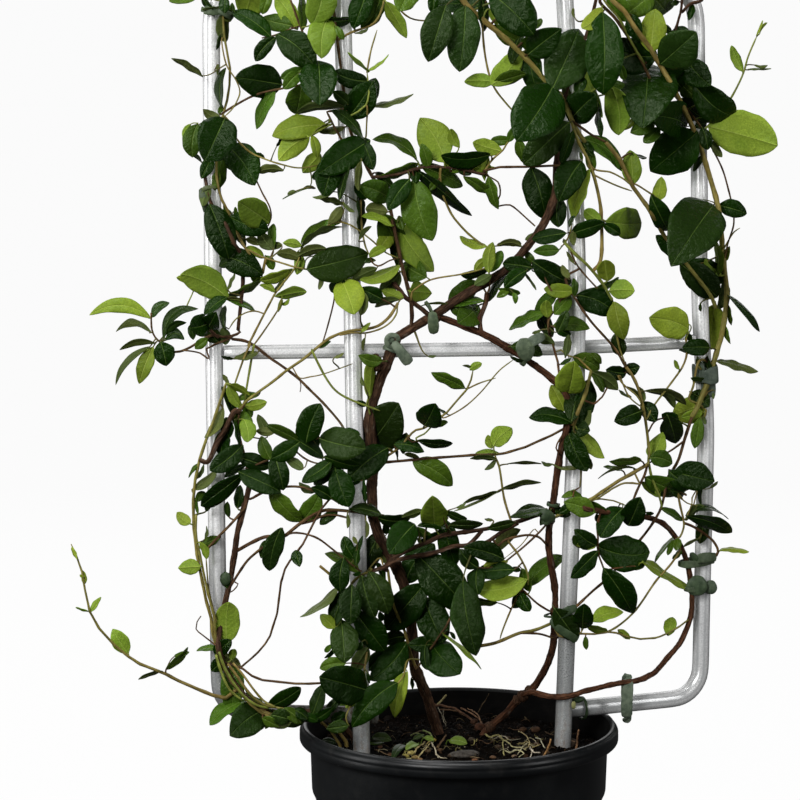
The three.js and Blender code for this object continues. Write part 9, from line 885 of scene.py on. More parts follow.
2145 M m 1 0 -55,-26.8,651.2 -52.7,-31.7,639.7 0.96,-0.13,0.24 -0.21,-0.91,0.34 7.9 -0.5 -57.1,-30.9,646 0.7
2146 M m 1 0 77.8,-27.3,589.2 57.7,-20,566.9 0.34,-0.76,-0.55 -0.68,-0.6,0.42 15.2 0.6 76.2,-33.8,583.8 0.85
2147 L u 0 0 -201.1,-18,773.7 -202.1,-19.6,764.7 0.62,0.76,-0.2 -0.78,0.63,-0.03 4.4 0.3 -204.5,-20,768.8 0.7
2148 L d 1 0 -120.3,-48,456.7 -91.4,-49.7,447.4 0.19,-0.66,0.73 -0.24,-0.75,-0.62 15.3 -0.2 -119.8,-38.6,449.4 0.73
2149 L l 0 0 -223.6,-11.9,726 -229.9,-8.6,715.3 0.85,-0.07,-0.52 0.2,0.96,0.19 6.1 -0.3 -218,-17.3,726.4 0.7
2150 M m 1 0 -38,18.3,255.6 -36.2,19.3,245.3 0.76,0.62,0.19 0.62,-0.78,0.03 4.8 -0.2 -31.8,16.3,256.3 4.74
2151 R m 1 0 136.8,-15,435.6 119.7,-16.8,439.1 0.02,-0.93,-0.36 0.22,-0.34,0.91 7.6 0.8 137.9,-20.8,430.3 1.64
2152 M d 1 0 -86.7,-48,418.1 -88.3,-53,439.8 -0.37,0.91,0.18 -0.93,-0.34,-0.14 8.7 1.3 -77.2,-23.4,411.9 4.74
2153 M u 0 0 223.7,15.4,497.3 221.4,14,490.4 0.82,0.44,-0.36 -0.48,0.88,-0.02 3.6 0.4 216.3,13.3,496.7 1.15
2154 M u 0 0 251.8,9.8,773.3 265.1,14.8,772.4 -0.25,0.78,0.57 -0.25,0.52,-0.82 4.8 0.7 242.4,1.6,773 0.85
2155 M d 1 0 -89.2,-48,302.8 -94,-49.3,295.4 0.84,-0.22,-0.5 -0.11,-0.96,0.24 4.8 0.9 -81.5,-28,293.6 0.93
2156 M g 1 0 43.6,-36.2,799.6 34.3,-38.3,774.4 0.66,-0.73,-0.18 -0.67,-0.68,0.3 13.3 0.4 48,-46.9,796.7 0.7
2157 M u 0 0 23.3,-28.6,397.9 15.9,-29.3,398.6 0,-0.74,-0.67 -0.14,0.67,-0.73 3.5 0 19.2,-37.4,392.6 1.92
2158 L g 1 0 -191,-18,617.5 -202.1,-26.6,611.6 0.53,-0.1,-0.84 0.43,-0.82,0.37 9 0.3 -184.3,-20.9,619.6 1.63
2159 L g 1 0 -190.9,-18,534.7 -200.9,-19.7,537 -0.27,0.75,-0.6 -0.07,-0.64,-0.77 4.7 0.1 -182.8,-19.1,534.6 0.91
2160 M u 0 0 -11.8,-51.4,412.4 -3.5,-53.5,416.9 0.03,0.92,0.39 0.51,0.32,-0.8 4.7 -0.9 -20.2,-55.2,410.5 0.7
2161 L g 1 0 -214.4,-18,408.9 -210.4,-20.1,416.2 -0.85,0.15,0.51 -0.25,-0.96,-0.13 4.8 -0.9 -222.8,-21,406.9 1.1
2162 M d 1 0 -89.9,-48,436.1 -97.5,-46.7,433.1 0.39,0.53,-0.75 0.08,-0.83,-0.55 4.2 -0.7 -77.1,-21.5,432.7 4.74
2163 M u 0 0 -111.8,-48,537.3 -103.5,-47.1,541.2 -0.27,0.88,0.38 0.34,0.46,-0.82 4.5 0.3 -105.4,-30.9,527 0.6
2164 L d 1 0 -123.9,-30.5,459.8 -141.4,-40.7,481 -0.77,0,-0.64 0.22,-0.94,-0.27 16.7 1 -128.2,-37.5,469.8 0.79
2165 M u 0 0 -86.8,-48,513.8 -89.5,-46.7,521.6 -0.76,-0.63,-0.17 -0.56,0.76,-0.33 4.2 -0.4 -81.3,-29.5,501.8 0.7
2166 M g 1 0 137.8,-26.1,701.4 154.4,-14.6,697.1 -0.31,0.69,0.66 0.51,-0.46,0.73 5.7 1.8 127.3,-33.9,695.8 1.83
2167 R m 1 0 105.4,-29.4,536.2 116.1,-25.4,527 0.5,0.41,0.76 0.46,-0.87,0.16 6.8 0.2 96.8,-33.3,529.4 0.85
2168 R u 0 0 220.4,14.6,412.8 228.6,18.3,417.9 -0.47,0.88,0.12 0.39,0.33,-0.86 4.1 -1.1 207.3,8.1,413.2 0.66
2169 M g 1 0 208.6,11.7,572.6 208.8,11.3,565.7 0.65,-0.76,0.06 -0.76,-0.65,0.02 3.4 0.6 219,11.3,577.2 1.64
2170 M u 0 0 -90,-48,571.5 -85.2,-49.3,589.7 -0.67,0.71,0.23 0.7,0.7,-0.14 9.4 -0.6 -85.3,-29.3,558.6 1.31
2171 L u 0 0 -93.1,-48,384.1 -96.3,-46.1,390.1 -0.88,0.03,-0.48 0.15,0.96,-0.21 3.7 -0.2 -94.5,-41.7,370.8 0.7
2172 R m 1 0 27.7,-28.4,327.7 2.2,-26.6,331.1 -0.03,0.79,-0.62 -0.15,-0.61,-0.78 12.6 -0.1 38.9,-30.3,322.3 0.82
2173 L u 0 0 -139.7,-26.3,671.9 -146.4,-23.7,669.1 0.36,-0.08,-0.93 0.34,0.94,0.05 3.5 -0.3 -128.3,-31.2,675 0.7
2174 L g 1 0 -154.9,-23.6,707.4 -147.8,-28.6,720.4 -0.65,-0.76,0.07 0.61,-0.57,-0.55 6.8 1.1 -160,-24.9,695.9 0.74
2175 M d 1 0 -70.6,-18.4,321.1 -69.2,-19.7,312.7 0.98,-0.1,0.18 -0.13,-0.98,0.13 5.5 0.4 -59.5,-22,327.9 1.27
2176 L m 1 0 -242.2,-24.3,290.6 -229.9,-26.6,294.1 0.01,0.85,0.53 -0.33,-0.5,0.8 6.3 -1 -249.3,-30,280.4 0.7
2177 M g 1 0 203.7,0.2,661.4 188.3,-0.7,657.7 0.2,-0.72,-0.66 -0.13,-0.69,0.71 8.3 1 217.1,-1.4,658.4 0.7
2179 M u 0 0 84.8,-48,811 84.2,-46.5,819 -0.77,-0.63,0.06 -0.63,0.76,-0.18 3.9 -0.1 103.4,-26.9,809.7 2.82
2180 M l 0 0 144.4,-20.9,732.7 135,-20.3,719.3 0.25,-0.94,-0.22 0.78,0.33,-0.54 8.6 -0.1 161.2,-17.9,728.1 0.7
2181 M l 0 0 -6.3,-32.4,706.5 -14.2,-35.2,722.1 -0.89,0.14,-0.43 0.06,0.98,0.2 9.1 -1.8 -19.1,-37.7,695.5 0.7
2182 R g 1 0 89.2,-47.7,377.4 87.7,-49.6,387 -0.97,0.19,-0.11 -0.17,-0.96,-0.22 4.6 0.2 109.6,-36.2,375.2 0.7
2183 M u 0 0 -32,-30,535.6 -24.5,-29.5,535.8 -0.07,0.81,0.59 -0.01,0.59,-0.81 3.7 0.2 -43.2,-21.6,558.5 3.89
2184 L l 0 0 -222.9,-17.7,599.4 -237,-19.2,602 -0.17,-0.06,-0.98 -0.11,0.99,-0.04 7 0.1 -229.2,-19,576.4 0.7
5000 L g 1 0 -163.7,-37.9,241.2 -147.4,-39.9,236.9 0.24,-0.11,0.96 -0.14,-0.99,-0.08 14.8 0.6 -161.9,-28.6,239.1 1.51
5001 L m 1 0 -152.8,-36.4,246.3 -138.1,-38.4,233.6 0.61,0.47,0.63 0.24,-0.88,0.42 11.6 0.6 -151.2,-18.3,237.4 2.54
5002 L m 1 0 -170.9,-35.4,238.3 -157.1,-37.4,230.7 0.43,-0.27,0.86 -0.24,-0.95,-0.18 10 0.6 -168.7,-30.3,240.2 1.26
5003 L d 1 0 -145.2,-35.7,245 -133,-37.7,236.6 0.57,0.38,0.73 0.12,-0.92,0.39 10.3 0.6 -143.2,-17,237.1 2.54
5004 L d 1 0 -130.7,-24.8,230.9 -110,-26.8,243.4 -0.52,-0.08,0.85 -0.03,-0.99,-0.11 9.7 0.6 -129.5,-19.6,233.9 1.29
5005 L d 1 0 -116.2,-16.2,236 -104.7,-18.2,248.9 -0.53,0.63,0.57 -0.53,-0.77,0.36 9.1 0.6 -111.9,10.2,230.7 2.54
5006 L m 1 0 -102.7,10.9,229.1 -91,8.9,240.4 -0.69,-0,0.72 -0.09,-0.99,-0.09 9.4 0.6 -104.6,17.5,224.4 2.54
5007 L d 1 0 -139.1,-32.5,238.2 -124.3,-34.5,233.9 0.3,0.51,0.8 0.04,-0.85,0.53 7.9 0.6 -139.1,-26.5,236.8 1.28
5008 L d 1 0 -98.8,-11.8,235.2 -110.9,-13.8,229.2 0.43,-0.6,-0.67 -0.16,-0.78,0.6 8 0.6 -101.2,21.2,221 2.54
5009 L l 1 0 -258.1,-32.7,571.2 -307.6,-34.7,575.3 -0.05,-0.5,-0.87 0.08,-0.87,0.49 14.1 7.7 -258.2,-31.7,570.3 0.78
5010 L g 1 0 -257.9,-32,571.3 -243.9,-34,583.2 -0.51,0.51,0.69 -0.4,-0.85,0.33 8.2 -2.7 -258.2,-31.7,570.3 0.78
5011 L g 1 0 -249,-32,552.9 -221.1,-34,578.4 -0.53,0.57,0.63 -0.42,-0.82,0.39 9.8 -10.3 -251.3,-30,551.6 1.02
5012 L g 1 0 -246.4,-30,556.8 -229.8,-32,566.4 -0.51,-0.23,0.83 0.03,-0.97,-0.25 6.6 -4 -251.3,-30,551.6 1.02
5013 L d 1 0 -247.5,-33,552.8 -231.8,-35,553.4 0.03,0.52,0.85 -0.13,-0.84,0.52 10.1 5.1 -250.4,-29.4,549.8 1.03
5014 L u 1 0 -257.8,-32.9,559.2 -286.8,-34.9,561.1 0.03,-0.87,-0.5 0.09,-0.49,0.86 11.5 -10.1 -257.2,-30.9,559.5 0.81
5015 L u 1 0 -255.2,-33.6,549.9 -284.2,-35.6,545.3 0.13,0.31,-0.94 0.11,-0.95,-0.29 6.3 -4.5 -252.8,-30.1,552.3 0.84
5016 L u 1 0 -259.7,-34.8,548.1 -289,-36.8,518.3 0.63,-0.5,-0.59 -0.33,-0.86,0.38 5.9 -4.5 -254.3,-30.3,553.8 0.83
5017 L l 1 0 -257.4,-32.6,547.5 -269.2,-34.6,517.7 0.88,-0.34,-0.33 -0.3,-0.94,0.18 13.7 -0 -252.8,-30.1,552.3 0.84
5018 L d 1 0 -251.1,-37.1,551.8 -246.5,-39.1,532.1 0.97,0.14,0.21 0.11,-0.99,0.13 18 0 -251.3,-30,550.7 0.85
"""

MM = 0.001
SOIL_Z = 200.0


# ---------------------------------------------------------------- mesh helpers
class Build:
    """Collects vertices, faces and per-vertex attributes, then makes one mesh object."""

    def __init__(self):
        self.v, self.q, self.t, self.qm, self.tm, self.a, self.n = [], [], [], [], [], {}, 0

    def add(self, verts, quads=(), tris=(), mat=0, **attrs):
        verts = np.asarray(verts, float)
        k = len(verts)
        self.v.append(verts)
        if len(quads):
            quads = np.asarray(quads, int)
            self.q.append(quads + self.n)
            self.qm.append(np.full(len(quads), mat))
        if len(tris):
            tris = np.asarray(tris, int)
            self.t.append(tris + self.n)
            self.tm.append(np.full(len(tris), mat))
        for key, val in attrs.items():
            val = np.asarray(val, float)
            if val.ndim == 0:
                val = np.full(k, float(val))
            if val.ndim == 1 and len(val) == 3 and k != 3:
                val = np.tile(val, (k, 1))
            self.a.setdefault(key, []).append((self.n, val))
        self.n += k

    def make(self, name, mats, smooth=True, angle=None):
        me = bpy.data.meshes.new(name)
        V = np.concatenate(self.v) * MM
        Q = np.concatenate(self.q) if self.q else np.zeros((0, 4), int)
        T = np.concatenate(self.t) if self.t else np.zeros((0, 3), int)
        QM = np.concatenate(self.qm) if self.qm else np.zeros(0, int)
        TM = np.concatenate(self.tm) if self.tm else np.zeros(0, int)
        me.vertices.add(len(V))
        me.vertices.foreach_set("co", V.astype(np.float32).ravel())
        loops = np.concatenate([Q.ravel(), T.ravel()]).astype(np.int32)
        me.loops.add(len(loops))
        me.loops.foreach_set("vertex_index", loops)
        nf = len(Q) + len(T)
        me.polygons.add(nf)
        start = np.concatenate([np.arange(len(Q)) * 4, len(Q) * 4 + np.arange(len(T)) * 3]).astype(np.int32)
        me.polygons.foreach_set("loop_start", start)
        me.polygons.foreach_set("material_index", np.concatenate([QM, TM]).astype(np.int32))
        me.update(calc_edges=True)
        me.validate()
        for key, chunks in self.a.items():
            dim = chunks[0][1].ndim
            if dim == 1:
                full = np.zeros(self.n, np.float32)
                for at, val in chunks:
                    full[at:at + len(val)] = val
                me.attributes.new(key, "FLOAT", "POINT").data.foreach_set("value", full)
            else:
                full = np.zeros((self.n, 3), np.float32)
                for at, val in chunks:
                    full[at:at + len(val)] = val
                if key.startswith("tone"):
                    rgba = np.ones((self.n, 4), np.float32)
                    rgba[:, :3] = full
                    me.attributes.new(key, "FLOAT_COLOR", "POINT").data.foreach_set("color", rgba.ravel())
                else:
                    me.attributes.new(key, "FLOAT_VECTOR", "POINT").data.foreach_set("vector", full.ravel())
        for m in mats:
            me.materials.append(m)
        if smooth:
            me.polygons.foreach_set("use_smooth", np.ones(len(me.polygons), bool))
        ob = bpy.data.objects.new(name, me)
        bpy.context.scene.collection.objects.link(ob)
        if smooth and angle:
            me.set_sharp_from_angle(angle=math.radians(angle))
        return ob


def unit(v):
    v = np.asarray(v, float)
    n = np.linalg.norm(v, axis=-1, keepdims=True)
    return v / np.maximum(n, 1e-9)


def catmull(pts, step):
    pts = [np.asarray(p, float) for p in pts]
    if len(pts) < 3:
        n = max(2, int(np.linalg.norm(pts[1] - pts[0]) / step) + 1)
        return np.array([pts[0] + (pts[1] - pts[0]) * i / (n - 1) for i in range(n)])
    ring = [2 * pts[0] - pts[1]] + pts + [2 * pts[-1] - pts[-2]]
    out = []
    for i in range(1, len(ring) - 2):
        a, b, c, d = ring[i - 1], ring[i], ring[i + 1], ring[i + 2]
        n = max(1, int(round(np.linalg.norm(c - b) / step)))
        t1 = max(1e-6, np.linalg.norm(b - a)) ** 0.5
        t2 = t1 + max(1e-6, np.linalg.norm(c - b)) ** 0.5
        t3 = t2 + max(1e-6, np.linalg.norm(d - c)) ** 0.5
        for k in range(n):
            t = t1 + (t2 - t1) * k / n
            A1 = (t1 - t) / t1 * a + t / t1 * b
            A2 = (t2 - t) / (t2 - t1) * b + (t - t1) / (t2 - t1) * c
            A3 = (t3 - t) / (t3 - t2) * c + (t - t2) / (t3 - t2) * d
            B1 = (t2 - t) / t2 * A1 + t / t2 * A2
            B2 = (t3 - t) / (t3 - t1) * A2 + (t - t1) / (t3 - t1) * A3
            out.append((t2 - t) / (t2 - t1) * B1 + (t - t1) / (t2 - t1) * B2)
    out.append(pts[-1])
    return np.array(out)


def along(P):
    return np.concatenate([[0], np.cumsum(np.linalg.norm(np.diff(P, axis=0), axis=1))])


def frames(P):
    """Section directions along a path, with the least twist."""
    P = np.asarray(P, float)
    T = np.gradient(P, axis=0)
    T = unit(T)
    n = np.cross(T[0], [0, 0, 1.0] if abs(T[0][2]) < 0.8 else [1.0, 0, 0])
    n = n / np.linalg.norm(n)
    N = np.zeros_like(P)
    for i in range(len(P)):
        n = n - T[i] * (n @ T[i])
        n = n / np.linalg.norm(n)
        N[i] = n
    B = np.cross(T, N)
    return T, N, B


def sweep(P, R, sides, caps=True, radial=None, close_tip=False):
    """A closed tube along P. R: radius per ring; radial: (rings, sides) factor. Returns verts, quads, tris, u (mm along), w (0..1 round)."""
    P = np.asarray(P, float)
    n = len(P)
    T, N, B = frames(P)
    a = 2 * math.pi * np.arange(sides) / sides
    rr = np.asarray(R, float)[:, None] * np.ones(sides)
    if radial is not None:
        rr = rr * radial
    V = P[:, None, :] + rr[..., None] * (np.cos(a)[None, :, None] * N[:, None, :] + np.sin(a)[None, :, None] * B[:, None, :])
    V = V.reshape(-1, 3)
    i = np.arange(n - 1)[:, None] * sides
    j = np.arange(sides)[None, :]
    j2 = (j + 1) % sides
    Q = np.stack([i + j, i + j2, i + sides + j2, i + sides + j], -1).reshape(-1, 4)
    L = along(P)
    u = np.repeat(L, sides)
    w = np.tile(np.arange(sides) / sides, n)
    tris = np.zeros((0, 3), int)
    if caps:
        c0, c1 = len(V), len(V) + 1
        bulge0 = P[0] - T[0] * rr[0].mean() * 0.35
        bulge1 = P[-1] + T[-1] * rr[-1].mean() * 0.5
        V = np.concatenate([V, [bulge0, bulge1]])
        u = np.concatenate([u, [L[0], L[-1]]])
        w = np.concatenate([w, [0.5, 0.5]])
        k = np.arange(sides)
        k2 = (k + 1) % sides
        last = (n - 1) * sides
        tris = np.concatenate([np.stack([np.full(sides, c0), k2, k], -1), np.stack([np.full(sides, c1), last + k, last + k2], -1)])
    return V, Q, tris, u, w


def wobble(seed, x, octaves=3):
    """A smooth seeded function of one variable, about -1 to 1."""
    r = random.Random(seed)
    out = np.zeros_like(np.asarray(x, float))
    amp = 1.0
    f = 1.0
    tot = 0.0
    for _ in range(octaves):
        out = out + amp * np.sin(x * f * r.uniform(0.8, 1.25) + r.uniform(0, 6.283))
        tot += amp
        amp *= 0.55
        f *= 2.1
    return out / tot


# ---------------------------------------------------------------- lumps
def ico():
    p = (1 + 5 ** 0.5) / 2
    v = unit(np.array([[-1, p, 0], [1, p, 0], [-1, -p, 0], [1, -p, 0], [0, -1, p], [0, 1, p], [0, -1, -p], [0, 1, -p], [p, 0, -1], [p, 0, 1], [-p, 0, -1], [-p, 0, 1]], float))
    f = [[0, 11, 5], [0, 5, 1], [0, 1, 7], [0, 7, 10], [0, 10, 11], [1, 5, 9], [5, 11, 4], [11, 10, 2], [10, 7, 6], [7, 1, 8], [3, 9, 4], [3, 4, 2], [3, 2, 6], [3, 6, 8], [3, 8, 9], [4, 9, 5], [2, 4, 11], [6, 2, 10], [8, 6, 7], [9, 8, 1]]
    return v, np.array(f)


def split(v, f):
    v = list(map(tuple, v))
    cache = {}
    def mid(a, b):
        k = (min(a, b), max(a, b))
        if k not in cache:
            m = (np.array(v[a]) + np.array(v[b])) / 2
            m = m / np.linalg.norm(m)
            v.append(tuple(m))
            cache[k] = len(v) - 1
        return cache[k]
    out = []
    for a, b, c in f:
        x, y, z = mid(a, b), mid(b, c), mid(c, a)
        out += [[a, x, z], [b, y, x], [c, z, y], [x, y, z]]
    return np.array(v), np.array(out)


ICO1 = ico()
ICO2 = split(*ICO1)
ICO3 = split(*ICO2)
ICO4 = split(*ICO3)


# ---------------------------------------------------------------- materials
class Mat:
    def __init__(self, name):
        self.m = bpy.data.materials.new(name)
        self.m.use_nodes = True
        self.nt = self.m.node_tree
        self.b = self.nt.nodes["Principled BSDF"]

    def node(self, kind, **inputs):
        n = self.nt.nodes.new(kind)
        for k, v in inputs.items():
            if k in ("operation", "blend_type", "data_type", "feature", "distance", "attribute_name", "wave_type", "bands_direction", "wave_profile", "noise_dimensions", "interpolation_type", "rotation_type", "normalize", "vector_type", "clamp", "invert"):
                setattr(n, k, v)
        return n

    def link(self, a, b):
        self.nt.links.new(a, b)

    def set(self, **kw):
        names = {"rough": "Roughness", "metal": "Metallic", "spec": "Specular IOR Level", "coat": "Coat Weight", "coat_rough": "Coat Roughness", "sheen": "Sheen Weight", "sheen_rough": "Sheen Roughness", "ior": "IOR", "sss": "Subsurface Weight"}
        for k, v in kw.items():
            if k == "color":
                self.b.inputs["Base Color"].default_value = (*v, 1)
            else:
                self.b.inputs[names[k]].default_value = v
        return self

    def attr(self, name, out="Fac"):
        n = self.nt.nodes.new("ShaderNodeAttribute")
        n.attribute_name = name
        return n.outputs[out]

    def math(self, op, a, b=None, c=None, clamp=False):
        n = self.nt.nodes.new("ShaderNodeMath")
        n.operation = op
        n.use_clamp = clamp
        for i, x in enumerate((a, b, c)):
            if x is None:
                continue
            if isinstance(x, (int, float)):
                n.inputs[i].default_value = x
            else:
                self.link(x, n.inputs[i])
        return n.outputs[0]

    def mapr(self, x, a, b, c=0.0, d=1.0, smooth=True):
        n = self.nt.nodes.new("ShaderNodeMapRange")
        n.interpolation_type = "SMOOTHSTEP" if smooth else "LINEAR"
        for i, v in enumerate((a, b, c, d)):
            n.inputs[i + 1].default_value = v
        self.link(x, n.inputs[0])
        return n.outputs[0]

    def mix(self, f, a, b, blend="MIX"):
        n = self.nt.nodes.new("ShaderNodeMix")
        n.data_type = "RGBA"
        n.blend_type = blend
        n.clamp_factor = True
        if isinstance(f, (int, float)):
            n.inputs[0].default_value = f
        else:
            self.link(f, n.inputs[0])
        for i, x in ((6, a), (7, b)):
            if isinstance(x, tuple):
                n.inputs[i].default_value = (*x, 1) if len(x) == 3 else x
            else:
                self.link(x, n.inputs[i])
        return n.outputs[2]

    def noise(self, scale, detail=3.0, rough=0.55, vec=None, out="Fac", stretch=None):
        n = self.nt.nodes.new("ShaderNodeTexNoise")
        n.inputs["Scale"].default_value = scale
        n.inputs["Detail"].default_value = detail
        n.inputs["Roughness"].default_value = rough
        self.link(vec or self.coords(stretch), n.inputs["Vector"])
        return n.outputs[out]

    def voronoi(self, scale, feature="F1", out="Distance", vec=None, stretch=None, rand=1.0):
        n = self.nt.nodes.new("ShaderNodeTexVoronoi")
        n.feature = feature
        n.inputs["Scale"].default_value = scale
        n.inputs["Randomness"].default_value = rand
        self.link(vec or self.coords(stretch), n.inputs["Vector"])
        return n.outputs[out]

    def coords(self, stretch=None):
        key = ("co", stretch)
        if not hasattr(self, "_c"):
            self._c = {}
        if key not in self._c:
            t = self.nt.nodes.new("ShaderNodeTexCoord")
            o = t.outputs["Object"]
            if stretch:
                m = self.nt.nodes.new("ShaderNodeMapping")
                m.inputs["Scale"].default_value = stretch
                self.link(o, m.inputs["Vector"])
                o = m.outputs[0]
            self._c[key] = o
        return self._c[key]

    def bump(self, height, strength, distance, normal=None):
        n = self.nt.nodes.new("ShaderNodeBump")
        n.inputs["Strength"].default_value = strength
        n.inputs["Distance"].default_value = distance
        self.link(height, n.inputs["Height"])
        if normal is not None:
            self.link(normal, n.inputs["Normal"])
        self.link(n.outputs[0], self.b.inputs["Normal"])
        return n.outputs[0]

    def color(self, sock):
        self.link(sock, self.b.inputs["Base Color"])

    def rough(self, sock):
        self.link(sock, self.b.inputs["Roughness"])


def leaf_material(name, rough, spec, coat, coat_rough, vein_gain, vein_tint, bump_strength, rib_tint, crinkle):
    """Blade colour comes from the vertex tone. The blade's own coordinates give the midrib and the arched side veins."""
    m = Mat(name)
    tone = m.attr("tone", "Color")
    sep = m.nt.nodes.new("ShaderNodeSeparateXYZ")
    a = m.nt.nodes.new("ShaderNodeAttribute")
    a.attribute_name = "blade"
    m.link(a.outputs["Vector"], sep.inputs[0])
    run, y, face = sep.outputs[0], sep.outputs[1], sep.outputs[2]      # vein count along, mm across, 1 on the upper face
    big = m.attr("big", "Fac")                                          # 0 on the smallest leaves, 1 on full ones
    ay = m.math("ABSOLUTE", y)
    wob = m.math("MULTIPLY", m.math("SUBTRACT", m.noise(150, 3.0), 0.5), 0.85)
    rib = m.mapr(ay, 0.16, 0.62, 1.0, 0.0)
    per = m.math("PINGPONG", m.math("ADD", run, wob), 0.5)
    side = m.mapr(per, 0.0, 0.13, 1.0, 0.0)
    side = m.math("MULTIPLY", side, m.mapr(ay, 0.2, 1.4, 0.0, 1.0))
    side = m.math("MULTIPLY", side, m.mapr(m.noise(90, 2.0), 0.35, 0.65, 0.12, 0.9))
    hill = m.math("SINE", m.math("MULTIPLY", m.math("ADD", run, wob), 6.28318))
    net = m.mapr(m.voronoi(620, "DISTANCE_TO_EDGE"), 0.0, 0.16, 1.0, 0.0)
    vein = m.math("MAXIMUM", rib, m.math("MULTIPLY", side, 0.42))
    vein = m.math("MAXIMUM", vein, m.math("MULTIPLY", net, 0.10))
    vein = m.math("MULTIPLY", vein, big)
    cloud = m.noise(42, 3.0)
    col = m.mix(m.mapr(cloud, 0.32, 0.7, 0.0, 0.55), tone, m.mix(1.0, tone, (0.62, 0.74, 0.6), "MULTIPLY"))
    pale = m.mix(1.0, tone, vein_tint, "ADD")
    col = m.mix(m.math("MULTIPLY", vein, vein_gain), col, pale)
    fade = m.math("MULTIPLY", m.mapr(run, 2.0, 7.5, 0.85, 0.22), m.mapr(m.noise(120, 2.0), 0.3, 0.6, 0.55, 1.0))
    col = m.mix(m.math("MULTIPLY", m.math("MULTIPLY", rib, big), fade), col, m.mix(1.0, tone, rib_tint, "ADD"))
    speck = m.noise(700, 3.0, 0.65)
    col = m.mix(m.mapr(speck, 0.36, 0.66), m.mix(1.0, col, (0.86, 0.87, 0.86), "MULTIPLY"), m.mix(1.0, col, (1.15, 1.14, 1.14), "MULTIPLY"))
    spots = m.mapr(m.noise(520, 2.0), 0.70, 0.76, 0.0, 0.35)
    col = m.mix(m.math("MULTIPLY", spots, big), col, m.mix(1.0, tone, (0.02, 0.018, 0.006), "ADD"))
    m.color(col)
    r = m.math("ADD", m.math("MULTIPLY", m.noise(130, 3.0), 0.2), rough - 0.14)
    r = m.math("ADD", r, m.math("MULTIPLY", speck, 0.08))
    m.rough(r)
    m.set(spec=spec, coat=coat, coat_rough=coat_rough)
    m.b.inputs["Specular Tint"].default_value = (0.80, 1.0, 0.62, 1)
    updown = m.math("SUBTRACT", m.math("MULTIPLY", face, 2.0), 1.0)
    h = m.math("ADD", m.math("MULTIPLY", hill, 0.15), m.math("MULTIPLY", rib, -1.0))
    h = m.math("ADD", h, m.math("MULTIPLY", side, -0.16))
    h = m.math("MULTIPLY", m.math("ADD", h, m.math("MULTIPLY", m.noise(150, 2.0), 2.6)), updown)
    h = m.math("ADD", h, m.math("MULTIPLY", m.noise(430, 2.0, 0.6), crinkle * 0.45))
    streak = m.nt.nodes.new("ShaderNodeCombineXYZ")
    m.link(m.math("MULTIPLY", run, 3.2), streak.inputs[0])
    m.link(m.math("MULTIPLY", y, 0.30), streak.inputs[1])
    m.link(cloud, streak.inputs[2])
    h = m.math("ADD", h, m.math("MULTIPLY", m.noise(1.0, 3.0, 0.6, vec=streak.outputs[0]), crinkle * 1.25))
    h = m.math("ADD", h, m.math("MULTIPLY", net, -0.10))
    h = m.math("MULTIPLY", h, big)
    m.bump(h, bump_strength, 0.0007)
    return m.m


def grain(m, along_scale):
    """The stem's own coordinates: round the stem and, squeezed, along it."""
    a = m.nt.nodes.new("ShaderNodeAttribute")
    a.attribute_name = "grain"
    n = m.nt.nodes.new("ShaderNodeMapping")
    n.inputs["Scale"].default_value = (1, 1, along_scale)
    m.link(a.outputs["Vector"], n.inputs["Vector"])
    return n.outputs[0]


def bark_material():
    m = Mat("bark")
    tone = m.attr("tone", "Color")
    old = m.attr("old", "Fac")
    g1, g2 = grain(m, 0.16), grain(m, 0.35)
    fibre = m.noise(900, 5.0, 0.68, vec=g1)
    patch = m.noise(150, 3.0, 0.6, vec=g2)
    n2 = m.noise(1400, 3.0, 0.6)
    crack = m.mapr(m.voronoi(420, "DISTANCE_TO_EDGE", vec=g1), 0.0, 0.14, 1.0, 0.0)
    col = m.mix(m.mapr(fibre, 0.34, 0.66), m.mix(1.0, tone, (0.30, 0.26, 0.24), "MULTIPLY"), m.mix(1.0, tone, (1.75, 1.6, 1.5), "MULTIPLY"))
    col = m.mix(m.mapr(patch, 0.42, 0.62, 0.0, 0.55), col, m.mix(1.0, tone, (0.55, 0.45, 0.42), "MULTIPLY"))
    col = m.mix(m.math("MULTIPLY", crack, 0.55), col, m.mix(1.0, tone, (0.16, 0.13, 0.12), "MULTIPLY"))
    grey = m.mapr(m.noise(210, 3.0, 0.6, vec=g2), 0.58, 0.72, 0.0, 0.55)
    col = m.mix(m.math("MULTIPLY", grey, old), col, (0.24, 0.185, 0.135))
    m.color(col)
    m.rough(m.mapr(n2, 0.2, 0.8, 0.55, 0.85))
    m.set(spec=0.22)
    m.b.inputs["Specular Tint"].default_value = (1.0, 0.85, 0.7, 1)
    h = m.math("ADD", m.math("MULTIPLY", fibre, 1.2), m.math("ADD", m.math("MULTIPLY", n2, 0.3), m.math("MULTIPLY", crack, -0.7)))
    m.bump(h, 0.7, 0.0007)
    return m.m


def shoot_material():
    m = Mat("green_shoot")
    tone = m.attr("tone", "Color")
    g1 = grain(m, 0.3)
    n1 = m.noise(500, 3.0, 0.6, vec=g1)
    n2 = m.noise(900, 2.0)
    blotch = m.noise(90, 3.0, 0.6)
    col = m.mix(m.mapr(n1, 0.3, 0.7), m.mix(1.0, tone, (0.62, 0.58, 0.52), "MULTIPLY"), m.mix(1.0, tone, (1.3, 1.25, 1.15), "MULTIPLY"))
    col = m.mix(m.mapr(blotch, 0.5, 0.68, 0.0, 0.45), col, m.mix(1.0, tone, (0.85, 0.62, 0.45), "MULTIPLY"))
    m.color(col)
    m.rough(m.mapr(n2, 0.2, 0.8, 0.4, 0.62))
    m.set(spec=0.28)
    m.b.inputs["Specular Tint"].default_value = (1.0, 0.95, 0.7, 1)
    m.bump(m.math("ADD", n1, m.math("MULTIPLY", n2, 0.4)), 0.35, 0.0004)
    return m.m


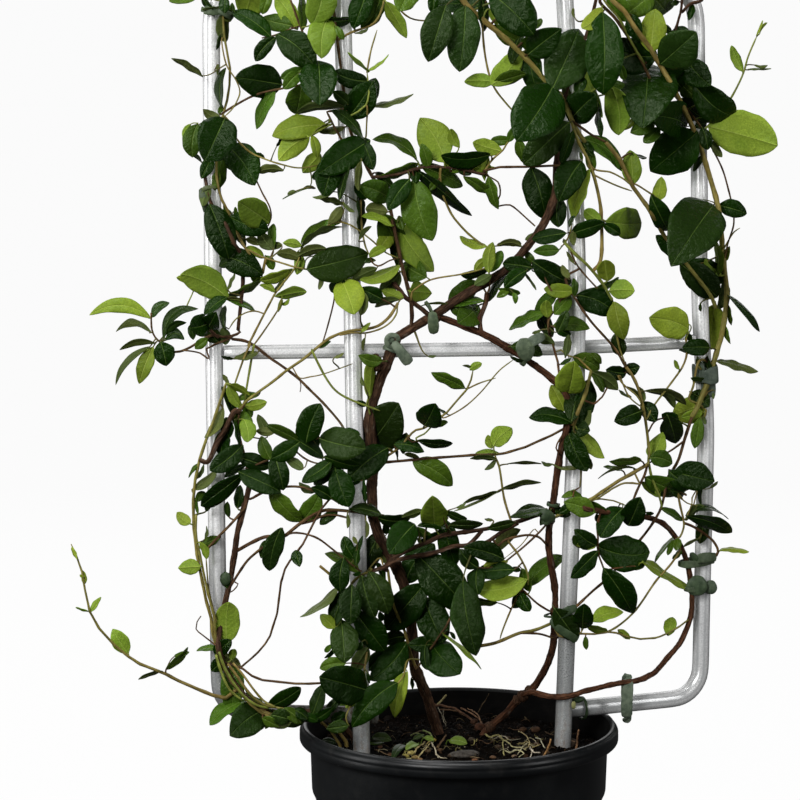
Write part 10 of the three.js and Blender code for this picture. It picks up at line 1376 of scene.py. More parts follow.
def steel_material():
    m = Mat("galvanised_tube")
    cell = m.nt.nodes.new("ShaderNodeTexVoronoi")
    cell.inputs["Scale"].default_value = 240
    m.link(m.coords((1, 1, 0.6)), cell.inputs["Vector"])
    sepc = m.nt.nodes.new("ShaderNodeSeparateColor")
    m.link(cell.outputs["Color"], sepc.inputs[0])
    spangle = sepc.outputs[0]
    big = m.noise(26, 3.0, 0.6, stretch=(1, 1, 0.3))
    fine = m.noise(900, 3.0, 0.65)
    sepz = m.nt.nodes.new("ShaderNodeSeparateXYZ")
    m.link(m.coords(), sepz.inputs[0])
    low = m.mapr(m.math("ADD", sepz.outputs[2], m.math("MULTIPLY", big, 0.06)), 0.30, 0.44, 1.0, 0.0)
    low = m.math("MULTIPLY", low, m.mapr(sepz.outputs[0], 0.100, 0.150, 1.0, 0.35))
    base = m.mix(spangle, (0.93, 0.935, 0.935), (0.985, 0.985, 0.985))
    base = m.mix(m.math("MULTIPLY", low, 0.9), base, (0.30, 0.315, 0.31))
    base = m.mix(m.mapr(fine, 0.36, 0.64), m.mix(1.0, base, (0.80, 0.80, 0.80), "MULTIPLY"), m.mix(1.0, base, (1.06, 1.06, 1.06), "MULTIPLY"))
    speck = m.mapr(m.noise(1500, 2.0), 0.55, 0.68)
    base = m.mix(m.math("MULTIPLY", speck, m.math("MULTIPLY", low, 0.5)), base, (0.93, 0.93, 0.92))
    stain = m.attr("stain", "Fac")
    sn = m.mapr(m.noise(240, 4.0, 0.65, stretch=(1, 1, 0.5)), 0.42, 0.62)
    base = m.mix(m.math("MULTIPLY", stain, sn), base, (0.19, 0.135, 0.09))
    # Painted shade: where the stain value passes 1 (only the left end of the bottom rail), the tube is painted
    # near-black and made less metallic, standing in for shade under leaves and stems.
    painted_shade = m.mapr(stain, 1.0, 1.9)
    # Painted reflection: keyed to the viewing angle, a mid-grey streak on each side of the tube's middle and dark grey
    # edges, standing in for reflections of dark surroundings.
    lw = m.nt.nodes.new("ShaderNodeLayerWeight")
    lw.inputs["Blend"].default_value = 0.5
    face = m.math("ADD", lw.outputs["Facing"], m.math("MULTIPLY", m.math("SUBTRACT", m.noise(9, 2.0, stretch=(1, 1, 0.25)), 0.5), 0.10))
    line = m.math("MULTIPLY", m.mapr(face, 0.055, 0.11), m.mapr(face, 0.17, 0.25, 1.0, 0.0))
    base = m.mix(m.math("MULTIPLY", line, 0.50), base, (0.34, 0.35, 0.355))
    painted_dark_rim = m.mapr(face, 0.58, 0.84, 0.0, 0.85)
    base = m.mix(painted_dark_rim, base, (0.14, 0.15, 0.155))
    base = m.mix(m.math("MULTIPLY", painted_shade, m.mapr(sn, 0.0, 0.6, 0.78, 1.0)), base, (0.035, 0.026, 0.014))
    m.color(base)
    rough = m.math("ADD", m.math("MULTIPLY", fine, 0.08), m.math("ADD", m.math("MULTIPLY", low, 0.10), 0.14))
    m.rough(m.math("ADD", rough, m.math("MULTIPLY", stain, 0.3)))
    metal = m.math("ADD", 0.14, m.math("MULTIPLY", low, 0.30))
    m.link(m.math("SUBTRACT", metal, m.math("MULTIPLY", m.math("MULTIPLY", stain, m.math("ADD", sn, painted_shade)), 0.4), clamp=True), m.b.inputs["Metallic"])
    m.set(spec=0.6, coat=0.35, coat_rough=0.09)
    m.bump(m.math("ADD", m.math("MULTIPLY", fine, 0.6), m.math("MULTIPLY", big, 0.5)), 0.10, 0.0005)
    return m.m


def pot_material():
    m = Mat("pot_plastic")
    n1 = m.noise(14, 4.0, 0.6)
    n2 = m.noise(700, 3.0)
    ring = m.noise(60, 3.0, 0.5, stretch=(0.05, 0.05, 3.0))
    dust = m.attr("dust", "Fac")
    inner = m.attr("inner", "Fac")
    col = m.mix(m.mapr(n1, 0.35, 0.7), (0.0034, 0.0040, 0.0046), (0.0070, 0.0080, 0.0086))
    dn = m.mapr(m.noise(70, 5.0, 0.65), 0.50, 0.74, 0.0, 1.0)
    col = m.mix(m.math("MULTIPLY", dust, dn), col, (0.026, 0.023, 0.020))
    # Painted shade: the inner faces of the rim are painted darker than the outside plastic.
    col = m.mix(inner, col, (0.0016, 0.0015, 0.0014))
    m.color(col)
    r = m.math("ADD", m.mapr(n1, 0.3, 0.75, 0.26, 0.38), m.math("MULTIPLY", n2, 0.1))
    r = m.math("ADD", r, m.math("MULTIPLY", m.math("MULTIPLY", dust, dn), 0.3))
    m.rough(m.math("ADD", r, m.math("MULTIPLY", inner, 0.5), clamp=True))
    m.set(spec=0.31)
    m.bump(m.math("ADD", m.math("MULTIPLY", n2, 0.35), ring), 0.16, 0.0005)
    return m.m


# Painted shade: the inside of the pot wall is the same plastic, given a darker colour than the outside.
def pot_inside_shade_material():
    m = Mat("pot_inside")
    n1 = m.noise(90, 4.0, 0.6)
    m.color(m.mix(m.mapr(n1, 0.4, 0.7), (0.0015, 0.0014, 0.0013), (0.0042, 0.0036, 0.0030)))
    m.set(rough=0.8, spec=0.06)
    m.bump(n1, 0.2, 0.0005)
    return m.m


def soil_material():
    m = Mat("compost")
    n1 = m.noise(60, 5.0, 0.65)
    n2 = m.noise(520, 4.0, 0.6)
    v = m.voronoi(330, "F1")
    col = m.mix(m.mapr(n1, 0.36, 0.72), (0.0013, 0.0009, 0.0006), (0.0058, 0.0036, 0.0021))
    col = m.mix(m.mapr(n2, 0.62, 0.74, 0.0, 0.55), col, (0.028, 0.017, 0.009))
    m.color(col)
    m.rough(m.mapr(n2, 0.2, 0.8, 0.86, 0.98))
    m.set(spec=0.02)
    m.bump(m.math("ADD", m.math("MULTIPLY", n2, 0.8), m.math("MULTIPLY", v, 0.8)), 0.9, 0.0018)
    return m.m


def debris_material():
    m = Mat("plant_litter")
    tone = m.attr("tone", "Color")
    n1 = m.noise(330, 4.0, 0.6)
    n2 = m.noise(1200, 2.0)
    col = m.mix(m.mapr(n1, 0.3, 0.7), m.mix(1.0, tone, (0.5, 0.48, 0.45), "MULTIPLY"), m.mix(1.0, tone, (1.3, 1.3, 1.25), "MULTIPLY"))
    m.color(col)
    m.rough(m.mapr(n2, 0.2, 0.8, 0.62, 0.92))
    m.set(spec=0.10)
    m.bump(m.math("ADD", n1, m.math("MULTIPLY", n2, 0.5)), 0.5, 0.0005)
    return m.m


def tie_material():
    m = Mat("soft_tie")
    tone = m.attr("tone", "Color")
    n1 = m.noise(190, 4.0, 0.62)
    n2 = m.noise(1300, 2.0)
    col = m.mix(m.mapr(n1, 0.3, 0.72), m.mix(1.0, tone, (0.62, 0.66, 0.62), "MULTIPLY"), m.mix(1.0, tone, (1.35, 1.3, 1.25), "MULTIPLY"))
    fleck = m.mapr(m.noise(620, 3.0, 0.65), 0.60, 0.70, 0.0, 0.5)
    col = m.mix(fleck, col, m.mix(1.0, tone, (2.3, 2.1, 2.3), "MULTIPLY"))
    m.color(col)
    m.rough(m.mapr(n1, 0.2, 0.8, 0.42, 0.6))
    m.set(spec=0.28)
    m.bump(m.math("ADD", n1, m.math("MULTIPLY", n2, 0.3)), 0.35, 0.0006)
    return m.m


def floor_material():
    m = Mat("pale_floor")
    n = m.noise(1.3, 3.0)
    m.color(m.mix(m.mapr(n, 0.2, 0.8), (0.018, 0.018, 0.018), (0.022, 0.022, 0.022)))
    m.set(rough=0.85, spec=0.1)
    e = m.b.inputs["Emission Color"]
    e.default_value = (1.0, 1.0, 1.0, 1)
    m.b.inputs["Emission Strength"].default_value = FLOOR_GLOW
    return m.m


FLOOR_GLOW = 0.9605

LEAF_MATS = [
    leaf_material("leaf_glossy", 0.185, 0.17, 0.0, 0.10, 0.50, (0.016, 0.034, 0.006), 0.80, (0.105, 0.160, 0.036), 1.0),
    leaf_material("leaf_mid", 0.28, 0.17, 0.0, 0.2, 0.50, (0.050, 0.070, 0.016), 0.66, (0.110, 0.140, 0.040), 0.8),
    leaf_material("leaf_young", 0.42, 0.16, 0.0, 0.3, 0.50, (0.09, 0.10, 0.03), 0.50, (0.13, 0.14, 0.05), 0.4),
    leaf_material("leaf_dull", 0.46, 0.18, 0.0, 0.3, 0.46, (0.05, 0.06, 0.025), 0.60, (0.07, 0.085, 0.03), 0.6),
]
BARK = bark_material()
SHOOT = shoot_material()
STEEL = steel_material()
POT = pot_material()
POT_INSIDE_SHADE = pot_inside_shade_material()
SOIL = soil_material()
LITTER = debris_material()
TIE = tie_material()

# ---------------------------------------------------------------- leaves
PROFILE_T = np.array([0, 0.04, 0.10, 0.20, 0.32, 0.45, 0.58, 0.70, 0.80, 0.88, 0.94, 0.975, 1.0])
ACUTE = np.array([0, 0.20, 0.43, 0.72, 0.92, 1.0, 0.96, 0.82, 0.63, 0.43, 0.25, 0.13, 0.0])
BLUNT = np.array([0, 0.33, 0.57, 0.82, 0.955, 1.0, 0.99, 0.92, 0.80, 0.63, 0.42, 0.21, 0.0])
ROWS = 17
COLS = np.array([-1, -0.74, -0.44, -0.18, -0.055, 0, 0.055, 0.18, 0.44, 0.74, 1.0])
NC = len(COLS)
# rows closer at both ends
TT = np.linspace(0, 1, ROWS)
TT = 0.5 - 0.5 * np.cos(np.pi * TT)
TT = 0.55 * TT + 0.45 * np.linspace(0, 1, ROWS)

# upper and lower face colours by kind (linear)
# 'l' colours are partly the young leaves' own light green and partly painted light shining through the thin blade.
# Painted sheen: 'g' is the dark leaf colour made paler and greyer to show a grey sheen.
UPPER = {"d": (0.0068, 0.0265, 0.0013), "g": (0.0150, 0.0350, 0.0050), "m": (0.060, 0.120, 0.0095), "l": (0.205, 0.300, 0.028), "u": (0.074, 0.104, 0.022)}
LOWER = {"d": (0.060, 0.110, 0.022), "g": (0.060, 0.100, 0.026), "m": (0.110, 0.185, 0.024), "l": (0.240, 0.340, 0.036), "u": (0.100, 0.130, 0.034)}
MATOF = {"d": 0, "g": 0, "m": 1, "l": 2, "u": 3}


def leaf_mesh(L, W, rnd, kind, bow, edge_on=0.0):
    """One blade in its own axes: x along, y across, z out of the upper face. Closed, thin."""
    mixp = rnd.uniform(0.15, 1.0)
    prof = ACUTE * (1 - mixp) + BLUNT * mixp
    where = rnd.uniform(-0.06, 0.05)
    tw = np.clip(TT + where * np.sin(np.pi * TT), 0, 1)
    h = np.interp(tw, PROFILE_T, prof)
    hs = h.copy()
    hs[1:-1] = 0.25 * h[:-2] + 0.5 * h[1:-1] + 0.25 * h[2:]
    h = np.where((TT > 0.06) & (TT < 0.94), hs, h)
    h[0] = 0.045
    h[-1] = 0.02
    fold = rnd.uniform(0.02, 0.24)
    calm = 1 - 0.65 * edge_on
    arch = rnd.choice([rnd.uniform(0.02, 0.07), rnd.uniform(0.06, 0.13)]) * L * calm
    hook = rnd.uniform(-0.02, 0.09) * L * calm
    roll = rnd.uniform(-0.03, 0.06) * W
    amp = rnd.uniform(0.014, 0.065) * W
    f1, p1, p2 = rnd.uniform(1.3, 2.8), rnd.uniform(0, 6.28), rnd.uniform(0, 6.28)
    skew = rnd.uniform(-0.09, 0.09)
    twist = math.radians(rnd.uniform(-20, 20))
    t = TT[:, None]
    s = COLS[None, :]
    ragged = 1 + 0.025 * np.sin(TT * rnd.uniform(14, 22) + p1)[:, None] * np.abs(s) ** 3
    hw = h[:, None] * W / 2
    y = s * hw * (1 + skew * np.sign(s)) * ragged
    x = t * L + 0 * s
    z = fold * np.abs(y) * (1 - 0.35 * np.abs(s)) * (1 - 0.45 * t) + arch * 4 * t * (1 - t) - hook * np.clip((t - 0.62) / 0.38, 0, 1) ** 2 - roll * np.abs(s) ** 3 * np.sin(np.pi * t)
    z = z + amp * np.abs(s) ** 2 * np.sin(2 * np.pi * f1 * t + np.where(s > 0, p1, p2)) * np.sin(np.pi * t)
    ang = twist * (t - 0.35)
    c_, s_ = np.cos(ang), np.sin(ang)
    zc = arch * 4 * t * (1 - t) - hook * np.clip((t - 0.62) / 0.38, 0, 1) ** 2
    y2 = y * c_ - (z - zc) * s_
    z2 = y * s_ + (z - zc) * c_ + zc
    rest = 0.5 * arch
    z2 = z2 - rest
    yb = y2 + bow * 4 * t * (1 - t)
    groove = 0.28 * np.exp(-((s * W / 2) / 0.9) ** 2) * np.minimum(1, h[:, None] * 4)
    thick = 0.30 - 0.12 * np.abs(s)
    top = np.stack([x, yb, z2 + thick - groove], -1).reshape(-1, 3)
    bot = np.stack([x, yb, z2 - thick - groove * 1.15], -1).reshape(-1, 3)
    V = np.concatenate([top, bot])
    i = np.arange(ROWS - 1)[:, None] * NC
    j = np.arange(NC - 1)[None, :]
    a, b, c, d = i + j, i + j + NC, i + j + NC + 1, i + j + 1
    qt = np.stack([a, b, c, d], -1).reshape(-1, 4)
    o = ROWS * NC
    qb = np.stack([a, d, c, b], -1).reshape(-1, 4) + o
    r = np.arange(ROWS - 1) * NC
    left = np.stack([r, r + o, r + NC + o, r + NC], -1)
    e = NC - 1
    right = np.stack([r + e, r + NC + e, r + NC + e + o, r + e + o], -1)
    k = np.arange(NC - 1)
    front = np.stack([k, k + 1, k + 1 + o, k + o], -1)
    z0 = (ROWS - 1) * NC
    back = np.stack([z0 + k, z0 + k + o, z0 + k + 1 + o, z0 + k + 1], -1)
    Q = np.concatenate([qt, qb, left, right, front, back])
    pitch = max(3.4, L / rnd.uniform(7.5, 9.5))
    run = (x - 0.42 * np.abs(y) - 0.85 * y * y / max(W, 6)) / pitch
    blade = np.stack([run, y, np.ones_like(x)], -1).reshape(-1, 3)
    blade2 = blade.copy()
    blade2[:, 2] = 0.0
    return V, Q, np.concatenate([blade, blade2]), np.tile(TT[:, None] + 0 * s, 1).ravel(), np.abs(s + 0 * t).ravel(), rest


def flip_if_inward(V, Q):
    """Makes the closed mesh face outwards."""
    a, b, c, d = (V[Q[:, i]] for i in range(4))
    vol = (np.einsum("ij,ij->i", a, np.cross(b, c)) + np.einsum("ij,ij->i", a, np.cross(c, d))).sum()
    return Q if vol > 0 else Q[:, ::-1]


def tint(c, k, warm):
    c = np.array(c) * k
    return np.array([c[0] * (1 + warm), c[1], c[2] * (1 - 0.4 * warm)])


def bezier(p0, p1, p2, p3, n):
    t = np.linspace(0, 1, n)[:, None]
    return (1 - t) ** 3 * p0 + 3 * (1 - t) ** 2 * t * p1 + 3 * (1 - t) * t * t * p2 + t ** 3 * p3


leaf_rows = []
for line in LEAVES.strip().splitlines():
    f = line.split()
    v = lambda s: np.array([float(q) for q in s.split(",")])
    leaf_rows.append(dict(k=int(f[0]), plant=f[1], kind=f[2], up=f[3] == "1", back=f[4] == "1", base=v(f[5]), tip=v(f[6]), side=unit(v(f[7])), nrm=unit(v(f[8])), w=float(f[9]), bow=float(f[10]), src=v(f[11]), rs=float(f[12])))

ZONES = [("top", 690, 2000), ("upper", 545, 690), ("middle", 385, 545), ("low", -50, 385)]
leaf_sets = {}
petiole_sets = {}
for lf in leaf_rows:
    rnd = random.Random(9000 + lf["k"])
    base, tip = lf["base"].copy(), lf["tip"].copy()
    base[2] = max(base[2], SOIL_Z + 2)
    tip[2] = max(tip[2], SOIL_Z + 3) if math.hypot(tip[0], tip[1]) < 124 else tip[2]
    ax = tip - base
    L = float(np.linalg.norm(ax))
    ax = ax / L
    kind = lf["kind"]
    W = max(lf["w"], 2.2)
    side = lf["side"] - ax * (lf["side"] @ ax)
    side = unit(side)
    nrm = np.cross(ax, side)
    if nrm @ lf["nrm"] < 0:
        side = -side
        nrm = -nrm
    edge_on = 1 - abs(float(nrm @ np.array([-0.149, -0.981, 0.121])))
    V, Q, blade, t, s, rest = leaf_mesh(L, W, rnd, kind, lf["bow"] * (1 if (side @ np.array([1.0, 0, 0])) > 0 else -1), edge_on)
    world = base + V[:, :1] * ax + V[:, 1:2] * side + V[:, 2:] * nrm
    k = rnd.uniform(0.64, 1.34)
    warm = rnd.uniform(-0.08, 0.14)
    up, lo = tint(UPPER[kind], k, warm), tint(LOWER[kind], rnd.uniform(0.85, 1.15), warm)
    n = ROWS * NC
    # blade colour: a little paler near the base and edge
    grad = (0.86 + 0.26 * (1 - t))[:, None]
    edge = (1.0 + 0.14 * np.clip((s - 0.8) / 0.2, 0, 1))[:, None]
    tone = np.concatenate([up[None, :] * grad * edge, lo[None, :] * (0.95 + 0.1 * t)[:, None]])
    zone = next(z for z, a, b in ZONES if a <= base[2] < b)
    key = (lf["plant"], zone)
    bd = leaf_sets.setdefault(key, Build())
    world_q = flip_if_inward(V, Q)
    bd.add(world, world_q if np.linalg.det(np.stack([ax, side, nrm])) > 0 else world_q[:, ::-1], mat=MATOF[kind], tone=tone, blade=blade, big=min(1.0, max(0.0, (W - 5.0) / 9.0)))
    # stalk from the stem to the blade
    src = lf["src"]
    base = base - nrm * rest
    gap = base - src
    g = float(np.linalg.norm(gap))
    if g < 0.5:
        continue
    out = unit(gap)
    inside = src
    if g < 16:
        p1 = src + out * g * 0.42 + np.array([0, 0, 0.08 * g])
        p2 = base - unit(ax + 0.9 * out) * min(g * 0.32, 4)
        P = bezier(inside, p1, p2, base + ax * min(2.2, L * 0.08), 7)
        r0 = min(0.85, max(0.5, lf["rs"] * 0.8))
        R = np.linspace(r0, max(0.42, r0 * 0.75), 7)
        R[0] *= 1.35
    else:
        m = max(8, int(g / 4))
        p1 = src + out * g * 0.35 + np.array([rnd.uniform(-.05, .05), rnd.uniform(-.03, .03), rnd.uniform(-.01, .08)]) * g
        p2 = base - unit(ax + 0.8 * out) * min(g * 0.3, 12)
        P = bezier(inside, p1, p2, base + ax * min(2.2, L * 0.08), m)
        R = np.linspace(min(1.1, max(0.7, lf["rs"] * 0.8)), 0.5, m)
    Vp, Qp, Tp, u, w = sweep(P, R, 6)
    stalk = {"d": (0.075, 0.085, 0.020), "g": (0.075, 0.085, 0.022), "m": (0.115, 0.15, 0.028), "l": (0.20, 0.26, 0.045), "u": (0.12, 0.11, 0.035)}[kind]
    tn = np.array(stalk) * rnd.uniform(0.85, 1.15)
    if rnd.random() < 0.35 and kind in "dgm":
        tn = np.array([0.085, 0.045, 0.02])
    petiole_sets.setdefault(lf["plant"], []).append((Vp, Qp, Tp, tn))

NAMES = {"M": "middle", "R": "right", "L": "left"}
plant_pieces = {"M": [], "R": [], "L": []}
for (plant, zone), bd in sorted(leaf_sets.items()):
    ob = bd.make("%s_leaves_%s" % (NAMES[plant], zone), LEAF_MATS)
    plant_pieces[plant].append(ob)

# ---------------------------------------------------------------- stems
WOOD = {"w": (0.080, 0.044, 0.026), "b": (0.118, 0.068, 0.034), "o": (0.260, 0.200, 0.062), "g": (0.200, 0.250, 0.048)}
stem_rows = []
for line in STEMS.strip().splitlines():
    f = line.split()
    P = np.array([[float(c) for c in p.split(",")] for p in f[5:]])
    stem_rows.append(dict(name=f[0], kind=f[1], plant=f[2], r0=float(f[3]), r1=float(f[4]), P=P))

GIRTH = {"h1": 1.4, "j1": 1.35, "i1": 1.12}
wood_sets = {p: Build() for p in "MRL"}
shoot_sets = {p: Build() for p in "MRL"}
for si, s in enumerate(stem_rows):
    rnd = random.Random(400 + si)
    thick = max(s["r0"], s["r1"])
    step = 2.2 if thick > 2 else 3.0
    P = catmull(s["P"], step)
    if len(P) < 3:
        P = np.array([s["P"][0] + (s["P"][-1] - s["P"][0]) * q for q in np.linspace(0, 1, 4)])
    u = along(P)
    n = len(P)
    R = np.interp(u, [0, u[-1]], [s["r0"], s["r1"]])
    R = R * 0.94 * GIRTH.get(s["name"], 1.0)
    if s["name"] == "T2":
        R = R * np.interp(P[:, 2], [690, 745], [1.0, 0.5])
    sides = 22 if thick > 2.4 else (10 if thick > 1.5 else 7)
    th = 2 * np.pi * np.arange(sides) / sides
    # swellings where leaves or buds sit
    pos = rnd.uniform(8, 22)
    while pos < u[-1]:
        R = R * (1 + (0.16 if s["kind"] != "w" else 0.10) * np.exp(-((u - pos) / (2.2 + thick * 0.5)) ** 2))
        pos += rnd.uniform(17, 34) if s["kind"] != "w" else rnd.uniform(20, 48)
    radial = np.ones((n, sides))
    if s["kind"] == "w":
        a, b = wobble(si * 7 + 1, u / 14.0), wobble(si * 7 + 2, u / 9.0)
        radial += 0.055 * np.sin(2 * th[None, :] + 3 * a[:, None]) + 0.045 * np.sin(3 * th[None, :] + 4 * b[:, None]) + 0.040 * np.sin(6 * th[None, :] + 5 * a[:, None]) + (0.032 if thick > 2.4 else 0) * np.sin(9 * th[None, :] + 7 * b[:, None])
        g = np.random.default_rng(si)
        radial += 0.03 * g.standard_normal((n, sides))
        R = R * (1 + 0.05 * wobble(si + 50, u / 6.0))
    else:
        R = R * (1 + 0.03 * wobble(si + 50, u / 5.0))
    free_tip = s["kind"] in "og" and s["r1"] < 0.95
    if free_tip:
        R = R * np.clip((u[-1] - u) / 9.0 + 0.45, 0, 1)
    V, Q, T, uu, ww = sweep(P, R, sides, radial=radial)
    c0 = np.array(WOOD[s["kind"]]) * rnd.uniform(0.85, 1.18)
    if s["plant"] == "R" and s["kind"] in "wb":
        c0 = c0 * np.array([1.12, 0.90, 0.78])
    # younger towards the tip
    c1 = c0 * 1.05 if s["kind"] == "w" else (c0 * 0.55 + np.array(WOOD["g"]) * 0.45 if s["kind"] in "og" else c0 * 0.75 + np.array(WOOD["o"]) * 0.25)
    f = (uu / max(1e-6, u[-1]))[:, None]
    f = f * f * (3 - 2 * f)
    tone = c0 * (1 - f) + c1 * f
    tone = tone * (1 + 0.12 * wobble(si + 90, uu / 11.0))[:, None]
    old = np.full(len(V), 1.0 if s["kind"] == "w" else 0.35)
    bd = wood_sets if s["kind"] in "wb" else shoot_sets
    rm = float(R.mean())
    bd[s["plant"]].add(V, Q, T, tone=tone, old=old, grain=np.stack([rm * np.cos(2 * math.pi * ww) + si * 7.0, rm * np.sin(2 * math.pi * ww), uu], -1) * MM)
KNOTS = [
    # plant, centre, size
    ("M", (-74.5, -21.6, 531.5), (5.6, 5.0, 6.2)), ("M", (-69.8, -24.0, 530.0), (3.2, 3.0, 3.2)), ("M", (-73.0, -24.5, 525.5), (3.0, 2.6, 2.4)),
    ("M", (-25.0, -22.2, 566.6), (5.4, 4.2, 5.0)),
    ('R', (56.8, 8.4, 238.7), (5.2, 4.8, 5.4)),
    ('R', (62.3, 5.2, 244.0), (4.8, 4.4, 4.6)),
    ('R', (52.3, 10.9, 234.8), (4.0, 3.8, 4.4)),
    ('R', (31.1, 21.1, 209.5), (4.8, 4.4, 5.0)),
    ('R', (78.0, -20.4, 316.9), (4.2, 3.8, 4.6)),
    ('R', (72.8, -25.0, 395.8), (3.9, 3.4, 4.6)),
    ('R', (79.5, -12.4, 294.6), (3.8, 3.4, 4.0)),
]
for ki, (plant, c, size) in enumerate(KNOTS):
    v, f = ICO3
    d = 1 + 0.12 * np.sin(v @ np.array([3.1, 2.2, 4.0]) + ki) * np.cos(v @ np.array([-2.0, 3.4, 2.6]) * 1.7 + ki)
    V = v * d[:, None] * np.array(size, float) + np.array(c, float)
    wood_sets[plant].add(V, tris=f, tone=np.tile(np.array(WOOD["w"]) * 0.95, (len(V), 1)), old=0.8, grain=V * MM)
for plant, rows in petiole_sets.items():
    for Vp, Qp, Tp, tn in rows:
        shoot_sets[plant].add(Vp, Qp, Tp, tone=np.tile(tn, (len(Vp), 1)), old=0.0, grain=Vp * MM)
for p in "MRL":
    if wood_sets[p].n:
        plant_pieces[p].append(wood_sets[p].make("%s_woody_stems" % NAMES[p], [BARK]))
    if shoot_sets[p].n:
        plant_pieces[p].append(shoot_sets[p].make("%s_green_shoots" % NAMES[p], [SHOOT]))
for p, node in (("M", "middle_plant"), ("R", "right_plant"), ("L", "left_plant")):
    for ob in plant_pieces[p]:
        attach(ob, "root")
        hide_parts(node)


# ---------------------------------------------------------------- trellis tubes
def bend(frm, corner, to, radius, steps):
    frm, corner, to = (np.asarray(x, float) for x in (frm, corner, to))
    a, b = unit(frm - corner), unit(to - corner)
    half = math.acos(float(a @ b)) / 2
    reach = radius / math.tan(half)
    c = unit(a + b) * (radius / math.sin(half)) + corner
    p, q = a * reach + corner - c, b * reach + corner - c
    sw = math.acos(float(p @ q) / float(np.linalg.norm(p)) / float(np.linalg.norm(q)))
    return [list((p * math.sin((1 - i / steps) * sw) + q * math.sin(i / steps * sw)) / math.sin(sw) + c) for i in range(steps + 1)]


TOP = 850.0
rail_left = [[-70, -3.3, 229.4], [-144.2, -3.3, 233.6]]
left_up = [[-204.3, -3.3, 382.6], [-205.1, -3.3, 499.4], [-205.8, -3.3, 614.8], [-205.5, -3.3, 777.2]]
top_rail = [[-80, -3.3, TOP], [78, -3.3, TOP], [90, -2.4, TOP], [150, 11.5, TOP]]
right_down = [[206.5, 25.6, 780], [210.9, 26.7, 668], [211.2, 26.8, 610], [213.4, 27.4, 560], [217.6, 28.3, 505], [220.2, 29, 461.9], [219.6, 28.8, 401], [218.3, 28.5, 295.7]]
rail_right = [[160.9, 14.2, 228.3], [123.5, 4.9, 228.2], [98.6, -1.4, 228.4], [90.5, -2.9, 228.5], [86.5, -3.3, 228.6]]
OUTER = (rail_left + bend(rail_left[1], (-203, -3.3, 237.4), left_up[0], 26, 10) + left_up
         + bend(left_up[3], (-205.4, -3.3, TOP), top_rail[0], 42, 12) + top_rail
         + bend(top_rail[3], (205, 25.2, TOP), right_down[0], 42, 12) + right_down
         + bend(right_down[7], (218, 28.4, 228.2), rail_right[0], 26, 10) + rail_right)
LEFT_POST = [[-82.4, -18, 15], [-85.5, -18, 195.1], [-88.7, -18, 398.9], [-91.5, -18, 499.1], [-93.7, -18, 639.3], [-99.1, -18, 777.2], [-101.4, -18, 862]]
RIGHT_POST = [[82, -18, 15], [86, -18, 195.4], [89.1, -18, 292], [92.9, -17.5, 394.3], [95.7, -16.8, 495.6], [96.2, -16.7, 596], [92.1, -17.7, 703.6], [84.1, -18, 813.9], [81.3, -18, 862]]
CROSSBAR = [[-197.7, -4.4, 538.8], [84, -4.4, 538], [96, -3.2, 538.2], [157, 12.1, 538.6], [207, 24.5, 539.1]]


def pipe(P, R, bore, sides=32, stain=None, seed=0):
    """A hollow tube with open, slightly rounded ends."""
    P = np.asarray(P, float)
    n = len(P)
    T, N, B = frames(P)
    a = 2 * math.pi * np.arange(sides) / sides
    rings = []
    c, s_ = np.cos(a)[:, None], np.sin(a)[:, None]
    def ring(p, i, r):
        return p + r * (c * N[i] + s_ * B[i])
    ease = 0.35
    rings.append(ring(P[0], 0, R - ease))
    rings.append(ring(P[0] + T[0] * ease, 0, R))
    for i in range(1, n - 1):
        rings.append(ring(P[i], i, R * (1 + 0.004 * math.sin(i * 1.7 + seed))))
    rings.append(ring(P[-1] - T[-1] * ease, n - 1, R))
    rings.append(ring(P[-1], n - 1, R - ease))
    rings.append(ring(P[-1], n - 1, bore))
    for i in range(n - 2, 0, -1):
        rings.append(ring(P[i], i, bore))
    rings.append(ring(P[0], 0, bore))
    V = np.concatenate(rings)
    m = len(rings)
    i = np.arange(m)[:, None] * sides
    i2 = ((np.arange(m) + 1) % m)[:, None] * sides
    j = np.arange(sides)[None, :]
    j2 = (j + 1) % sides
    Q = np.stack([i + j, i + j2, i2 + j2, i2 + j], -1).reshape(-1, 4)
    st = np.zeros(len(V)) if stain is None else stain(V)
    return V, flip_if_inward(V, Q), st


def dense(points, step=9.0):
    """Extra stations on the straight runs, so stains, painted shade and small bends have somewhere to sit."""
    out = []
    for a, b in zip(points, points[1:]):
        a, b = np.asarray(a, float), np.asarray(b, float)
        n = max(1, int(np.linalg.norm(b - a) / step))
        out += [a + (b - a) * i / n for i in range(n)]
    out.append(np.asarray(points[-1], float))
    return np.array(out)


def rounded(points):
    """The same path with its small kinks eased."""
    P = dense(points, 9.0)
    Q = P.copy()
    for _ in range(2):
        Q[1:-1] = 0.25 * Q[:-2] + 0.5 * Q[1:-1] + 0.25 * Q[2:]
    return Q


def foot_stain(x_side):
    def f(V):
        low = np.clip((262 - V[:, 2]) / 58.0, 0, 1) ** 1.6
        return low * (0.75 + 0.25 * np.clip(x_side * 0.1 * (V[:, 0] - V[:, 0].mean()), -1, 1))
    return f


def stain_and_painted_shade(V):
    base = 0.12 * np.clip(np.sin(V[:, 2] / 31.0 + V[:, 0] / 17.0), 0, 1)
    # Painted shade on the left end of the bottom rail: values up to 2, which the tube material paints near-black; the
    # sine bands above are light staining.
    painted_shade = np.where((V[:, 2] < 250) & (V[:, 0] < 0), np.clip((V[:, 0] + 176) / 30.0, 0, 1) * 2.0, 0)
    return np.maximum(base, painted_shade)


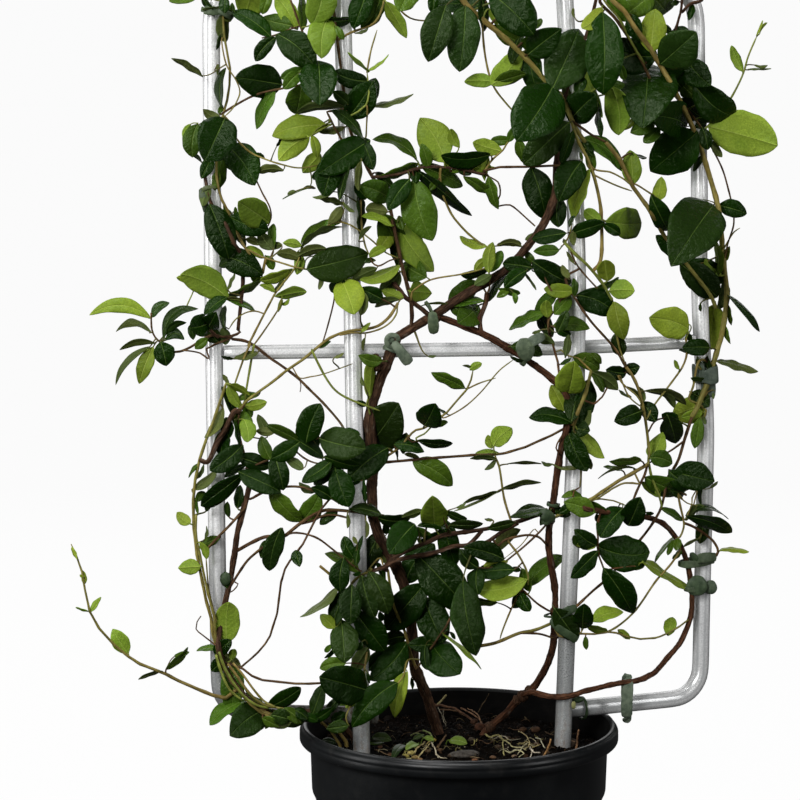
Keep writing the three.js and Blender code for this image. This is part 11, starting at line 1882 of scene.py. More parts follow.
for name, path, R, bore, st, sd in (
    ("outer_frame", OUTER, 7.2, 6.0, stain_and_painted_shade, 1),
    ("left_post", LEFT_POST, 7.2, 6.0, foot_stain(-1), 2),
    ("right_post", RIGHT_POST, 7.2, 6.0, foot_stain(1), 3),
    ("crossbar", CROSSBAR, 6.0, 4.9, stain_and_painted_shade, 4),
):
    bd = Build()
    V, Q, stain = pipe(rounded(path), R, bore, 32, st, sd)
    bd.add(V, Q, stain=stain)
    ob = bd.make(name + "_tube", [STEEL], angle=50)
    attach(ob, "root")
    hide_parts(name)

# ---------------------------------------------------------------- lumps and chips
def turn(rnd):
    q = np.array([rnd.gauss(0, 1) for _ in range(4)])
    q /= np.linalg.norm(q)
    w, x, y, z = q
    return np.array([[1 - 2 * (y * y + z * z), 2 * (x * y - z * w), 2 * (x * z + y * w)], [2 * (x * y + z * w), 1 - 2 * (x * x + z * z), 2 * (y * z - x * w)], [2 * (x * z - y * w), 2 * (y * z + x * w), 1 - 2 * (x * x + y * y)]])


def field(V, seed, freq):
    """Smooth 3-D noise from a few crossed waves."""
    r = random.Random(seed)
    out = np.zeros(len(V))
    amp = 1.0
    for _ in range(5):
        d = np.array([r.gauss(0, 1) for _ in range(3)])
        d /= np.linalg.norm(d)
        e = np.array([r.gauss(0, 1) for _ in range(3)])
        e /= np.linalg.norm(e)
        out += amp * np.sin(V @ d * freq + r.uniform(0, 6.28)) * np.cos(V @ e * freq * 0.8 + r.uniform(0, 6.28))
        freq *= 1.6
        amp *= 0.65
    return out / 2.2


def lump(bd, centre, size, rnd, level=ICO2, rough=0.22, rot=None, **attrs):
    v, f = level
    d = 1 + rough * field(v, rnd.randrange(1 << 30), 2.2)
    V = v * d[:, None] * np.asarray(size, float)
    R = turn(rnd) if rot is None else rot
    bd.add(V @ R.T + np.asarray(centre, float), tris=f, **attrs)


# ---------------------------------------------------------------- pot
def arc(cx, cz, r, a0, a1, n):
    return [(cx + r * math.cos(math.radians(a0 + (a1 - a0) * i / n)), cz + r * math.sin(math.radians(a0 + (a1 - a0) * i / n))) for i in range(n + 1)]


def lathe_solid(profile, segments, close_axis=True):
    """profile from the axis, round the outside, back to the axis."""
    inner = profile[1:-1]
    a = 2 * math.pi * np.arange(segments) / segments
    rings = np.array([[r * np.cos(a), r * np.sin(a), np.full(segments, z)] for r, z in inner]).transpose(0, 2, 1)
    V = rings.reshape(-1, 3)
    m = len(inner)
    i = np.arange(m - 1)[:, None] * segments
    j = np.arange(segments)[None, :]
    j2 = (j + 1) % segments
    Q = np.stack([i + j, i + j2, i + segments + j2, i + segments + j], -1).reshape(-1, 4)
    c0, c1 = len(V), len(V) + 1
    V = np.concatenate([V, [[0, 0, profile[0][1]], [0, 0, profile[-1][1]]]])
    k = np.arange(segments)
    k2 = (k + 1) % segments
    last = (m - 1) * segments
    T = np.concatenate([np.stack([np.full(segments, c0), k2, k], -1), np.stack([np.full(segments, c1), last + k, last + k2], -1)])
    return V, Q, T


def cleaned(ob):
    """Applies the object's modifiers."""
    dg = bpy.context.evaluated_depsgraph_get()
    me = bpy.data.meshes.new_from_object(ob.evaluated_get(dg))
    old = ob.data
    ob.modifiers.clear()
    ob.data = me
    bpy.data.meshes.remove(old)
    return ob


pot_out = [(0, 0), (60, 0.0), (80, 0.0), (94, 0.0)] + arc(94.6, 3.4, 3.4, -90, -12, 5)
for t in np.linspace(0.04, 0.97, 26):
    pot_out.append((98 + (121.5 - 98) * t, 3 + 153 * t))
pot_out += [(121.5, 156), (122.2, 158.2), (123.3, 160.8), (124.2, 162.6), (124.7, 165)]
for z in (170, 178, 186, 194, 200):
    pot_out.append((124.7 + 1.3 * (z - 165) / 39.5, z))
pot_out += [(126.0, 203.2), (126.5, 204.6), (127.6, 205.3), (130.5, 205.5), (132.2, 205.6)]
pot_out += arc(132.4, 208.2, 2.6, -84, -8, 5)
pot_out += [(135.0, 209.3), (135.0, 211.6), (134.75, 212.2), (134.85, 212.9), (134.9, 213.6)]
pot_out += arc(129.6, 213.6, 5.4, 6, 62, 7)
pot_out += arc(130.6, 217.3, 2.7, 66, 118, 4)
pot_out += [(128.7, 219.0), (128.2, 217.5), (127.2, 212.0), (125.4, 206.0), (123.6, 203)]
for z in (196, 188, 180, 172, 166):
    pot_out.append((121.9 + 1.5 * (z - 163.5) / 39.5, z))
pot_out += [(121.6, 162.6), (120.4, 159.6), (118.9, 156.5), (112, 111), (104, 59), (97.2, 12.5), (95.6, 5.4), (94.2, 4.0), (80, 4.0), (60, 4.0), (0, 4)]
V, Q, T = lathe_solid(pot_out, 144)
# a soft plastic moulding is never perfectly round
ang = np.arctan2(V[:, 1], V[:, 0])
rr = np.hypot(V[:, 0], V[:, 1])
grow = 1 + 0.0022 * np.sin(2 * ang + 0.6) * np.clip(V[:, 2] / 220, 0, 1) + 0.0009 * np.sin(5 * ang + 1.1)
grow = np.where(rr > 1, grow, 1)
V[:, 0] *= grow
V[:, 1] *= grow
bd = Build()
dust = 0.22 * np.clip((V[:, 2] - 205) / 12, 0, 1) + 0.14
# inner marks the rim and wall faces inside the pot, which get painted shade.
inner = np.clip((130.5 - rr) / 3.0, 0, 1) * (V[:, 2] > 150) * (rr < 130.6) * np.where(V[:, 2] < 204.5, (rr < 124.2), 1.0)
bd.add(V, Q, T, dust=np.clip(dust, 0, 1), inner=inner)
pot = bd.make("pot_body", [POT], angle=60)
cut = Build()
for i in range(5):
    a = 2 * math.pi * (i + 0.25) / 5
    Vc, Qc, Tc, _, _ = sweep([[68 * math.cos(a), 68 * math.sin(a), z] for z in (-6, 2, 11)], [6, 6, 6], 24)
    cut.add(Vc, Qc, Tc)
cutter = cut.make("pot_drill", [POT])
md = pot.modifiers.new("drill", "BOOLEAN")
md.operation = "DIFFERENCE"
md.solver = "EXACT"
md.object = cutter
cleaned(pot)
bpy.data.objects.remove(cutter)
pot.data.polygons.foreach_set("use_smooth", np.ones(len(pot.data.polygons), bool))
pot.data.set_sharp_from_angle(angle=math.radians(50))
pot.data.materials.clear()
pot.data.materials.append(POT)
pot.data.materials.append(POT_INSIDE_SHADE)
nf = len(pot.data.polygons)
cen, nor_ = np.zeros(nf * 3), np.zeros(nf * 3)
pot.data.polygons.foreach_get("center", cen)
pot.data.polygons.foreach_get("normal", nor_)
cen, nor_ = cen.reshape(-1, 3) / MM, nor_.reshape(-1, 3)
cr = np.hypot(cen[:, 0], cen[:, 1])
# Faces turned into the pot take the darker inside material: painted shade.
inward = (nor_[:, 0] * cen[:, 0] + nor_[:, 1] * cen[:, 1] < -0.2 * cr) & (cr > 80) & (cen[:, 2] > 5) & (cen[:, 2] < 216.5)
pot.data.polygons.foreach_set("material_index", inward.astype(np.int32))
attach(pot, "root")
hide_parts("pot")


# ---------------------------------------------------------------- soil
def ground(x, y):
    """Height of the compost surface."""
    x, y = np.asarray(x, float), np.asarray(y, float)
    P = np.stack([x / 17.0, y / 17.0, np.full_like(x, 1.7)], -1).reshape(-1, 3)
    h = 1.5 * field(P, 31, 1.0).reshape(x.shape)
    P2 = np.stack([x / 5.2, y / 5.2, np.full_like(x, 0.4)], -1).reshape(-1, 3)
    h += 0.95 * field(P2, 32, 1.3).reshape(x.shape)
    P3 = np.stack([x / 2.3, y / 2.3, np.full_like(x, 0.4)], -1).reshape(-1, 3)
    h += 0.55 * field(P3, 33, 1.3).reshape(x.shape)
    r = np.hypot(x, y)
    h += 1.6 * np.exp(-((r - 40) / 45.0) ** 2) - 1.6 * np.clip((r - 104) / 18.0, 0, 1) ** 2
    for cx, cy, up, wd in ((0, 25, 2.5, 18), (-5, -30, 1.6, 16), (86, -18, 1.8, 14), (-85, -18, 1.4, 13), (45, -10, 1.5, 20)):
        h += up * np.exp(-((x - cx) ** 2 + (y - cy) ** 2) / (2 * wd * wd))
    return SOIL_Z + h - 0.6


seg = 150
rad = np.concatenate([[0.0], np.linspace(2.2, 120.5, 62)])
a = 2 * math.pi * np.arange(seg) / seg
rings = []
for r in rad[1:]:
    g = np.random.default_rng(int(r * 10))
    x, y = r * np.cos(a), r * np.sin(a)
    z = ground(x, y) + g.normal(0, 0.28, seg)
    rings.append(np.stack([x, y, z], -1))
rings.append(np.stack([122.1 * np.cos(a), 122.1 * np.sin(a), ground(120 * np.cos(a), 120 * np.sin(a)) - 2.2], -1))
for r, z in ((122.3, 190), (121.2, 163.9), (118.3, 156.9), (96.5, 10), (94.6, 4.6), (60, 4.5)):
    rings.append(np.stack([r * np.cos(a), r * np.sin(a), np.full(seg, z)], -1))
V = np.concatenate(rings)
m = len(rings)
i = np.arange(m - 1)[:, None] * seg
j = np.arange(seg)[None, :]
j2 = (j + 1) % seg
Q = np.stack([i + j, i + seg + j, i + seg + j2, i + j2], -1).reshape(-1, 4)
V = np.concatenate([V, [[0, 0, float(ground(0.0, 0.0))], [0, 0, 4.5]]])
k = np.arange(seg)
k2 = (k + 1) % seg
last = (m - 1) * seg
T = np.concatenate([np.stack([np.full(seg, len(V) - 2), k, k2], -1), np.stack([np.full(seg, len(V) - 1), last + k2, last + k], -1)])
bd = Build()
bd.add(V, Q, T)
soil = bd.make("compost_bed", [SOIL])
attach(soil, "root")
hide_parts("soil")

# crumbs and fibres of the compost
bd = Build()
rnd = random.Random(77)
for i in range(1300):
    r = 119 * math.sqrt(rnd.random())
    t = rnd.uniform(0, 6.283)
    x, y = r * math.cos(t), r * math.sin(t)
    s = rnd.choice([0.7, 0.8, 0.9, 1.1, 1.3, 1.6, 2.1])
    if i % 60 == 0:
        s = rnd.uniform(2.6, 3.8)
    z = float(ground(x, y)) + s * 0.1
    tone = rnd.choice([(0.0050, 0.0032, 0.0020), (0.0080, 0.0048, 0.0028), (0.012, 0.0066, 0.0036), (0.018, 0.0095, 0.0048), (0.0036, 0.0025, 0.0018)])
    q = rnd.random()
    if q < 0.07:
        tone = rnd.choice([(0.075, 0.036, 0.016), (0.10, 0.060, 0.032), (0.060, 0.028, 0.012)])
    elif q < 0.085:
        tone = rnd.choice([(0.22, 0.13, 0.06), (0.26, 0.20, 0.13)])
        s = min(s, 1.0)
    k = rnd.uniform(0.8, 1.25)
    k *= 0.42
    lump(bd, (x, y, z), (s * rnd.uniform(0.8, 1.7), s * rnd.uniform(0.6, 1.0), s * rnd.uniform(0.4, 0.8)), rnd, ICO1 if s < 1.2 else ICO2, 0.42, tone=tuple(c * k for c in tone))
for i in range(260):
    r = 116 * math.sqrt(rnd.random())
    t = rnd.uniform(0, 6.283)
    x, y = r * math.cos(t), r * math.sin(t)
    L = rnd.uniform(5, 19)
    h = rnd.uniform(0, 6.283)
    lift = rnd.uniform(-0.3, 2.5)
    dx, dy = math.cos(h) * L / 2, math.sin(h) * L / 2
    pts = []
    for q, up in ((-1, -1.0), (-0.4, 0.6 + lift * 0.6), (0.3, 0.9 + lift), (1, -0.6 + lift * 0.5)):
        px, py = x + dx * q + rnd.uniform(-1, 1), y + dy * q + rnd.uniform(-1, 1)
        s = min(1.0, 118 / max(1, math.hypot(px, py)))
        pts.append((px * s, py * s, float(ground(px * s, py * s)) + up))
    P = catmull(pts, 2.2)
    r0 = rnd.choice([0.22, 0.28, 0.35, 0.5])
    V, Q, T, u, w = sweep(P, np.linspace(r0, r0 * 0.6, len(P)), 4)
    tone = rnd.choice([(0.045, 0.026, 0.014), (0.022, 0.012, 0.007), (0.075, 0.046, 0.024), (0.13, 0.10, 0.055)]) if rnd.random() < 0.45 else (0.008, 0.005, 0.003)
    bd.add(V, Q, T, tone=tone)
crumbs = bd.make("compost_crumbs", [LITTER])
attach(crumbs, "root")

# straws, roots, sticks, chips and seedlings lying on it; heights are measured from a nominal surface at 201 mm
BITS = json.loads('''{"straw":[[1.15,[0.105,0.055,0.032],[[-3.3,109.9,211.0],[3.7,92.6,213.0],[12.4,80.7,211.0],[20.1,73.7,207.0],[25.5,59.4,204.0]]],[0.8,[0.12,0.07,0.04],[[1.6,106.8,207.0],[10.1,93.3,209.0],[18.8,81.4,207.0],[26.1,52.4,203.0]]],[0.75,[0.17,0.095,0.055],[[21.3,111.6,207.0],[22.3,91.4,209.0],[24.9,75.9,209.0],[29.3,65.3,206.0],[30.4,51.7,203.0]]],[0.55,[0.2,0.12,0.07],[[27.6,111.0,206.0],[28.0,83.0,209.0],[29.8,68.1,208.0],[29.8,58.7,204.0]]],[1.15,[0.36,0.31,0.15],[[0.9,113.5,210.0],[4.5,113.3,214.0],[7.3,109.0,219.0]]],[0.5,[0.17,0.15,0.11],[[-1.7,98.0,211.0],[-2.0,79.9,209.0],[-1.5,66.7,205.0],[-2.0,53.4,202.0]]],[0.45,[0.15,0.13,0.09],[[0.9,86.6,210.0],[-1.1,69.0,208.0],[-0.9,59.7,204.0]]],[0.55,[0.085,0.06,0.035],[[42.6,129.2,203.0],[45.0,117.4,213.0],[44.9,102.5,221.0]]],[0.75,[0.3,0.27,0.115],[[26.4,20.4,202.0],[28.7,4.9,204.0],[35.0,5.8,204.4],[36.1,-6.7,204.0],[32.9,-28.0,203.4],[30.1,-47.6,201.6]]],[0.6,[0.4,0.37,0.19],[[36.6,-8.7,203.6],[38.9,-23.4,204.6],[41.8,-35.2,204.0],[46.4,-37.7,203.6],[50.5,-38.8,202.0]]],[0.6,[0.46,0.43,0.25],[[33.1,-36.1,202.0],[35.9,-47.8,204.0],[41.7,-44.3,204.6],[46.5,-50.4,203.4],[41.6,-53.5,201.8]]],[0.5,[0.44,0.36,0.18],[[58.6,33.4,202.0],[57.8,7.0,205.0],[57.1,-13.9,205.0],[54.7,-30.3,204.0],[48.8,-38.5,202.0]]],[0.55,[0.5,0.46,0.3],[[55.9,-20.2,204.0],[48.1,-37.7,204.4],[41.1,-47.5,202.0]]],[0.55,[0.52,0.5,0.36],[[68.3,7.0,202.0],[67.6,-13.1,204.4],[68.2,-23.1,203.4],[69.1,-27.1,201.8]]],[0.75,[0.62,0.55,0.44],[[56.1,-27.6,202.4],[55.5,-47.4,204.0],[61.1,-45.3,202.4]]],[0.5,[0.58,0.52,0.42],[[56.2,-40.2,203.0],[51.3,-51.6,201.8]]],[0.95,[0.42,0.23,0.095],[[63.1,-52.2,201.5],[65.1,-54.6,208.0],[67.8,-57.5,218.0]]],[0.95,[0.22,0.12,0.065],[[94.0,-35.4,201.2],[94.6,-36.2,210.0],[95.6,-39.2,221.0]]],[0.6,[0.11,0.07,0.045],[[89.3,-17.2,202.0],[92.2,-19.8,206.0],[95.6,-23.8,206.0]]],[0.6,[0.5,0.42,0.2],[[-42.4,-46.7,201.6],[-38.2,-41.6,204.4],[-31.8,-28.1,205.0],[-25.9,-7.3,203.0]]],[0.8,[0.44,0.36,0.17],[[-43.8,-34.7,202.0],[-40.1,-26.8,205.0],[-35.2,-17.3,205.0],[-29.0,0.1,203.0]]],[0.7,[0.56,0.5,0.36],[[-24.9,-6.4,203.6],[-26.0,-28.9,205.0],[-26.4,-41.8,204.0],[-26.2,-50.7,202.0]]],[0.55,[0.5,0.43,0.3],[[-26.9,-44.5,203.0],[-23.4,-54.0,203.6],[-18.8,-51.8,202.0]]],[0.6,[0.36,0.4,0.17],[[-37.0,25.9,203.0],[-33.8,18.6,206.0],[-29.8,16.7,205.0],[-28.2,10.5,203.0]]],[0.7,[0.33,0.4,0.15],[[-27.1,22.9,206.0],[-23.8,16.5,207.0],[-22.0,6.1,205.6],[-23.5,-8.2,204.0]]],[0.6,[0.42,0.33,0.12],[[-21.8,2.0,204.0],[-27.4,-11.6,205.0],[-29.8,-10.1,203.0]]],[0.95,[0.14,0.085,0.045],[[-21.6,-17.7,202.0],[-17.5,-13.6,206.0],[-11.3,-1.7,208.0]]],[0.55,[0.2,0.18,0.06],[[-54.7,-39.7,202.0],[-50.9,-31.4,204.0],[-47.3,-35.3,204.0]]],[1.1,[0.13,0.12,0.035],[[-116.2,33.6,225.0],[-110.0,42.1,221.0],[-104.8,42.4,219.0]]],[0.5,[0.14,0.09,0.05],[[-73.7,-13.3,202.0],[-68.5,-24.8,203.0],[-63.3,-35.1,202.0]]],[0.45,[0.2,0.14,0.08],[[-0.2,-46.4,201.6],[3.6,-53.4,202.4],[10.2,-54.6,201.6]]],[0.45,[0.1,0.055,0.03],[[19.3,5.4,201.6],[22.9,-12.8,203.4],[31.2,-5.0,202.0]]],[0.45,[0.12,0.07,0.04],[[51.6,47.0,201.6],[56.4,35.3,203.4],[65.7,46.9,202.0]]],[0.4,[0.09,0.055,0.03],[[81.9,35.2,201.6],[84.6,18.3,203.0],[92.9,32.7,201.8]]]],"lumps":[[[-2.2,-43.3,202.6],[12.5,7.5,3.6],[0.07,0.062,0.055]],[[-13.5,-45.2,201.8],[4.0,3.0,1.8],[0.06,0.04,0.025]],[[-52.5,-41.6,202.4],[3.6,3.0,2.2],[0.33,0.28,0.075]],[[-46.4,-34.9,203.0],[3.2,2.6,2.0],[0.36,0.3,0.1]],[[-44.7,-45.4,202.2],[2.8,2.4,1.8],[0.24,0.17,0.065]],[[-50.4,-49.6,201.8],[2.6,2.0,1.4],[0.4,0.36,0.16]],[[-41.1,-49.3,201.8],[2.4,2.0,1.4],[0.2,0.12,0.06]],[[-20.7,3.4,203.6],[1.8,1.6,1.4],[0.46,0.34,0.07]],[[-31.5,-31.4,202.4],[2.4,2.0,1.4],[0.1,0.06,0.03]],[[93.7,-16.8,202.6],[5.6,4.0,4.4],[0.06,0.042,0.03]],[[93.4,-1.9,205.0],[2.6,2.2,3.0],[0.1,0.07,0.05]],[[20.2,-50.2,201.8],[3.0,2.4,1.6],[0.1,0.055,0.03]],[[3.8,-57.0,201.6],[3.2,2.4,1.4],[0.15,0.07,0.035]],[[38.1,-49.6,201.8],[2.6,2.0,1.4],[0.17,0.115,0.07]],[[29.1,-25.3,202.0],[3.0,2.4,1.8],[0.055,0.036,0.022]],[[74.8,39.4,202.6],[4.6,3.4,2.8],[0.06,0.032,0.018]],[[63.1,38.3,202.4],[3.6,2.8,2.2],[0.075,0.04,0.022]],[[63.5,-16.8,202.0],[2.6,2.2,1.6],[0.08,0.045,0.025]],[[43.3,3.7,202.0],[2.8,2.2,1.8],[0.05,0.032,0.02]],[[12.2,4.1,202.2],[3.6,2.8,2.2],[0.052,0.04,0.026]],[[-20.9,-28.8,202.2],[2.6,2.2,1.8],[0.085,0.05,0.026]],[[-63.0,-27.6,201.8],[2.4,2.0,1.6],[0.075,0.035,0.018]],[[-68.5,-6.4,201.8],[2.2,1.8,1.4],[0.1,0.05,0.028]],[[25.0,37.1,205.0],[5.0,4.0,4.6],[0.06,0.026,0.015]],[[33.7,41.4,205.4],[4.2,3.6,4.0],[0.07,0.032,0.018]],[[24.0,60.8,204.6],[3.4,3.0,3.0],[0.05,0.024,0.014]]],"seed":[[[-10.4,-11.8,207.0],[3.5,-20.3,206.0],10.5,0.9,"l"],[[-36.5,-14.8,207.0],[-50.3,-32.6,206.0],9.0,0.7,"l"],[[-74.7,3.8,209.0],[-58.4,-2.2,209.0],11.5,0.9,"u"],[[-77.8,-0.5,205.0],[-63.5,4.2,205.0],7.5,0.9,"m"],[[-48.1,-12.5,206.0],[-64.1,-46.2,204.0],9.0,0.8,"d"],[[-39.3,0.1,206.0],[-29.2,3.9,209.0],5.5,0.6,"u"],[[-30.9,-6.3,209.0],[-22.9,-9.9,207.0],6.0,0.5,"l"],[[-104.2,6.4,206.0],[-116.2,5.4,211.0],9.0,0.6,"d"]],"roots":[[-26.5,-16.4,7,6,13],[-43.8,-34.1,6,3,8],[32.2,-4.6,8,6,12],[45.9,-27.3,8,5,14],[62.9,-19.6,7,6,12],[11.4,-28.9,10,5,5],[-60.0,-18.2,8,4,5],[82.3,-5.2,7,7,5]]}''')
bd = Build()
for si, (r, tone, pts) in enumerate(BITS["straw"]):
    P = []
    for x, y, z in pts:
        s = min(1.0, 117.5 / math.hypot(x, y))
        P.append((x * s, y * s, float(ground(x * s, y * s)) + z - 201.0))
    P = catmull(P, 1.3)
    u = along(P)
    R = r * (1 + 0.16 * wobble(si + 700, u / 2.2)) * np.interp(u, [0, u[-1]], [1, 0.7])
    P = P + 0.45 * np.stack([wobble(si * 3 + 760 + q, u / 3.0) for q in range(3)], -1)
    V, Q, T, uu, w = sweep(P, R, 8)
    t = np.array(tone)[None, :] * (1 + 0.28 * wobble(si + 740, uu / 3.0))[:, None]
    bd.add(V, Q, T, tone=t)
rnd = random.Random(41)
for cx, cy, wx, wy, count in BITS["roots"]:
    for i in range(int(count * 0.62)):
        x, y = cx + rnd.gauss(0, wx), cy + rnd.gauss(0, wy)
        h = rnd.uniform(0, 6.283)
        P = []
        for q in range(rnd.choice([4, 5, 6])):
            s = min(1.0, 116 / math.hypot(x, y))
            P.append((x * s, y * s, float(ground(x * s, y * s)) + rnd.uniform(0.2, 3.6)))
            h += rnd.uniform(-0.9, 0.9)
            st = rnd.uniform(2.2, 5.0)
            x, y = x + math.cos(h) * st, y + math.sin(h) * st
        P = catmull(P, 1.2)
        r = rnd.choice([0.24, 0.3, 0.36, 0.5])
        V, Q, T, u, w = sweep(P, np.linspace(r, r * 0.6, len(P)), 5)
        k = rnd.choice([0.16, 0.28, 0.4, 0.55, 0.9, 1.1])
        tone = rnd.choice([(0.48, 0.42, 0.26), (0.40, 0.33, 0.15), (0.54, 0.49, 0.36), (0.30, 0.26, 0.10)])
        bd.add(V, Q, T, tone=tuple(c * k for c in tone))
rnd = random.Random(5)
for c, size, tone in BITS["lumps"]:
    x, y, z = c
    t = rnd.uniform(-0.5, 0.5)
    flat = np.array([[math.cos(t), -math.sin(t), 0], [math.sin(t), math.cos(t), 0], [0, 0, 1.0]])
    lump(bd, (x, y, float(ground(x, y)) + z - 201.0), size, rnd, ICO4 if size[0] > 8 else ICO3, 0.24, rot=flat, tone=tone)
litter = bd.make("surface_litter", [LITTER])
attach(litter, "root")

# seedling leaves and fallen leaves on the compost: base, tip, width, lean, kind
bd = Build()
for n_, (b, t, w, lean, kind) in enumerate(BITS["seed"]):
    rnd = random.Random(600 + n_)
    base = np.array([b[0], b[1], float(ground(b[0], b[1])) + b[2] - 201.0])
    tip = np.array([t[0], t[1], float(ground(t[0], t[1])) + t[2] - 201.0])
    ax = tip - base
    L = float(np.linalg.norm(ax))
    ax = ax / L
    side = unit(np.cross([-0.15, -0.6, 1.0], ax))
    nrm = np.cross(ax, side)
    if nrm[2] < 0:
        side, nrm = -side, -nrm
    V, Q, blade, tt, ss, _ = leaf_mesh(L, w, rnd, kind, 0.0)
    up = {"l": (0.145, 0.215, 0.036), "u": (0.050, 0.075, 0.022), "d": (0.012, 0.026, 0.006), "m": (0.060, 0.120, 0.014)}[kind]
    nn = ROWS * NC
    tone = np.concatenate([np.tile(up, (nn, 1)), np.tile(np.array(up) * 0.8, (nn, 1))])
    bd.add(base + V[:, :1] * ax + V[:, 1:2] * side + V[:, 2:] * nrm, flip_if_inward(V, Q), mat=2 if kind == "l" else 3, tone=tone, blade=blade, big=0.6)
    root = np.array([base[0] - 2, base[1] + 4, float(ground(base[0] - 2, base[1] + 4)) - 1])
    P = bezier(root, root + np.array([0, 0, 3.0]), base - ax * 2, base + ax * 1.5, 6)
    Vs, Qs, Ts, _, _ = sweep(P, np.linspace(0.6, 0.45, 6), 6)
    bd.add(Vs, Qs, Ts, mat=2, tone=np.array(up) * 0.9, blade=(0, 5, 1), big=0.0)
seed = bd.make("seedlings", LEAF_MATS)
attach(seed, "root")


# ---------------------------------------------------------------- soft ties
TIES = json.loads('''[{"name":"tie_arc_rail","c":[147.12,10.77,228.26],"ax":[-0.9704,-0.2413,-0.0026],"e1":[-0.0027,0.0,1.0],"e2":[-0.2413,0.9704,-0.0006],"h":11.0,"circ":[[0.0,0.0,7.2],[-0.0,-0.0,7.2],[0.0,-0.0,7.2],[25.11,-21.98,2.4],[25.61,-20.62,2.4]]},{"name":"tie_rail_post","c":[106.9,0.7,228.33],"ax":[-0.9694,-0.2453,0.0078],"e1":[0.008,-0.0,1.0],"e2":[-0.2453,0.9695,0.002],"h":7.0,"circ":[[0.0,0.0,7.2],[-0.0,-0.0,7.2],[0.0,-0.0,7.2]]},{"name":"tie_right_low","c":[89.92,-17.89,314.06],"ax":[0.0371,0.0049,0.9993],"e1":[0.9993,0.0,-0.0371],"e2":[-0.0002,1.0,-0.0049],"h":9.0,"circ":[[0.0,0.0,7.2],[-0.0,-0.0,7.2],[0.0,-0.0,7.2],[-11.78,-1.27,2.95],[-1.93,-13.2,0.99],[-18.87,-8.76,1.01],[1.03,-10.35,1.1]]},{"name":"tie_trunk","c":[-60.53,-21.0,540.63],"ax":[0.3514,0.0,0.9362],"e1":[0.9362,0.0,-0.3514],"e2":[-0.0,1.0,0.0],"h":8.0,"circ":[[0.0,0.0,4.74],[0.0,0.0,4.74],[-0.0,0.0,4.74]]},{"name":"tie_main_branch","c":[-25.95,-22.07,569.1],"ax":[0.8543,-0.0296,0.5189],"e1":[0.5191,0.0,-0.8547],"e2":[0.0253,0.9996,0.0154],"h":9.0,"circ":[[0.0,0.0,3.85],[-0.0,-0.0,3.86],[-1.14,-3.02,2.03],[-8.73,-3.66,2.0]]},{"name":"tie_right_post_a","c":[218.95,28.65,348.35],"ax":[-0.0123,-0.0028,-0.9999],"e1":[-0.9999,0.0,0.0123],"e2":[-0.0,1.0,-0.0028],"h":9.5,"circ":[[0.0,0.0,7.2],[-0.0,0.0,7.2],[0.0,0.0,7.2],[16.49,-14.78,2.33],[21.34,-16.02,2.33]]},{"name":"tie_right_post_b","c":[218.68,28.59,326.07],"ax":[-0.0123,-0.0028,-0.9999],"e1":[-0.9999,0.0,0.0123],"e2":[-0.0,1.0,-0.0028],"h":11.0,"circ":[[0.0,0.0,7.2],[0.0,0.0,7.2],[0.0,-0.0,7.2],[0.0,-0.0,7.2],[12.81,-13.97,2.34],[15.02,-14.46,2.34]]},{"name":"tie_branch_bar","c":[50.82,-25.36,531.19],"ax":[-0.8212,0.1085,0.5602],"e1":[0.5635,-0.0,0.8261],"e2":[0.0896,0.9941,-0.0612],"h":12.0,"circ":[[0.0,0.0,3.09],[-0.0,0.0,3.11]]},{"name":"tie_right_post_c","c":[217.13,28.2,511.11],"ax":[0.0761,0.0163,-0.997],"e1":[-0.9971,0.0,-0.0761],"e2":[-0.0012,0.9999,0.0163],"h":16.0,"circ":[[0.0,0.0,7.2],[-0.0,0.0,7.2],[0.07,-0.0,7.2],[-4.77,-13.53,1.81],[2.23,-15.25,1.83]]},{"name":"tie_right_cross","c":[74.95,-26.18,409.16],"ax":[0.1243,-0.0759,0.9893],"e1":[0.9922,0.0,-0.1247],"e2":[0.0095,0.9971,0.0753],"h":9.0,"circ":[[0.0,0.0,2.92],[-0.0,-0.0,2.93]]},{"name":"tie_left_top","c":[-203.85,-3.3,816.09],"ax":[0.1963,0.0,0.9806],"e1":[0.9806,0.0,-0.1963],"e2":[-0.0,1.0,0.0],"h":9.0,"circ":[[0.0,0.0,7.2],[-0.0,0.0,7.2],[9.06,-13.7,1.01],[6.75,-13.8,0.99]]},{"name":"tie_left_mid","c":[-205.71,-3.3,664.92],"ax":[0.0018,0.0,1.0],"e1":[1.0,0.0,-0.0018],"e2":[-0.0,1.0,0.0],"h":12.0,"circ":[[0.0,0.0,7.2],[-0.0,0.0,7.2],[0.0,0.0,7.2],[-4.9,-14.7,1.52],[10.42,-14.32,1.21]]},{"name":"tie_left_low","c":[-203.89,-3.3,338.39],"ax":[-0.0093,0.0,1.0],"e1":[1.0,-0.0,0.0093],"e2":[0.0,1.0,0.0],"h":11.0,"circ":[[0.0,0.0,7.2],[5.28,-12.28,2.54],[12.7,-13.7,0.95]]}]''')


def hull(circles, extra, count):
    """Outline of a strap pulled round a set of circles: outer support points, evenly turned."""
    out = []
    for k in range(count):
        a = 2 * math.pi * (k + 0.5) / count
        nx, ny = math.cos(a), math.sin(a)
        s = [x * nx + y * ny + r for x, y, r in circles]
        x, y, r = circles[int(np.argmax(s))]
        out.append((x + nx * (r + extra), y + ny * (r + extra)))
    return np.array(out)


def resample(loop, n):
    loop = np.concatenate([loop, loop[:1]])
    d = along(loop)
    t = np.linspace(0, d[-1], n, endpoint=False)
    return np.stack([np.interp(t, d, loop[:, k]) for k in range(loop.shape[1])], -1)


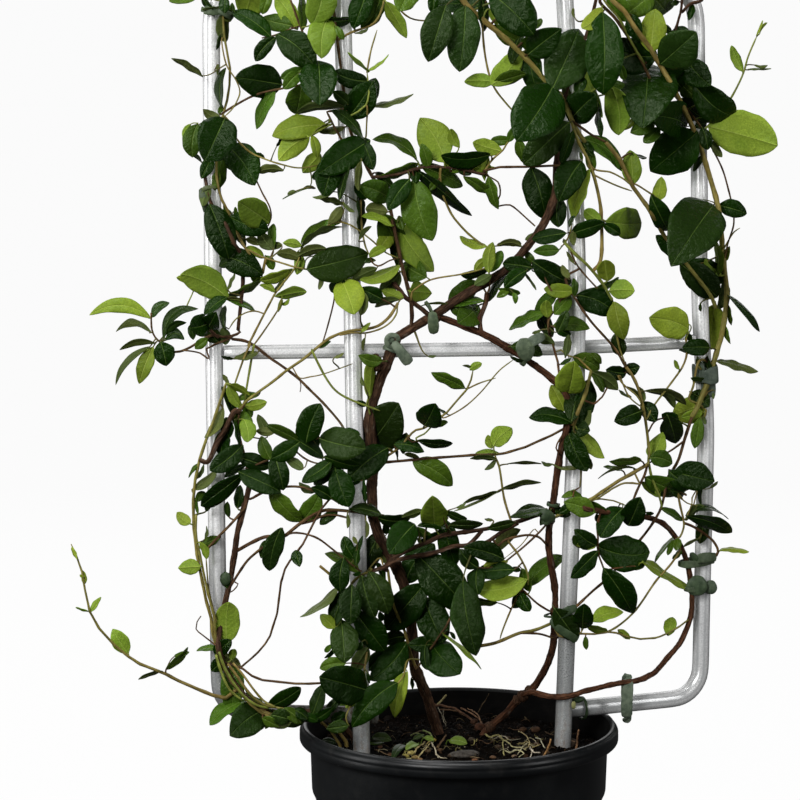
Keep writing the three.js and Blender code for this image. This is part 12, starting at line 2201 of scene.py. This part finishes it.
def strap(loop, normals, across, width, thick, wav=0.0, seed=0, sec=18):
    """A closed ribbon: loop of centre points (n,3), outward normals, width direction."""
    n = len(loop)
    a = 2 * math.pi * np.arange(sec) / sec
    # rounded flat section
    sx = np.sign(np.cos(a)) * np.abs(np.cos(a)) ** 0.45
    sy = np.sign(np.sin(a)) * np.abs(np.sin(a)) ** 0.75
    r = random.Random(seed)
    ph = [r.uniform(0, 6.28) for _ in range(4)]
    t = 2 * math.pi * np.arange(n) / n
    wv = width / 2 * (1 + wav * (0.5 * np.sin(2 * t + ph[0]) + 0.35 * np.sin(5 * t + ph[1])))
    lift = width * 0.10 * wav * np.sin(3 * t + ph[2])
    tw = thick / 2 * (1 + 0.4 * wav * np.sin(4 * t + ph[3]))
    V = loop[:, None, :] + across[None, None, :] * (wv[:, None] * sx[None, :] + lift[:, None])[..., None] + normals[:, None, :] * (tw[:, None] * sy[None, :])[..., None]
    V = V.reshape(-1, 3)
    i = np.arange(n)[:, None] * sec
    i2 = ((np.arange(n) + 1) % n)[:, None] * sec
    j = np.arange(sec)[None, :]
    j2 = (j + 1) % sec
    Q = np.stack([i + j, i + j2, i2 + j2, i2 + j], -1).reshape(-1, 4)
    return V, flip_if_inward(V, Q)


def ribbon(P, width, thick, face, sec=16, ends=0.6):
    """A strap end: an open flat band along P with rounded ends, its flat side towards `face`."""
    P = catmull(P, 1.3)
    n = len(P)
    T = unit(np.gradient(P, axis=0))
    N = np.asarray(face, float)[None, :] - T * (T @ np.asarray(face, float))[:, None]
    N = unit(N)
    B = np.cross(T, N)
    u = along(P)
    w = np.interp(u, np.linspace(0, u[-1], len(width)), width) / 2
    reach = np.minimum(u, u[-1] - u)
    cap = np.sqrt(np.clip(1 - (1 - np.clip(reach / (ends * w.mean() + 1e-6), 0, 1)) ** 2, 0.02, 1))
    w = w * cap
    th = thick / 2 * np.clip(cap + 0.25, 0, 1)
    a = 2 * math.pi * np.arange(sec) / sec
    sx = np.sign(np.cos(a)) * np.abs(np.cos(a)) ** 0.5
    sy = np.sign(np.sin(a)) * np.abs(np.sin(a)) ** 0.75
    V = P[:, None, :] + B[:, None, :] * (w[:, None] * sx)[..., None] + N[:, None, :] * (th[:, None] * sy)[..., None]
    V = V.reshape(-1, 3)
    i = np.arange(n - 1)[:, None] * sec
    j = np.arange(sec)[None, :]
    j2 = (j + 1) % sec
    Q = np.stack([i + j, i + j2, i + sec + j2, i + sec + j], -1).reshape(-1, 4)
    c0, c1 = len(V), len(V) + 1
    V = np.concatenate([V, [P[0], P[-1]]])
    k = np.arange(sec)
    k2 = (k + 1) % sec
    last = (n - 1) * sec
    T3 = np.concatenate([np.stack([np.full(sec, c0), k2, k], -1), np.stack([np.full(sec, c1), last + k, last + k2], -1)])
    a_, b_, c_, d_ = (V[Q[:, q]] for q in range(4))
    vol = (np.einsum("ij,ij->i", a_, np.cross(b_, c_)) + np.einsum("ij,ij->i", a_, np.cross(c_, d_))).sum() + np.einsum("ij,ij->i", V[T3[:, 0]], np.cross(V[T3[:, 1]], V[T3[:, 2]])).sum()
    if vol < 0:
        Q, T3 = Q[:, ::-1], T3[:, ::-1]
    return V, Q, T3


FRONT = np.array([-0.149, -0.989, 0.12])
# what shows of each tie besides its loop: ribbons (points, widths, thickness, tone) and lumps (centre, size, tone)
EXTRA = json.loads('''{"tie_arc_rail":{"loop":0.0,"tone":[0.135,0.175,0.125],"ribbons":[[[[143.9,-13.6,254.7],[142.6,-16.5,248.5],[142.0,-17.2,240.0],[141.9,-16.7,231.2],[142.9,-13.5,222.1]],[8.7,9.9,9.9,9.9,9.1],2.2,null],[[[144.1,-12.6,254.4],[144.2,-6.6,255.3],[145.9,3.7,249.0],[147.0,8.0,232.2],[146.9,5.0,220.6],[144.6,-6.5,219.5],[142.9,-13.5,222.1]],[8.3,8.3,8.3,8.3,8.3,8.3,8.3],1.8,null]],"lumps":[]},"tie_rail_post":{"loop":0.35,"tone":[0.045,0.075,0.034],"ribbons":[[[[94.2,-25.2,240.9],[93.7,-25.9,237.7],[94.4,-25.1,234.0]],[3.3,4.1,2.8],1.6,[0.26,0.27,0.11]]],"lumps":[[[98.3,-22.1,241.4],[5.2,3.0,3.0],null]]},"tie_right_low":{"loop":0.22,"tone":[0.045,0.075,0.034],"ribbons":[[[[70.6,-41.0,312.7],[77.6,-44.0,319.0],[86.0,-44.0,323.0],[93.0,-39.5,324.0]],[4.1,7.0,7.8,5.0],1.9,null],[[[69.5,-42.0,314.6],[76.0,-44.0,308.0],[85.5,-43.5,301.7],[93.2,-39.4,295.5]],[4.1,6.6,7.0,6.6],1.9,null]],"lumps":[]},"tie_trunk":{"loop":0.42,"tone":[0.15,0.19,0.135],"ribbons":[[[[-62.7,-40.5,549.0],[-58.6,-43.0,544.2],[-53.7,-43.5,537.7],[-48.8,-41.5,530.8]],[5.8,8.1,9.5,9.1],3.4,null],[[[-59.5,-38.0,544.6],[-65.8,-39.0,545.6],[-67.6,-40.0,551.0],[-64.0,-40.5,554.7],[-58.9,-40.0,553.4],[-57.6,-39.0,548.8]],[3.6,4.0,4.1,4.1,4.0,3.5],2.6,null]],"lumps":[[[-64.1,-38.5,551.3],[3.6,2.4,4.0],null]]},"tie_main_branch":{"loop":0.3,"tone":[0.085,0.12,0.066],"ribbons":[[[[-29.3,-38.0,573.3],[-29.4,-40.0,568.1],[-28.9,-40.0,562.4],[-28.2,-38.0,554.8]],[6.2,8.7,9.5,7.0],3.6,null]],"lumps":[]},"tie_right_post_a":{"loop":0.62,"tone":[0.085,0.12,0.066],"ribbons":[[[[207.1,14.0,349.7],[211.8,12.2,353.0],[219.4,14.1,353.3],[228.5,19.9,352.5]],[6.6,8.7,8.7,7.4],2.6,null],[[[203.2,13.0,357.8],[206.4,11.8,354.5],[209.6,13.6,348.8]],[4.1,6.6,5.0],2.4,[0.045,0.075,0.034]]],"lumps":[]},"tie_right_post_b":{"loop":0.45,"tone":[0.085,0.12,0.066],"ribbons":[],"lumps":[[[209.6,12.6,329.0],[9.4,3.4,9.2],[0.07,0.108,0.058]],[[222.9,17.5,326.4],[6.0,3.0,6.4],[0.085,0.12,0.075]]]},"tie_branch_bar":{"loop":0.35,"tone":[0.085,0.12,0.066],"ribbons":[[[[51.3,-38.0,531.3],[48.5,-41.0,538.3],[47.1,-41.5,545.0],[49.1,-40.0,550.6]],[5.0,14.0,15.7,7.4],1.8,[0.1,0.135,0.082]],[[[49.1,-40.0,545.6],[54.5,-42.0,548.6],[60.6,-41.0,551.3],[64.6,-38.0,551.8]],[7.4,9.1,8.3,4.1],1.6,[0.12,0.155,0.11]]],"lumps":[]},"tie_right_post_c":{"loop":0.9,"tone":[0.095,0.125,0.098],"ribbons":[[[[217.6,16.1,518.7],[217.6,15.6,508.4],[218.3,15.8,498.1],[218.5,16.4,491.1]],[10.7,12.4,12.8,11.6],1.6,null],[[[211.8,14.2,522.4],[211.2,13.4,515.6],[210.6,13.9,508.7]],[4.1,5.8,4.1],1.6,null]],"lumps":[]},"tie_right_cross":{"loop":0.32,"tone":[0.045,0.075,0.034],"ribbons":[[[[60.2,-39.0,405.4],[63.9,-42.0,404.1],[68.1,-42.0,401.1],[71.7,-39.0,396.7]],[6.6,9.9,10.3,7.4],2.4,null],[[[62.0,-39.0,397.8],[65.7,-41.5,397.3],[68.6,-40.0,395.3]],[4.1,5.8,3.3],2.0,null]],"lumps":[]},"tie_left_top":{"loop":0.5,"tone":[0.085,0.12,0.066],"ribbons":[[[[-212.2,-15.0,817.9],[-208.4,-18.5,817.0],[-203.6,-19.0,816.2],[-199.5,-18.0,815.0]],[7.8,8.7,7.0,5.4],2.2,null],[[[-202.7,-18.0,817.8],[-197.3,-20.0,815.4],[-192.4,-19.5,813.0],[-189.4,-17.0,809.9]],[4.5,5.4,5.8,3.7],2.0,null]],"lumps":[]},"tie_left_mid":{"loop":0.0,"tone":[0.085,0.12,0.066],"ribbons":[[[[-215.6,-17.0,674.3],[-215.0,-19.0,667.9],[-213.4,-19.0,661.4],[-211.7,-17.0,654.0]],[4.5,6.2,5.8,4.1],2.0,null],[[[-215.7,-18.0,671.9],[-212.2,-20.0,674.4],[-208.1,-20.0,675.2],[-203.9,-17.5,674.2]],[3.3,3.6,3.0,2.1],1.6,[0.12,0.15,0.06]]],"lumps":[]},"tie_left_low":{"loop":0.0,"tone":[0.045,0.075,0.034],"ribbons":[[[[-202.7,-16.0,352.1],[-199.3,-19.5,353.1],[-194.9,-17.0,350.4]],[5.0,11.6,5.0],2.2,null]],"lumps":[[[-198.8,-19.0,352.5],[4.6,2.6,5.4],null]]}}''')
for ti, t in enumerate(TIES):
    c, ax, e1, e2 = (np.array(t[k], float) for k in ("c", "ax", "e1", "e2"))
    circ = t["circ"]
    raw = hull(circ, 1.1 + 0.95, 120)
    loop2 = resample(raw, 84)
    for _ in range(3):
        loop2 = 0.25 * np.roll(loop2, 1, 0) + 0.5 * loop2 + 0.25 * np.roll(loop2, -1, 0)
    tan = unit(np.roll(loop2, -1, 0) - np.roll(loop2, 1, 0))
    nor = np.stack([tan[:, 1], -tan[:, 0]], -1)
    loop = c + loop2[:, :1] * e1 + loop2[:, 1:] * e2
    nrm3 = nor[:, :1] * e1 + nor[:, 1:] * e2
    extra = EXTRA[t["name"]]
    tone = np.array(extra["tone"])
    bd = Build()
    clean = t["name"] == "tie_arc_rail"
    if extra["loop"] > 0:
        V, Q = strap(loop, nrm3, ax, t["h"] * extra["loop"], 2.0 if clean else 1.6, 0.04 if clean else 0.30, ti, 18)
        bd.add(V, Q, tone=tone)
    rnd = random.Random(800 + ti)
    for P, wd, th, own in extra["ribbons"]:
        Vr, Qr, Tr = ribbon(P, wd, th, FRONT)
        Vr = Vr + 0.28 * np.stack([field(Vr, ti * 3 + q, 0.45) for q in range(3)], -1)
        bd.add(Vr, Qr, Tr, tone=np.array(own) if own else tone * rnd.uniform(0.9, 1.12))
    for cc, size, own in extra["lumps"]:
        v, f = ICO4
        d = 1 + 0.10 * field(v, 900 + ti, 2.0)
        bd.add(v * d[:, None] * np.array(size) + np.array(cc), tris=f, tone=np.array(own) if own else tone * rnd.uniform(0.9, 1.1))
    ob = bd.make(t["name"] + "_band", [TIE])
    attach(ob, "root")
    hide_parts(t["name"])

# ---------------------------------------------------------------- floor, light, camera
me = bpy.data.meshes.new("studio_floor")
S = 150.0
me.from_pydata([(-S, -S, 0), (S, -S, 0), (S, S, 0), (-S, S, 0)], [], [(0, 1, 2, 3)])
floor = bpy.data.objects.new("studio_floor", me)
me.materials.append(floor_material())
bpy.context.scene.collection.objects.link(floor)
floor.visible_diffuse = False
floor.visible_glossy = False

world = bpy.data.worlds.new("studio_air")
bpy.context.scene.world = world
world.use_nodes = True
nt = world.node_tree
nt.nodes.clear()
out = nt.nodes.new("ShaderNodeOutputWorld")
bg_see = nt.nodes.new("ShaderNodeBackground")
bg_see.inputs[0].default_value = (1.0, 1.0, 1.0, 1)
bg_see.inputs[1].default_value = 0.9635
bg_lit = nt.nodes.new("ShaderNodeBackground")
bg_lit.inputs[0].default_value = (0.98, 0.99, 1.0, 1)
bg_lit.inputs[1].default_value = 0.05
lp = nt.nodes.new("ShaderNodeLightPath")
mx = nt.nodes.new("ShaderNodeMixShader")
nt.links.new(lp.outputs["Is Camera Ray"], mx.inputs[0])
nt.links.new(bg_lit.outputs[0], mx.inputs[1])
nt.links.new(bg_see.outputs[0], mx.inputs[2])
nt.links.new(mx.outputs[0], out.inputs[0])


def area(name, loc, aim, size, size_y, power, colour=(1, 1, 1)):
    li = bpy.data.lights.new(name, "AREA")
    li.shape = "RECTANGLE"
    li.size, li.size_y = size, size_y
    li.energy = power
    li.color = colour
    ob = bpy.data.objects.new(name, li)
    loc, aim = np.array(loc, float), np.array(aim, float)
    d = aim - loc
    d /= np.linalg.norm(d)
    right = np.cross(d, [0, 0, 1.0]) if abs(d[2]) < 0.99 else np.array([1.0, 0, 0])
    right /= np.linalg.norm(right)
    up = np.cross(right, d)
    from mathutils import Matrix
    M = Matrix(((right[0], up[0], -d[0], loc[0]), (right[1], up[1], -d[1], loc[1]), (right[2], up[2], -d[2], loc[2]), (0, 0, 0, 1)))
    ob.matrix_world = M
    ob.visible_camera = False
    bpy.context.scene.collection.objects.link(ob)
    return ob


area("top_softbox", (-0.3, -0.3, 2.5), (0, 0, 0.4), 1.0, 0.9, 25)
area("key_softbox", (-1.35, -1.95, 1.7), (0, 0, 0.5), 0.6, 0.9, 41)
area("side_strip", (-2.1, -0.25, 1.0), (0, 0, 0.45), 0.5, 1.7, 20)
area("fill_softbox", (1.9, -1.5, 1.1), (0, 0, 0.5), 0.6, 1.5, 16)
area("back_panel", (0.4, 2.2, 1.3), (0, 0, 0.5), 2.2, 1.6, 16)
# a tall soft strip that only the bare tubes see, as a photographer's reflector card would give
tubes = bpy.data.collections.new("bare_tubes")
for name in ("outer_frame", "left_post", "right_post", "crossbar"):
    tubes.objects.link(bpy.data.objects[name + "_tube"])
for name, loc, w, h, watts in (("tube_card", (-0.95, -2.0, 0.95), 0.5, 1.5, 15), ("tube_card_right", (0.75, -2.0, 0.9), 0.10, 1.5, 2.4)):
    card = area(name, loc, (0, 0, 0.55), w, h, watts)
    card.light_linking.receiver_collection = tubes

cam = bpy.data.cameras.new("camera")
cam.lens = 121.5
cam.sensor_width = 36.0
cam.clip_end = 60
cam.dof.use_dof = False
co = bpy.data.objects.new("camera", cam)
co.location = (-0.38334, -2.20828, 0.76764)
co.rotation_euler = (math.radians(90 - 6.929), 0, math.radians(-8.573))
bpy.context.scene.collection.objects.link(co)
bpy.context.scene.camera = co
vs = bpy.context.scene.view_settings
vs.view_transform = "Standard"
vs.look = "None"
vs.exposure = 0.0
vs.gamma = 1.0
